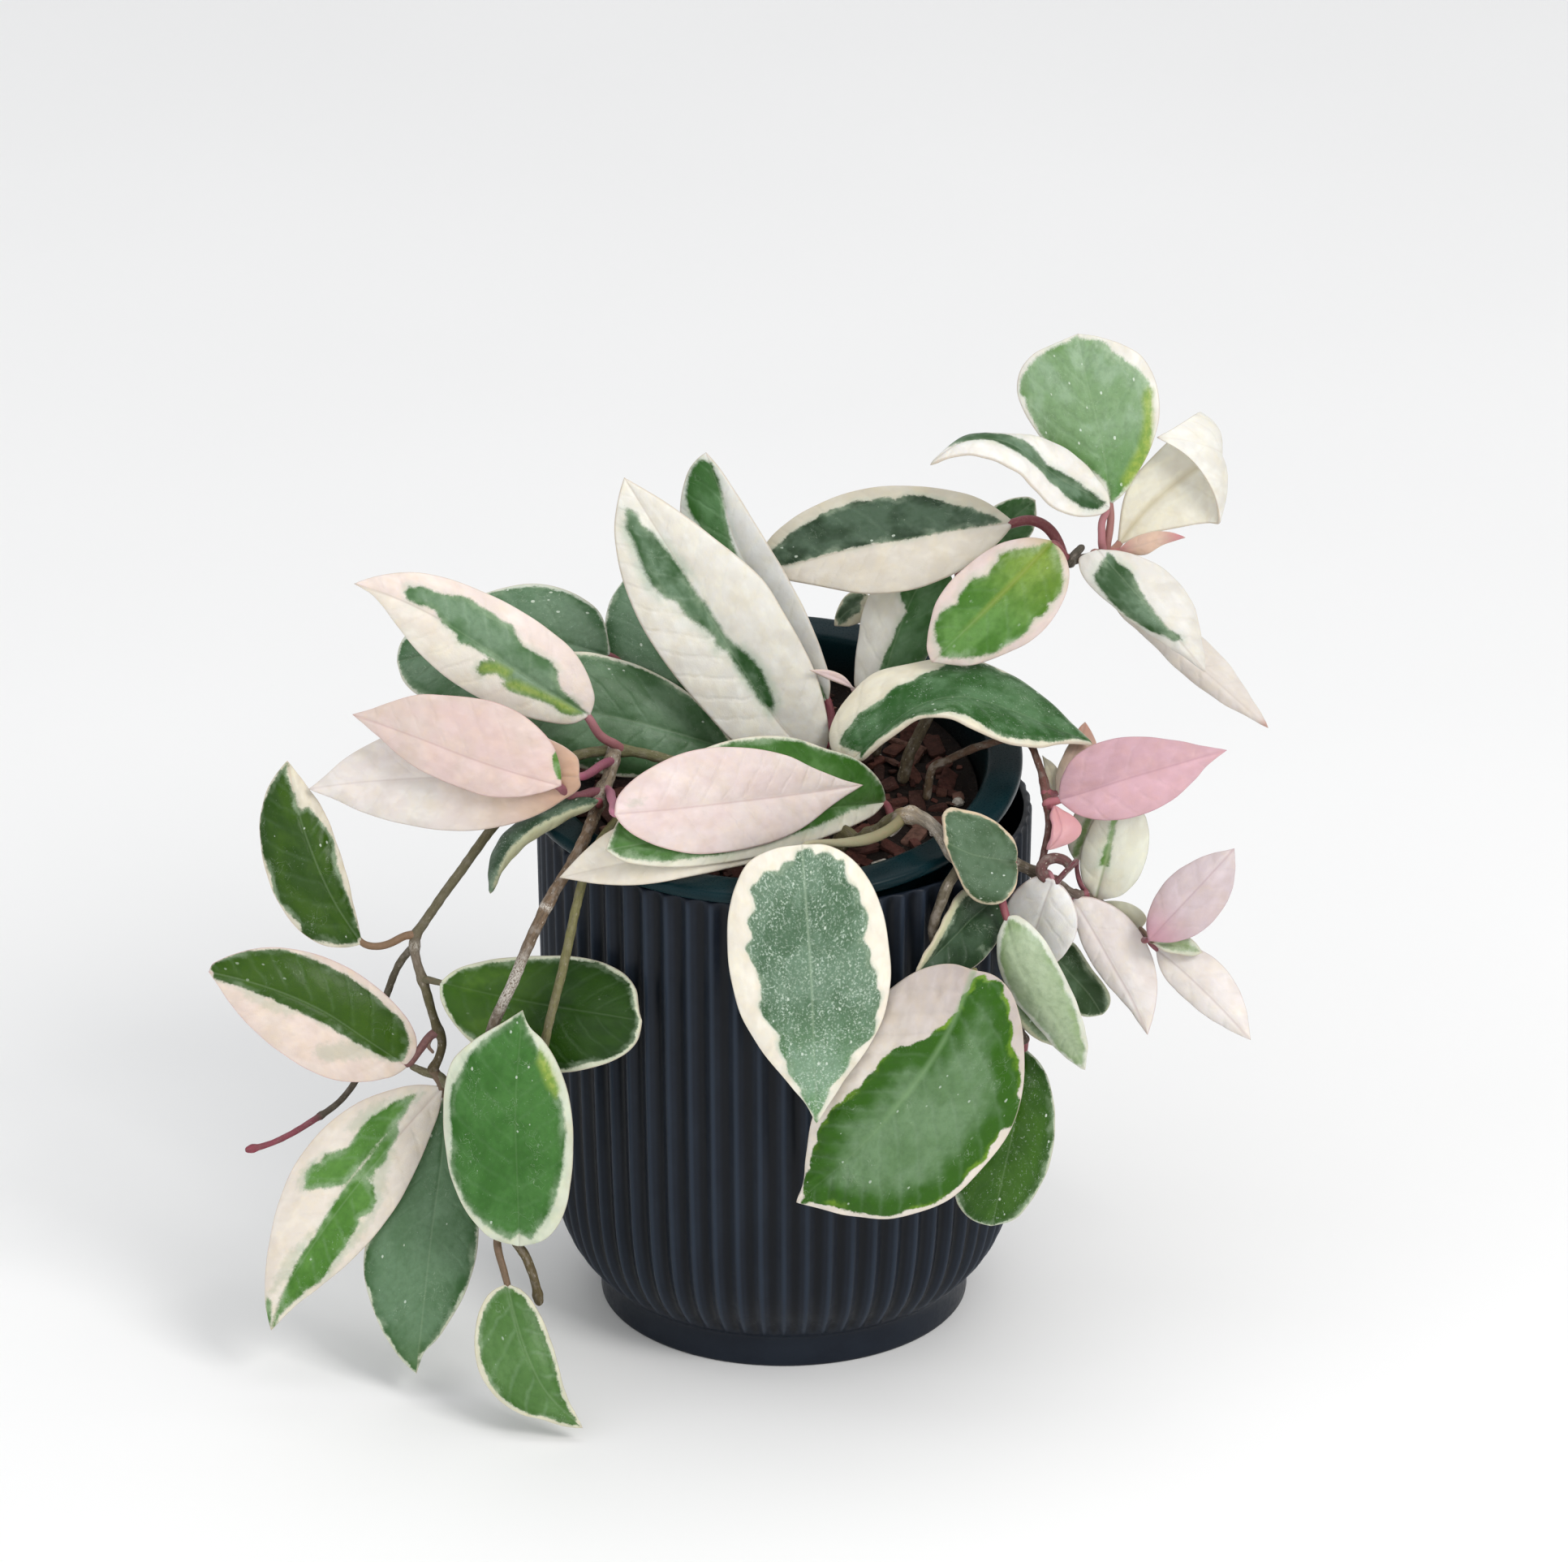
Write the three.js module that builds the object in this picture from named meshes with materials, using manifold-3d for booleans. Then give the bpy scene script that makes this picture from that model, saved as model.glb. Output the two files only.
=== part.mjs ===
// Potted krimson queen hoya: a ribbed planter, a grow pot leaning in it, its potting mix,
// branching stems and variegated leaves. Millimetres, +Z up, front toward -Y.
import * as THREE from 'three';
import Module from 'manifold-3d';

const wasm = await Module();
wasm.setup();
const { Manifold, Mesh } = wasm;

// ---- driving dimensions, mm
const PLANTER_RIM_R = 75;          // outside radius near the rim
const PLANTER_H = 163;             // height
const PLANTER_FOOT_R = 56.4;       // smooth foot ring
const PLANTER_FOOT_H = 10.5;
const PLANTER_WALL = 2.4;          // wall at the rim
const RIB_COUNT = 64;              // vertical ribs round the body
const RIB_DEPTH = 0.55;            // crest above valley
const LINER_LIP_R = 77;            // grow pot, lip radius
const LINER_H = 145;
const LINER_TILT = 9.5;            // degrees, leaning toward the front
const LINER_CENTRE = [-5, 0, 179.9]; // centre of the lip's top plane
const MIX_DROP = 13.5;             // mix surface below the lip
const LEAF_HALF = 0.8;             // half of the leaf's thickness along the midrib
const PETIOLE_R = 1.05;            // leaf stalk radius
const STEM_SIDES = 6;

// the way a leaf's faces look out on average
const FACE = new THREE.Vector3(0, -0.91, 0.4147);

// ---- closed mesh helpers
function mesh(name, verts, tris, color, roughness, metalness = 0) {
  const g = new THREE.BufferGeometry();
  g.setAttribute('position', new THREE.Float32BufferAttribute(verts.flat(), 3));
  g.setIndex(tris.flat());
  g.computeVertexNormals();
  const m = new THREE.Mesh(g, new THREE.MeshStandardMaterial({ color, roughness, metalness }));
  m.name = name;
  m.material.name = name;
  return m;
}

function volume(v, t) {
  let s = 0;
  for (const [a, b, c] of t) {
    const [p, q, r] = [v[a], v[b], v[c]];
    s += p[0] * (q[1] * r[2] - q[2] * r[1]) - p[1] * (q[0] * r[2] - q[2] * r[0]) + p[2] * (q[0] * r[1] - q[1] * r[0]);
  }
  return s / 6;
}

function outward(v, t) {
  return volume(v, t) < 0 ? t.map(([a, b, c]) => [a, c, b]) : t;
}

// closed skin through rings of equal length; a ring of one point closes an end
function skin(rings) {
  const verts = [];
  const starts = rings.map((r) => { const s = verts.length; verts.push(...r); return s; });
  const tris = [];
  for (let i = 0; i + 1 < rings.length; i++) {
    const n = rings[i].length, m = rings[i + 1].length, a = starts[i], b = starts[i + 1];
    if (n === 1) for (let k = 0; k < m; k++) tris.push([a, b + (k + 1) % m, b + k]);
    else if (m === 1) for (let k = 0; k < n; k++) tris.push([a + k, a + (k + 1) % n, b]);
    else for (let k = 0; k < n; k++) {
      const k1 = (k + 1) % n;
      tris.push([a + k, a + k1, b + k1], [a + k, b + k1, b + k]);
    }
  }
  return [verts, outward(verts, tris)];
}

function spun(profile, segs, place = (p) => p, radiusAt = (r) => r) {
  return skin(profile.map(([r, z, amp]) => {
    if (r === 0) return [place([0, 0, z])];
    return Array.from({ length: segs }, (_, k) => {
      const a = (k / segs) * Math.PI * 2, q = radiusAt(r, amp || 0, k);
      return place([q * Math.cos(a), q * Math.sin(a), z]);
    });
  }));
}

// ---- planter
function planter() {
  const R = PLANTER_RIM_R, H = PLANTER_H, F = PLANTER_FOOT_R, W = PLANTER_WALL, d = RIB_DEPTH;
  const profile = [
    [0, 0, 0], [F, 0, 0], [F, PLANTER_FOOT_H, 0], [F + 4, PLANTER_FOOT_H + 3, d], [R - 9.6, 20, d], [R - 6.2, 28, d],
    [R - 3.8, 40, d], [R - 1.7, 80, d], [R, H - 2.5, d], [R - 0.5, H, 0],
    [R - W - 0.1, H, 0], [R - W - 0.4, H - 6, 0], [R - 5.8, 40, 0], [R - 11, 20, 0], [F - 5, 9, 0], [0, 9, 0],
  ];
  const [v, t] = spun(profile, RIB_COUNT * 2, (p) => p, (r, amp, k) => (k % 2 ? r - amp : r));
  return mesh('planter', v, t, 0x252b36, 0.62);
}

// ---- grow pot and mix share the leaning frame
const tilt = THREE.MathUtils.degToRad(LINER_TILT);
function lean([x, y, z]) {
  return [
    LINER_CENTRE[0] + x,
    LINER_CENTRE[1] + y * Math.cos(tilt) - z * Math.sin(tilt),
    LINER_CENTRE[2] + y * Math.sin(tilt) + z * Math.cos(tilt),
  ];
}

function linerPot() {
  const L = LINER_LIP_R, H = LINER_H;
  const profile = [
    [0, -H], [43.6, -H], [66.3, -16], [67, -4], [L - 0.8, -4], [L, -3], [L, -1], [L - 1.2, 0],
    [L - 9.6, 0], [L - 11, -1.2], [L - 12.2, -14], [42.2, -H + 1.8], [0, -H + 1.8],
  ];
  const [v, t] = spun(profile, 48, lean);
  return mesh('liner_pot', v, t, 0x184854, 0.42);
}

function pottingMix() {
  const H = LINER_H - 2.4;
  const profile = [[0, -H], [41.6, -H], [LINER_LIP_R - 12.8, -MIX_DROP - 0.8], [54, -MIX_DROP + 0.2], [30, -MIX_DROP], [0, -MIX_DROP]];
  const [v, t] = spun(profile, 40, lean);
  return mesh('potting_mix', v, t, 0x3c2822, 0.95);
}

// ---- curves
function resample(points, n) {
  const c = new THREE.CatmullRomCurve3(points.map((p) => new THREE.Vector3(...p)), false, 'centripetal');
  return c.getSpacedPoints(n - 1);
}

// turns a ring's two directions by the bend between two headings
function turned(frame, from, to) {
  const q = new THREE.Quaternion().setFromUnitVectors(from, to);
  return frame.map((a) => a.clone().applyQuaternion(q));
}

function ringOn(c, [u, w], r, sides) {
  return Array.from({ length: sides }, (_, k) => {
    const a = Math.PI - (k / sides) * Math.PI * 2;
    return c.clone().addScaledVector(u, r * Math.cos(a)).addScaledVector(w, r * Math.sin(a)).toArray();
  });
}

function stemSkin(points, r0, r1, steps) {
  const p = resample(points, steps);
  const dirs = p.map((c, i) => (i === 0 ? new THREE.Vector3(...points[1]).sub(c) : (p[i + 1] || c).clone().sub(p[i - 1])).normalize());
  const side = Math.abs(dirs[0].z) > 0.95 ? new THREE.Vector3(0, -1, 0) : new THREE.Vector3(0, 0, 1);
  const u = new THREE.Vector3().crossVectors(dirs[0], side).normalize();
  let frame = [u, new THREE.Vector3().crossVectors(u, dirs[0]).normalize()];
  const rings = p.map((c, i) => {
    if (i) frame = turned(frame, dirs[i - 1], dirs[i]);
    return ringOn(c, frame, r0 + (r1 - r0) * (i / (p.length - 1)), STEM_SIDES);
  });
  return skin([[p[0].toArray()], ...rings, [p[p.length - 1].toArray()]]);
}

// a leaf: stalk rings of eight points flow into the blade's lens section
function leafSkin(stalk, blade) {
  const V = (a) => new THREE.Vector3(...a);
  const chain = stalk.map(V);
  const stations = BLADE_PICK.map((k) => {
    const [A, M, B] = blade[k].map(V);
    const along = V(blade[Math.min(k + 1, blade.length - 1)][1]).sub(V(blade[k - 1][1])).normalize();
    const n = new THREE.Vector3().crossVectors(B.clone().sub(A), along).normalize();
    return { A, M, B, along, n };
  });
  const out = stations.reduce((s, q) => s + q.n.dot(FACE), 0) < 0 ? -1 : 1;
  const half = (p, q) => p.clone().lerp(q, 0.5);
  const h = LEAF_HALF;
  const lens = stations.map(({ A, M, B, n }) => {
    n.multiplyScalar(out);
    return [
      A.toArray(),
      half(A, M).addScaledVector(n, h * 0.8).toArray(),
      M.clone().addScaledVector(n, h).toArray(),
      half(M, B).addScaledVector(n, h * 0.8).toArray(),
      B.toArray(),
      half(M, B).addScaledVector(n, -h * 0.8).toArray(),
      M.clone().addScaledVector(n, -h).toArray(),
      half(A, M).addScaledVector(n, -h * 0.8).toArray(),
    ];
  });
  // the stalk's rings carry the first section's directions back round the bends
  const { A, B, along, n } = stations[0];
  const u = B.clone().sub(A);
  u.addScaledVector(along, -u.dot(along)).normalize();
  let frame = [u, n.clone()], heading = along;
  const rings = [];
  for (let i = chain.length - 1; i >= 0; i--) {
    const dir = (chain[i + 1] || V(blade[1][1])).clone().sub(chain[i - 1] || chain[i]).normalize();
    frame = turned(frame, heading, dir);
    heading = dir;
    rings.unshift(ringOn(chain[i], frame, i === 0 ? PETIOLE_R * 0.75 : PETIOLE_R, 8));
  }
  return skin([[chain[0].toArray()], ...rings, ...lens, [blade[blade.length - 1][1]]]);
}

function solid([v, t]) {
  const m = new Mesh({ numProp: 3, vertProperties: new Float32Array(v.flat()), triVerts: new Uint32Array(t.flat()) });
  m.merge();
  return new Manifold(m);
}

function fromSolid(name, s, color, roughness) {
  const m = s.getMesh();
  const v = [], t = [];
  for (let i = 0; i < m.vertProperties.length; i += m.numProp) v.push([m.vertProperties[i], m.vertProperties[i + 1], m.vertProperties[i + 2]]);
  for (let i = 0; i < m.triVerts.length; i += 3) t.push([m.triVerts[i], m.triVerts[i + 1], m.triVerts[i + 2]]);
  return mesh(name, v, t, color, roughness);
}

// stations of a blade that the loft uses
const BLADE_PICK = [1, 3, 5, 7, 9, 11];

// path points run from the root outward; r is the radius at each end
const STEMS = {
  stem_left: { color: 0x6f6048, parts: [{path:[[-16.8,-5.9,166.2],[-16.1,-6.0,170.0],[-20.2,-6.7,172.3],[-24.2,-7.4,175.3],[-28.4,-8.0,177.9],[-32.7,-8.4,180.0],[-37.2,-8.7,181.7],[-41.8,-9.1,183.1],[-46.4,-9.5,184.2],[-51.1,-10.0,184.7],[-55.8,-10.5,184.6],[-60.4,-11.2,184.0],[-64.8,-12.7,183.0],[-68.9,-15.5,181.8],[-72.5,-19.9,180.6],[-76.0,-25.0,179.5],[-79.3,-28.1,177.4],[-82.6,-24.4,171.9],[-85.8,-23.6,167.6],[-88.7,-25.1,164.3],[-91.5,-26.9,161.0],[-94.2,-28.7,157.6],[-97.0,-30.3,154.1],[-99.8,-31.9,150.7],[-102.5,-33.5,147.2],[-105.2,-35.2,143.8],[-107.8,-37.0,140.3],[-110.4,-38.7,136.8],[-110.7,-40.8,132.7],[-109.7,-42.8,128.5],[-108.2,-44.1,124.2],[-107.0,-44.8,119.5],[-105.7,-45.4,114.8],[-104.3,-46.1,110.2],[-102.8,-46.9,105.7],[-103.5,-48.0,101.1],[-105.6,-49.0,96.9]],r:[1.75,1.35],steps:14},
    {path:[[-110.8,-40.0,134.2],[-114.9,-36.9,127.6],[-117.1,-35.8,122.8],[-118.7,-34.8,117.9],[-120.2,-34.2,113.0],[-121.7,-33.8,108.3],[-123.2,-33.8,103.7],[-124.7,-34.1,99.3],[-126.2,-34.5,94.9],[-127.7,-35.2,90.7],[-129.6,-36.1,86.7],[-132.1,-37.0,83.2],[-135.1,-38.1,80.2],[-138.5,-39.3,77.9],[-142.2,-40.5,75.8],[-145.8,-41.6,73.8],[-149.6,-42.7,71.9],[-153.5,-43.8,70.3],[-157.6,-44.9,69.3],[-161.8,-46.0,68.7]],r:[1.25,0.95],steps:14},
    {path:[[-51.1,-10.0,184.7],[-52.4,-21.5,181.4],[-54.3,-27.6,179.2],[-55.8,-35.6,177.8],[-57.3,-45.7,177.3],[-59.0,-52.6,175.5],[-61.1,-58.2,173.2],[-63.5,-57.5,168.2],[-66.2,-58.4,164.1],[-68.8,-60.6,160.5],[-71.0,-62.9,156.7],[-73.1,-64.9,152.8],[-75.2,-66.7,148.7],[-77.2,-68.0,144.4],[-79.0,-68.7,139.7],[-81.0,-69.3,134.9],[-83.1,-69.8,130.3],[-85.2,-70.4,125.6],[-87.0,-71.0,120.8],[-87.7,-71.1,115.5],[-88.0,-71.0,110.0],[-88.2,-71.0,104.5],[-88.4,-70.9,98.9],[-88.4,-71.0,93.4],[-88.3,-71.1,88.0],[-88.0,-71.5,82.7],[-87.6,-72.0,77.5],[-86.9,-72.8,72.4],[-85.9,-73.6,67.4],[-84.6,-74.5,62.5],[-83.0,-75.7,57.9],[-80.7,-76.8,53.6],[-77.9,-78.0,49.6],[-75.9,-78.7,44.9],[-74.5,-79.3,39.9],[-73.6,-80.0,34.8]],r:[2.3,1.6],steps:14}] },
  stem_front_left: { color: 0x6f6048, parts: [{path:[[-40.8,-7.8,165.9],[-40.6,-8.0,169.4],[-45.5,-25.4,172.7],[-49.7,-37.2,174.0],[-53.3,-50.3,175.3],[-56.3,-58.7,173.9],[-58.7,-58.9,168.3],[-60.2,-60.1,162.8],[-61.6,-62.2,157.7],[-62.8,-64.9,152.8],[-64.0,-66.9,147.6],[-65.2,-68.3,142.0],[-66.5,-69.4,136.4],[-68.0,-70.4,130.8],[-69.5,-71.1,125.0],[-70.8,-71.6,119.0],[-72.0,-72.0,113.0],[-73.0,-72.3,106.8],[-73.9,-72.6,100.7],[-74.8,-72.9,94.5],[-75.6,-73.4,88.4],[-76.3,-74.0,82.3],[-76.9,-74.7,76.3],[-77.7,-75.4,70.2],[-78.5,-76.0,64.2]],r:[1.5,1.3],steps:14}] },
  stem_right: { color: 0x6f6048, parts: [{path:[[16.6,-29.4,162.3],[18.0,-30.0,166.9],[21.6,-32.1,165.0],[25.2,-34.6,167.9],[28.7,-37.5,171.3],[31.8,-41.0,175.5],[35.3,-45.1,179.2],[39.1,-49.2,181.0],[42.6,-52.3,180.6],[45.5,-54.0,178.5],[47.6,-56.3,175.9],[49.5,-58.8,173.3],[52.5,-57.9,170.1],[56.3,-54.4,167.2],[60.3,-51.3,165.2],[64.2,-46.8,163.8],[68.2,-43.1,162.5],[72.0,-41.2,160.3],[75.7,-40.3,157.9],[79.3,-38.9,155.6],[82.9,-36.8,152.4],[86.3,-34.4,148.9],[90.3,-31.6,146.9],[94.1,-29.7,144.5],[97.4,-28.7,141.6],[100.6,-28.1,138.6],[103.8,-27.6,135.7],[106.9,-27.3,132.7],[110.0,-27.0,129.7]],r:[2.7,1.6],steps:14},
    {path:[[53.2,-57.4,169.4],[48.6,-61.4,164.0],[46.8,-62.8,159.8],[45.2,-64.3,155.5],[44.3,-64.9,150.6],[45.5,-65.1,145.5],[48.0,-65.6,141.1],[51.5,-66.2,137.7],[55.9,-66.2,135.5],[59.9,-65.7,132.3],[63.6,-64.8,128.3],[66.8,-63.5,123.6],[69.4,-61.8,118.2],[71.8,-60.0,112.6]],r:[1.7,1.3],steps:14},
    {stalk:[[110.0,-27.0,129.7],[110.8,-32.3,131.1]],blade:[[[110.8,-32.3,131.1],[110.8,-32.3,131.1],[110.8,-32.3,131.1]],[[111.6,-31.9,131.4],[111.6,-32.1,130.9],[111.5,-32.3,130.6]],[[112.6,-31.2,131.9],[112.6,-31.8,130.8],[112.3,-32.2,129.8]],[[114.1,-30.5,132.4],[114.0,-31.4,130.5],[113.6,-32.1,128.8]],[[115.8,-29.7,132.8],[115.6,-30.9,130.2],[115.1,-31.9,128.0]],[[117.6,-29.1,133.0],[117.2,-30.5,129.8],[116.7,-31.6,127.4]],[[119.4,-28.6,132.8],[118.7,-30.1,129.4],[118.3,-31.2,127.0]],[[121.1,-28.4,132.0],[120.3,-29.8,128.9],[120.0,-30.9,126.5]],[[122.5,-28.4,130.8],[121.7,-29.5,128.4],[121.4,-30.6,126.0]],[[123.8,-28.4,129.6],[123.0,-29.2,127.8],[123.0,-30.2,125.7]],[[124.7,-28.5,128.5],[124.2,-29.0,127.3],[124.2,-29.7,125.8]],[[125.5,-28.6,127.3],[125.3,-28.8,126.8],[125.3,-29.1,126.1]],[[126.1,-28.7,126.4],[126.1,-28.7,126.4],[126.1,-28.7,126.4]]]}] },
  stem_right_back: { color: 0x6f6048, parts: [{path:[[43.1,-3.9,166.6],[45.0,-4.0,176.4],[49.0,-3.9,178.5],[53.1,-3.8,180.7],[57.2,-4.0,182.7],[61.5,-4.6,184.5],[65.8,-5.6,186.2],[70.2,-7.0,187.6],[73.9,-9.8,186.6],[75.8,-13.6,183.8],[77.2,-17.6,181.0],[78.2,-21.2,177.8],[78.8,-24.1,174.3],[79.2,-27.3,170.8],[79.1,-30.6,167.4],[78.2,-33.4,163.9],[77.2,-36.0,160.3]],r:[1.5,1.2],steps:14},
    {stalk:[[78.8,-24.2,174.2],[79.6,-21.3,171.2],[81.2,-16.2,172.3]],blade:[[[81.2,-16.2,172.3],[81.2,-16.2,172.3],[81.2,-16.2,172.3]],[[80.9,-15.7,172.7],[81.1,-15.6,172.8],[81.6,-15.6,172.8]],[[80.4,-14.9,173.1],[81.1,-14.8,173.3],[82.2,-14.8,173.3]],[[79.8,-13.9,173.8],[81.0,-13.7,174.2],[83.0,-13.7,174.1]],[[79.2,-12.7,174.6],[80.9,-12.5,175.0],[83.5,-12.5,175.2]],[[78.8,-11.6,175.4],[80.6,-11.3,175.9],[83.3,-11.2,176.3]],[[78.6,-10.4,176.3],[80.3,-10.2,176.8],[82.9,-10.0,177.3]],[[78.5,-9.3,177.2],[80.0,-9.1,177.7],[82.2,-8.8,178.3]],[[78.3,-8.2,178.1],[79.5,-8.1,178.4],[81.3,-7.8,179.1]],[[78.1,-7.2,178.9],[79.0,-7.1,179.2],[80.3,-6.9,179.6]],[[78.0,-6.4,179.6],[78.5,-6.3,179.8],[79.3,-6.2,180.1]],[[77.8,-5.6,180.3],[78.1,-5.5,180.4],[78.4,-5.5,180.5]],[[77.7,-4.9,180.8],[77.7,-4.9,180.8],[77.7,-4.9,180.8]]]}] },
  stem_upper_right: { color: 0x6f6048, parts: [{path:[[36.0,5.9,168.2],[37.8,6.0,175.9],[40.9,9.4,181.2],[44.0,12.7,186.6],[47.3,15.7,192.0],[50.6,18.3,197.6],[54.0,20.7,203.2],[57.8,22.6,208.7],[61.8,24.2,214.3],[66.1,25.3,219.7],[71.1,25.6,224.9],[76.8,24.8,229.5],[83.3,22.4,232.8],[90.1,19.1,234.9],[96.7,17.0,237.9]],r:[1.9,1.5],steps:14},
    {stalk:[[96.7,17.0,237.9],[100.1,18.5,237.2]],blade:[[[100.1,18.5,237.2],[100.1,18.5,237.2],[100.1,18.5,237.2]],[[100.9,18.6,238.1],[101.1,17.9,237.8],[101.2,18.0,237.3]],[[102.0,18.5,239.3],[102.5,17.1,238.6],[102.6,17.1,237.5]],[[103.5,18.3,240.9],[104.3,16.1,239.6],[104.6,16.0,237.7]],[[105.5,17.8,242.4],[106.3,15.1,240.6],[106.7,14.7,237.8]],[[107.5,17.1,243.6],[108.3,14.1,241.7],[108.8,13.7,238.4]],[[109.7,16.3,244.6],[110.3,13.3,242.8],[110.7,13.0,239.8]],[[111.9,15.3,245.4],[112.3,12.5,243.8],[112.5,12.4,241.4]],[[114.0,14.2,245.8],[114.1,11.8,244.5],[114.3,11.9,242.6]],[[116.0,13.0,246.0],[116.0,11.0,245.0],[116.1,11.2,243.7]],[[117.6,11.9,246.0],[117.6,10.4,245.3],[117.7,10.6,244.5]],[[119.2,10.6,245.9],[119.2,9.9,245.6],[119.2,10.0,245.2]],[[120.4,9.4,245.9],[120.4,9.4,245.9],[120.4,9.4,245.9]]]}] },
  stem_centre: { color: 0x6f6048, parts: [{path:[[15.8,-2.0,166.9],[17.2,-2.0,170.9],[16.9,-3.4,168.9],[16.7,-6.5,170.3],[16.4,-3.0,170.4],[16.2,-0.0,170.8],[15.9,2.5,171.5],[15.7,4.6,172.2],[15.3,6.3,173.2],[15.1,7.5,174.4],[14.9,8.5,175.8],[14.7,9.4,177.1],[14.5,10.3,178.5],[14.4,11.2,179.9],[14.2,12.0,181.3]],r:[2.0,1.2],steps:14},
    {stalk:[[14.2,12.0,181.3],[19.6,12.3,186.4],[21.6,10.3,195.5]],blade:[[[21.6,10.3,195.5],[21.6,10.3,195.5],[21.6,10.3,195.5]],[[21.1,9.9,196.3],[20.9,9.9,196.2],[20.8,9.8,196.0]],[[20.4,9.5,197.5],[20.1,9.3,197.2],[19.9,9.1,196.7]],[[19.5,8.9,199.1],[19.0,8.6,198.5],[18.5,8.2,197.7]],[[18.3,8.2,200.8],[17.7,7.7,199.8],[17.1,7.2,198.7]],[[16.9,7.3,202.1],[16.3,6.8,201.0],[15.6,6.3,199.8]],[[15.4,6.4,203.2],[14.8,5.8,202.0],[14.2,5.3,200.8]],[[13.8,5.3,204.2],[13.3,4.8,203.0],[12.8,4.3,201.9]],[[12.3,4.4,204.9],[11.9,3.9,203.9],[11.5,3.5,202.9]],[[10.8,3.3,205.4],[10.5,2.9,204.7],[10.2,2.6,204.0]],[[9.5,2.3,205.8],[9.4,2.1,205.3],[9.2,1.9,204.9]],[[8.3,1.4,206.1],[8.2,1.3,205.9],[8.1,1.2,205.7]],[[7.3,0.7,206.4],[7.3,0.7,206.4],[7.3,0.7,206.4]]]}] },
  stem_left_back: { color: 0x6f6048, parts: [{path:[[-20.8,25.5,171.5],[-20.2,26.0,175.2],[-22.6,26.9,174.6],[-25.1,27.6,175.8],[-27.4,27.9,177.1],[-29.8,27.9,178.6],[-32.1,27.6,180.2],[-34.5,27.2,181.9],[-36.7,26.8,183.8],[-38.9,26.4,185.7],[-41.1,25.9,187.7],[-43.2,25.3,189.7],[-45.3,24.8,191.9],[-47.3,24.4,194.1],[-49.2,24.0,196.4]],r:[1.6,1.2],steps:14}] },
  stem_back: { color: 0x6f6048, parts: [{path:[[28.0,19.6,170.5],[29.6,20.0,177.1],[29.6,21.7,179.7],[29.6,23.4,182.2],[29.6,25.2,184.8],[29.5,27.2,187.2],[29.5,29.2,189.6],[29.4,31.3,192.0],[29.2,33.4,194.4],[29.1,35.4,196.9],[29.1,37.2,199.4],[29.0,39.0,201.9],[29.0,40.7,204.5],[28.9,42.3,207.1],[28.9,44.0,209.7]],r:[1.4,1.0],steps:14}] },
};
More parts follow.
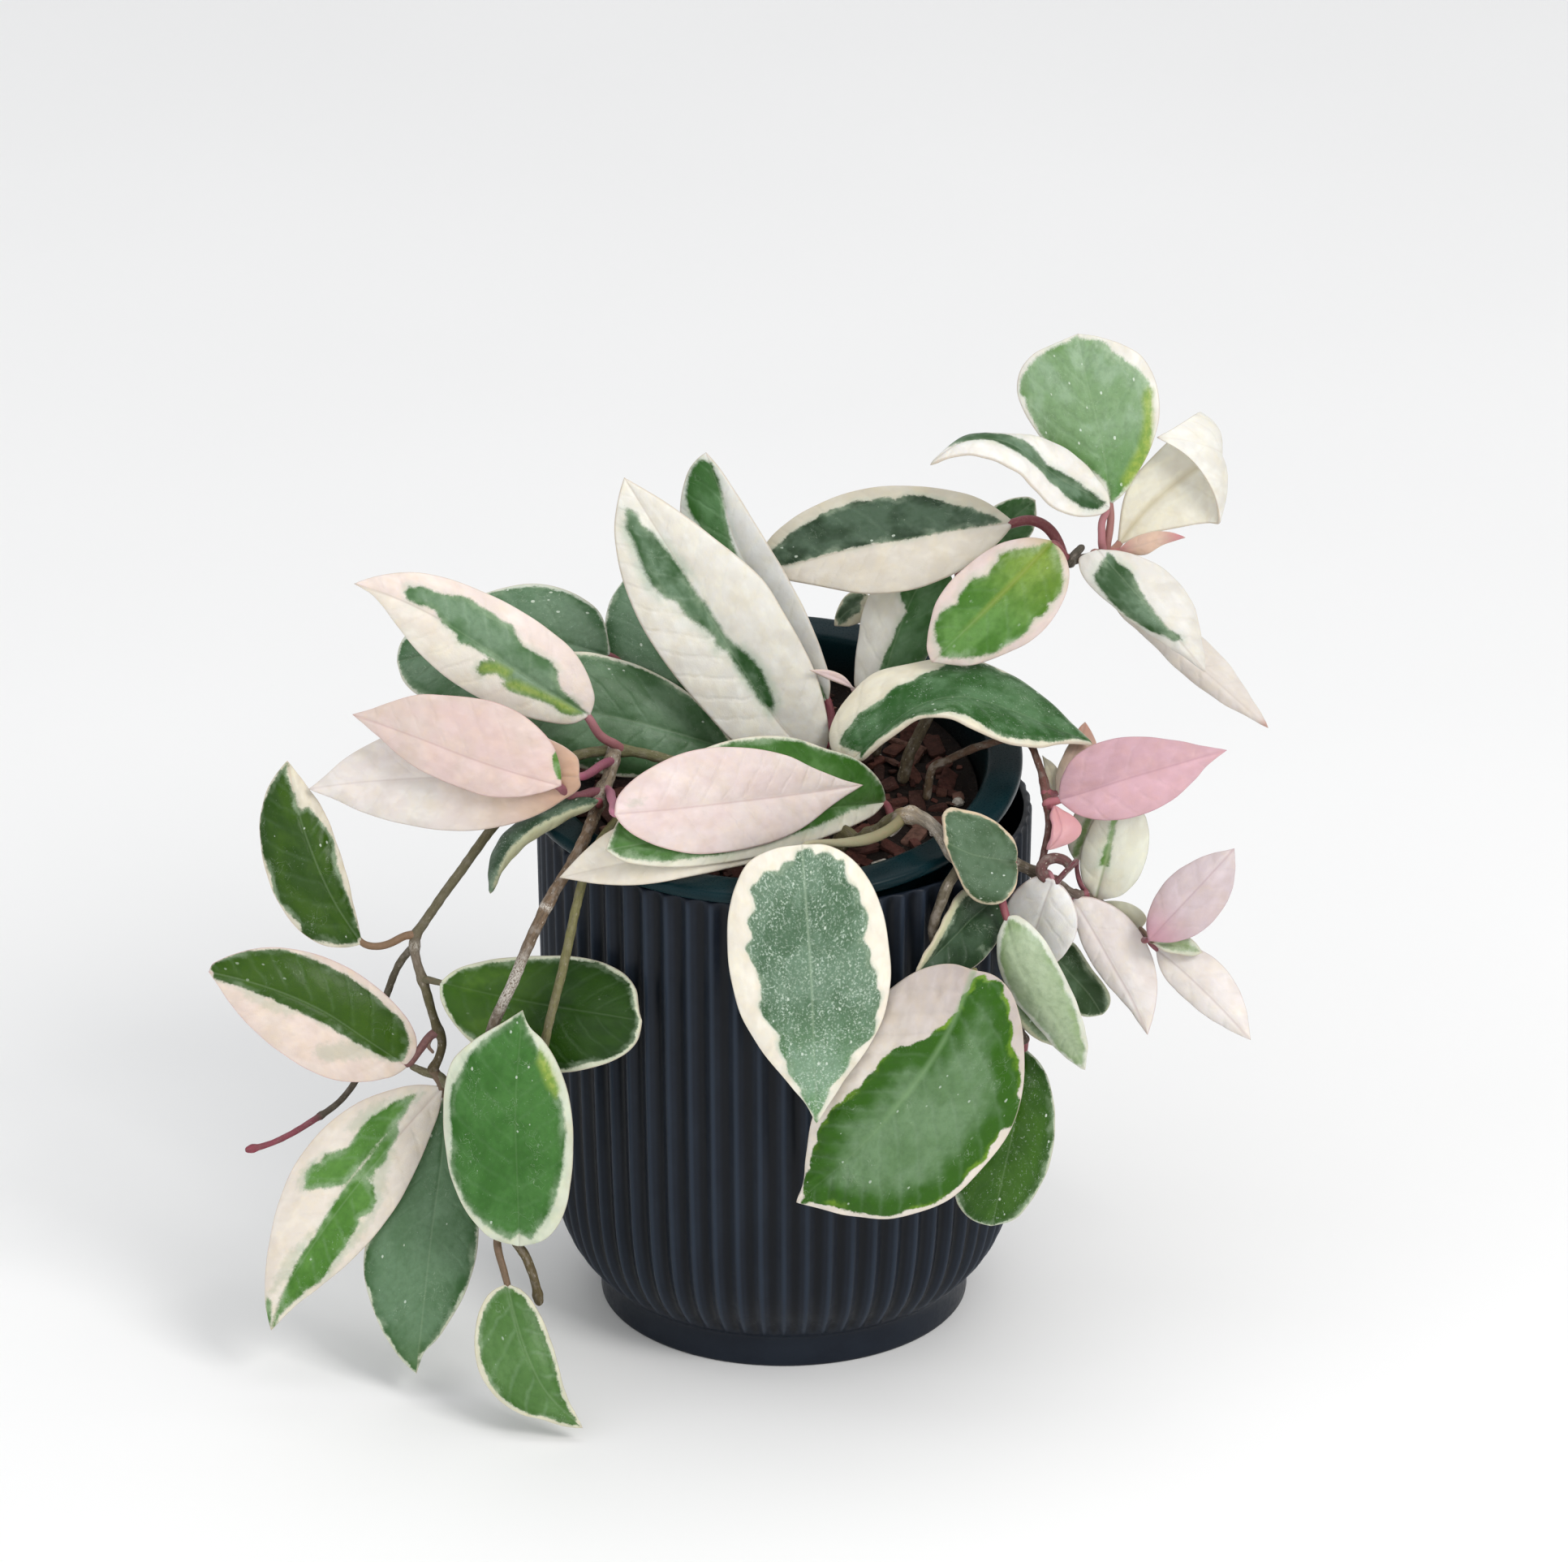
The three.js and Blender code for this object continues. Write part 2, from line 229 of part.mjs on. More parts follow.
// stalk runs from the stem to the blade; each blade station is [margin, midrib, margin]
const LEAVES = {
  leaf_top_round: { color: 0x5f8a55,
    stalk: [[97.3,16.7,240.9],[97.6,17.3,243.1],[98.3,18.9,247.7],[98.0,20.6,251.7]],
    blade: [[[98.0,20.6,251.7],[98.0,20.6,251.7],[98.0,20.6,251.7]],[[94.6,21.0,252.9],[97.7,21.1,254.3],[100.9,21.4,253.8]],[[90.6,21.8,255.5],[97.3,21.8,257.8],[104.0,22.5,257.1]],[[86.0,23.5,260.2],[96.7,23.0,262.5],[107.4,24.5,262.4]],[[81.3,25.4,265.4],[95.8,24.4,267.5],[110.5,26.8,268.3]],[[76.8,27.6,270.8],[94.8,26.1,272.3],[112.5,29.3,274.7]],[[72.9,29.9,276.4],[93.6,28.0,277.1],[112.8,32.1,281.2]],[[70.2,32.7,282.6],[92.4,30.2,281.7],[111.2,34.9,287.5]],[[70.6,35.4,288.6],[91.2,32.3,285.9],[107.9,37.3,292.6]],[[74.4,37.7,293.4],[90.1,34.6,289.9],[102.6,38.9,295.9]],[[79.3,38.9,295.6],[89.4,36.7,293.3],[97.6,39.8,297.6]],[[84.3,40.0,297.6],[88.8,38.8,296.6],[92.4,40.4,298.6]],[[88.2,40.6,299.1],[88.2,40.6,299.1],[88.2,40.6,299.1]]] },
  leaf_top_arched: { color: 0xe6e2d6,
    stalk: [[95.3,15.9,240.5],[95.5,15.4,243.9],[95.3,16.4,248.7],[97.7,17.4,251.8]],
    blade: [[[97.7,17.4,251.8],[97.7,17.4,251.8],[97.7,17.4,251.8]],[[97.5,18.2,255.1],[95.1,16.0,254.3],[95.0,13.6,251.6]],[[95.4,18.3,259.4],[91.6,14.3,257.6],[90.9,9.8,252.5]],[[91.3,18.4,264.5],[86.5,12.2,261.3],[85.3,6.2,254.8]],[[86.5,18.4,269.7],[81.0,10.6,265.3],[79.7,3.7,258.6]],[[80.5,17.9,273.4],[75.9,9.8,269.6],[75.2,2.8,263.5]],[[74.0,17.1,275.6],[71.1,9.7,273.9],[71.5,2.9,268.6]],[[67.2,15.9,276.6],[65.5,9.7,276.8],[66.2,3.2,271.8]],[[61.0,14.9,277.1],[59.9,9.5,277.8],[61.1,3.9,273.6]],[[54.8,13.7,276.7],[54.3,9.2,277.0],[55.7,4.9,274.6]],[[50.4,12.0,274.6],[50.2,8.7,275.0],[51.2,5.8,273.8]],[[46.6,10.0,271.9],[46.5,8.2,272.2],[46.9,6.7,271.8]],[[43.6,8.1,269.9],[43.6,8.1,269.9],[43.6,8.1,269.9]]] },
  leaf_top_folded: { color: 0xe6e2d6,
    stalk: [[98.0,19.6,237.1],[99.3,21.9,236.3],[100.5,24.1,237.0]],
    blade: [[[100.5,24.1,237.0],[100.5,24.1,237.0],[100.5,24.1,237.0]],[[101.0,26.1,241.4],[103.5,27.2,240.2],[105.7,25.0,239.0]],[[101.5,28.6,245.7],[106.8,30.4,243.6],[111.1,26.3,240.6]],[[103.0,31.8,251.5],[110.7,33.7,247.2],[118.0,27.2,241.5]],[[105.7,34.2,255.6],[114.9,35.7,250.4],[122.4,28.1,242.2]],[[109.7,36.4,259.1],[119.3,37.2,253.8],[125.8,28.3,242.6]],[[114.1,38.8,263.2],[124.0,38.2,257.1],[128.0,27.9,243.1]],[[120.0,41.0,268.1],[128.8,38.0,260.3],[129.4,27.0,243.4]],[[125.8,41.6,273.1],[133.3,35.9,262.8],[130.8,25.6,244.0]],[[124.2,38.1,273.8],[131.1,31.2,265.8],[130.2,24.6,250.1]],[[121.3,34.7,273.6],[126.3,29.0,268.3],[127.8,24.4,257.0]],[[117.6,31.4,272.3],[119.7,28.6,269.8],[121.9,26.5,265.1]],[[111.9,28.8,270.2],[111.9,28.8,270.2],[111.9,28.8,270.2]]] },
  leaf_right_drooping: { color: 0xe6e2d6,
    stalk: [[93.2,15.1,238.1],[92.4,13.2,239.0],[94.0,12.0,240.8]],
    blade: [[[94.0,12.0,240.8],[94.0,12.0,240.8],[94.0,12.0,240.8]],[[91.2,11.6,239.9],[95.6,10.5,239.5],[96.8,12.2,240.7]],[[88.3,10.3,238.1],[97.7,8.5,237.6],[100.6,12.0,240.6]],[[89.9,7.8,233.6],[100.6,6.1,235.0],[105.5,11.3,239.5]],[[93.5,5.4,229.7],[103.8,3.6,232.0],[110.7,10.1,237.7]],[[98.0,3.4,226.4],[107.0,1.4,229.0],[115.3,8.4,235.0]],[[102.5,1.5,223.2],[110.2,-0.6,225.8],[119.3,6.4,231.6]],[[107.2,-0.4,220.2],[113.5,-2.4,222.7],[122.3,4.1,227.6]],[[111.7,-1.9,217.6],[116.7,-3.8,219.8],[124.0,1.6,223.3]],[[116.3,-3.4,215.1],[119.7,-5.0,216.7],[125.1,-0.9,219.0]],[[120.0,-4.6,213.1],[122.1,-5.9,214.1],[125.8,-3.0,215.4]],[[123.5,-6.0,210.8],[124.4,-6.8,211.3],[126.0,-5.2,211.8]],[[126.2,-7.3,209.1],[126.2,-7.3,209.1],[126.2,-7.3,209.1]]] },
  leaf_right_drooping_back: { color: 0xe6e2d6,
    stalk: [[95.1,20.6,235.9],[95.2,21.3,235.7],[97.9,24.0,232.2]],
    blade: [[[97.9,24.0,232.2],[97.9,24.0,232.2],[97.9,24.0,232.2]],[[98.1,23.2,228.5],[100.0,22.8,229.7],[100.6,24.0,229.7]],[[98.2,21.8,223.8],[102.8,21.4,226.2],[104.2,23.6,226.5]],[[100.3,20.0,217.6],[106.6,19.4,221.4],[109.1,22.8,222.2]],[[105.5,18.6,212.4],[110.9,17.4,216.2],[114.7,21.9,217.7]],[[111.0,17.3,207.6],[115.4,15.7,211.0],[120.5,21.1,213.6]],[[116.3,15.9,202.5],[120.4,14.2,206.2],[126.1,20.0,209.2]],[[121.7,14.4,197.6],[125.7,13.1,201.6],[131.1,18.6,204.4]],[[127.1,13.3,193.6],[130.6,12.2,197.4],[135.4,17.0,199.7]],[[132.9,12.3,190.0],[135.4,11.4,193.1],[139.1,15.2,194.7]],[[137.8,11.7,187.4],[139.4,10.9,189.4],[141.9,13.6,190.4]],[[142.8,10.9,184.9],[143.4,10.3,185.8],[144.6,11.8,186.2]],[[146.5,10.0,183.0],[146.5,10.0,183.0],[146.5,10.0,183.0]]] },
  leaf_right_bright: { color: 0x5f8a55,
    stalk: [[85.4,18.2,235.3],[84.5,16.4,236.3],[82.9,13.9,239.7],[80.7,14.0,242.9]],
    blade: [[[80.7,14.0,242.9],[80.7,14.0,242.9],[80.7,14.0,242.9]],[[77.6,14.5,243.3],[78.9,12.8,241.4],[82.9,13.0,240.6]],[[73.6,14.7,243.6],[76.5,11.2,239.3],[85.1,11.2,237.2]],[[68.0,14.5,242.9],[73.3,9.2,236.4],[85.6,8.6,231.7]],[[62.3,13.6,240.9],[69.6,7.2,233.3],[83.6,5.8,226.0]],[[57.3,12.2,237.6],[66.0,5.5,230.1],[80.1,3.4,220.8]],[[52.5,10.7,234.1],[62.3,4.1,226.8],[75.4,1.6,216.4]],[[48.4,8.9,229.9],[58.7,2.8,223.3],[69.7,0.3,213.2]],[[45.5,7.1,225.4],[55.4,1.8,220.1],[64.0,-0.5,210.9]],[[43.9,5.0,220.5],[52.0,1.0,216.8],[58.2,-1.0,209.0]],[[43.0,3.4,216.3],[49.3,0.6,214.1],[53.2,-0.8,208.3]],[[43.0,1.5,212.1],[46.5,0.2,211.3],[48.2,-0.3,208.7]],[[44.4,-0.0,209.1],[44.4,-0.0,209.1],[44.4,-0.0,209.1]]] },
  leaf_top_long: { color: 0x5f8a55,
    stalk: [[83.4,22.4,236.1],[82.2,23.9,239.2],[78.7,25.5,243.0],[73.8,26.1,244.6],[69.4,25.7,243.7]],
    blade: [[[69.4,25.7,243.7],[69.4,25.7,243.7],[69.4,25.7,243.7]],[[65.9,27.9,246.0],[65.4,25.2,243.4],[66.8,23.5,240.9]],[[60.9,30.1,248.8],[60.1,24.7,242.9],[62.7,21.1,237.4]],[[53.1,32.2,251.1],[52.7,24.2,241.9],[56.4,18.6,233.1]],[[44.1,33.9,252.1],[44.8,23.9,240.7],[48.7,16.9,229.5]],[[34.9,35.2,252.0],[36.8,24.0,239.2],[40.5,16.1,226.6]],[[25.8,36.1,251.0],[28.9,24.4,237.4],[31.9,16.4,224.7]],[[16.9,36.4,248.5],[21.0,25.0,235.2],[23.2,17.8,224.0]],[[9.2,36.1,245.0],[13.8,25.8,232.9],[15.3,20.1,224.4]],[[1.9,35.5,240.7],[6.7,26.8,230.2],[7.5,22.8,224.8]],[[-3.4,34.7,236.2],[0.7,28.2,228.3],[1.0,25.5,224.9]],[[-7.3,33.1,230.6],[-5.3,29.9,227.2],[-5.3,28.5,225.6]],[[-10.1,31.6,226.3],[-10.1,31.6,226.3],[-10.1,31.6,226.3]]] },
  leaf_top_behind: { color: 0x3c6436,
    stalk: [[61.3,27.4,215.8],[55.3,35.9,214.8],[52.8,46.0,220.1]],
    blade: [[[52.8,46.0,220.1],[52.8,46.0,220.1],[52.8,46.0,220.1]],[[53.5,46.3,221.8],[53.9,45.8,221.4],[54.6,45.6,220.5]],[[54.2,46.5,224.2],[55.4,45.5,223.2],[57.0,45.0,220.9]],[[55.3,47.0,227.3],[57.4,45.3,225.5],[60.3,44.4,221.8]],[[56.6,47.5,230.7],[59.6,45.3,227.9],[63.5,44.1,223.4]],[[58.4,48.0,233.9],[61.9,45.3,230.3],[66.5,44.2,225.6]],[[60.6,48.5,236.7],[64.2,45.4,232.4],[69.5,44.4,227.7]],[[63.3,48.8,239.1],[66.7,45.7,234.5],[72.8,44.4,229.4]],[[66.1,49.0,240.8],[68.9,46.0,236.3],[75.2,44.8,231.6]],[[69.2,49.0,241.9],[71.2,46.5,238.0],[76.2,45.7,234.6]],[[71.8,49.0,242.5],[73.0,47.0,239.4],[76.7,46.5,237.2]],[[74.5,48.6,242.5],[74.9,47.5,240.7],[76.5,47.4,239.7]],[[76.3,48.0,241.8],[76.3,48.0,241.8],[76.3,48.0,241.8]]] },
  leaf_back_upright_right: { color: 0x5f8a55,
    stalk: [[27.5,20.8,182.3],[27.6,20.8,182.7]],
    blade: [[[27.6,20.8,182.7],[27.6,20.8,182.7],[27.6,20.8,182.7]],[[25.5,21.8,184.8],[28.2,21.3,185.2],[29.9,21.8,184.2]],[[22.7,22.8,187.8],[29.0,22.0,188.4],[33.0,22.7,186.3]],[[21.2,24.8,192.8],[30.1,23.2,192.8],[36.9,24.1,189.6]],[[21.6,27.1,198.6],[31.4,24.7,197.4],[40.3,25.9,193.8]],[[22.4,29.6,204.3],[32.9,26.3,201.9],[43.3,27.9,198.3]],[[23.3,32.1,210.0],[34.5,28.2,206.3],[46.2,29.9,202.9]],[[25.3,34.6,215.3],[36.2,30.3,210.5],[48.6,32.1,207.6]],[[28.5,36.7,219.6],[38.0,32.4,214.3],[50.4,34.2,212.1]],[[32.6,38.5,223.1],[40.1,34.5,217.8],[51.6,36.4,216.8]],[[37.0,39.4,224.5],[42.0,36.5,220.6],[51.0,38.2,220.6]],[[41.7,39.9,224.9],[43.9,38.4,223.2],[47.9,39.5,223.3]],[[45.3,40.1,225.3],[45.3,40.1,225.3],[45.3,40.1,225.3]]] },
  leaf_back_small: { color: 0x3c6436,
    stalk: [[28.6,40.1,208.4],[28.4,38.8,209.2]],
    blade: [[[28.4,38.8,209.2],[28.4,38.8,209.2],[28.4,38.8,209.2]],[[28.0,39.5,210.1],[27.6,39.0,209.5],[28.0,38.8,208.5]],[[27.5,40.4,211.3],[26.7,39.2,209.9],[27.5,38.7,207.7]],[[26.3,41.5,212.8],[25.4,39.5,210.3],[26.6,38.6,206.6]],[[24.3,42.3,213.8],[23.8,39.8,210.4],[25.3,38.7,205.8]],[[22.1,43.0,214.2],[22.3,40.0,210.0],[23.9,38.9,205.3]],[[19.9,43.0,213.2],[20.8,40.1,209.3],[22.5,39.1,204.7]],[[18.1,42.8,211.7],[19.5,40.2,208.4],[21.0,39.3,204.2]],[[16.9,42.4,210.0],[18.4,40.3,207.4],[19.7,39.5,203.7]],[[16.1,41.9,208.0],[17.4,40.3,206.2],[18.4,39.8,203.4]],[[15.6,41.6,206.3],[16.7,40.5,205.1],[17.3,40.2,203.3]],[[15.4,41.1,204.6],[15.9,40.5,204.1],[16.2,40.5,203.3]],[[15.3,40.7,203.3],[15.3,40.7,203.3],[15.3,40.7,203.3]]] },
  leaf_centre_tall: { color: 0x5f8a55,
    stalk: [[12.7,5.5,174.4],[11.3,4.9,174.8]],
    blade: [[[11.3,4.9,174.8],[11.3,4.9,174.8],[11.3,4.9,174.8]],[[5.4,1.9,174.8],[7.0,4.1,178.4],[13.3,4.5,180.6]],[[-2.5,-1.0,176.7],[1.5,3.2,183.6],[13.0,4.5,188.7]],[[-12.5,-2.9,182.2],[-4.5,3.1,191.8],[10.8,5.0,199.4]],[[-21.2,-3.2,191.1],[-10.1,3.4,201.3],[6.4,5.6,210.4]],[[-28.9,-2.6,200.8],[-15.8,4.0,210.7],[1.0,6.4,220.7]],[[-36.3,-1.6,210.5],[-21.2,4.9,220.0],[-4.7,7.5,230.5]],[[-42.6,0.2,220.7],[-26.4,6.2,229.2],[-12.5,8.4,238.7]],[[-46.9,2.6,230.6],[-31.1,7.7,237.6],[-20.4,9.3,245.3]],[[-49.8,5.5,240.7],[-36.1,9.3,245.7],[-28.4,10.4,251.6]],[[-50.8,8.1,249.2],[-40.3,10.7,252.3],[-35.2,11.3,256.3]],[[-49.7,11.2,257.5],[-44.6,12.4,258.7],[-42.2,12.6,260.6]],[[-47.9,13.7,263.6],[-47.9,13.7,263.6],[-47.9,13.7,263.6]]] },
  leaf_centre_tall_back: { color: 0x5f8a55,
    stalk: [[14.5,14.3,182.8],[14.5,14.8,183.1],[13.5,17.9,187.8]],
    blade: [[[13.5,17.9,187.8],[13.5,17.9,187.8],[13.5,17.9,187.8]],[[9.3,17.8,190.3],[11.7,18.2,191.8],[14.0,17.9,192.4]],[[5.8,18.5,195.8],[9.2,18.6,197.2],[13.2,18.1,198.5]],[[0.8,19.7,203.1],[5.6,19.5,204.4],[10.7,18.8,206.4]],[[-5.3,20.9,210.7],[1.1,20.4,211.8],[7.6,19.8,214.7]],[[-11.8,22.0,217.8],[-3.6,21.5,219.0],[3.7,20.9,222.5]],[[-18.6,23.2,224.6],[-8.0,22.9,226.3],[-0.5,22.4,230.1]],[[-25.5,24.5,231.3],[-12.3,24.5,233.6],[-4.8,24.1,237.3]],[[-30.1,26.4,238.4],[-15.3,26.4,240.5],[-8.9,26.0,243.8]],[[-31.4,28.9,246.7],[-17.4,28.6,247.7],[-13.1,28.2,250.1]],[[-30.4,31.1,253.5],[-19.4,30.5,253.4],[-16.5,30.1,255.2]],[[-27.7,33.2,259.8],[-21.7,32.5,259.0],[-20.2,32.3,260.0]],[[-23.5,34.1,263.3],[-23.5,34.1,263.3],[-23.5,34.1,263.3]]] },
  leaf_right_arch: { color: 0x5f8a55,
    stalk: [[16.8,-7.0,173.7],[19.3,-8.0,179.0]],
    blade: [[[19.3,-8.0,179.0],[19.3,-8.0,179.0],[19.3,-8.0,179.0]],[[15.0,-4.6,181.3],[22.4,-8.4,182.2],[23.0,-12.0,182.2]],[[13.7,-0.9,187.2],[26.6,-8.8,186.3],[27.0,-14.8,187.3]],[[18.4,3.5,195.0],[32.3,-8.9,191.6],[32.6,-17.3,193.5]],[[25.7,7.3,202.3],[38.9,-8.6,196.9],[39.3,-19.2,198.9]],[[36.5,8.5,204.6],[46.5,-8.5,200.1],[47.0,-20.9,201.1]],[[47.4,9.2,206.7],[54.6,-8.7,201.2],[54.6,-22.7,199.3]],[[58.4,8.4,206.3],[62.6,-9.5,199.4],[61.6,-23.9,195.7]],[[67.7,6.0,203.1],[69.7,-10.1,196.9],[68.5,-23.3,192.8]],[[76.1,2.7,198.3],[76.7,-10.3,193.8],[75.8,-20.9,191.0]],[[82.4,-0.5,193.8],[82.4,-10.0,191.0],[81.8,-17.4,190.2]],[[88.2,-4.5,189.2],[88.2,-9.5,188.3],[87.9,-13.4,188.6]],[[92.7,-8.8,186.1],[92.7,-8.8,186.1],[92.7,-8.8,186.1]]] },
  leaf_left_upper: { color: 0x5f8a55,
    stalk: [[-50.8,-12.2,187.1],[-50.6,-12.9,187.9],[-53.8,-15.0,190.2],[-56.7,-15.3,193.5],[-58.1,-14.0,197.8]],
    blade: [[[-58.1,-14.0,197.8],[-58.1,-14.0,197.8],[-58.1,-14.0,197.8]],[[-56.7,-12.5,202.0],[-61.6,-14.2,200.1],[-61.9,-15.4,196.2]],[[-58.0,-10.8,207.8],[-66.2,-14.5,203.2],[-67.6,-16.6,196.2]],[[-61.9,-8.5,215.2],[-72.6,-14.3,207.4],[-75.4,-17.0,198.2]],[[-68.6,-6.7,221.5],[-79.3,-13.8,212.1],[-83.5,-16.9,201.2]],[[-76.3,-5.1,226.7],[-85.9,-12.8,216.8],[-91.4,-16.2,204.7]],[[-84.4,-3.7,231.2],[-92.6,-11.5,221.2],[-98.8,-14.9,209.0]],[[-93.0,-2.4,234.9],[-99.4,-9.9,225.3],[-105.5,-12.9,214.0]],[[-101.1,-1.4,237.5],[-105.9,-8.3,228.6],[-111.1,-10.7,219.2]],[[-109.6,-0.8,238.8],[-112.7,-6.5,231.4],[-116.0,-7.9,224.8]],[[-116.6,-0.7,238.8],[-118.3,-5.0,233.2],[-119.8,-5.5,229.5]],[[-123.5,-1.1,237.4],[-124.1,-3.4,234.7],[-124.2,-3.2,233.7]],[[-128.6,-2.0,235.7],[-128.6,-2.0,235.7],[-128.6,-2.0,235.7]]] },
  leaf_left_back_round: { color: 0x5f8a55,
    stalk: [[-49.4,22.3,198.6],[-49.5,22.0,199.0],[-52.5,19.9,202.5]],
    blade: [[[-52.5,19.9,202.5],[-52.5,19.9,202.5],[-52.5,19.9,202.5]],[[-53.1,21.7,206.4],[-55.7,19.7,203.5],[-55.1,18.8,200.0]],[[-54.1,23.8,211.8],[-59.9,19.6,204.9],[-58.7,17.1,196.9]],[[-58.9,26.2,217.5],[-65.7,19.6,206.6],[-64.8,15.6,194.3]],[[-66.7,27.6,221.2],[-72.2,19.6,207.7],[-72.0,14.6,192.7]],[[-75.2,28.3,222.9],[-78.8,19.4,208.0],[-79.3,13.9,191.2]],[[-83.9,27.9,221.9],[-85.3,19.2,207.8],[-86.7,13.4,190.1]],[[-92.2,26.9,219.5],[-91.8,19.1,206.9],[-94.2,13.3,189.6]],[[-99.8,26.0,217.0],[-97.7,18.9,205.6],[-101.1,13.6,189.7]],[[-107.0,24.8,213.7],[-103.6,18.9,204.2],[-107.8,14.3,190.7]],[[-112.4,23.6,210.1],[-108.5,19.1,203.0],[-112.8,15.7,192.9]],[[-116.3,21.7,205.3],[-113.3,19.4,201.7],[-116.0,17.9,196.9]],[[-117.1,19.7,200.7],[-117.1,19.7,200.7],[-117.1,19.7,200.7]]] },
  leaf_back_upright_left: { color: 0x5f8a55,
    stalk: [[-30.5,25.0,180.0],[-29.2,22.7,180.0],[-28.0,17.2,183.8]],
    blade: [[[-28.0,17.2,183.8],[-28.0,17.2,183.8],[-28.0,17.2,183.8]],[[-31.4,16.4,184.4],[-29.0,16.8,186.5],[-26.2,17.3,186.2]],[[-35.8,15.3,185.0],[-30.3,16.5,189.9],[-23.6,17.3,189.3]],[[-41.7,15.0,186.5],[-32.1,17.0,194.2],[-20.5,18.3,193.6]],[[-46.8,16.8,190.4],[-34.1,18.6,198.5],[-20.2,20.6,198.8]],[[-50.5,20.1,195.0],[-36.0,21.2,202.3],[-22.4,23.8,203.2]],[[-53.0,24.6,199.8],[-38.0,25.0,205.6],[-25.2,27.9,207.0]],[[-54.3,30.2,204.5],[-39.8,29.9,208.5],[-27.9,32.9,210.5]],[[-54.3,36.2,208.6],[-41.1,35.3,210.9],[-30.5,38.3,213.2]],[[-52.5,42.8,212.0],[-42.0,41.6,213.0],[-33.6,44.3,215.4]],[[-49.5,48.9,213.8],[-42.6,47.9,214.3],[-36.8,50.0,216.2]],[[-46.3,54.8,215.4],[-43.2,54.2,215.6],[-40.6,55.2,216.4]],[[-43.6,59.9,216.3],[-43.6,59.9,216.3],[-43.6,59.9,216.3]]] },
  leaf_left_wide_green: { color: 0x5f8a55,
    stalk: [[11.9,10.1,177.0],[4.7,10.5,174.6],[-14.5,9.0,175.6]],
    blade: [[[-14.5,9.0,175.6],[-14.5,9.0,175.6],[-14.5,9.0,175.6]],[[-16.5,10.2,179.6],[-17.8,8.2,177.1],[-17.2,7.0,173.7]],[[-20.3,11.2,184.4],[-22.2,7.2,179.2],[-21.5,4.5,172.1]],[[-26.0,12.5,190.7],[-28.4,6.1,181.8],[-28.2,2.1,171.3]],[[-33.1,13.4,196.4],[-35.0,5.1,184.4],[-35.6,0.1,171.3]],[[-41.2,13.9,200.9],[-41.7,4.2,186.8],[-43.1,-1.6,171.7]],[[-49.8,13.9,204.4],[-48.5,3.6,188.9],[-50.5,-2.8,172.6]],[[-58.8,13.4,206.5],[-55.3,3.0,190.6],[-57.8,-3.3,174.5]],[[-67.1,12.4,207.0],[-61.6,2.7,191.9],[-64.3,-3.2,176.9]],[[-74.5,9.9,204.2],[-68.0,2.2,192.3],[-70.4,-2.6,180.1]],[[-78.6,6.8,199.5],[-73.2,1.5,191.8],[-75.1,-1.9,183.0]],[[-81.0,3.4,194.1],[-78.2,0.8,190.6],[-79.3,-0.8,186.6]],[[-82.1,0.3,189.7],[-82.1,0.3,189.7],[-82.1,0.3,189.7]]] },
  leaf_left_pink: { color: 0xe2c3c4,
    stalk: [[-55.1,-37.7,181.1],[-56.6,-37.6,183.7],[-60.3,-44.4,184.7],[-64.1,-47.5,187.2],[-66.0,-47.6,190.1]],
    blade: [[[-66.0,-47.6,190.1],[-66.0,-47.6,190.1],[-66.0,-47.6,190.1]],[[-66.0,-46.0,193.7],[-69.2,-47.8,191.1],[-69.3,-48.1,189.0]],[[-67.2,-44.1,198.3],[-73.4,-47.9,192.2],[-73.8,-48.8,187.8]],[[-70.7,-41.5,203.9],[-79.2,-47.7,193.8],[-80.1,-49.2,187.0]],[[-76.5,-39.2,208.6],[-85.5,-47.0,195.6],[-87.1,-49.0,187.1]],[[-83.3,-37.2,211.8],[-91.8,-46.0,197.4],[-93.9,-47.8,188.6]],[[-90.8,-35.8,213.3],[-97.9,-44.4,199.2],[-100.5,-46.1,190.6]],[[-98.6,-34.5,213.6],[-104.1,-42.4,201.1],[-106.9,-44.0,192.9]],[[-105.8,-33.3,213.6],[-109.7,-40.3,202.5],[-112.4,-41.6,195.5]],[[-112.9,-32.6,212.1],[-115.4,-37.9,203.8],[-117.4,-38.7,198.7]],[[-118.5,-32.1,209.9],[-120.1,-35.6,204.7],[-121.2,-35.9,201.5]],[[-124.1,-31.8,207.6],[-124.8,-33.4,205.5],[-125.3,-33.4,204.1]],[[-128.5,-31.3,206.1],[-128.5,-31.3,206.1],[-128.5,-31.3,206.1]]] },
  leaf_left_cream: { color: 0xe6e2d6,
    stalk: [[-52.7,-27.9,182.8],[-51.9,-28.7,185.0],[-53.8,-30.4,190.2],[-57.0,-40.6,192.0],[-60.8,-44.5,191.6]],
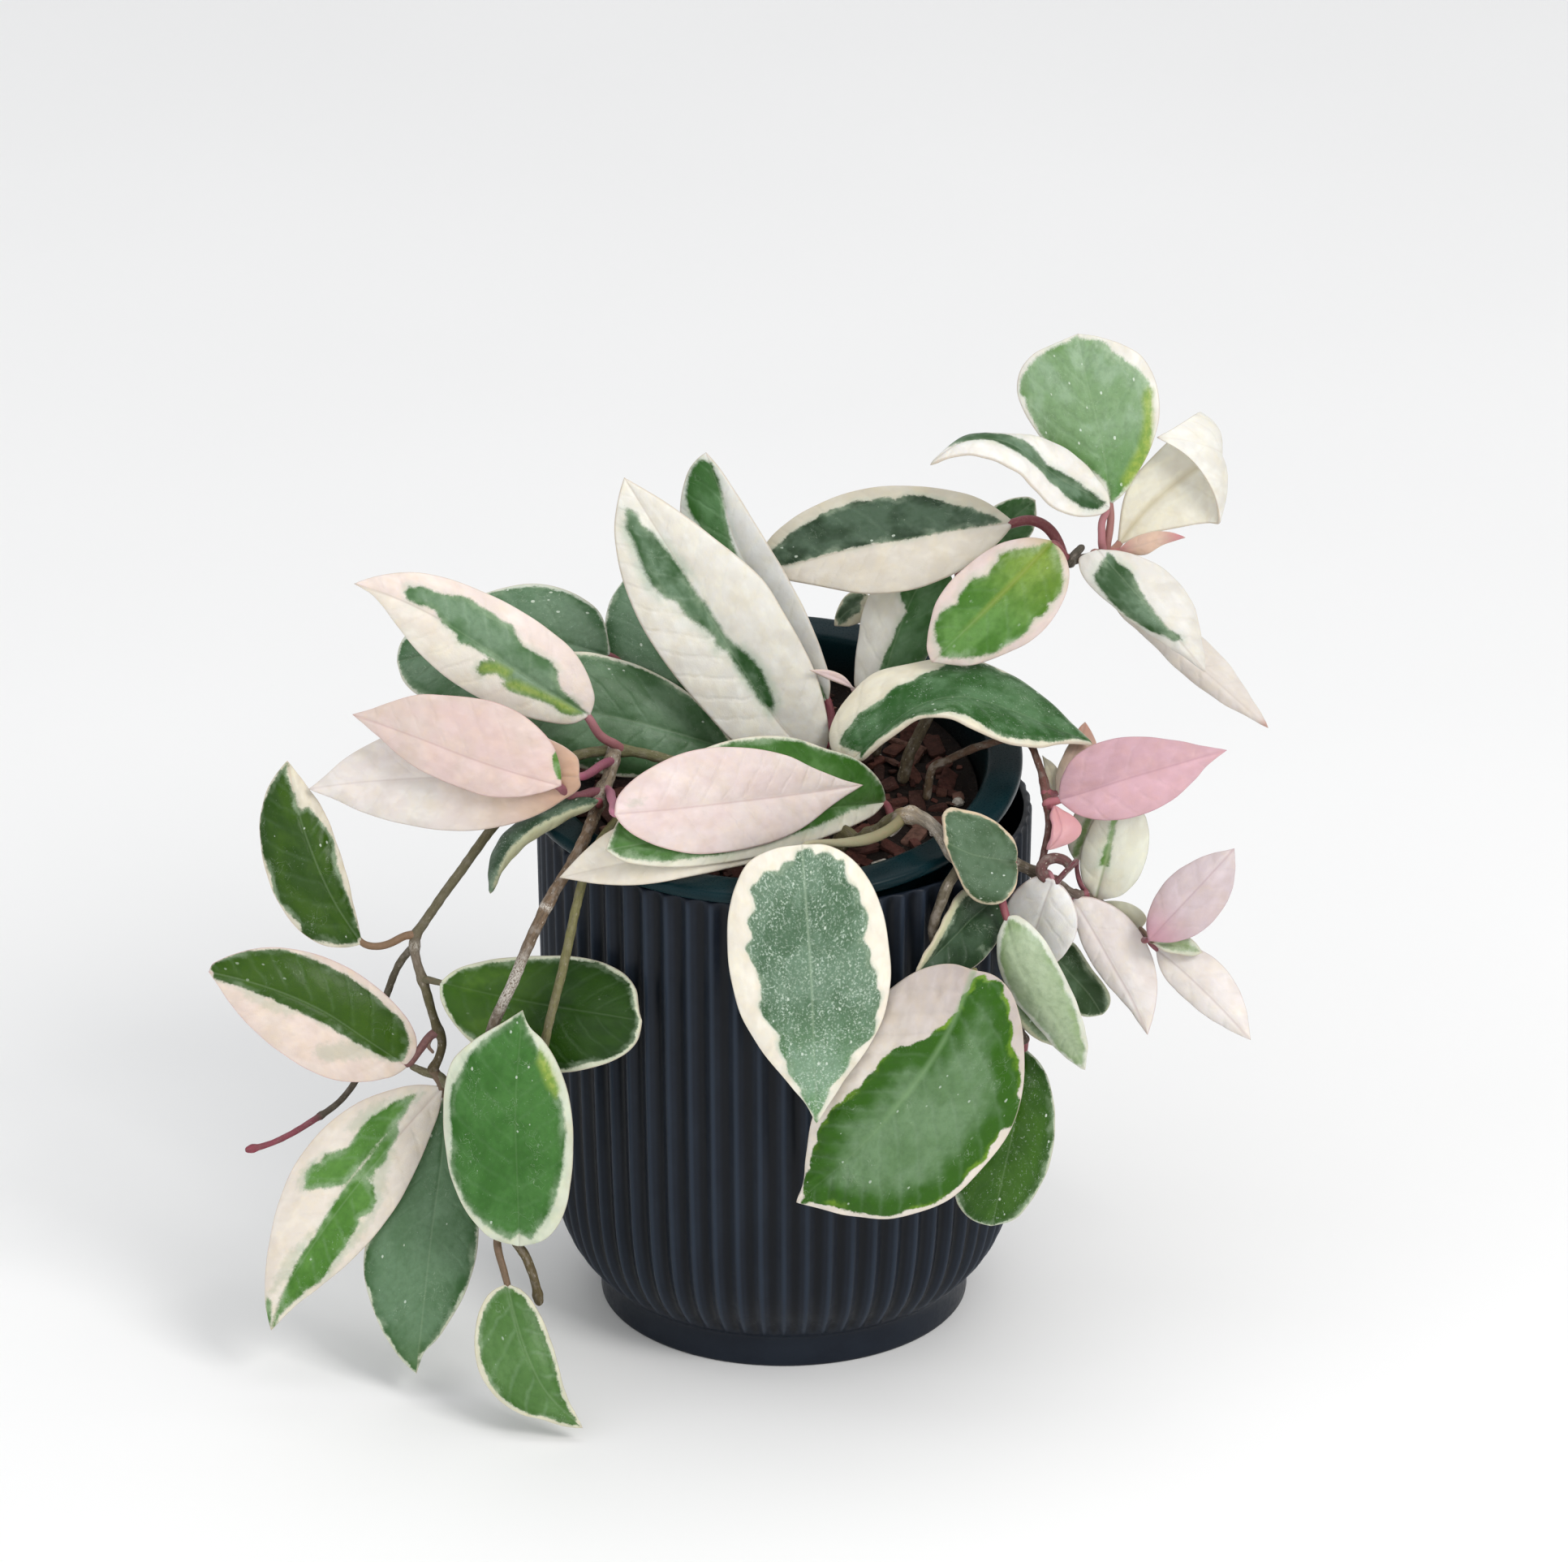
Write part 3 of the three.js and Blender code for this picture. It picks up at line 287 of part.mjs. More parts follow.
    blade: [[[-60.8,-44.5,191.6],[-60.8,-44.5,191.6],[-60.8,-44.5,191.6]],[[-60.9,-41.5,195.4],[-64.8,-43.9,191.5],[-61.3,-45.2,187.4]],[[-65.3,-38.6,198.8],[-70.2,-43.0,191.3],[-66.3,-45.4,183.9]],[[-73.1,-35.4,201.6],[-77.6,-41.9,190.9],[-73.5,-45.5,179.5]],[[-82.2,-32.6,203.2],[-85.8,-40.5,190.2],[-82.0,-45.0,176.1]],[[-91.5,-30.4,203.6],[-93.9,-39.0,189.3],[-90.8,-43.9,173.9]],[[-101.0,-28.7,202.7],[-102.0,-37.5,188.2],[-99.8,-42.3,172.9]],[[-110.4,-27.6,200.5],[-110.2,-35.8,187.1],[-108.8,-40.1,173.0]],[[-118.7,-27.1,197.3],[-117.7,-34.2,185.8],[-116.9,-37.8,173.8]],[[-126.5,-27.1,193.0],[-125.2,-32.5,184.5],[-124.8,-35.1,175.3]],[[-132.5,-27.2,188.7],[-131.3,-31.0,183.1],[-131.1,-32.6,177.0]],[[-137.7,-28.0,183.8],[-137.4,-29.7,181.6],[-137.2,-30.2,179.0]],[[-142.2,-28.5,180.3],[-142.2,-28.5,180.3],[-142.2,-28.5,180.3]]] },
  leaf_left_grey_narrow: { color: 0xe6e2d6,
    stalk: [[-55.2,-44.5,180.5],[-54.9,-44.5,181.0],[-55.0,-44.7,184.0]],
    blade: [[[-55.0,-44.7,184.0],[-55.0,-44.7,184.0],[-55.0,-44.7,184.0]],[[-57.5,-42.9,183.9],[-57.2,-45.2,183.5],[-56.5,-44.4,182.1]],[[-60.8,-41.6,183.6],[-60.0,-45.7,182.7],[-59.0,-44.2,180.2]],[[-65.3,-40.4,181.9],[-63.9,-46.1,181.3],[-62.7,-43.6,178.3]],[[-70.1,-39.3,179.6],[-68.2,-46.1,179.4],[-66.6,-43.0,175.7]],[[-74.7,-38.4,176.9],[-72.2,-45.7,177.1],[-70.5,-42.3,173.0]],[[-79.1,-37.6,173.7],[-76.1,-45.1,174.0],[-74.2,-41.4,170.0]],[[-83.2,-36.9,170.0],[-79.6,-44.1,170.4],[-77.8,-40.5,166.7]],[[-86.1,-36.6,165.9],[-82.4,-43.0,166.4],[-80.8,-39.7,163.3]],[[-87.6,-36.7,161.1],[-84.5,-41.8,161.8],[-83.5,-38.9,159.6]],[[-88.2,-36.5,156.9],[-85.8,-40.3,157.6],[-85.3,-38.1,156.1]],[[-88.2,-36.8,152.9],[-87.0,-38.9,153.4],[-86.8,-37.6,152.6]],[[-88.0,-37.5,150.0],[-88.0,-37.5,150.0],[-88.0,-37.5,150.0]]] },
  leaf_front_pink: { color: 0xe2c3c4,
    stalk: [[-58.1,-51.1,179.7],[-58.1,-53.0,184.0],[-52.9,-53.9,190.9],[-51.6,-70.8,194.9],[-49.9,-77.2,194.4]],
    blade: [[[-49.9,-77.2,194.4],[-49.9,-77.2,194.4],[-49.9,-77.2,194.4]],[[-49.3,-74.0,197.5],[-46.2,-75.6,194.0],[-47.5,-77.4,190.8]],[[-46.1,-69.9,200.6],[-41.3,-73.2,193.3],[-43.2,-76.7,186.8]],[[-40.0,-64.8,203.3],[-34.6,-69.8,192.4],[-36.3,-74.9,182.8]],[[-32.5,-59.2,205.0],[-27.3,-65.5,191.2],[-28.3,-71.8,179.3]],[[-24.4,-53.8,205.0],[-20.0,-60.6,190.0],[-20.1,-67.5,177.2]],[[-16.1,-48.6,203.3],[-12.7,-55.3,188.5],[-11.9,-62.1,176.1]],[[-7.7,-43.5,200.2],[-5.3,-49.5,186.8],[-3.9,-55.9,175.3]],[[-0.0,-38.8,196.4],[1.5,-43.9,185.2],[3.2,-49.3,175.5]],[[7.1,-34.4,191.1],[8.3,-37.9,183.5],[9.5,-41.8,176.7]],[[12.9,-30.3,186.2],[13.9,-32.2,181.8],[14.4,-34.7,177.8]],[[18.9,-26.3,181.9],[19.5,-27.0,180.3],[19.6,-28.1,178.6]],[[23.8,-22.4,178.9],[23.8,-22.4,178.9],[23.8,-22.4,178.9]]] },
  leaf_front_green_under: { color: 0x5f8a55,
    stalk: [[27.6,-31.1,167.2],[30.1,-28.1,166.8],[32.6,-25.1,167.0],[31.8,-13.5,166.0],[30.6,-9.0,167.1]],
    blade: [[[30.6,-9.0,167.1],[30.6,-9.0,167.1],[30.6,-9.0,167.1]],[[29.4,-11.7,174.2],[26.3,-14.6,169.1],[27.6,-15.8,166.5]],[[24.8,-16.2,182.3],[20.6,-22.1,171.7],[22.4,-24.2,167.1]],[[16.1,-22.4,190.1],[12.8,-31.0,174.7],[14.8,-34.1,168.0]],[[5.9,-29.3,196.8],[4.3,-40.0,177.5],[6.4,-43.8,169.2]],[[-4.7,-36.1,201.3],[-4.0,-48.0,179.8],[-2.1,-52.4,170.4]],[[-15.2,-43.1,203.1],[-12.3,-55.2,181.6],[-10.8,-59.7,171.7]],[[-25.3,-50.2,202.7],[-20.5,-61.4,182.6],[-19.5,-65.8,173.0]],[[-33.8,-56.4,200.5],[-28.0,-66.3,182.8],[-27.5,-70.3,174.1]],[[-41.5,-62.5,196.7],[-35.4,-70.4,182.8],[-35.5,-73.7,175.6]],[[-46.4,-67.6,192.3],[-41.6,-73.1,182.8],[-42.0,-75.7,177.2]],[[-50.4,-72.4,187.0],[-47.8,-75.0,182.7],[-48.4,-76.5,179.3]],[[-52.6,-76.2,182.4],[-52.6,-76.2,182.4],[-52.6,-76.2,182.4]]] },
  leaf_front_cream_under: { color: 0xe6e2d6,
    stalk: [[13.0,-31.3,163.5],[11.2,-33.3,164.3]],
    blade: [[[11.2,-33.3,164.3],[11.2,-33.3,164.3],[11.2,-33.3,164.3]],[[7.3,-37.0,168.1],[7.2,-38.1,166.4],[7.4,-38.6,165.2]],[[2.0,-41.9,172.9],[1.9,-44.2,169.1],[2.3,-45.4,166.6]],[[-5.5,-47.6,177.8],[-5.3,-51.1,171.9],[-4.8,-52.8,168.2]],[[-13.9,-53.1,181.5],[-13.1,-57.3,174.3],[-12.5,-59.5,169.5]],[[-22.4,-57.3,184.0],[-20.9,-62.2,175.7],[-20.2,-64.7,170.1]],[[-30.8,-60.3,185.5],[-28.6,-65.6,176.2],[-28.0,-68.4,170.0]],[[-39.3,-62.1,185.7],[-36.4,-67.6,175.9],[-35.7,-70.6,169.4]],[[-47.0,-62.8,184.6],[-43.4,-68.2,174.9],[-42.9,-71.1,168.6]],[[-53.9,-63.3,181.1],[-50.5,-67.7,173.2],[-50.2,-70.0,168.1]],[[-58.8,-63.1,176.5],[-56.3,-66.1,171.2],[-56.1,-67.8,167.5]],[[-63.3,-62.7,171.2],[-62.1,-64.1,168.8],[-62.0,-64.9,167.2]],[[-66.7,-61.8,166.7],[-66.7,-61.8,166.7],[-66.7,-61.8,166.7]]] },
  leaf_front_hanging: { color: 0x5f8a55,
    stalk: [[34.0,-49.1,181.9],[20.6,-58.1,189.1],[5.3,-75.1,183.7]],
    blade: [[[5.3,-75.1,183.7],[5.3,-75.1,183.7],[5.3,-75.1,183.7]],[[0.1,-74.3,182.7],[5.6,-76.8,180.0],[10.4,-74.0,183.3]],[[-6.4,-74.2,180.4],[6.0,-78.8,174.9],[16.9,-73.9,181.0]],[[-13.1,-75.4,174.0],[6.5,-81.4,167.8],[23.8,-75.2,174.6]],[[-16.2,-77.9,164.3],[7.2,-83.8,159.8],[28.5,-77.3,165.5]],[[-17.0,-80.4,154.1],[7.7,-85.8,151.7],[30.8,-79.8,155.5]],[[-15.9,-82.8,143.9],[8.2,-87.5,143.3],[31.7,-82.2,145.3]],[[-13.3,-85.0,133.8],[8.5,-88.7,134.8],[30.6,-84.4,135.0]],[[-9.1,-86.5,125.2],[8.7,-89.6,126.8],[27.0,-86.1,126.1]],[[-3.3,-87.7,117.3],[9.0,-90.2,118.7],[21.8,-87.4,118.0]],[[1.9,-88.1,111.1],[9.2,-90.2,111.8],[17.3,-88.1,111.2]],[[6.8,-89.0,104.8],[9.4,-90.3,104.9],[12.9,-89.1,104.6]],[[9.6,-90.1,99.4],[9.6,-90.1,99.4],[9.6,-90.1,99.4]]] },
  leaf_front_broad: { color: 0x5f8a55,
    stalk: [[53.4,-72.2,143.4],[55.2,-75.4,146.7],[56.3,-86.1,147.9]],
    blade: [[[56.3,-86.1,147.9],[56.3,-86.1,147.9],[56.3,-86.1,147.9]],[[51.6,-83.5,148.3],[54.5,-87.0,143.9],[62.5,-85.1,145.5]],[[45.2,-81.3,147.4],[52.4,-88.0,138.4],[68.1,-85.8,138.6]],[[36.9,-79.8,143.2],[49.1,-89.3,130.9],[70.8,-88.1,126.8]],[[29.1,-79.3,136.4],[44.9,-90.3,122.8],[71.0,-90.6,113.7]],[[22.6,-79.4,128.3],[39.9,-90.8,115.1],[68.2,-93.0,100.8]],[[17.0,-79.9,119.6],[34.4,-90.9,107.5],[61.3,-94.7,89.4]],[[12.4,-80.6,110.3],[28.7,-90.6,99.9],[52.2,-95.7,79.5]],[[9.4,-81.6,101.3],[23.2,-90.1,93.1],[41.9,-95.5,73.0]],[[7.3,-82.8,92.1],[17.5,-89.3,86.3],[30.2,-94.0,69.3]],[[6.3,-83.6,84.3],[12.6,-88.1,80.8],[20.5,-91.2,69.0]],[[5.5,-85.0,76.7],[7.5,-87.2,75.5],[11.0,-88.3,70.1]],[[3.6,-86.1,71.2],[3.6,-86.1,71.2],[3.6,-86.1,71.2]]] },
  leaf_right_dark_low: { color: 0x3c6436,
    stalk: [[72.0,-57.3,111.6],[72.1,-55.2,110.9],[72.0,-52.0,106.0]],
    blade: [[[72.0,-52.0,106.0],[72.0,-52.0,106.0],[72.0,-52.0,106.0]],[[74.5,-52.3,103.6],[71.7,-53.2,103.5],[70.0,-52.4,103.3]],[[77.5,-53.0,100.5],[71.3,-54.8,100.3],[67.3,-53.3,100.0]],[[79.8,-54.6,95.2],[70.7,-56.7,95.7],[63.9,-54.6,95.2]],[[81.2,-56.5,89.0],[70.0,-58.7,90.7],[60.7,-56.3,89.6]],[[81.6,-58.5,82.7],[69.2,-60.4,85.5],[57.9,-57.9,83.8]],[[81.0,-60.3,76.4],[68.2,-61.9,80.3],[55.4,-59.6,77.9]],[[79.4,-62.1,70.2],[67.1,-63.1,74.9],[52.9,-61.3,72.0]],[[77.0,-63.6,64.8],[66.0,-64.1,70.0],[51.3,-62.9,66.3]],[[73.8,-64.9,59.9],[65.0,-64.9,64.9],[51.8,-64.6,60.5]],[[70.6,-65.7,56.1],[64.1,-65.3,60.7],[54.5,-65.5,56.4]],[[66.2,-66.0,53.9],[63.2,-65.8,56.4],[58.8,-65.9,53.9]],[[62.5,-66.0,53.0],[62.5,-66.0,53.0],[62.5,-66.0,53.0]]] },
  leaf_right_folded_grey: { color: 0x5f8a55,
    stalk: [[67.8,-47.9,164.7],[68.8,-50.4,166.4]],
    blade: [[[68.8,-50.4,166.4],[68.8,-50.4,166.4],[68.8,-50.4,166.4]],[[69.2,-49.9,168.4],[67.7,-51.6,167.2],[69.1,-51.6,164.7]],[[69.1,-49.8,171.3],[66.2,-53.4,168.3],[69.4,-53.8,162.6]],[[67.4,-49.9,174.9],[64.1,-55.4,169.6],[68.3,-56.7,159.8]],[[64.7,-50.2,178.3],[61.8,-57.4,171.0],[65.4,-59.6,157.8]],[[61.4,-50.9,181.2],[59.6,-59.2,172.2],[61.3,-61.7,157.6]],[[57.6,-51.9,183.3],[57.4,-60.9,173.4],[57.2,-62.9,159.2]],[[53.6,-53.2,185.0],[55.1,-62.2,174.6],[54.0,-63.5,162.6]],[[50.0,-54.5,186.4],[53.2,-63.1,175.8],[52.1,-63.6,166.4]],[[47.2,-56.8,185.5],[51.4,-63.8,177.1],[50.5,-63.7,170.4]],[[47.0,-59.5,183.4],[49.9,-64.2,178.2],[49.3,-63.9,173.7]],[[47.2,-62.1,181.3],[48.4,-64.4,179.2],[48.1,-64.0,177.1]],[[47.3,-64.6,179.9],[47.3,-64.6,179.9],[47.3,-64.6,179.9]]] },
  leaf_right_dark_fold: { color: 0x3c6436,
    stalk: [[66.8,-42.9,159.4],[66.5,-42.4,157.5],[63.5,-44.4,151.9]],
    blade: [[[63.5,-44.4,151.9],[63.5,-44.4,151.9],[63.5,-44.4,151.9]],[[61.7,-46.7,154.0],[62.2,-46.5,151.8],[64.5,-46.4,150.7]],[[59.4,-49.3,156.6],[60.4,-49.4,151.6],[65.6,-49.4,149.3]],[[55.8,-52.6,158.8],[57.9,-53.0,151.3],[65.5,-53.4,146.9]],[[52.1,-56.6,159.3],[55.4,-56.7,150.7],[63.9,-57.6,144.5]],[[49.9,-61.0,157.8],[53.0,-60.4,149.9],[61.6,-61.7,142.4]],[[48.2,-65.1,155.8],[50.6,-63.8,148.9],[58.6,-65.4,140.7]],[[46.4,-68.7,153.6],[48.2,-67.0,147.9],[55.1,-68.8,139.6]],[[44.5,-71.5,151.5],[46.0,-69.8,146.9],[51.5,-71.4,139.2]],[[42.7,-73.9,149.2],[43.9,-72.3,145.8],[47.6,-73.7,139.4]],[[41.3,-75.7,147.3],[42.1,-74.4,144.9],[44.4,-75.4,140.2]],[[39.9,-77.0,145.0],[40.3,-76.2,143.9],[41.3,-76.5,141.7]],[[38.9,-77.6,143.1],[38.9,-77.6,143.1],[38.9,-77.6,143.1]]] },
  leaf_right_pale_fold: { color: 0xe6e2d6,
    stalk: [[63.0,-51.4,161.6],[63.5,-52.2,160.4],[66.1,-59.1,152.4]],
    blade: [[[66.1,-59.1,152.4],[66.1,-59.1,152.4],[66.1,-59.1,152.4]],[[68.8,-59.2,153.3],[66.6,-61.3,150.6],[64.7,-60.0,150.1]],[[72.0,-60.5,152.0],[67.2,-63.9,148.1],[63.4,-61.7,147.1]],[[75.8,-62.4,149.0],[68.4,-66.8,144.4],[63.1,-63.9,142.4]],[[79.0,-64.1,144.8],[70.4,-69.0,140.3],[64.3,-65.7,137.2]],[[81.7,-65.3,139.9],[73.1,-70.3,136.0],[66.7,-66.8,132.0]],[[84.3,-65.9,134.7],[76.0,-70.7,131.4],[69.9,-67.2,127.1]],[[86.6,-65.9,129.0],[79.2,-70.2,126.6],[73.5,-66.9,122.2]],[[88.5,-65.5,123.4],[82.1,-69.0,121.8],[77.1,-66.2,117.6]],[[90.0,-64.5,117.5],[84.7,-67.3,116.5],[80.6,-65.2,112.7]],[[90.7,-63.1,112.2],[86.7,-65.1,111.7],[83.6,-63.6,108.6]],[[90.4,-61.9,106.9],[88.6,-63.0,106.8],[87.2,-62.0,105.2]],[[90.1,-60.7,102.7],[90.1,-60.7,102.7],[90.1,-60.7,102.7]]] },
  leaf_right_pale_back: { color: 0xe6e2d6,
    stalk: [[65.3,-63.3,130.3],[66.2,-62.5,131.3]],
    blade: [[[66.2,-62.5,131.3],[66.2,-62.5,131.3],[66.2,-62.5,131.3]],[[67.5,-63.0,131.1],[66.9,-63.2,130.5],[66.5,-63.4,130.2]],[[69.1,-63.3,130.8],[67.9,-64.0,129.4],[66.8,-64.2,128.8]],[[71.0,-63.7,129.6],[69.1,-64.6,127.7],[67.4,-65.1,126.6]],[[72.8,-63.9,127.7],[70.6,-64.8,125.6],[68.4,-65.5,124.1]],[[74.5,-63.6,125.5],[72.2,-64.5,123.4],[69.6,-65.4,121.5]],[[76.2,-62.8,123.0],[73.9,-63.7,121.1],[71.2,-64.7,118.8]],[[77.9,-61.6,120.2],[75.7,-62.3,118.6],[73.0,-63.5,116.1]],[[79.4,-60.1,117.5],[77.4,-60.7,116.1],[75.1,-61.8,113.7]],[[80.8,-58.2,114.5],[79.0,-58.8,113.3],[77.3,-59.6,111.4]],[[81.8,-56.3,111.7],[80.3,-56.6,110.8],[79.2,-57.3,109.5]],[[82.4,-54.4,108.8],[81.7,-54.6,108.4],[81.2,-54.9,107.8]],[[82.7,-52.6,106.3],[82.7,-52.6,106.3],[82.7,-52.6,106.3]]] },
  leaf_right_white_small: { color: 0xe6e2d6,
    stalk: [[77.3,-43.0,159.4],[78.7,-46.4,161.5],[80.2,-51.3,161.3]],
    blade: [[[80.2,-51.3,161.3],[80.2,-51.3,161.3],[80.2,-51.3,161.3]],[[78.3,-49.6,161.1],[79.8,-50.9,159.6],[81.8,-50.3,159.5]],[[75.7,-47.6,160.6],[79.2,-50.1,157.4],[83.8,-49.2,157.1]],[[72.3,-45.9,158.2],[78.4,-49.1,154.4],[85.8,-48.1,153.2]],[[69.3,-44.4,154.5],[77.5,-47.9,151.0],[87.3,-47.0,148.7]],[[67.0,-43.1,150.2],[76.7,-46.5,147.5],[87.8,-46.0,143.9]],[[65.5,-42.1,145.5],[75.8,-45.0,143.9],[87.2,-44.9,139.2]],[[64.7,-41.0,140.6],[75.1,-43.3,140.2],[85.4,-43.7,134.8]],[[64.6,-40.2,136.0],[74.5,-41.7,136.8],[83.3,-42.4,131.1]],[[65.8,-39.3,131.6],[74.0,-40.0,133.3],[80.6,-41.0,127.8]],[[67.5,-38.1,128.2],[73.5,-38.3,130.3],[77.8,-39.0,126.3]],[[70.3,-36.8,126.1],[73.1,-36.9,127.4],[75.0,-37.0,125.6]],[[72.7,-35.5,125.0],[72.7,-35.5,125.0],[72.7,-35.5,125.0]]] },
  leaf_right_white_long: { color: 0xe6e2d6,
    stalk: [[86.3,-31.6,146.7],[86.5,-31.5,146.3]],
    blade: [[[86.5,-31.5,146.3],[86.5,-31.5,146.3],[86.5,-31.5,146.3]],[[89.4,-29.1,145.1],[87.7,-30.4,143.6],[86.6,-30.1,143.0]],[[93.2,-26.4,143.4],[89.4,-29.1,139.9],[86.9,-28.6,138.7]],[[98.2,-24.2,140.3],[91.7,-28.1,135.3],[88.1,-27.4,133.4]],[[103.0,-23.0,136.2],[94.1,-27.5,130.4],[89.9,-26.7,128.0]],[[106.8,-23.0,131.5],[96.5,-27.7,125.9],[92.0,-26.8,123.2]],[[109.7,-24.1,126.6],[98.8,-28.6,121.7],[94.6,-27.6,118.9]],[[111.7,-26.2,121.7],[101.2,-30.1,117.9],[97.8,-29.1,115.5]],[[112.6,-29.0,117.4],[103.5,-32.1,114.7],[100.7,-31.1,112.7]],[[112.4,-32.4,113.3],[105.5,-34.7,111.7],[103.6,-33.8,110.3]],[[111.7,-35.9,110.2],[107.0,-37.4,109.4],[105.8,-36.6,108.5]],[[110.5,-39.5,107.4],[108.3,-40.3,107.2],[107.8,-39.9,106.7]],[[109.3,-43.0,105.6],[109.3,-43.0,105.6],[109.3,-43.0,105.6]]] },
  leaf_right_end_pink: { color: 0xe2c3c4,
    stalk: [[107.9,-30.4,131.4],[107.8,-31.3,131.3],[109.5,-34.8,133.1]],
    blade: [[[109.5,-34.8,133.1],[109.5,-34.8,133.1],[109.5,-34.8,133.1]],[[109.0,-33.6,134.8],[110.7,-34.4,134.4],[111.7,-34.6,132.7]],[[108.7,-32.2,137.3],[112.4,-33.8,136.2],[114.7,-34.5,132.3]],[[109.5,-30.3,140.7],[114.8,-32.8,138.6],[118.8,-34.0,132.6]],[[111.1,-28.3,144.2],[117.4,-31.6,141.1],[123.1,-33.0,133.8]],[[113.4,-26.5,147.3],[120.0,-30.3,143.5],[126.9,-31.7,135.8]],[[116.3,-24.8,150.0],[122.6,-28.9,145.9],[130.1,-30.0,138.5]],[[119.7,-23.3,152.2],[125.2,-27.2,148.2],[132.7,-28.1,141.7]],[[123.1,-22.1,153.8],[127.6,-25.6,150.3],[134.4,-26.2,145.0]],[[126.8,-21.1,155.0],[130.0,-23.9,152.3],[135.5,-24.1,148.4]],[[129.9,-20.4,155.7],[132.0,-22.4,153.9],[135.7,-22.4,151.3]],[[133.0,-19.8,156.2],[133.9,-20.8,155.4],[135.6,-20.7,154.3]],[[135.5,-19.5,156.6],[135.5,-19.5,156.6],[135.5,-19.5,156.6]]] },
  leaf_right_end_white: { color: 0xe6e2d6,
    stalk: [[110.3,-24.5,127.7],[112.2,-23.6,125.0]],
    blade: [[[112.2,-23.6,125.0],[112.2,-23.6,125.0],[112.2,-23.6,125.0]],[[114.3,-23.3,125.9],[113.7,-24.7,124.2],[112.5,-24.5,123.2]],[[117.3,-23.3,127.0],[115.7,-26.2,123.1],[112.9,-26.1,120.9]],[[121.5,-24.0,126.8],[118.5,-28.0,121.4],[114.5,-28.0,118.1]],[[125.9,-25.2,125.6],[121.4,-30.0,119.4],[117.1,-29.9,115.4]],[[129.8,-26.8,123.6],[124.2,-31.9,117.3],[120.0,-31.7,113.0]],[[133.2,-28.7,120.9],[127.0,-33.6,115.0],[123.1,-33.4,110.7]],[[135.9,-30.8,117.7],[129.8,-35.2,112.7],[126.4,-34.9,108.6]],[[137.8,-32.8,114.4],[132.4,-36.5,110.5],[129.5,-36.2,106.9]],[[139.1,-35.0,110.8],[134.9,-37.7,108.2],[132.8,-37.5,105.4]],[[139.9,-36.7,107.9],[136.9,-38.7,106.2],[135.5,-38.4,104.3]],[[140.2,-38.6,104.9],[138.9,-39.5,104.2],[138.4,-39.3,103.3]],[[140.5,-40.1,102.6],[140.5,-40.1,102.6],[140.5,-40.1,102.6]]] },
  leaf_right_end_pale: { color: 0xe6e2d6,
    stalk: [[110.2,-23.9,128.7],[110.2,-22.9,128.4],[107.9,-18.0,129.2]],
    blade: [[[107.9,-18.0,129.2],[107.9,-18.0,129.2],[107.9,-18.0,129.2]],[[108.5,-17.4,129.8],[107.2,-17.8,129.7],[107.1,-17.9,128.7]],[[109.3,-16.8,130.8],[106.4,-17.6,130.3],[106.0,-18.0,128.2]],[[109.3,-15.8,132.4],[105.3,-17.1,131.1],[104.3,-17.8,128.1]],[[108.1,-14.8,133.8],[104.1,-16.6,132.0],[102.6,-17.3,128.4]],[[106.4,-14.0,134.8],[102.8,-16.0,132.9],[101.0,-16.8,128.9]],[[104.5,-13.4,135.4],[101.5,-15.4,133.6],[99.4,-16.2,129.5]],[[102.5,-12.9,135.8],[100.1,-14.8,134.1],[97.8,-15.5,130.2]],[[100.5,-12.6,135.9],[98.8,-14.2,134.4],[96.5,-14.8,131.0]],[[98.6,-12.3,135.7],[97.4,-13.6,134.6],[95.6,-14.0,132.1]],[[97.0,-12.2,135.4],[96.2,-13.0,134.8],[95.0,-13.2,133.1]],[[95.5,-12.0,135.2],[95.1,-12.5,134.9],[94.6,-12.5,134.2]],[[94.2,-12.0,135.0],[94.2,-12.0,135.0],[94.2,-12.0,135.0]]] },
  leaf_right_pale_round: { color: 0xe6e2d6,
    stalk: [[95.9,-23.6,138.5],[94.0,-19.7,139.7]],
    blade: [[[94.0,-19.7,139.7],[94.0,-19.7,139.7],[94.0,-19.7,139.7]],[[92.8,-19.8,141.2],[94.3,-20.2,141.6],[96.1,-20.3,140.2]],[[91.2,-20.1,143.4],[94.7,-20.9,144.0],[99.0,-21.3,140.9]],[[89.8,-20.3,146.7],[95.3,-21.6,147.2],[102.7,-22.1,142.9]],[[89.0,-20.4,150.6],[96.0,-22.2,150.7],[105.7,-22.3,146.4]],[[89.0,-20.4,154.4],[96.7,-22.7,154.1],[107.9,-22.1,150.6]],[[89.8,-20.3,158.2],[97.3,-22.9,157.3],[109.2,-21.8,155.0]],[[91.0,-20.3,161.8],[98.0,-23.0,160.5],[109.8,-21.3,159.6]],[[92.3,-20.2,165.1],[98.5,-22.9,163.4],[109.5,-20.8,163.8]],[[94.0,-20.2,168.1],[99.0,-22.6,166.2],[108.5,-20.3,167.8]],[[95.9,-20.4,170.0],[99.5,-22.3,168.4],[106.0,-20.3,170.2]],[[98.4,-20.9,171.3],[99.9,-21.8,170.6],[102.8,-20.8,171.3]],[[100.3,-21.4,172.3],[100.3,-21.4,172.3],[100.3,-21.4,172.3]]] },
  leaf_right_cream_fold: { color: 0xe6e2d6,
    stalk: [[91.5,-27.1,145.3],[89.4,-22.2,145.2],[88.1,-15.5,150.4]],
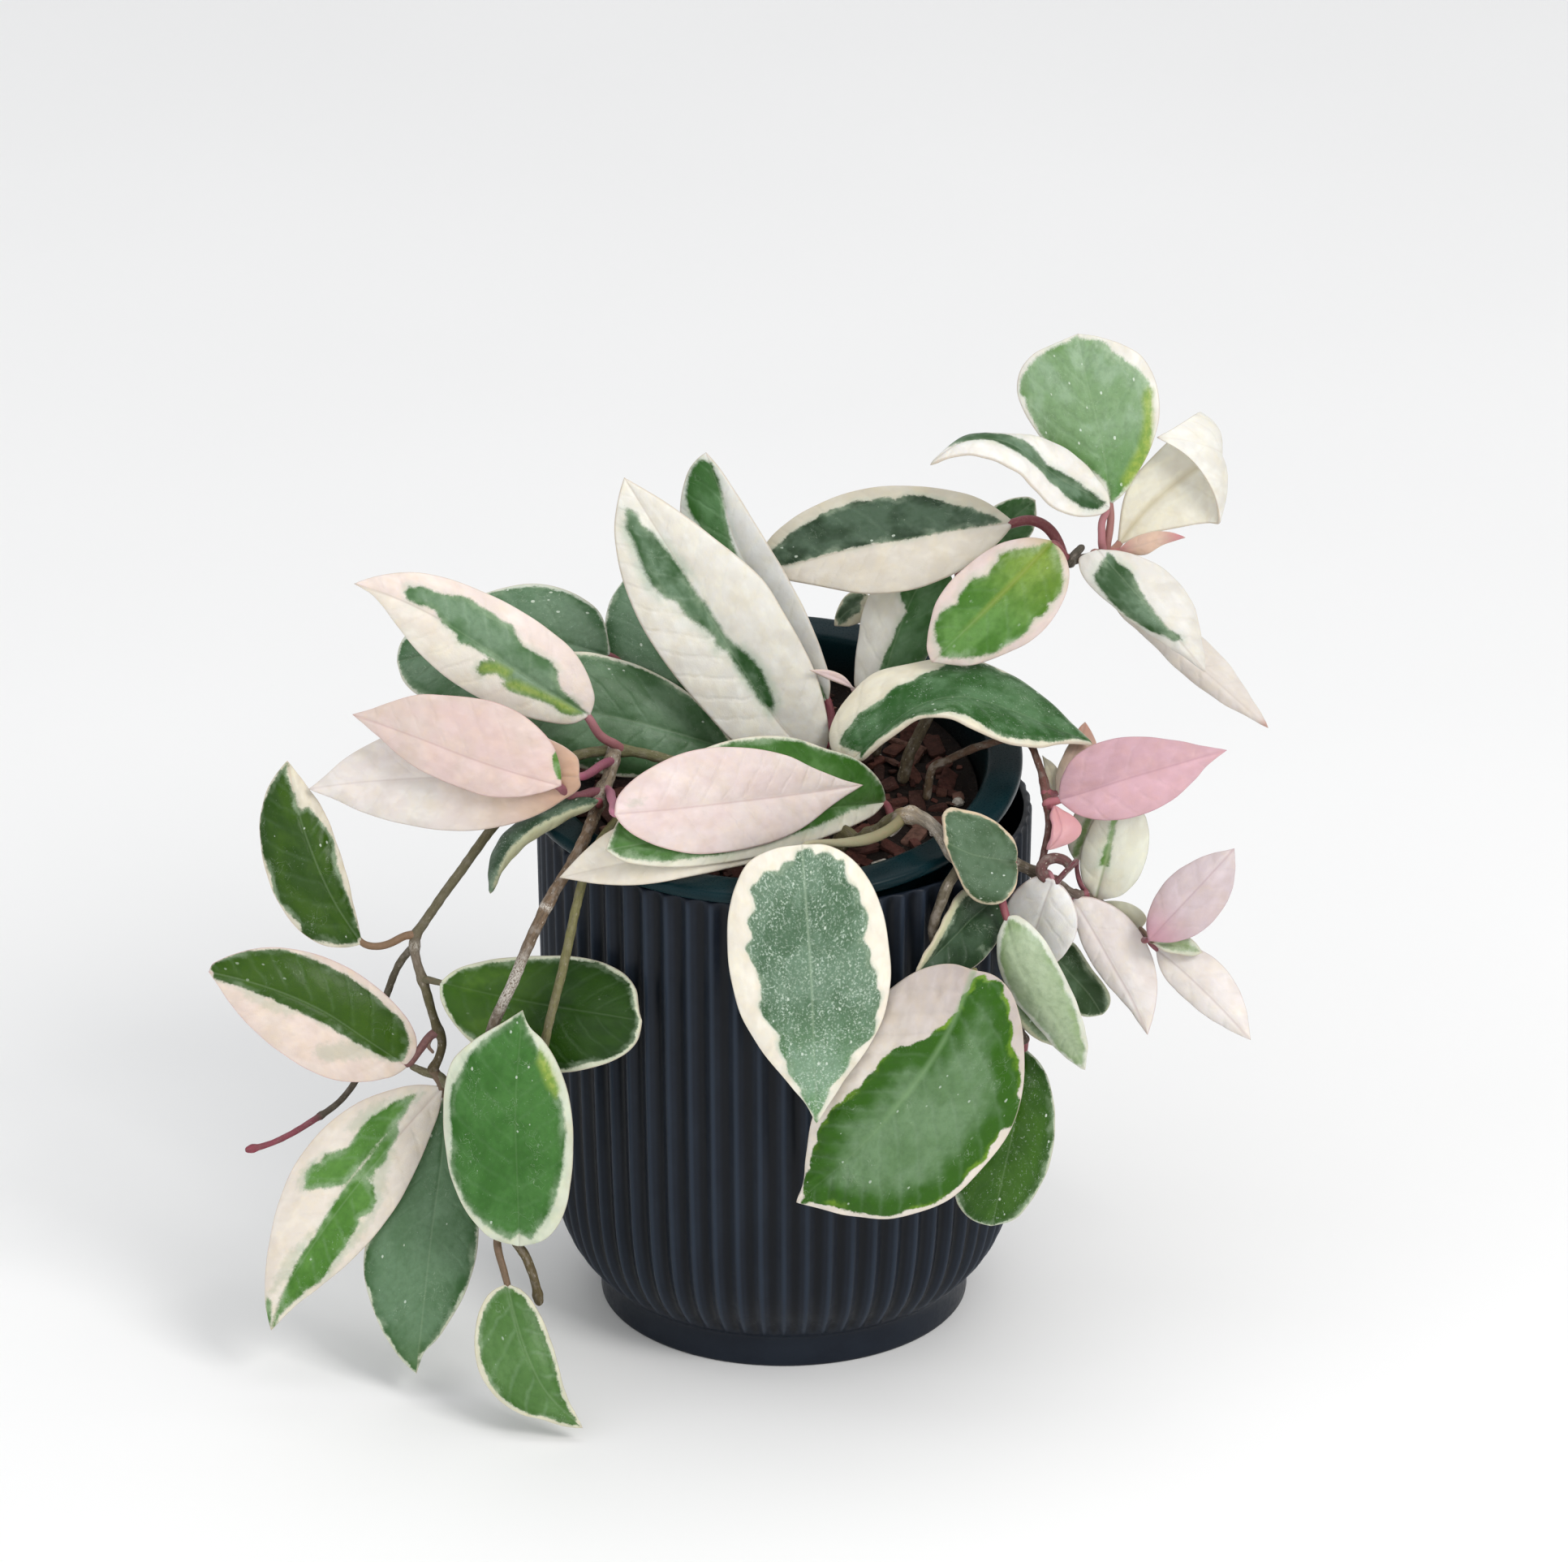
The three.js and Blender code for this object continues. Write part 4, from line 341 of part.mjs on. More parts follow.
    blade: [[[88.1,-15.5,150.4],[88.1,-15.5,150.4],[88.1,-15.5,150.4]],[[87.3,-15.4,151.5],[88.5,-15.7,151.5],[89.2,-15.6,151.2]],[[86.3,-15.5,153.0],[89.0,-16.1,153.0],[90.8,-15.9,152.2]],[[85.5,-15.5,155.3],[89.8,-16.4,155.0],[92.7,-16.1,153.8]],[[85.4,-15.3,158.0],[90.6,-16.7,157.1],[94.5,-16.2,155.9]],[[85.8,-15.1,160.6],[91.2,-16.8,159.2],[96.1,-16.2,158.2]],[[86.4,-14.9,163.1],[91.9,-16.9,161.3],[97.4,-16.1,160.7]],[[87.1,-14.7,165.6],[92.5,-16.8,163.4],[98.6,-15.8,163.2]],[[88.2,-14.5,167.8],[93.0,-16.6,165.2],[99.4,-15.6,165.5]],[[89.9,-14.6,169.3],[93.6,-16.4,167.0],[99.6,-15.2,167.9]],[[91.7,-14.9,170.0],[94.1,-16.2,168.4],[98.2,-15.2,169.4]],[[93.5,-15.2,170.5],[94.5,-15.9,169.9],[96.3,-15.4,170.2]],[[94.9,-15.6,170.9],[94.9,-15.6,170.9],[94.9,-15.6,170.9]]] },
  leaf_right_rose: { color: 0xe2c3c4,
    stalk: [[81.2,-25.5,175.1],[82.1,-26.0,175.4]],
    blade: [[[82.1,-26.0,175.4],[82.1,-26.0,175.4],[82.1,-26.0,175.4]],[[82.4,-25.0,178.4],[84.6,-26.7,176.6],[84.4,-27.3,173.9]],[[83.1,-24.0,182.4],[87.9,-27.6,178.1],[87.6,-29.1,172.3]],[[85.9,-22.8,187.2],[92.5,-28.4,180.1],[92.7,-30.8,171.3]],[[90.7,-22.1,191.1],[97.5,-29.1,182.1],[98.6,-31.9,171.5]],[[96.4,-21.9,193.5],[102.5,-29.4,184.1],[104.4,-32.4,172.8]],[[102.5,-22.2,194.6],[107.5,-29.5,185.8],[110.0,-32.3,174.8]],[[108.6,-22.7,194.9],[112.5,-29.4,187.3],[115.3,-31.7,177.5]],[[114.2,-23.4,194.6],[117.1,-29.0,188.6],[119.5,-30.6,180.8]],[[119.8,-24.2,193.8],[121.8,-28.3,189.8],[123.3,-29.2,184.3]],[[124.3,-24.8,192.9],[125.6,-27.6,190.6],[126.2,-27.9,187.4]],[[128.8,-25.4,192.3],[129.4,-26.8,191.4],[129.5,-26.7,190.2]],[[132.4,-26.0,192.0],[132.4,-26.0,192.0],[132.4,-26.0,192.0]]] },
  leaf_right_rose_small: { color: 0xe2c3c4,
    stalk: [[80.4,-27.3,174.4],[80.6,-27.6,174.6]],
    blade: [[[80.6,-27.6,174.6],[80.6,-27.6,174.6],[80.6,-27.6,174.6]],[[81.7,-27.5,173.9],[80.9,-28.3,174.1],[80.4,-28.8,174.4]],[[83.2,-27.8,173.1],[81.3,-29.2,173.5],[80.0,-30.1,174.1]],[[85.1,-28.4,172.0],[81.8,-30.4,172.6],[79.6,-31.6,173.4]],[[87.1,-29.1,170.8],[82.2,-31.7,171.6],[79.6,-33.1,172.6]],[[88.8,-30.2,169.3],[82.5,-32.8,170.5],[79.9,-34.4,171.7]],[[89.1,-31.6,167.4],[82.6,-33.9,169.3],[80.0,-35.5,170.7]],[[87.5,-32.9,165.9],[82.2,-35.0,168.2],[80.0,-36.4,169.6]],[[85.6,-34.0,165.0],[81.4,-35.7,167.3],[79.8,-37.1,168.5]],[[83.4,-34.9,164.6],[80.5,-36.4,166.5],[79.4,-37.6,167.4]],[[81.6,-35.8,164.5],[79.7,-36.9,165.8],[79.0,-37.8,166.4]],[[79.8,-36.7,164.5],[78.9,-37.4,165.1],[78.6,-37.9,165.4]],[[78.3,-37.7,164.5],[78.3,-37.7,164.5],[78.3,-37.7,164.5]]] },
  leaf_right_pale_tip: { color: 0xe2c3c4,
    stalk: [[80.0,-20.4,175.1],[81.3,-19.0,173.8]],
    blade: [[[81.3,-19.0,173.8],[81.3,-19.0,173.8],[81.3,-19.0,173.8]],[[81.4,-17.9,174.7],[81.9,-18.2,174.7],[82.8,-18.2,174.0]],[[81.4,-16.4,175.8],[82.6,-17.0,175.7],[84.7,-17.2,174.2]],[[81.4,-14.5,177.4],[83.5,-15.4,177.2],[87.3,-15.8,174.6]],[[81.9,-12.3,179.1],[84.6,-13.5,178.7],[89.7,-13.9,175.7]],[[82.8,-10.2,180.7],[85.6,-11.5,180.2],[91.7,-11.8,177.2]],[[83.9,-8.1,182.2],[86.6,-9.5,181.7],[93.3,-9.6,179.0]],[[85.1,-6.0,183.7],[87.6,-7.3,183.1],[94.1,-7.2,181.0]],[[86.2,-4.1,185.0],[88.4,-5.3,184.4],[94.2,-5.0,183.0]],[[87.4,-2.1,186.2],[89.2,-3.1,185.8],[93.8,-2.7,184.9]],[[88.5,-0.5,187.2],[89.7,-1.2,186.8],[92.9,-0.9,186.3]],[[89.7,0.9,188.0],[90.3,0.6,187.9],[91.7,0.8,187.7]],[[90.8,2.1,188.7],[90.8,2.1,188.7],[90.8,2.1,188.7]]] },
  leaf_right_dark_back: { color: 0x3c6436,
    stalk: [[90.9,-26.3,139.7],[84.5,-23.0,136.7],[78.9,-20.0,124.4]],
    blade: [[[78.9,-20.0,124.4],[78.9,-20.0,124.4],[78.9,-20.0,124.4]],[[80.6,-19.5,124.8],[79.8,-20.4,123.5],[79.1,-20.4,122.9]],[[82.8,-18.9,125.5],[81.0,-20.9,122.3],[79.2,-21.1,120.9]],[[86.0,-18.4,125.7],[82.7,-21.5,120.5],[79.5,-21.9,118.1]],[[88.8,-18.8,123.5],[84.5,-22.1,118.5],[80.3,-22.7,115.1]],[[90.8,-19.5,120.6],[86.4,-22.4,116.5],[81.5,-23.3,112.1]],[[92.7,-20.1,117.6],[88.3,-22.6,114.4],[83.0,-23.8,109.3]],[[94.9,-20.6,114.7],[90.2,-22.7,112.3],[85.1,-24.1,106.8]],[[96.9,-20.9,112.0],[91.8,-22.7,110.2],[87.3,-24.2,104.7]],[[98.5,-21.3,109.0],[93.3,-22.6,107.9],[89.8,-24.0,103.0]],[[98.9,-21.6,106.3],[94.4,-22.4,105.9],[92.1,-23.5,102.2]],[[97.8,-21.9,103.8],[95.5,-22.2,103.9],[94.5,-22.7,102.2]],[[96.3,-22.0,102.2],[96.3,-22.0,102.2],[96.3,-22.0,102.2]]] },
  leaf_left_upright_dark: { color: 0x3c6436,
    stalk: [[-112.7,-39.2,137.4],[-113.8,-39.6,137.3],[-116.7,-41.1,135.8],[-121.1,-42.1,134.7],[-126.4,-42.0,135.4]],
    blade: [[[-126.4,-42.0,135.4],[-126.4,-42.0,135.4],[-126.4,-42.0,135.4]],[[-130.2,-42.4,134.6],[-128.0,-41.9,138.2],[-127.0,-41.0,138.2]],[[-135.2,-42.8,134.7],[-130.1,-41.7,141.8],[-127.6,-40.0,142.1]],[[-141.8,-42.3,137.1],[-132.9,-41.1,146.6],[-128.8,-38.4,147.4]],[[-147.5,-40.7,141.9],[-135.7,-40.0,151.9],[-130.2,-36.6,153.0]],[[-151.7,-38.4,147.9],[-138.2,-38.5,157.2],[-131.7,-34.7,158.5]],[[-154.6,-35.8,154.4],[-140.4,-36.5,162.4],[-133.5,-32.6,163.9]],[[-156.5,-32.8,161.2],[-142.5,-34.2,167.5],[-135.6,-30.3,169.1]],[[-157.2,-30.0,167.6],[-144.3,-31.8,172.0],[-138.0,-28.2,173.6]],[[-156.3,-27.1,173.9],[-145.8,-29.0,176.5],[-140.8,-26.1,177.8]],[[-154.6,-24.6,178.8],[-146.9,-26.4,180.1],[-143.7,-24.3,180.8]],[[-151.7,-22.5,183.3],[-147.9,-23.7,183.7],[-146.5,-22.6,183.9]],[[-148.7,-21.4,186.4],[-148.7,-21.4,186.4],[-148.7,-21.4,186.4]]] },
  leaf_left_half_green: { color: 0x5f8a55,
    stalk: [[-106.1,-46.0,107.6],[-107.8,-47.1,105.2],[-110.7,-48.6,101.6],[-113.1,-50.0,98.5]],
    blade: [[[-113.1,-50.0,98.5],[-113.1,-50.0,98.5],[-113.1,-50.0,98.5]],[[-110.9,-49.0,102.0],[-115.9,-50.7,100.9],[-116.1,-51.6,96.8]],[[-110.5,-47.8,107.6],[-119.5,-51.5,104.0],[-120.7,-53.6,96.0]],[[-114.1,-46.3,114.4],[-124.5,-52.3,108.1],[-127.3,-55.5,96.0]],[[-119.8,-45.2,120.8],[-129.9,-52.7,112.6],[-134.6,-56.8,97.3]],[[-126.5,-44.4,126.1],[-135.3,-52.9,116.8],[-141.5,-57.2,100.2]],[[-133.8,-43.9,130.5],[-141.1,-52.9,120.4],[-147.8,-56.9,104.2]],[[-141.7,-43.8,133.6],[-147.1,-52.7,123.3],[-153.8,-56.2,108.7]],[[-149.3,-44.1,135.3],[-152.8,-52.4,125.5],[-158.8,-55.2,113.1]],[[-157.1,-45.0,135.7],[-158.6,-51.9,127.3],[-163.4,-53.8,118.0]],[[-163.2,-46.1,134.8],[-163.4,-51.4,128.5],[-166.7,-52.4,122.2]],[[-169.1,-47.8,132.9],[-168.3,-50.7,129.4],[-169.7,-51.0,126.6]],[[-172.1,-50.0,130.1],[-172.1,-50.0,130.1],[-172.1,-50.0,130.1]]] },
  leaf_left_low_cream: { color: 0xe6e2d6,
    stalk: [[-104.0,-49.9,94.6],[-102.5,-50.7,92.3]],
    blade: [[[-102.5,-50.7,92.3],[-102.5,-50.7,92.3],[-102.5,-50.7,92.3]],[[-107.7,-50.0,92.5],[-105.4,-52.4,89.3],[-103.1,-52.1,87.9]],[[-114.7,-49.9,91.8],[-109.4,-54.5,85.3],[-104.6,-54.3,82.3]],[[-123.9,-50.6,88.9],[-114.8,-57.1,79.6],[-107.7,-57.0,74.8]],[[-133.2,-51.9,84.0],[-120.7,-59.7,73.2],[-111.5,-59.7,66.8]],[[-141.0,-53.9,77.1],[-126.5,-61.9,66.5],[-115.8,-62.2,58.9]],[[-147.3,-56.3,68.9],[-132.2,-63.9,59.5],[-121.1,-64.3,51.4]],[[-151.8,-59.0,59.6],[-137.8,-65.5,52.3],[-127.4,-65.9,44.5]],[[-154.4,-61.6,50.5],[-142.7,-66.8,45.3],[-133.6,-67.1,38.5]],[[-155.9,-64.2,41.1],[-147.4,-67.9,38.1],[-140.2,-67.9,32.9]],[[-156.7,-66.1,33.2],[-150.9,-68.5,31.8],[-145.9,-68.3,28.4]],[[-156.2,-68.2,25.4],[-153.4,-69.3,25.1],[-151.1,-69.0,23.6]],[[-154.8,-69.8,19.5],[-154.8,-69.8,19.5],[-154.8,-69.8,19.5]]] },
  leaf_left_low_grey: { color: 0x5f8a55,
    stalk: [[-103.9,-48.1,94.7],[-103.7,-48.0,94.5],[-101.8,-48.2,89.2]],
    blade: [[[-101.8,-48.2,89.2],[-101.8,-48.2,89.2],[-101.8,-48.2,89.2]],[[-104.0,-49.3,84.9],[-102.0,-50.0,85.3],[-100.5,-49.3,84.8]],[[-106.8,-51.0,79.3],[-102.3,-52.2,80.1],[-98.7,-51.0,79.2]],[[-110.9,-53.4,71.9],[-102.8,-55.3,72.9],[-96.3,-53.5,71.5]],[[-115.8,-56.0,63.9],[-103.8,-58.4,65.0],[-93.9,-56.4,63.1]],[[-120.4,-58.7,55.9],[-104.9,-61.4,57.0],[-92.2,-59.3,54.5]],[[-125.1,-61.4,47.9],[-106.0,-64.2,49.0],[-92.0,-62.3,45.8]],[[-127.1,-64.5,39.1],[-106.9,-66.9,40.8],[-93.7,-65.3,37.3]],[[-125.6,-67.5,30.9],[-107.8,-69.2,33.3],[-96.7,-68.0,29.8]],[[-122.6,-70.3,23.1],[-108.8,-71.5,25.7],[-100.8,-70.5,22.9]],[[-119.3,-72.5,17.0],[-109.5,-73.2,19.4],[-104.9,-72.3,17.5]],[[-115.1,-74.6,11.6],[-110.3,-74.9,13.1],[-109.6,-74.0,12.9]],[[-111.0,-76.1,8.2],[-111.0,-76.1,8.2],[-111.0,-76.1,8.2]]] },
  leaf_left_low_green: { color: 0x5f8a55,
    stalk: [[-78.6,-76.9,61.4],[-78.8,-78.2,57.0],[-79.2,-81.0,53.9]],
    blade: [[[-79.2,-81.0,53.9],[-79.2,-81.0,53.9],[-79.2,-81.0,53.9]],[[-83.7,-81.7,55.4],[-79.2,-81.6,58.2],[-75.1,-81.8,55.1]],[[-89.2,-82.6,58.7],[-79.3,-82.4,63.9],[-70.0,-82.8,58.1]],[[-94.8,-82.4,65.7],[-79.3,-82.9,71.4],[-65.8,-82.7,65.1]],[[-98.8,-81.7,74.6],[-79.4,-83.3,79.5],[-63.9,-82.0,73.8]],[[-100.8,-80.5,84.1],[-79.6,-83.3,87.3],[-62.8,-81.2,82.6]],[[-101.6,-79.1,93.7],[-79.7,-82.9,95.0],[-62.7,-80.2,91.4]],[[-101.4,-77.6,103.3],[-79.5,-82.2,102.5],[-63.5,-79.1,100.1]],[[-99.5,-76.2,111.8],[-79.1,-81.2,109.2],[-65.2,-78.1,107.8]],[[-93.9,-75.6,118.5],[-78.6,-79.9,115.7],[-68.2,-77.1,115.0]],[[-88.2,-75.6,122.8],[-78.2,-78.8,121.0],[-71.6,-76.6,120.5]],[[-82.1,-75.7,126.6],[-77.8,-77.2,126.1],[-76.0,-76.3,125.2]],[[-77.5,-76.0,130.0],[-77.5,-76.0,130.0],[-77.5,-76.0,130.0]]] },
  leaf_left_behind_green: { color: 0x3c6436,
    stalk: [[-106.6,-45.6,125.7],[-105.0,-47.0,125.4],[-103.0,-48.0,125.6]],
    blade: [[[-103.0,-48.0,125.6],[-103.0,-48.0,125.6],[-103.0,-48.0,125.6]],[[-100.3,-47.2,128.0],[-100.0,-49.0,125.4],[-103.0,-50.2,122.1]],[[-96.0,-46.9,130.5],[-96.0,-50.5,125.1],[-101.0,-53.2,117.9]],[[-89.5,-47.3,132.6],[-90.4,-52.4,124.7],[-96.6,-57.0,113.0]],[[-82.1,-48.4,134.2],[-84.3,-54.7,124.4],[-90.2,-60.8,109.1]],[[-74.7,-49.9,135.5],[-78.2,-57.2,124.2],[-82.9,-64.2,106.6]],[[-67.3,-51.9,136.5],[-72.2,-59.7,124.2],[-75.0,-67.2,105.4]],[[-59.9,-54.5,137.0],[-66.0,-62.4,124.3],[-66.8,-69.6,106.0]],[[-53.4,-57.5,136.6],[-60.5,-64.9,124.4],[-59.3,-71.4,108.1]],[[-47.5,-61.3,134.8],[-54.9,-67.5,124.7],[-52.1,-72.9,111.2]],[[-44.2,-65.5,132.0],[-50.3,-69.9,125.0],[-46.7,-73.9,114.9]],[[-43.3,-70.1,128.2],[-45.7,-72.1,125.3],[-43.1,-74.0,120.4]],[[-42.2,-74.0,125.6],[-42.2,-74.0,125.6],[-42.2,-74.0,125.6]]] },
  leaf_left_low_small: { color: 0x5f8a55,
    stalk: [[-85.6,-76.9,56.2],[-86.1,-77.1,56.0],[-85.6,-79.7,51.3],[-84.1,-82.0,47.0],[-82.9,-84.0,42.9]],
    blade: [[[-82.9,-84.0,42.9],[-82.9,-84.0,42.9],[-82.9,-84.0,42.9]],[[-86.0,-84.6,41.6],[-82.3,-85.8,41.1],[-80.6,-84.4,42.0]],[[-89.4,-86.3,39.1],[-81.4,-88.1,38.6],[-77.6,-85.5,40.8]],[[-91.9,-89.1,34.2],[-80.1,-91.0,35.2],[-74.8,-87.5,37.7]],[[-92.8,-92.3,28.3],[-78.7,-93.8,31.3],[-72.3,-89.8,33.9]],[[-92.2,-95.5,22.3],[-77.1,-96.4,27.3],[-70.3,-92.0,29.9]],[[-89.7,-98.3,16.7],[-75.2,-98.6,23.3],[-68.6,-94.2,25.7]],[[-85.3,-100.6,12.0],[-73.1,-100.5,19.2],[-67.5,-96.4,21.3]],[[-80.1,-102.2,8.8],[-70.7,-101.9,15.5],[-66.2,-98.3,17.2]],[[-74.1,-102.8,7.3],[-67.7,-102.9,12.2],[-64.9,-100.1,13.2]],[[-69.2,-103.3,5.8],[-65.0,-103.4,9.5],[-63.4,-101.5,9.9]],[[-64.2,-103.8,4.8],[-62.3,-103.8,6.8],[-61.7,-102.8,6.9]],[[-60.3,-104.0,4.6],[-60.3,-104.0,4.6],[-60.3,-104.0,4.6]]] },
};

function build() {
  const object = new THREE.Group();
  object.name = 'potted_krimson_queen_hoya';
  object.add(planter(), linerPot(), pottingMix());
  for (const [name, { parts, color }] of Object.entries(STEMS)) {
    let s = null;
    for (const part of parts) {
      const next = part.blade ? solid(leafSkin(part.stalk, part.blade)) : solid(stemSkin(part.path, part.r[0], part.r[1], part.steps));
      s = s ? s.add(next) : next;
    }
    object.add(fromSolid(name, s, color, 0.7));
  }
  for (const [name, { stalk, blade, color }] of Object.entries(LEAVES)) {
    const [v, t] = leafSkin(stalk, blade);
    object.add(mesh(name, v, t, color, 0.4));
  }
  return object;
}

export default build();
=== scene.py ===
import math
import random

import bpy
import numpy as np
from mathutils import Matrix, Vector, noise


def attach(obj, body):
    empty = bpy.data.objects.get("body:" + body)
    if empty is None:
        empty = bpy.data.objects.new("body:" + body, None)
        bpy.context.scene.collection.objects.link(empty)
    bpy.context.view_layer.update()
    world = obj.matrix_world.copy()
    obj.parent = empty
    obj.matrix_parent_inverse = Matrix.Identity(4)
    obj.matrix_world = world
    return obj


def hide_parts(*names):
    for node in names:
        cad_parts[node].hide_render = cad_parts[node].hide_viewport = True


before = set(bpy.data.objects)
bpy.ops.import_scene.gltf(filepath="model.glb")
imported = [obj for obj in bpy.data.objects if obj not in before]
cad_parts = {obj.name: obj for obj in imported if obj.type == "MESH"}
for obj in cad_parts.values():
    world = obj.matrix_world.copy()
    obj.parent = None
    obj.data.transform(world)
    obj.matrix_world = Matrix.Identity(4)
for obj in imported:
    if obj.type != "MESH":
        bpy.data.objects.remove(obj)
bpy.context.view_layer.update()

MM = 0.001

# ---------------------------------------------------------------- dimensions, mm
PLANTER_RIM_R = 75.0
PLANTER_H = 163.0
PLANTER_FOOT_R = 56.4
RIBS = 64
GROOVE = 1.80          # depth of the grooves between the ribs
LIP_R = 77.0
LINER_H = 145.0
TILT = math.radians(9.5)
LIP_CENTRE = np.array([-5.0, 0.0, 179.9])
MIX_DROP = 13.5
LEAF_T = 0.62          # half thickness of a blade
FACE = np.array([0.0, -0.91, 0.4147])

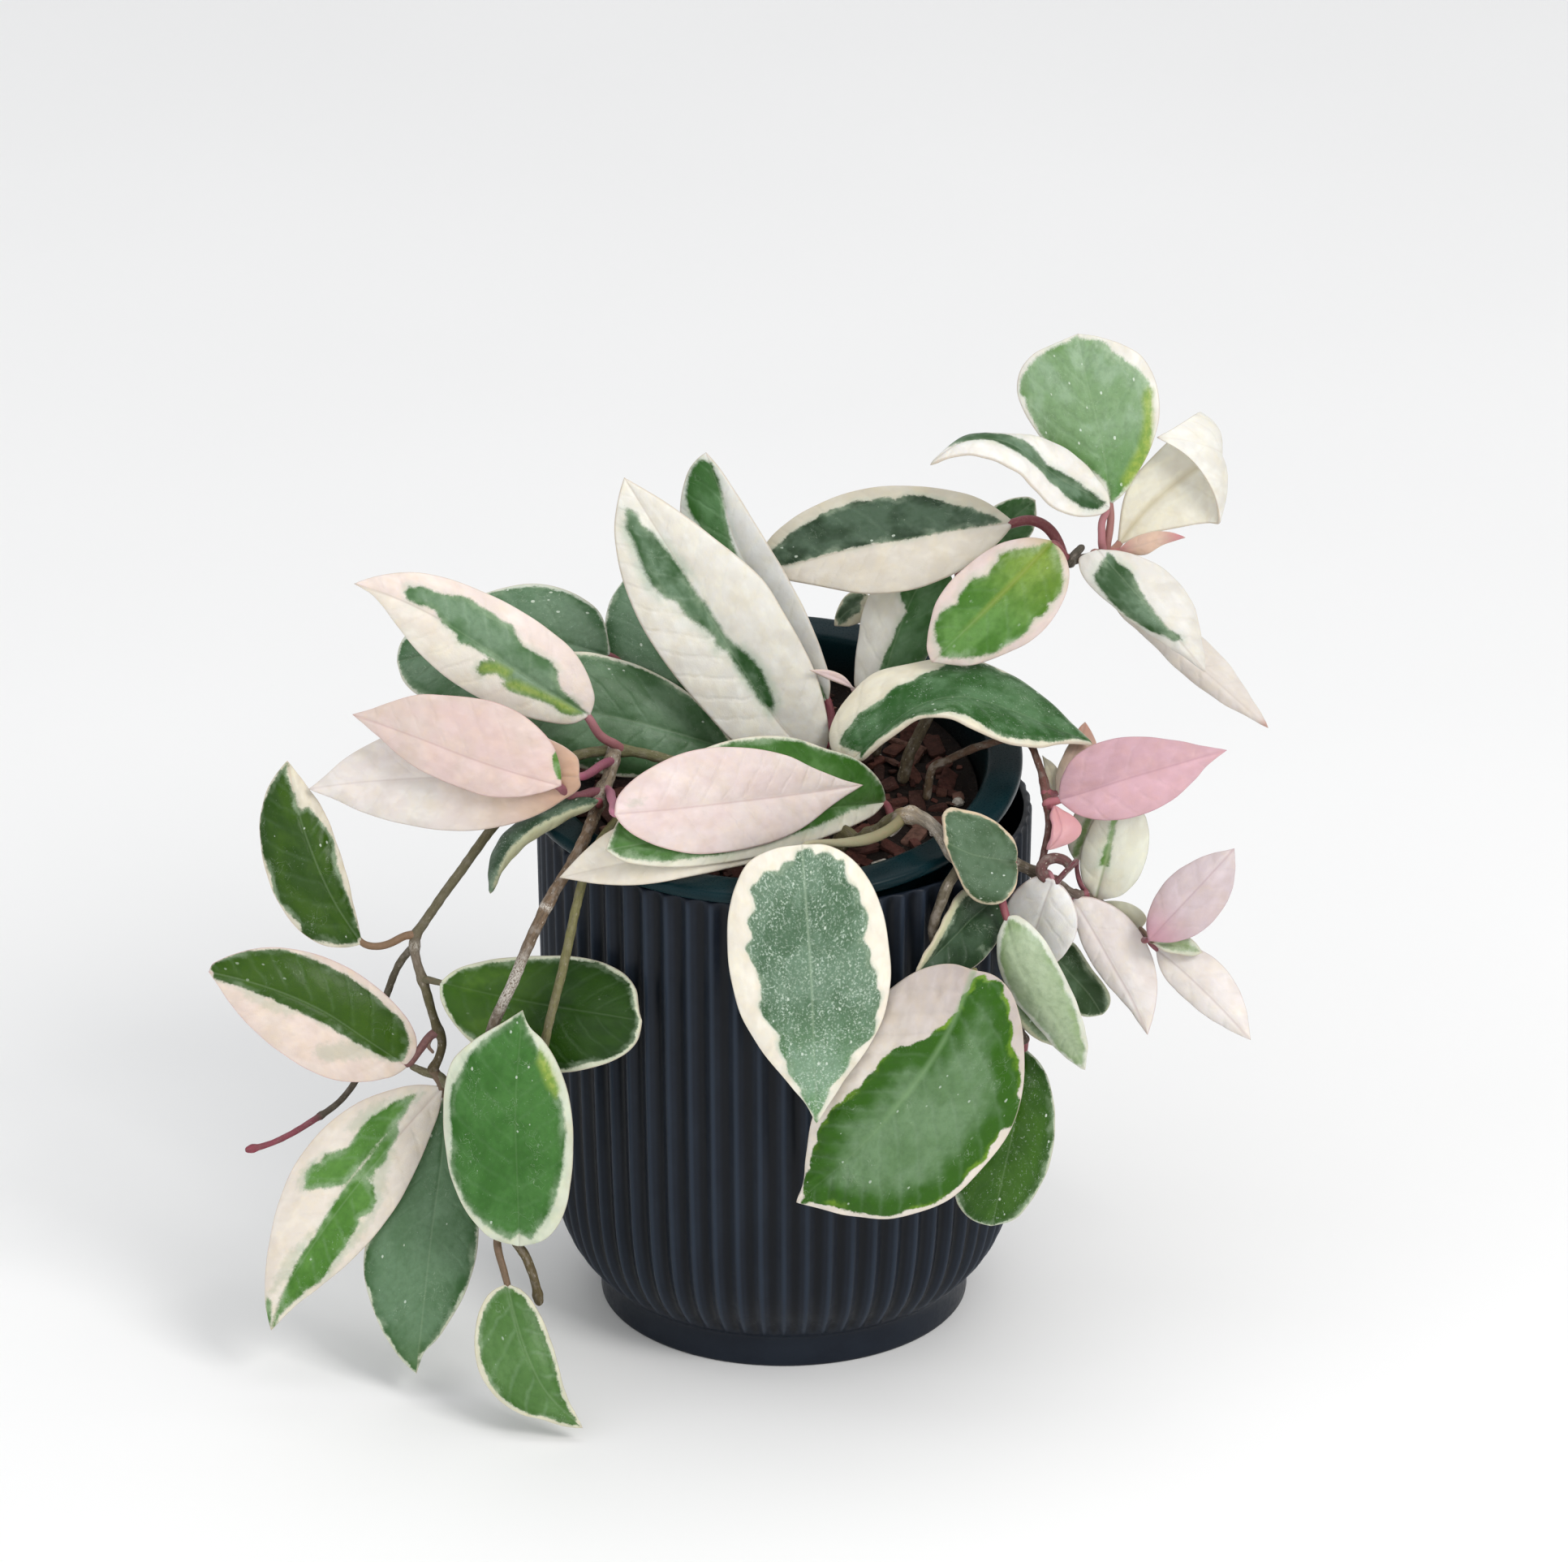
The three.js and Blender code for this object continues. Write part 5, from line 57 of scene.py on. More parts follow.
LEAVES = {
    'top_round': dict(ts=[0,0.012,0.03,0.06,0.1,0.16,0.24,0.33,0.43,0.53,0.63,0.72,0.8,0.87,0.93,0.97,1.0], root=[96.65,17.0,237.89],
        pet=[[97.27,16.74,240.91],[97.56,17.32,243.06],[98.28,18.91,247.68],[98.03,20.59,251.73]],
        st=[[[98.03,20.59,251.73],[98.03,20.59,251.73],[98.03,20.59,251.73]],[[97.22,20.76,252.01],[97.95,20.7,252.36],[98.71,20.84,252.2]],[[95.98,20.89,252.43],[97.82,20.87,253.31],[99.73,21.12,252.92]],[[93.93,21.1,253.21],[97.63,21.18,254.87],[101.39,21.55,254.2]],[[91.49,21.58,254.74],[97.37,21.62,256.94],[103.28,22.25,256.21]],[[88.36,22.58,257.66],[96.98,22.34,260.03],[105.61,23.46,259.59]],[[84.54,24.09,261.82],[96.42,23.43,264.07],[108.51,25.17,264.2]],[[80.3,25.88,266.52],[95.61,24.81,268.53],[111.03,27.31,269.68]],[[75.96,28.07,271.97],[94.53,26.54,273.36],[112.72,29.94,276.08]],[[72.11,30.49,277.68],[93.35,28.48,278.07],[112.64,32.74,282.61]],[[69.88,33.31,284.0],[92.14,30.64,282.69],[110.61,35.51,288.83]],[[71.18,35.96,289.75],[90.98,32.77,286.75],[106.9,37.69,293.54]],[[74.93,37.88,293.72],[90.05,34.82,290.32],[102.03,38.99,296.16]],[[79.5,38.95,295.74],[89.37,36.74,293.42],[97.34,39.83,297.66]],[[83.51,39.81,297.3],[88.85,38.48,296.05],[93.19,40.37,298.53]],[[86.21,40.34,298.3],[88.5,39.69,297.79],[90.36,40.57,298.81]],[[88.24,40.62,299.08],[88.24,40.62,299.08],[88.24,40.62,299.08]]]),
    'top_arched': dict(ts=[0,0.012,0.03,0.06,0.1,0.16,0.24,0.33,0.43,0.53,0.63,0.72,0.8,0.87,0.93,0.97,1.0], root=[96.65,17.0,237.89],
        pet=[[95.35,15.91,240.49],[95.55,15.44,243.86],[95.27,16.45,248.72],[97.69,17.42,251.75]],
        st=[[[97.69,17.42,251.75],[97.69,17.42,251.75],[97.69,17.42,251.75]],[[97.64,17.78,252.48],[97.07,17.07,252.37],[97.07,16.35,251.74]],[[97.61,18.02,253.71],[96.14,16.57,253.3],[96.15,14.97,251.61]],[[97.35,18.26,255.79],[94.59,15.78,254.84],[94.43,12.97,251.64]],[[96.11,18.4,258.35],[92.51,14.8,256.81],[91.96,10.74,252.15]],[[93.48,18.39,261.77],[89.23,13.38,259.45],[88.23,7.96,253.34]],[[89.93,18.43,266.24],[84.65,11.65,262.47],[83.45,5.28,255.87]],[[85.28,18.35,270.6],[79.86,10.41,266.21],[78.64,3.44,259.6]],[[79.16,17.84,274.01],[74.87,9.77,270.53],[74.55,2.8,264.73]],[[72.51,16.91,275.95],[69.93,9.73,274.63],[70.43,2.97,269.41]],[[65.72,15.69,276.71],[64.2,9.7,277.19],[65.02,3.31,272.25]],[[59.61,14.68,277.13],[58.67,9.47,277.75],[59.9,4.08,273.95]],[[54.3,13.52,276.55],[53.83,9.12,276.86],[55.16,5.03,274.55]],[[50.26,11.93,274.55],[49.99,8.65,274.94],[50.99,5.8,273.72]],[[47.2,10.36,272.31],[47.04,8.26,272.68],[47.57,6.5,272.14]],[[45.19,9.23,270.83],[45.1,8.09,271.09],[45.32,7.17,270.91]],[[43.62,8.05,269.92],[43.62,8.05,269.92],[43.62,8.05,269.92]]]),
    'top_folded': dict(ts=[0,0.06,0.13,0.22,0.31,0.4,0.5,0.6,0.7,0.78,0.86,0.93,1], root=[96.65,17.0,237.89],
        pet=[[98.05,19.63,237.05],[99.26,21.91,236.32],[100.54,24.09,236.98]],
        st=[[[100.54,24.09,236.98],[100.54,24.09,236.98],[100.54,24.09,236.98]],[[101.03,26.11,241.43],[103.53,27.19,240.18],[105.68,25.0,238.99]],[[101.53,28.6,245.69],[106.76,30.4,243.6],[111.08,26.27,240.57]],[[103.02,31.8,251.51],[110.73,33.71,247.25],[117.95,27.24,241.49]],[[105.73,34.19,255.55],[114.92,35.7,250.4],[122.37,28.1,242.18]],[[109.66,36.38,259.14],[119.33,37.22,253.75],[125.8,28.31,242.63]],[[114.09,38.77,263.18],[123.96,38.18,257.06],[127.98,27.95,243.05]],[[119.96,41.01,268.08],[128.8,38.01,260.31],[129.4,27.03,243.44]],[[125.78,41.65,273.11],[133.32,35.85,262.8],[130.81,25.65,244.02]],[[124.16,38.1,273.77],[131.12,31.18,265.81],[130.16,24.55,250.06]],[[121.35,34.72,273.58],[126.35,29.01,268.29],[127.84,24.42,257.0]],[[117.59,31.4,272.32],[119.73,28.59,269.78],[121.92,26.47,265.12]],[[111.92,28.8,270.23],[111.92,28.8,270.23],[111.92,28.8,270.23]]]),
    'top_bract': dict(ts=[0,0.012,0.03,0.06,0.1,0.16,0.24,0.33,0.43,0.53,0.63,0.72,0.8,0.87,0.93,0.97,1.0], root=[96.65,17.0,237.89],
        pet=[[96.65,17.0,237.89],[100.12,18.49,237.25]],
        st=[[[100.12,18.49,237.25],[100.12,18.49,237.25],[100.12,18.49,237.25]],[[100.32,18.58,237.41],[100.36,18.35,237.39],[100.38,18.4,237.25]],[[100.62,18.6,237.71],[100.72,18.13,237.59],[100.77,18.2,237.28]],[[101.1,18.6,238.24],[101.32,17.77,237.93],[101.41,17.85,237.34]],[[101.74,18.55,238.97],[102.12,17.31,238.37],[102.27,17.36,237.43]],[[102.7,18.42,240.06],[103.33,16.63,239.02],[103.55,16.63,237.57]],[[104.11,18.16,241.41],[104.93,15.77,239.88],[105.26,15.61,237.69]],[[105.9,17.68,242.67],[106.74,14.87,240.83],[107.17,14.49,237.83]],[[108.0,16.99,243.84],[108.72,13.95,241.91],[109.27,13.56,238.67]],[[110.18,16.14,244.8],[110.7,13.13,242.99],[111.13,12.92,240.14]],[[112.41,15.1,245.47],[112.71,12.34,243.95],[112.93,12.34,241.67]],[[114.42,13.99,245.82],[114.56,11.61,244.61],[114.68,11.73,242.85]],[[116.19,12.9,245.99],[116.22,10.95,245.04],[116.3,11.12,243.75]],[[117.7,11.84,245.99],[117.68,10.39,245.35],[117.74,10.57,244.48]],[[118.95,10.83,245.9],[118.94,9.94,245.59],[118.97,10.09,245.1]],[[119.78,10.11,245.85],[119.77,9.65,245.76],[119.79,9.76,245.53]],[[120.4,9.45,245.88],[120.4,9.45,245.88],[120.4,9.45,245.88]]]),
    'right_drooping': dict(ts=[0,0.012,0.03,0.06,0.1,0.16,0.24,0.33,0.43,0.53,0.63,0.72,0.8,0.87,0.93,0.97,1.0], root=[94.43,17.65,236.85],
        pet=[[93.23,15.06,238.09],[92.38,13.16,239.0],[94.03,11.97,240.84]],
        st=[[[94.03,11.97,240.84],[94.03,11.97,240.84],[94.03,11.97,240.84]],[[93.38,11.96,240.55],[94.41,11.61,240.51],[94.7,12.15,240.73]],[[92.37,11.8,240.24],[94.98,11.07,240.02],[95.71,12.21,240.68]],[[90.68,11.49,239.8],[95.93,10.19,239.19],[97.4,12.23,240.67]],[[88.66,10.83,238.82],[97.2,9.04,238.07],[99.63,12.14,240.63]],[[88.67,9.14,235.87],[99.1,7.39,236.37],[102.93,11.75,240.16]],[[90.83,7.02,232.24],[101.65,5.31,234.05],[107.18,10.94,239.0]],[[94.44,5.0,228.93],[104.5,3.14,231.36],[111.73,9.75,237.17]],[[98.95,3.0,225.69],[107.68,0.94,228.28],[116.24,8.02,234.34]],[[103.52,1.06,222.52],[110.92,-1.02,225.15],[120.05,5.93,230.8]],[[108.26,-0.75,219.53],[114.29,-2.72,222.03],[122.83,3.5,226.59]],[[112.67,-2.27,217.02],[117.33,-4.05,219.14],[124.3,1.1,222.4]],[[116.69,-3.54,214.91],[119.95,-5.12,216.43],[125.21,-1.11,218.58]],[[120.14,-4.69,212.98],[122.17,-5.98,213.94],[125.78,-3.09,215.22]],[[122.98,-5.75,211.18],[124.04,-6.63,211.74],[126.01,-4.85,212.33]],[[124.84,-6.53,209.96],[125.29,-7.02,210.26],[126.13,-6.1,210.44]],[[126.24,-7.29,209.14],[126.24,-7.29,209.14],[126.24,-7.29,209.14]]]),
    'right_drooping_back': dict(ts=[0,0.012,0.03,0.06,0.1,0.16,0.24,0.33,0.43,0.53,0.63,0.72,0.8,0.87,0.93,0.97,1.0], root=[93.88,17.81,236.58],
        pet=[[95.06,20.56,235.91],[95.23,21.33,235.66],[97.91,24.0,232.23]],
        st=[[[97.91,24.0,232.23],[97.91,24.0,232.23],[97.91,24.0,232.23]],[[97.99,23.9,231.31],[98.42,23.72,231.62],[98.57,24.13,231.57]],[[98.07,23.6,229.99],[99.19,23.3,230.71],[99.54,24.12,230.67]],[[98.11,23.02,227.82],[100.45,22.61,229.16],[101.16,23.99,229.2]],[[98.17,22.19,224.96],[102.12,21.71,227.09],[103.31,23.73,227.28]],[[98.82,20.91,220.74],[104.61,20.4,223.95],[106.53,23.25,224.44]],[[101.79,19.48,215.83],[107.95,18.74,219.74],[110.87,22.55,220.72]],[[106.67,18.31,211.36],[111.83,17.01,215.04],[115.9,21.75,216.75]],[[112.19,17.0,206.51],[116.43,15.33,209.96],[121.74,20.89,212.68]],[[117.44,15.54,201.42],[121.49,13.97,205.19],[127.2,19.73,208.22]],[[122.95,14.14,196.58],[126.83,12.87,200.62],[132.18,18.24,203.33]],[[128.38,13.08,192.78],[131.66,12.02,196.48],[136.25,16.66,198.63]],[[133.44,12.25,189.72],[135.88,11.33,192.67],[139.43,15.05,194.19]],[[138.03,11.61,187.31],[139.59,10.8,189.31],[142.02,13.52,190.23]],[[141.99,11.04,185.32],[142.78,10.4,186.4],[144.16,12.1,186.82]],[[144.58,10.56,183.93],[144.91,10.16,184.44],[145.51,11.05,184.55]],[[146.5,10.0,182.97],[146.5,10.0,182.97],[146.5,10.0,182.97]]]),
    'right_bright': dict(ts=[0,0.012,0.03,0.06,0.1,0.16,0.24,0.33,0.43,0.53,0.63,0.72,0.8,0.87,0.93,0.97,1.0], root=[86.93,20.6,233.93],
        pet=[[85.44,18.18,235.29],[84.45,16.39,236.29],[82.88,13.92,239.74],[80.65,14.0,242.88]],
        st=[[[80.65,14.0,242.88],[80.65,14.0,242.88],[80.65,14.0,242.88]],[[79.93,14.21,242.92],[80.23,13.7,242.52],[81.19,13.82,242.3]],[[78.85,14.37,243.06],[79.59,13.25,241.98],[82.02,13.46,241.51]],[[77.04,14.58,243.35],[78.53,12.51,241.06],[83.37,12.79,240.17]],[[74.6,14.74,243.61],[77.11,11.57,239.83],[84.72,11.75,238.11]],[[70.92,14.68,243.43],[74.99,10.21,237.96],[85.7,10.01,234.63]],[[66.13,14.27,242.47],[72.12,8.54,235.44],[85.14,7.68,229.86]],[[61.19,13.31,240.24],[68.85,6.86,232.59],[82.95,5.28,224.79]],[[56.23,11.89,236.91],[65.19,5.2,229.36],[79.18,2.99,219.76]],[[51.56,10.34,233.24],[61.55,3.77,226.01],[74.23,1.22,215.63]],[[47.63,8.53,228.88],[57.92,2.55,222.57],[68.34,0.1,212.67]],[[45.02,6.67,224.4],[54.64,1.64,219.4],[62.76,-0.6,210.46]],[[43.75,4.85,220.02],[51.71,0.99,216.53],[57.67,-1.0,208.84]],[[43.02,3.24,216.1],[49.14,0.55,213.98],[53.01,-0.87,208.35]],[[42.9,1.82,212.71],[46.94,0.25,211.75],[49.02,-0.42,208.63]],[[43.62,0.87,210.57],[45.47,0.09,210.25],[46.37,-0.1,208.91]],[[44.37,-0.0,209.11],[44.37,-0.0,209.11],[44.37,-0.0,209.11]]]),
    'top_long': dict(ts=[0,0.012,0.03,0.06,0.1,0.16,0.24,0.33,0.43,0.53,0.63,0.72,0.8,0.87,0.93,0.97,1.0], root=[84.12,22.07,233.1],
        pet=[[83.43,22.44,236.12],[82.16,23.93,239.18],[78.74,25.52,243.01],[73.84,26.15,244.61],[69.44,25.72,243.73]],
        st=[[[69.44,25.72,243.73],[69.44,25.72,243.73],[69.44,25.72,243.73]],[[68.61,26.39,244.22],[68.48,25.59,243.65],[68.81,25.11,243.08]],[[67.36,27.15,245.05],[67.03,25.4,243.52],[67.87,24.31,242.04]],[[65.2,28.24,246.43],[64.62,25.12,243.3],[66.22,23.09,240.34]],[[62.23,29.57,248.18],[61.42,24.79,242.99],[63.79,21.65,238.22]],[[57.3,31.18,250.11],[56.61,24.4,242.45],[59.87,19.79,235.23]],[[50.26,32.81,251.57],[50.21,24.05,241.58],[54.02,17.94,231.89]],[[42.08,34.19,252.12],[43.03,23.91,240.43],[46.93,16.63,228.8]],[[32.92,35.39,251.88],[35.08,24.05,238.85],[38.66,16.06,226.06]],[[23.8,36.18,250.62],[27.17,24.46,236.92],[30.05,16.58,224.43]],[[15.01,36.3,247.75],[19.29,25.17,234.69],[21.34,18.22,223.98]],[[7.52,35.97,244.09],[12.27,26.01,232.29],[13.63,20.64,224.52]],[[1.22,35.42,240.2],[6.04,26.97,229.96],[6.76,23.12,224.84]],[[-3.61,34.57,235.96],[0.47,28.21,228.3],[0.73,25.55,224.99]],[[-6.76,33.45,231.52],[-4.39,29.65,227.34],[-4.33,28.03,225.44]],[[-8.61,32.54,228.45],[-7.63,30.74,226.78],[-7.61,29.95,225.98]],[[-10.07,31.57,226.31],[-10.07,31.57,226.31],[-10.07,31.57,226.31]]]),
    'top_behind': dict(ts=[0,0.012,0.03,0.06,0.1,0.16,0.24,0.33,0.43,0.53,0.63,0.72,0.8,0.87,0.93,0.97,1.0], root=[62.85,24.55,215.62],
        pet=[[61.34,27.35,215.83],[55.29,35.85,214.82],[52.82,46.0,220.1]],
        st=[[[52.82,46.0,220.1],[52.82,46.0,220.1],[52.82,46.0,220.1]],[[52.97,46.09,220.5],[53.08,45.94,220.42],[53.25,45.95,220.19]],[[53.2,46.18,221.12],[53.48,45.87,220.89],[53.89,45.82,220.32]],[[53.57,46.31,222.16],[54.13,45.75,221.68],[54.97,45.57,220.53]],[[54.04,46.48,223.56],[55.0,45.61,222.72],[56.41,45.22,220.8]],[[54.74,46.75,225.65],[56.3,45.45,224.26],[58.55,44.74,221.25]],[[55.7,47.14,228.41],[58.05,45.32,226.28],[61.35,44.29,222.16]],[[56.98,47.61,231.42],[60.05,45.27,228.46],[64.21,44.16,223.86]],[[58.84,48.11,234.51],[62.36,45.31,230.75],[67.14,44.27,226.09]],[[61.13,48.57,237.29],[64.76,45.46,232.88],[70.21,44.37,228.08]],[[63.9,48.9,239.56],[67.2,45.73,234.89],[73.43,44.45,229.8]],[[66.78,49.02,241.04],[69.42,46.1,236.65],[75.48,45.0,232.23]],[[69.5,49.03,242.0],[71.38,46.53,238.17],[76.31,45.79,234.89]],[[71.95,48.95,242.51],[73.11,46.98,239.45],[76.66,46.56,237.28]],[[74.09,48.73,242.57],[74.6,47.42,240.53],[76.57,47.25,239.34]],[[75.42,48.38,242.19],[75.59,47.74,241.23],[76.42,47.71,240.7]],[[76.33,48.0,241.75],[76.33,48.0,241.75],[76.33,48.0,241.75]]]),
    'back_upright_right': dict(ts=[0,0.012,0.03,0.06,0.1,0.16,0.24,0.33,0.43,0.53,0.63,0.72,0.8,0.87,0.93,0.97,1.0], root=[29.59,22.68,181.1],
        pet=[[27.48,20.75,182.31],[27.58,20.83,182.69]],
        st=[[[27.58,20.83,182.69],[27.58,20.83,182.69],[27.58,20.83,182.69]],[[27.09,21.12,183.2],[27.73,20.94,183.29],[28.12,21.15,183.02]],[[26.34,21.44,183.97],[27.95,21.11,184.17],[28.94,21.47,183.57]],[[25.05,21.92,185.25],[28.31,21.42,185.63],[30.33,21.92,184.5]],[[23.37,22.56,187.0],[28.79,21.86,187.58],[32.19,22.47,185.75]],[[21.51,23.7,190.03],[29.51,22.58,190.46],[34.89,23.32,187.75]],[[21.29,25.53,194.66],[30.51,23.66,194.24],[38.03,24.64,190.84]],[[21.7,27.67,199.85],[31.75,25.02,198.39],[40.99,26.34,194.75]],[[22.59,30.11,205.54],[33.26,26.74,202.87],[43.93,28.34,199.29]],[[23.61,32.64,211.17],[34.87,28.65,207.22],[46.76,30.41,203.86]],[[26.0,35.09,216.38],[36.64,30.77,211.43],[49.07,32.61,208.66]],[[29.29,37.12,220.47],[38.45,32.82,215.06],[50.73,34.69,213.12]],[[33.09,38.64,223.33],[40.3,34.75,218.11],[51.67,36.61,217.2]],[[37.23,39.42,224.5],[42.04,36.53,220.68],[50.89,38.27,220.71]],[[40.96,39.8,224.84],[43.56,38.13,222.83],[48.45,39.3,222.91]],[[43.45,40.02,225.03],[44.56,39.25,224.25],[46.61,39.85,224.19]],[[45.3,40.11,225.32],[45.3,40.11,225.32],[45.3,40.11,225.32]]]),
    'back_small': dict(ts=[0,0.012,0.03,0.06,0.1,0.16,0.24,0.33,0.43,0.53,0.63,0.72,0.8,0.87,0.93,0.97,1.0], root=[28.95,42.28,207.0],
        pet=[[28.58,40.08,208.4],[28.37,38.82,209.23]],
        st=[[[28.37,38.82,209.23],[28.37,38.82,209.23],[28.37,38.82,209.23]],[[28.26,39.03,209.43],[28.19,38.85,209.29],[28.27,38.86,209.05]],[[28.12,39.28,209.75],[27.93,38.9,209.38],[28.13,38.85,208.81]],[[27.9,39.68,210.3],[27.49,38.99,209.55],[27.91,38.81,208.41]],[[27.61,40.2,211.05],[26.93,39.13,209.77],[27.62,38.75,207.87]],[[27.02,40.93,212.11],[26.07,39.36,210.1],[27.12,38.66,207.11]],[[25.68,41.75,213.16],[24.88,39.65,210.4],[26.21,38.63,206.31]],[[23.84,42.5,213.95],[23.47,39.87,210.34],[24.99,38.74,205.69]],[[21.56,43.0,214.07],[21.95,40.01,209.89],[23.57,38.93,205.15]],[[19.49,42.94,212.95],[20.52,40.12,209.16],[22.15,39.14,204.6]],[[17.78,42.67,211.33],[19.2,40.21,208.2],[20.74,39.35,204.04]],[[16.67,42.29,209.55],[18.17,40.27,207.12],[19.44,39.59,203.61]],[[16.01,41.9,207.81],[17.35,40.34,206.06],[18.26,39.87,203.37]],[[15.6,41.53,206.24],[16.65,40.43,205.1],[17.23,40.18,203.29]],[[15.45,41.19,204.87],[16.04,40.54,204.26],[16.34,40.46,203.28]],[[15.38,40.95,203.95],[15.63,40.62,203.71],[15.76,40.64,203.28]],[[15.31,40.7,203.3],[15.31,40.7,203.3],[15.31,40.7,203.3]]]),
    'centre_tall': dict(ts=[0,0.012,0.03,0.06,0.1,0.16,0.24,0.33,0.43,0.53,0.63,0.72,0.8,0.87,0.93,0.97,1.0], root=[15.25,6.74,173.63],
        pet=[[12.66,5.49,174.37],[11.28,4.87,174.79]],
        st=[[[11.28,4.87,174.79],[11.28,4.87,174.79],[11.28,4.87,174.79]],[[9.87,4.09,174.84],[10.27,4.7,175.69],[11.8,4.72,176.21]],[[7.77,3.01,174.82],[8.71,4.42,176.99],[12.63,4.59,178.29]],[[4.23,1.34,174.87],[6.11,3.97,179.13],[13.51,4.52,181.84]],[[-0.53,-0.34,175.88],[2.78,3.48,182.15],[13.3,4.59,186.69]],[[-7.38,-2.0,178.89],[-1.5,3.16,187.33],[12.12,4.81,193.82]],[[-15.54,-3.09,184.71],[-6.31,3.2,194.81],[9.56,5.23,202.97]],[[-22.86,-3.02,193.23],[-11.36,3.55,203.32],[5.27,5.81,212.61]],[[-30.58,-2.41,202.85],[-16.94,4.22,212.66],[-0.21,6.68,222.8]],[[-37.74,-1.19,212.67],[-22.31,5.23,221.96],[-6.18,7.84,232.49]],[[-43.72,0.75,222.99],[-27.52,6.56,231.21],[-14.36,8.62,240.27]],[[-47.67,3.14,232.76],[-32.2,8.01,239.41],[-22.11,9.5,246.71]],[[-49.99,5.72,241.66],[-36.59,9.43,246.48],[-29.15,10.5,252.14]],[[-50.79,8.28,249.53],[-40.53,10.8,252.54],[-35.54,11.45,256.49]],[[-49.99,10.66,256.2],[-43.9,12.09,257.68],[-41.15,12.38,259.96]],[[-48.93,12.33,260.51],[-46.17,13.0,261.07],[-44.97,13.05,262.1]],[[-47.86,13.72,263.6],[-47.86,13.72,263.6],[-47.86,13.72,263.6]]]),
    'centre_tall_back': dict(ts=[0,0.012,0.03,0.06,0.1,0.16,0.24,0.33,0.43,0.53,0.63,0.72,0.8,0.87,0.93,0.97,1.0], root=[14.25,12.0,181.27],
        pet=[[14.49,14.35,182.76],[14.54,14.85,183.08],[13.52,17.91,187.77]],
        st=[[[13.52,17.91,187.77],[13.52,17.91,187.77],[13.52,17.91,187.77]],[[12.46,17.88,188.28],[13.07,17.98,188.74],[13.63,17.84,188.93]],[[10.87,17.77,189.05],[12.39,18.09,190.2],[13.83,17.85,190.6]],[[8.68,17.89,191.01],[11.29,18.29,192.62],[14.05,17.95,193.37]],[[6.6,18.37,194.32],[9.82,18.58,195.85],[13.61,18.14,197.01]],[[3.6,19.15,199.34],[7.55,19.08,200.62],[12.04,18.49,202.23]],[[-1.08,20.08,205.56],[4.25,19.79,206.78],[9.78,19.13,209.03]],[[-6.64,21.14,212.28],[0.08,20.65,213.38],[6.8,20.05,216.41]],[[-13.29,22.28,219.28],[-4.57,21.8,220.6],[2.83,21.26,224.16]],[[-20.09,23.5,226.06],[-9.0,23.22,227.85],[-1.38,22.76,231.65]],[[-26.88,24.89,232.77],[-13.12,24.94,235.15],[-5.75,24.57,238.88]],[[-30.63,26.93,240.19],[-15.83,26.85,242.05],[-9.79,26.46,245.21]],[[-31.34,29.18,247.48],[-17.57,28.8,248.32],[-13.43,28.37,250.7]],[[-30.29,31.2,253.77],[-19.51,30.57,253.64],[-16.61,30.23,255.42]],[[-28.25,32.86,258.86],[-21.33,32.14,258.11],[-19.54,31.92,259.28]],[[-25.8,33.7,261.63],[-22.56,33.24,261.07],[-21.76,33.07,261.62]],[[-23.47,34.08,263.28],[-23.47,34.08,263.28],[-23.47,34.08,263.28]]]),
    'right_arch': dict(ts=[0,0.012,0.03,0.06,0.1,0.16,0.24,0.33,0.43,0.53,0.63,0.72,0.8,0.87,0.93,0.97,1.0], root=[16.63,-6.35,170.37],
        pet=[[16.8,-6.97,173.69],[19.29,-7.97,179.0]],
        st=[[[19.29,-7.97,179.0],[19.29,-7.97,179.0],[19.29,-7.97,179.0]],[[18.29,-6.72,179.39],[20.04,-8.09,179.76],[20.2,-9.32,179.92]],[[16.71,-5.62,180.22],[21.16,-8.25,180.89],[21.57,-10.72,180.99]],[[14.29,-4.06,182.0],[23.02,-8.47,182.77],[23.72,-12.5,182.89]],[[13.36,-1.77,185.6],[25.51,-8.7,185.23],[26.09,-14.16,185.96]],[[15.39,1.39,191.08],[29.3,-8.89,188.78],[29.59,-16.08,190.35]],[[20.48,4.87,197.49],[34.31,-8.79,193.4],[34.65,-18.0,195.39]],[[27.95,7.75,203.09],[40.46,-8.55,197.72],[40.94,-19.53,199.67]],[[38.8,8.72,205.18],[48.22,-8.5,200.57],[48.75,-21.31,200.92]],[[49.75,9.13,206.81],[56.37,-8.86,200.99],[56.12,-23.09,198.6]],[[60.71,7.98,205.81],[64.26,-9.68,198.84],[63.15,-23.9,194.89]],[[69.6,5.37,202.12],[71.22,-10.12,196.26],[70.04,-22.91,192.31]],[[76.84,2.36,197.87],[77.29,-10.25,193.47],[76.45,-20.53,190.87]],[[82.62,-0.76,193.63],[82.63,-10.04,190.94],[82.07,-17.3,190.18]],[[87.29,-3.81,189.84],[87.26,-9.6,188.75],[86.93,-14.06,188.94]],[[90.39,-6.15,187.46],[90.36,-9.19,187.24],[90.2,-11.57,187.54]],[[92.68,-8.82,186.08],[92.68,-8.82,186.08],[92.68,-8.82,186.08]]]),
    'centre_sprout': dict(ts=[0,0.012,0.03,0.06,0.1,0.16,0.24,0.33,0.43,0.53,0.63,0.72,0.8,0.87,0.93,0.97,1.0], root=[14.25,12.0,181.27],
        pet=[[14.25,12.0,181.27],[19.62,12.31,186.36],[21.56,10.29,195.47]],
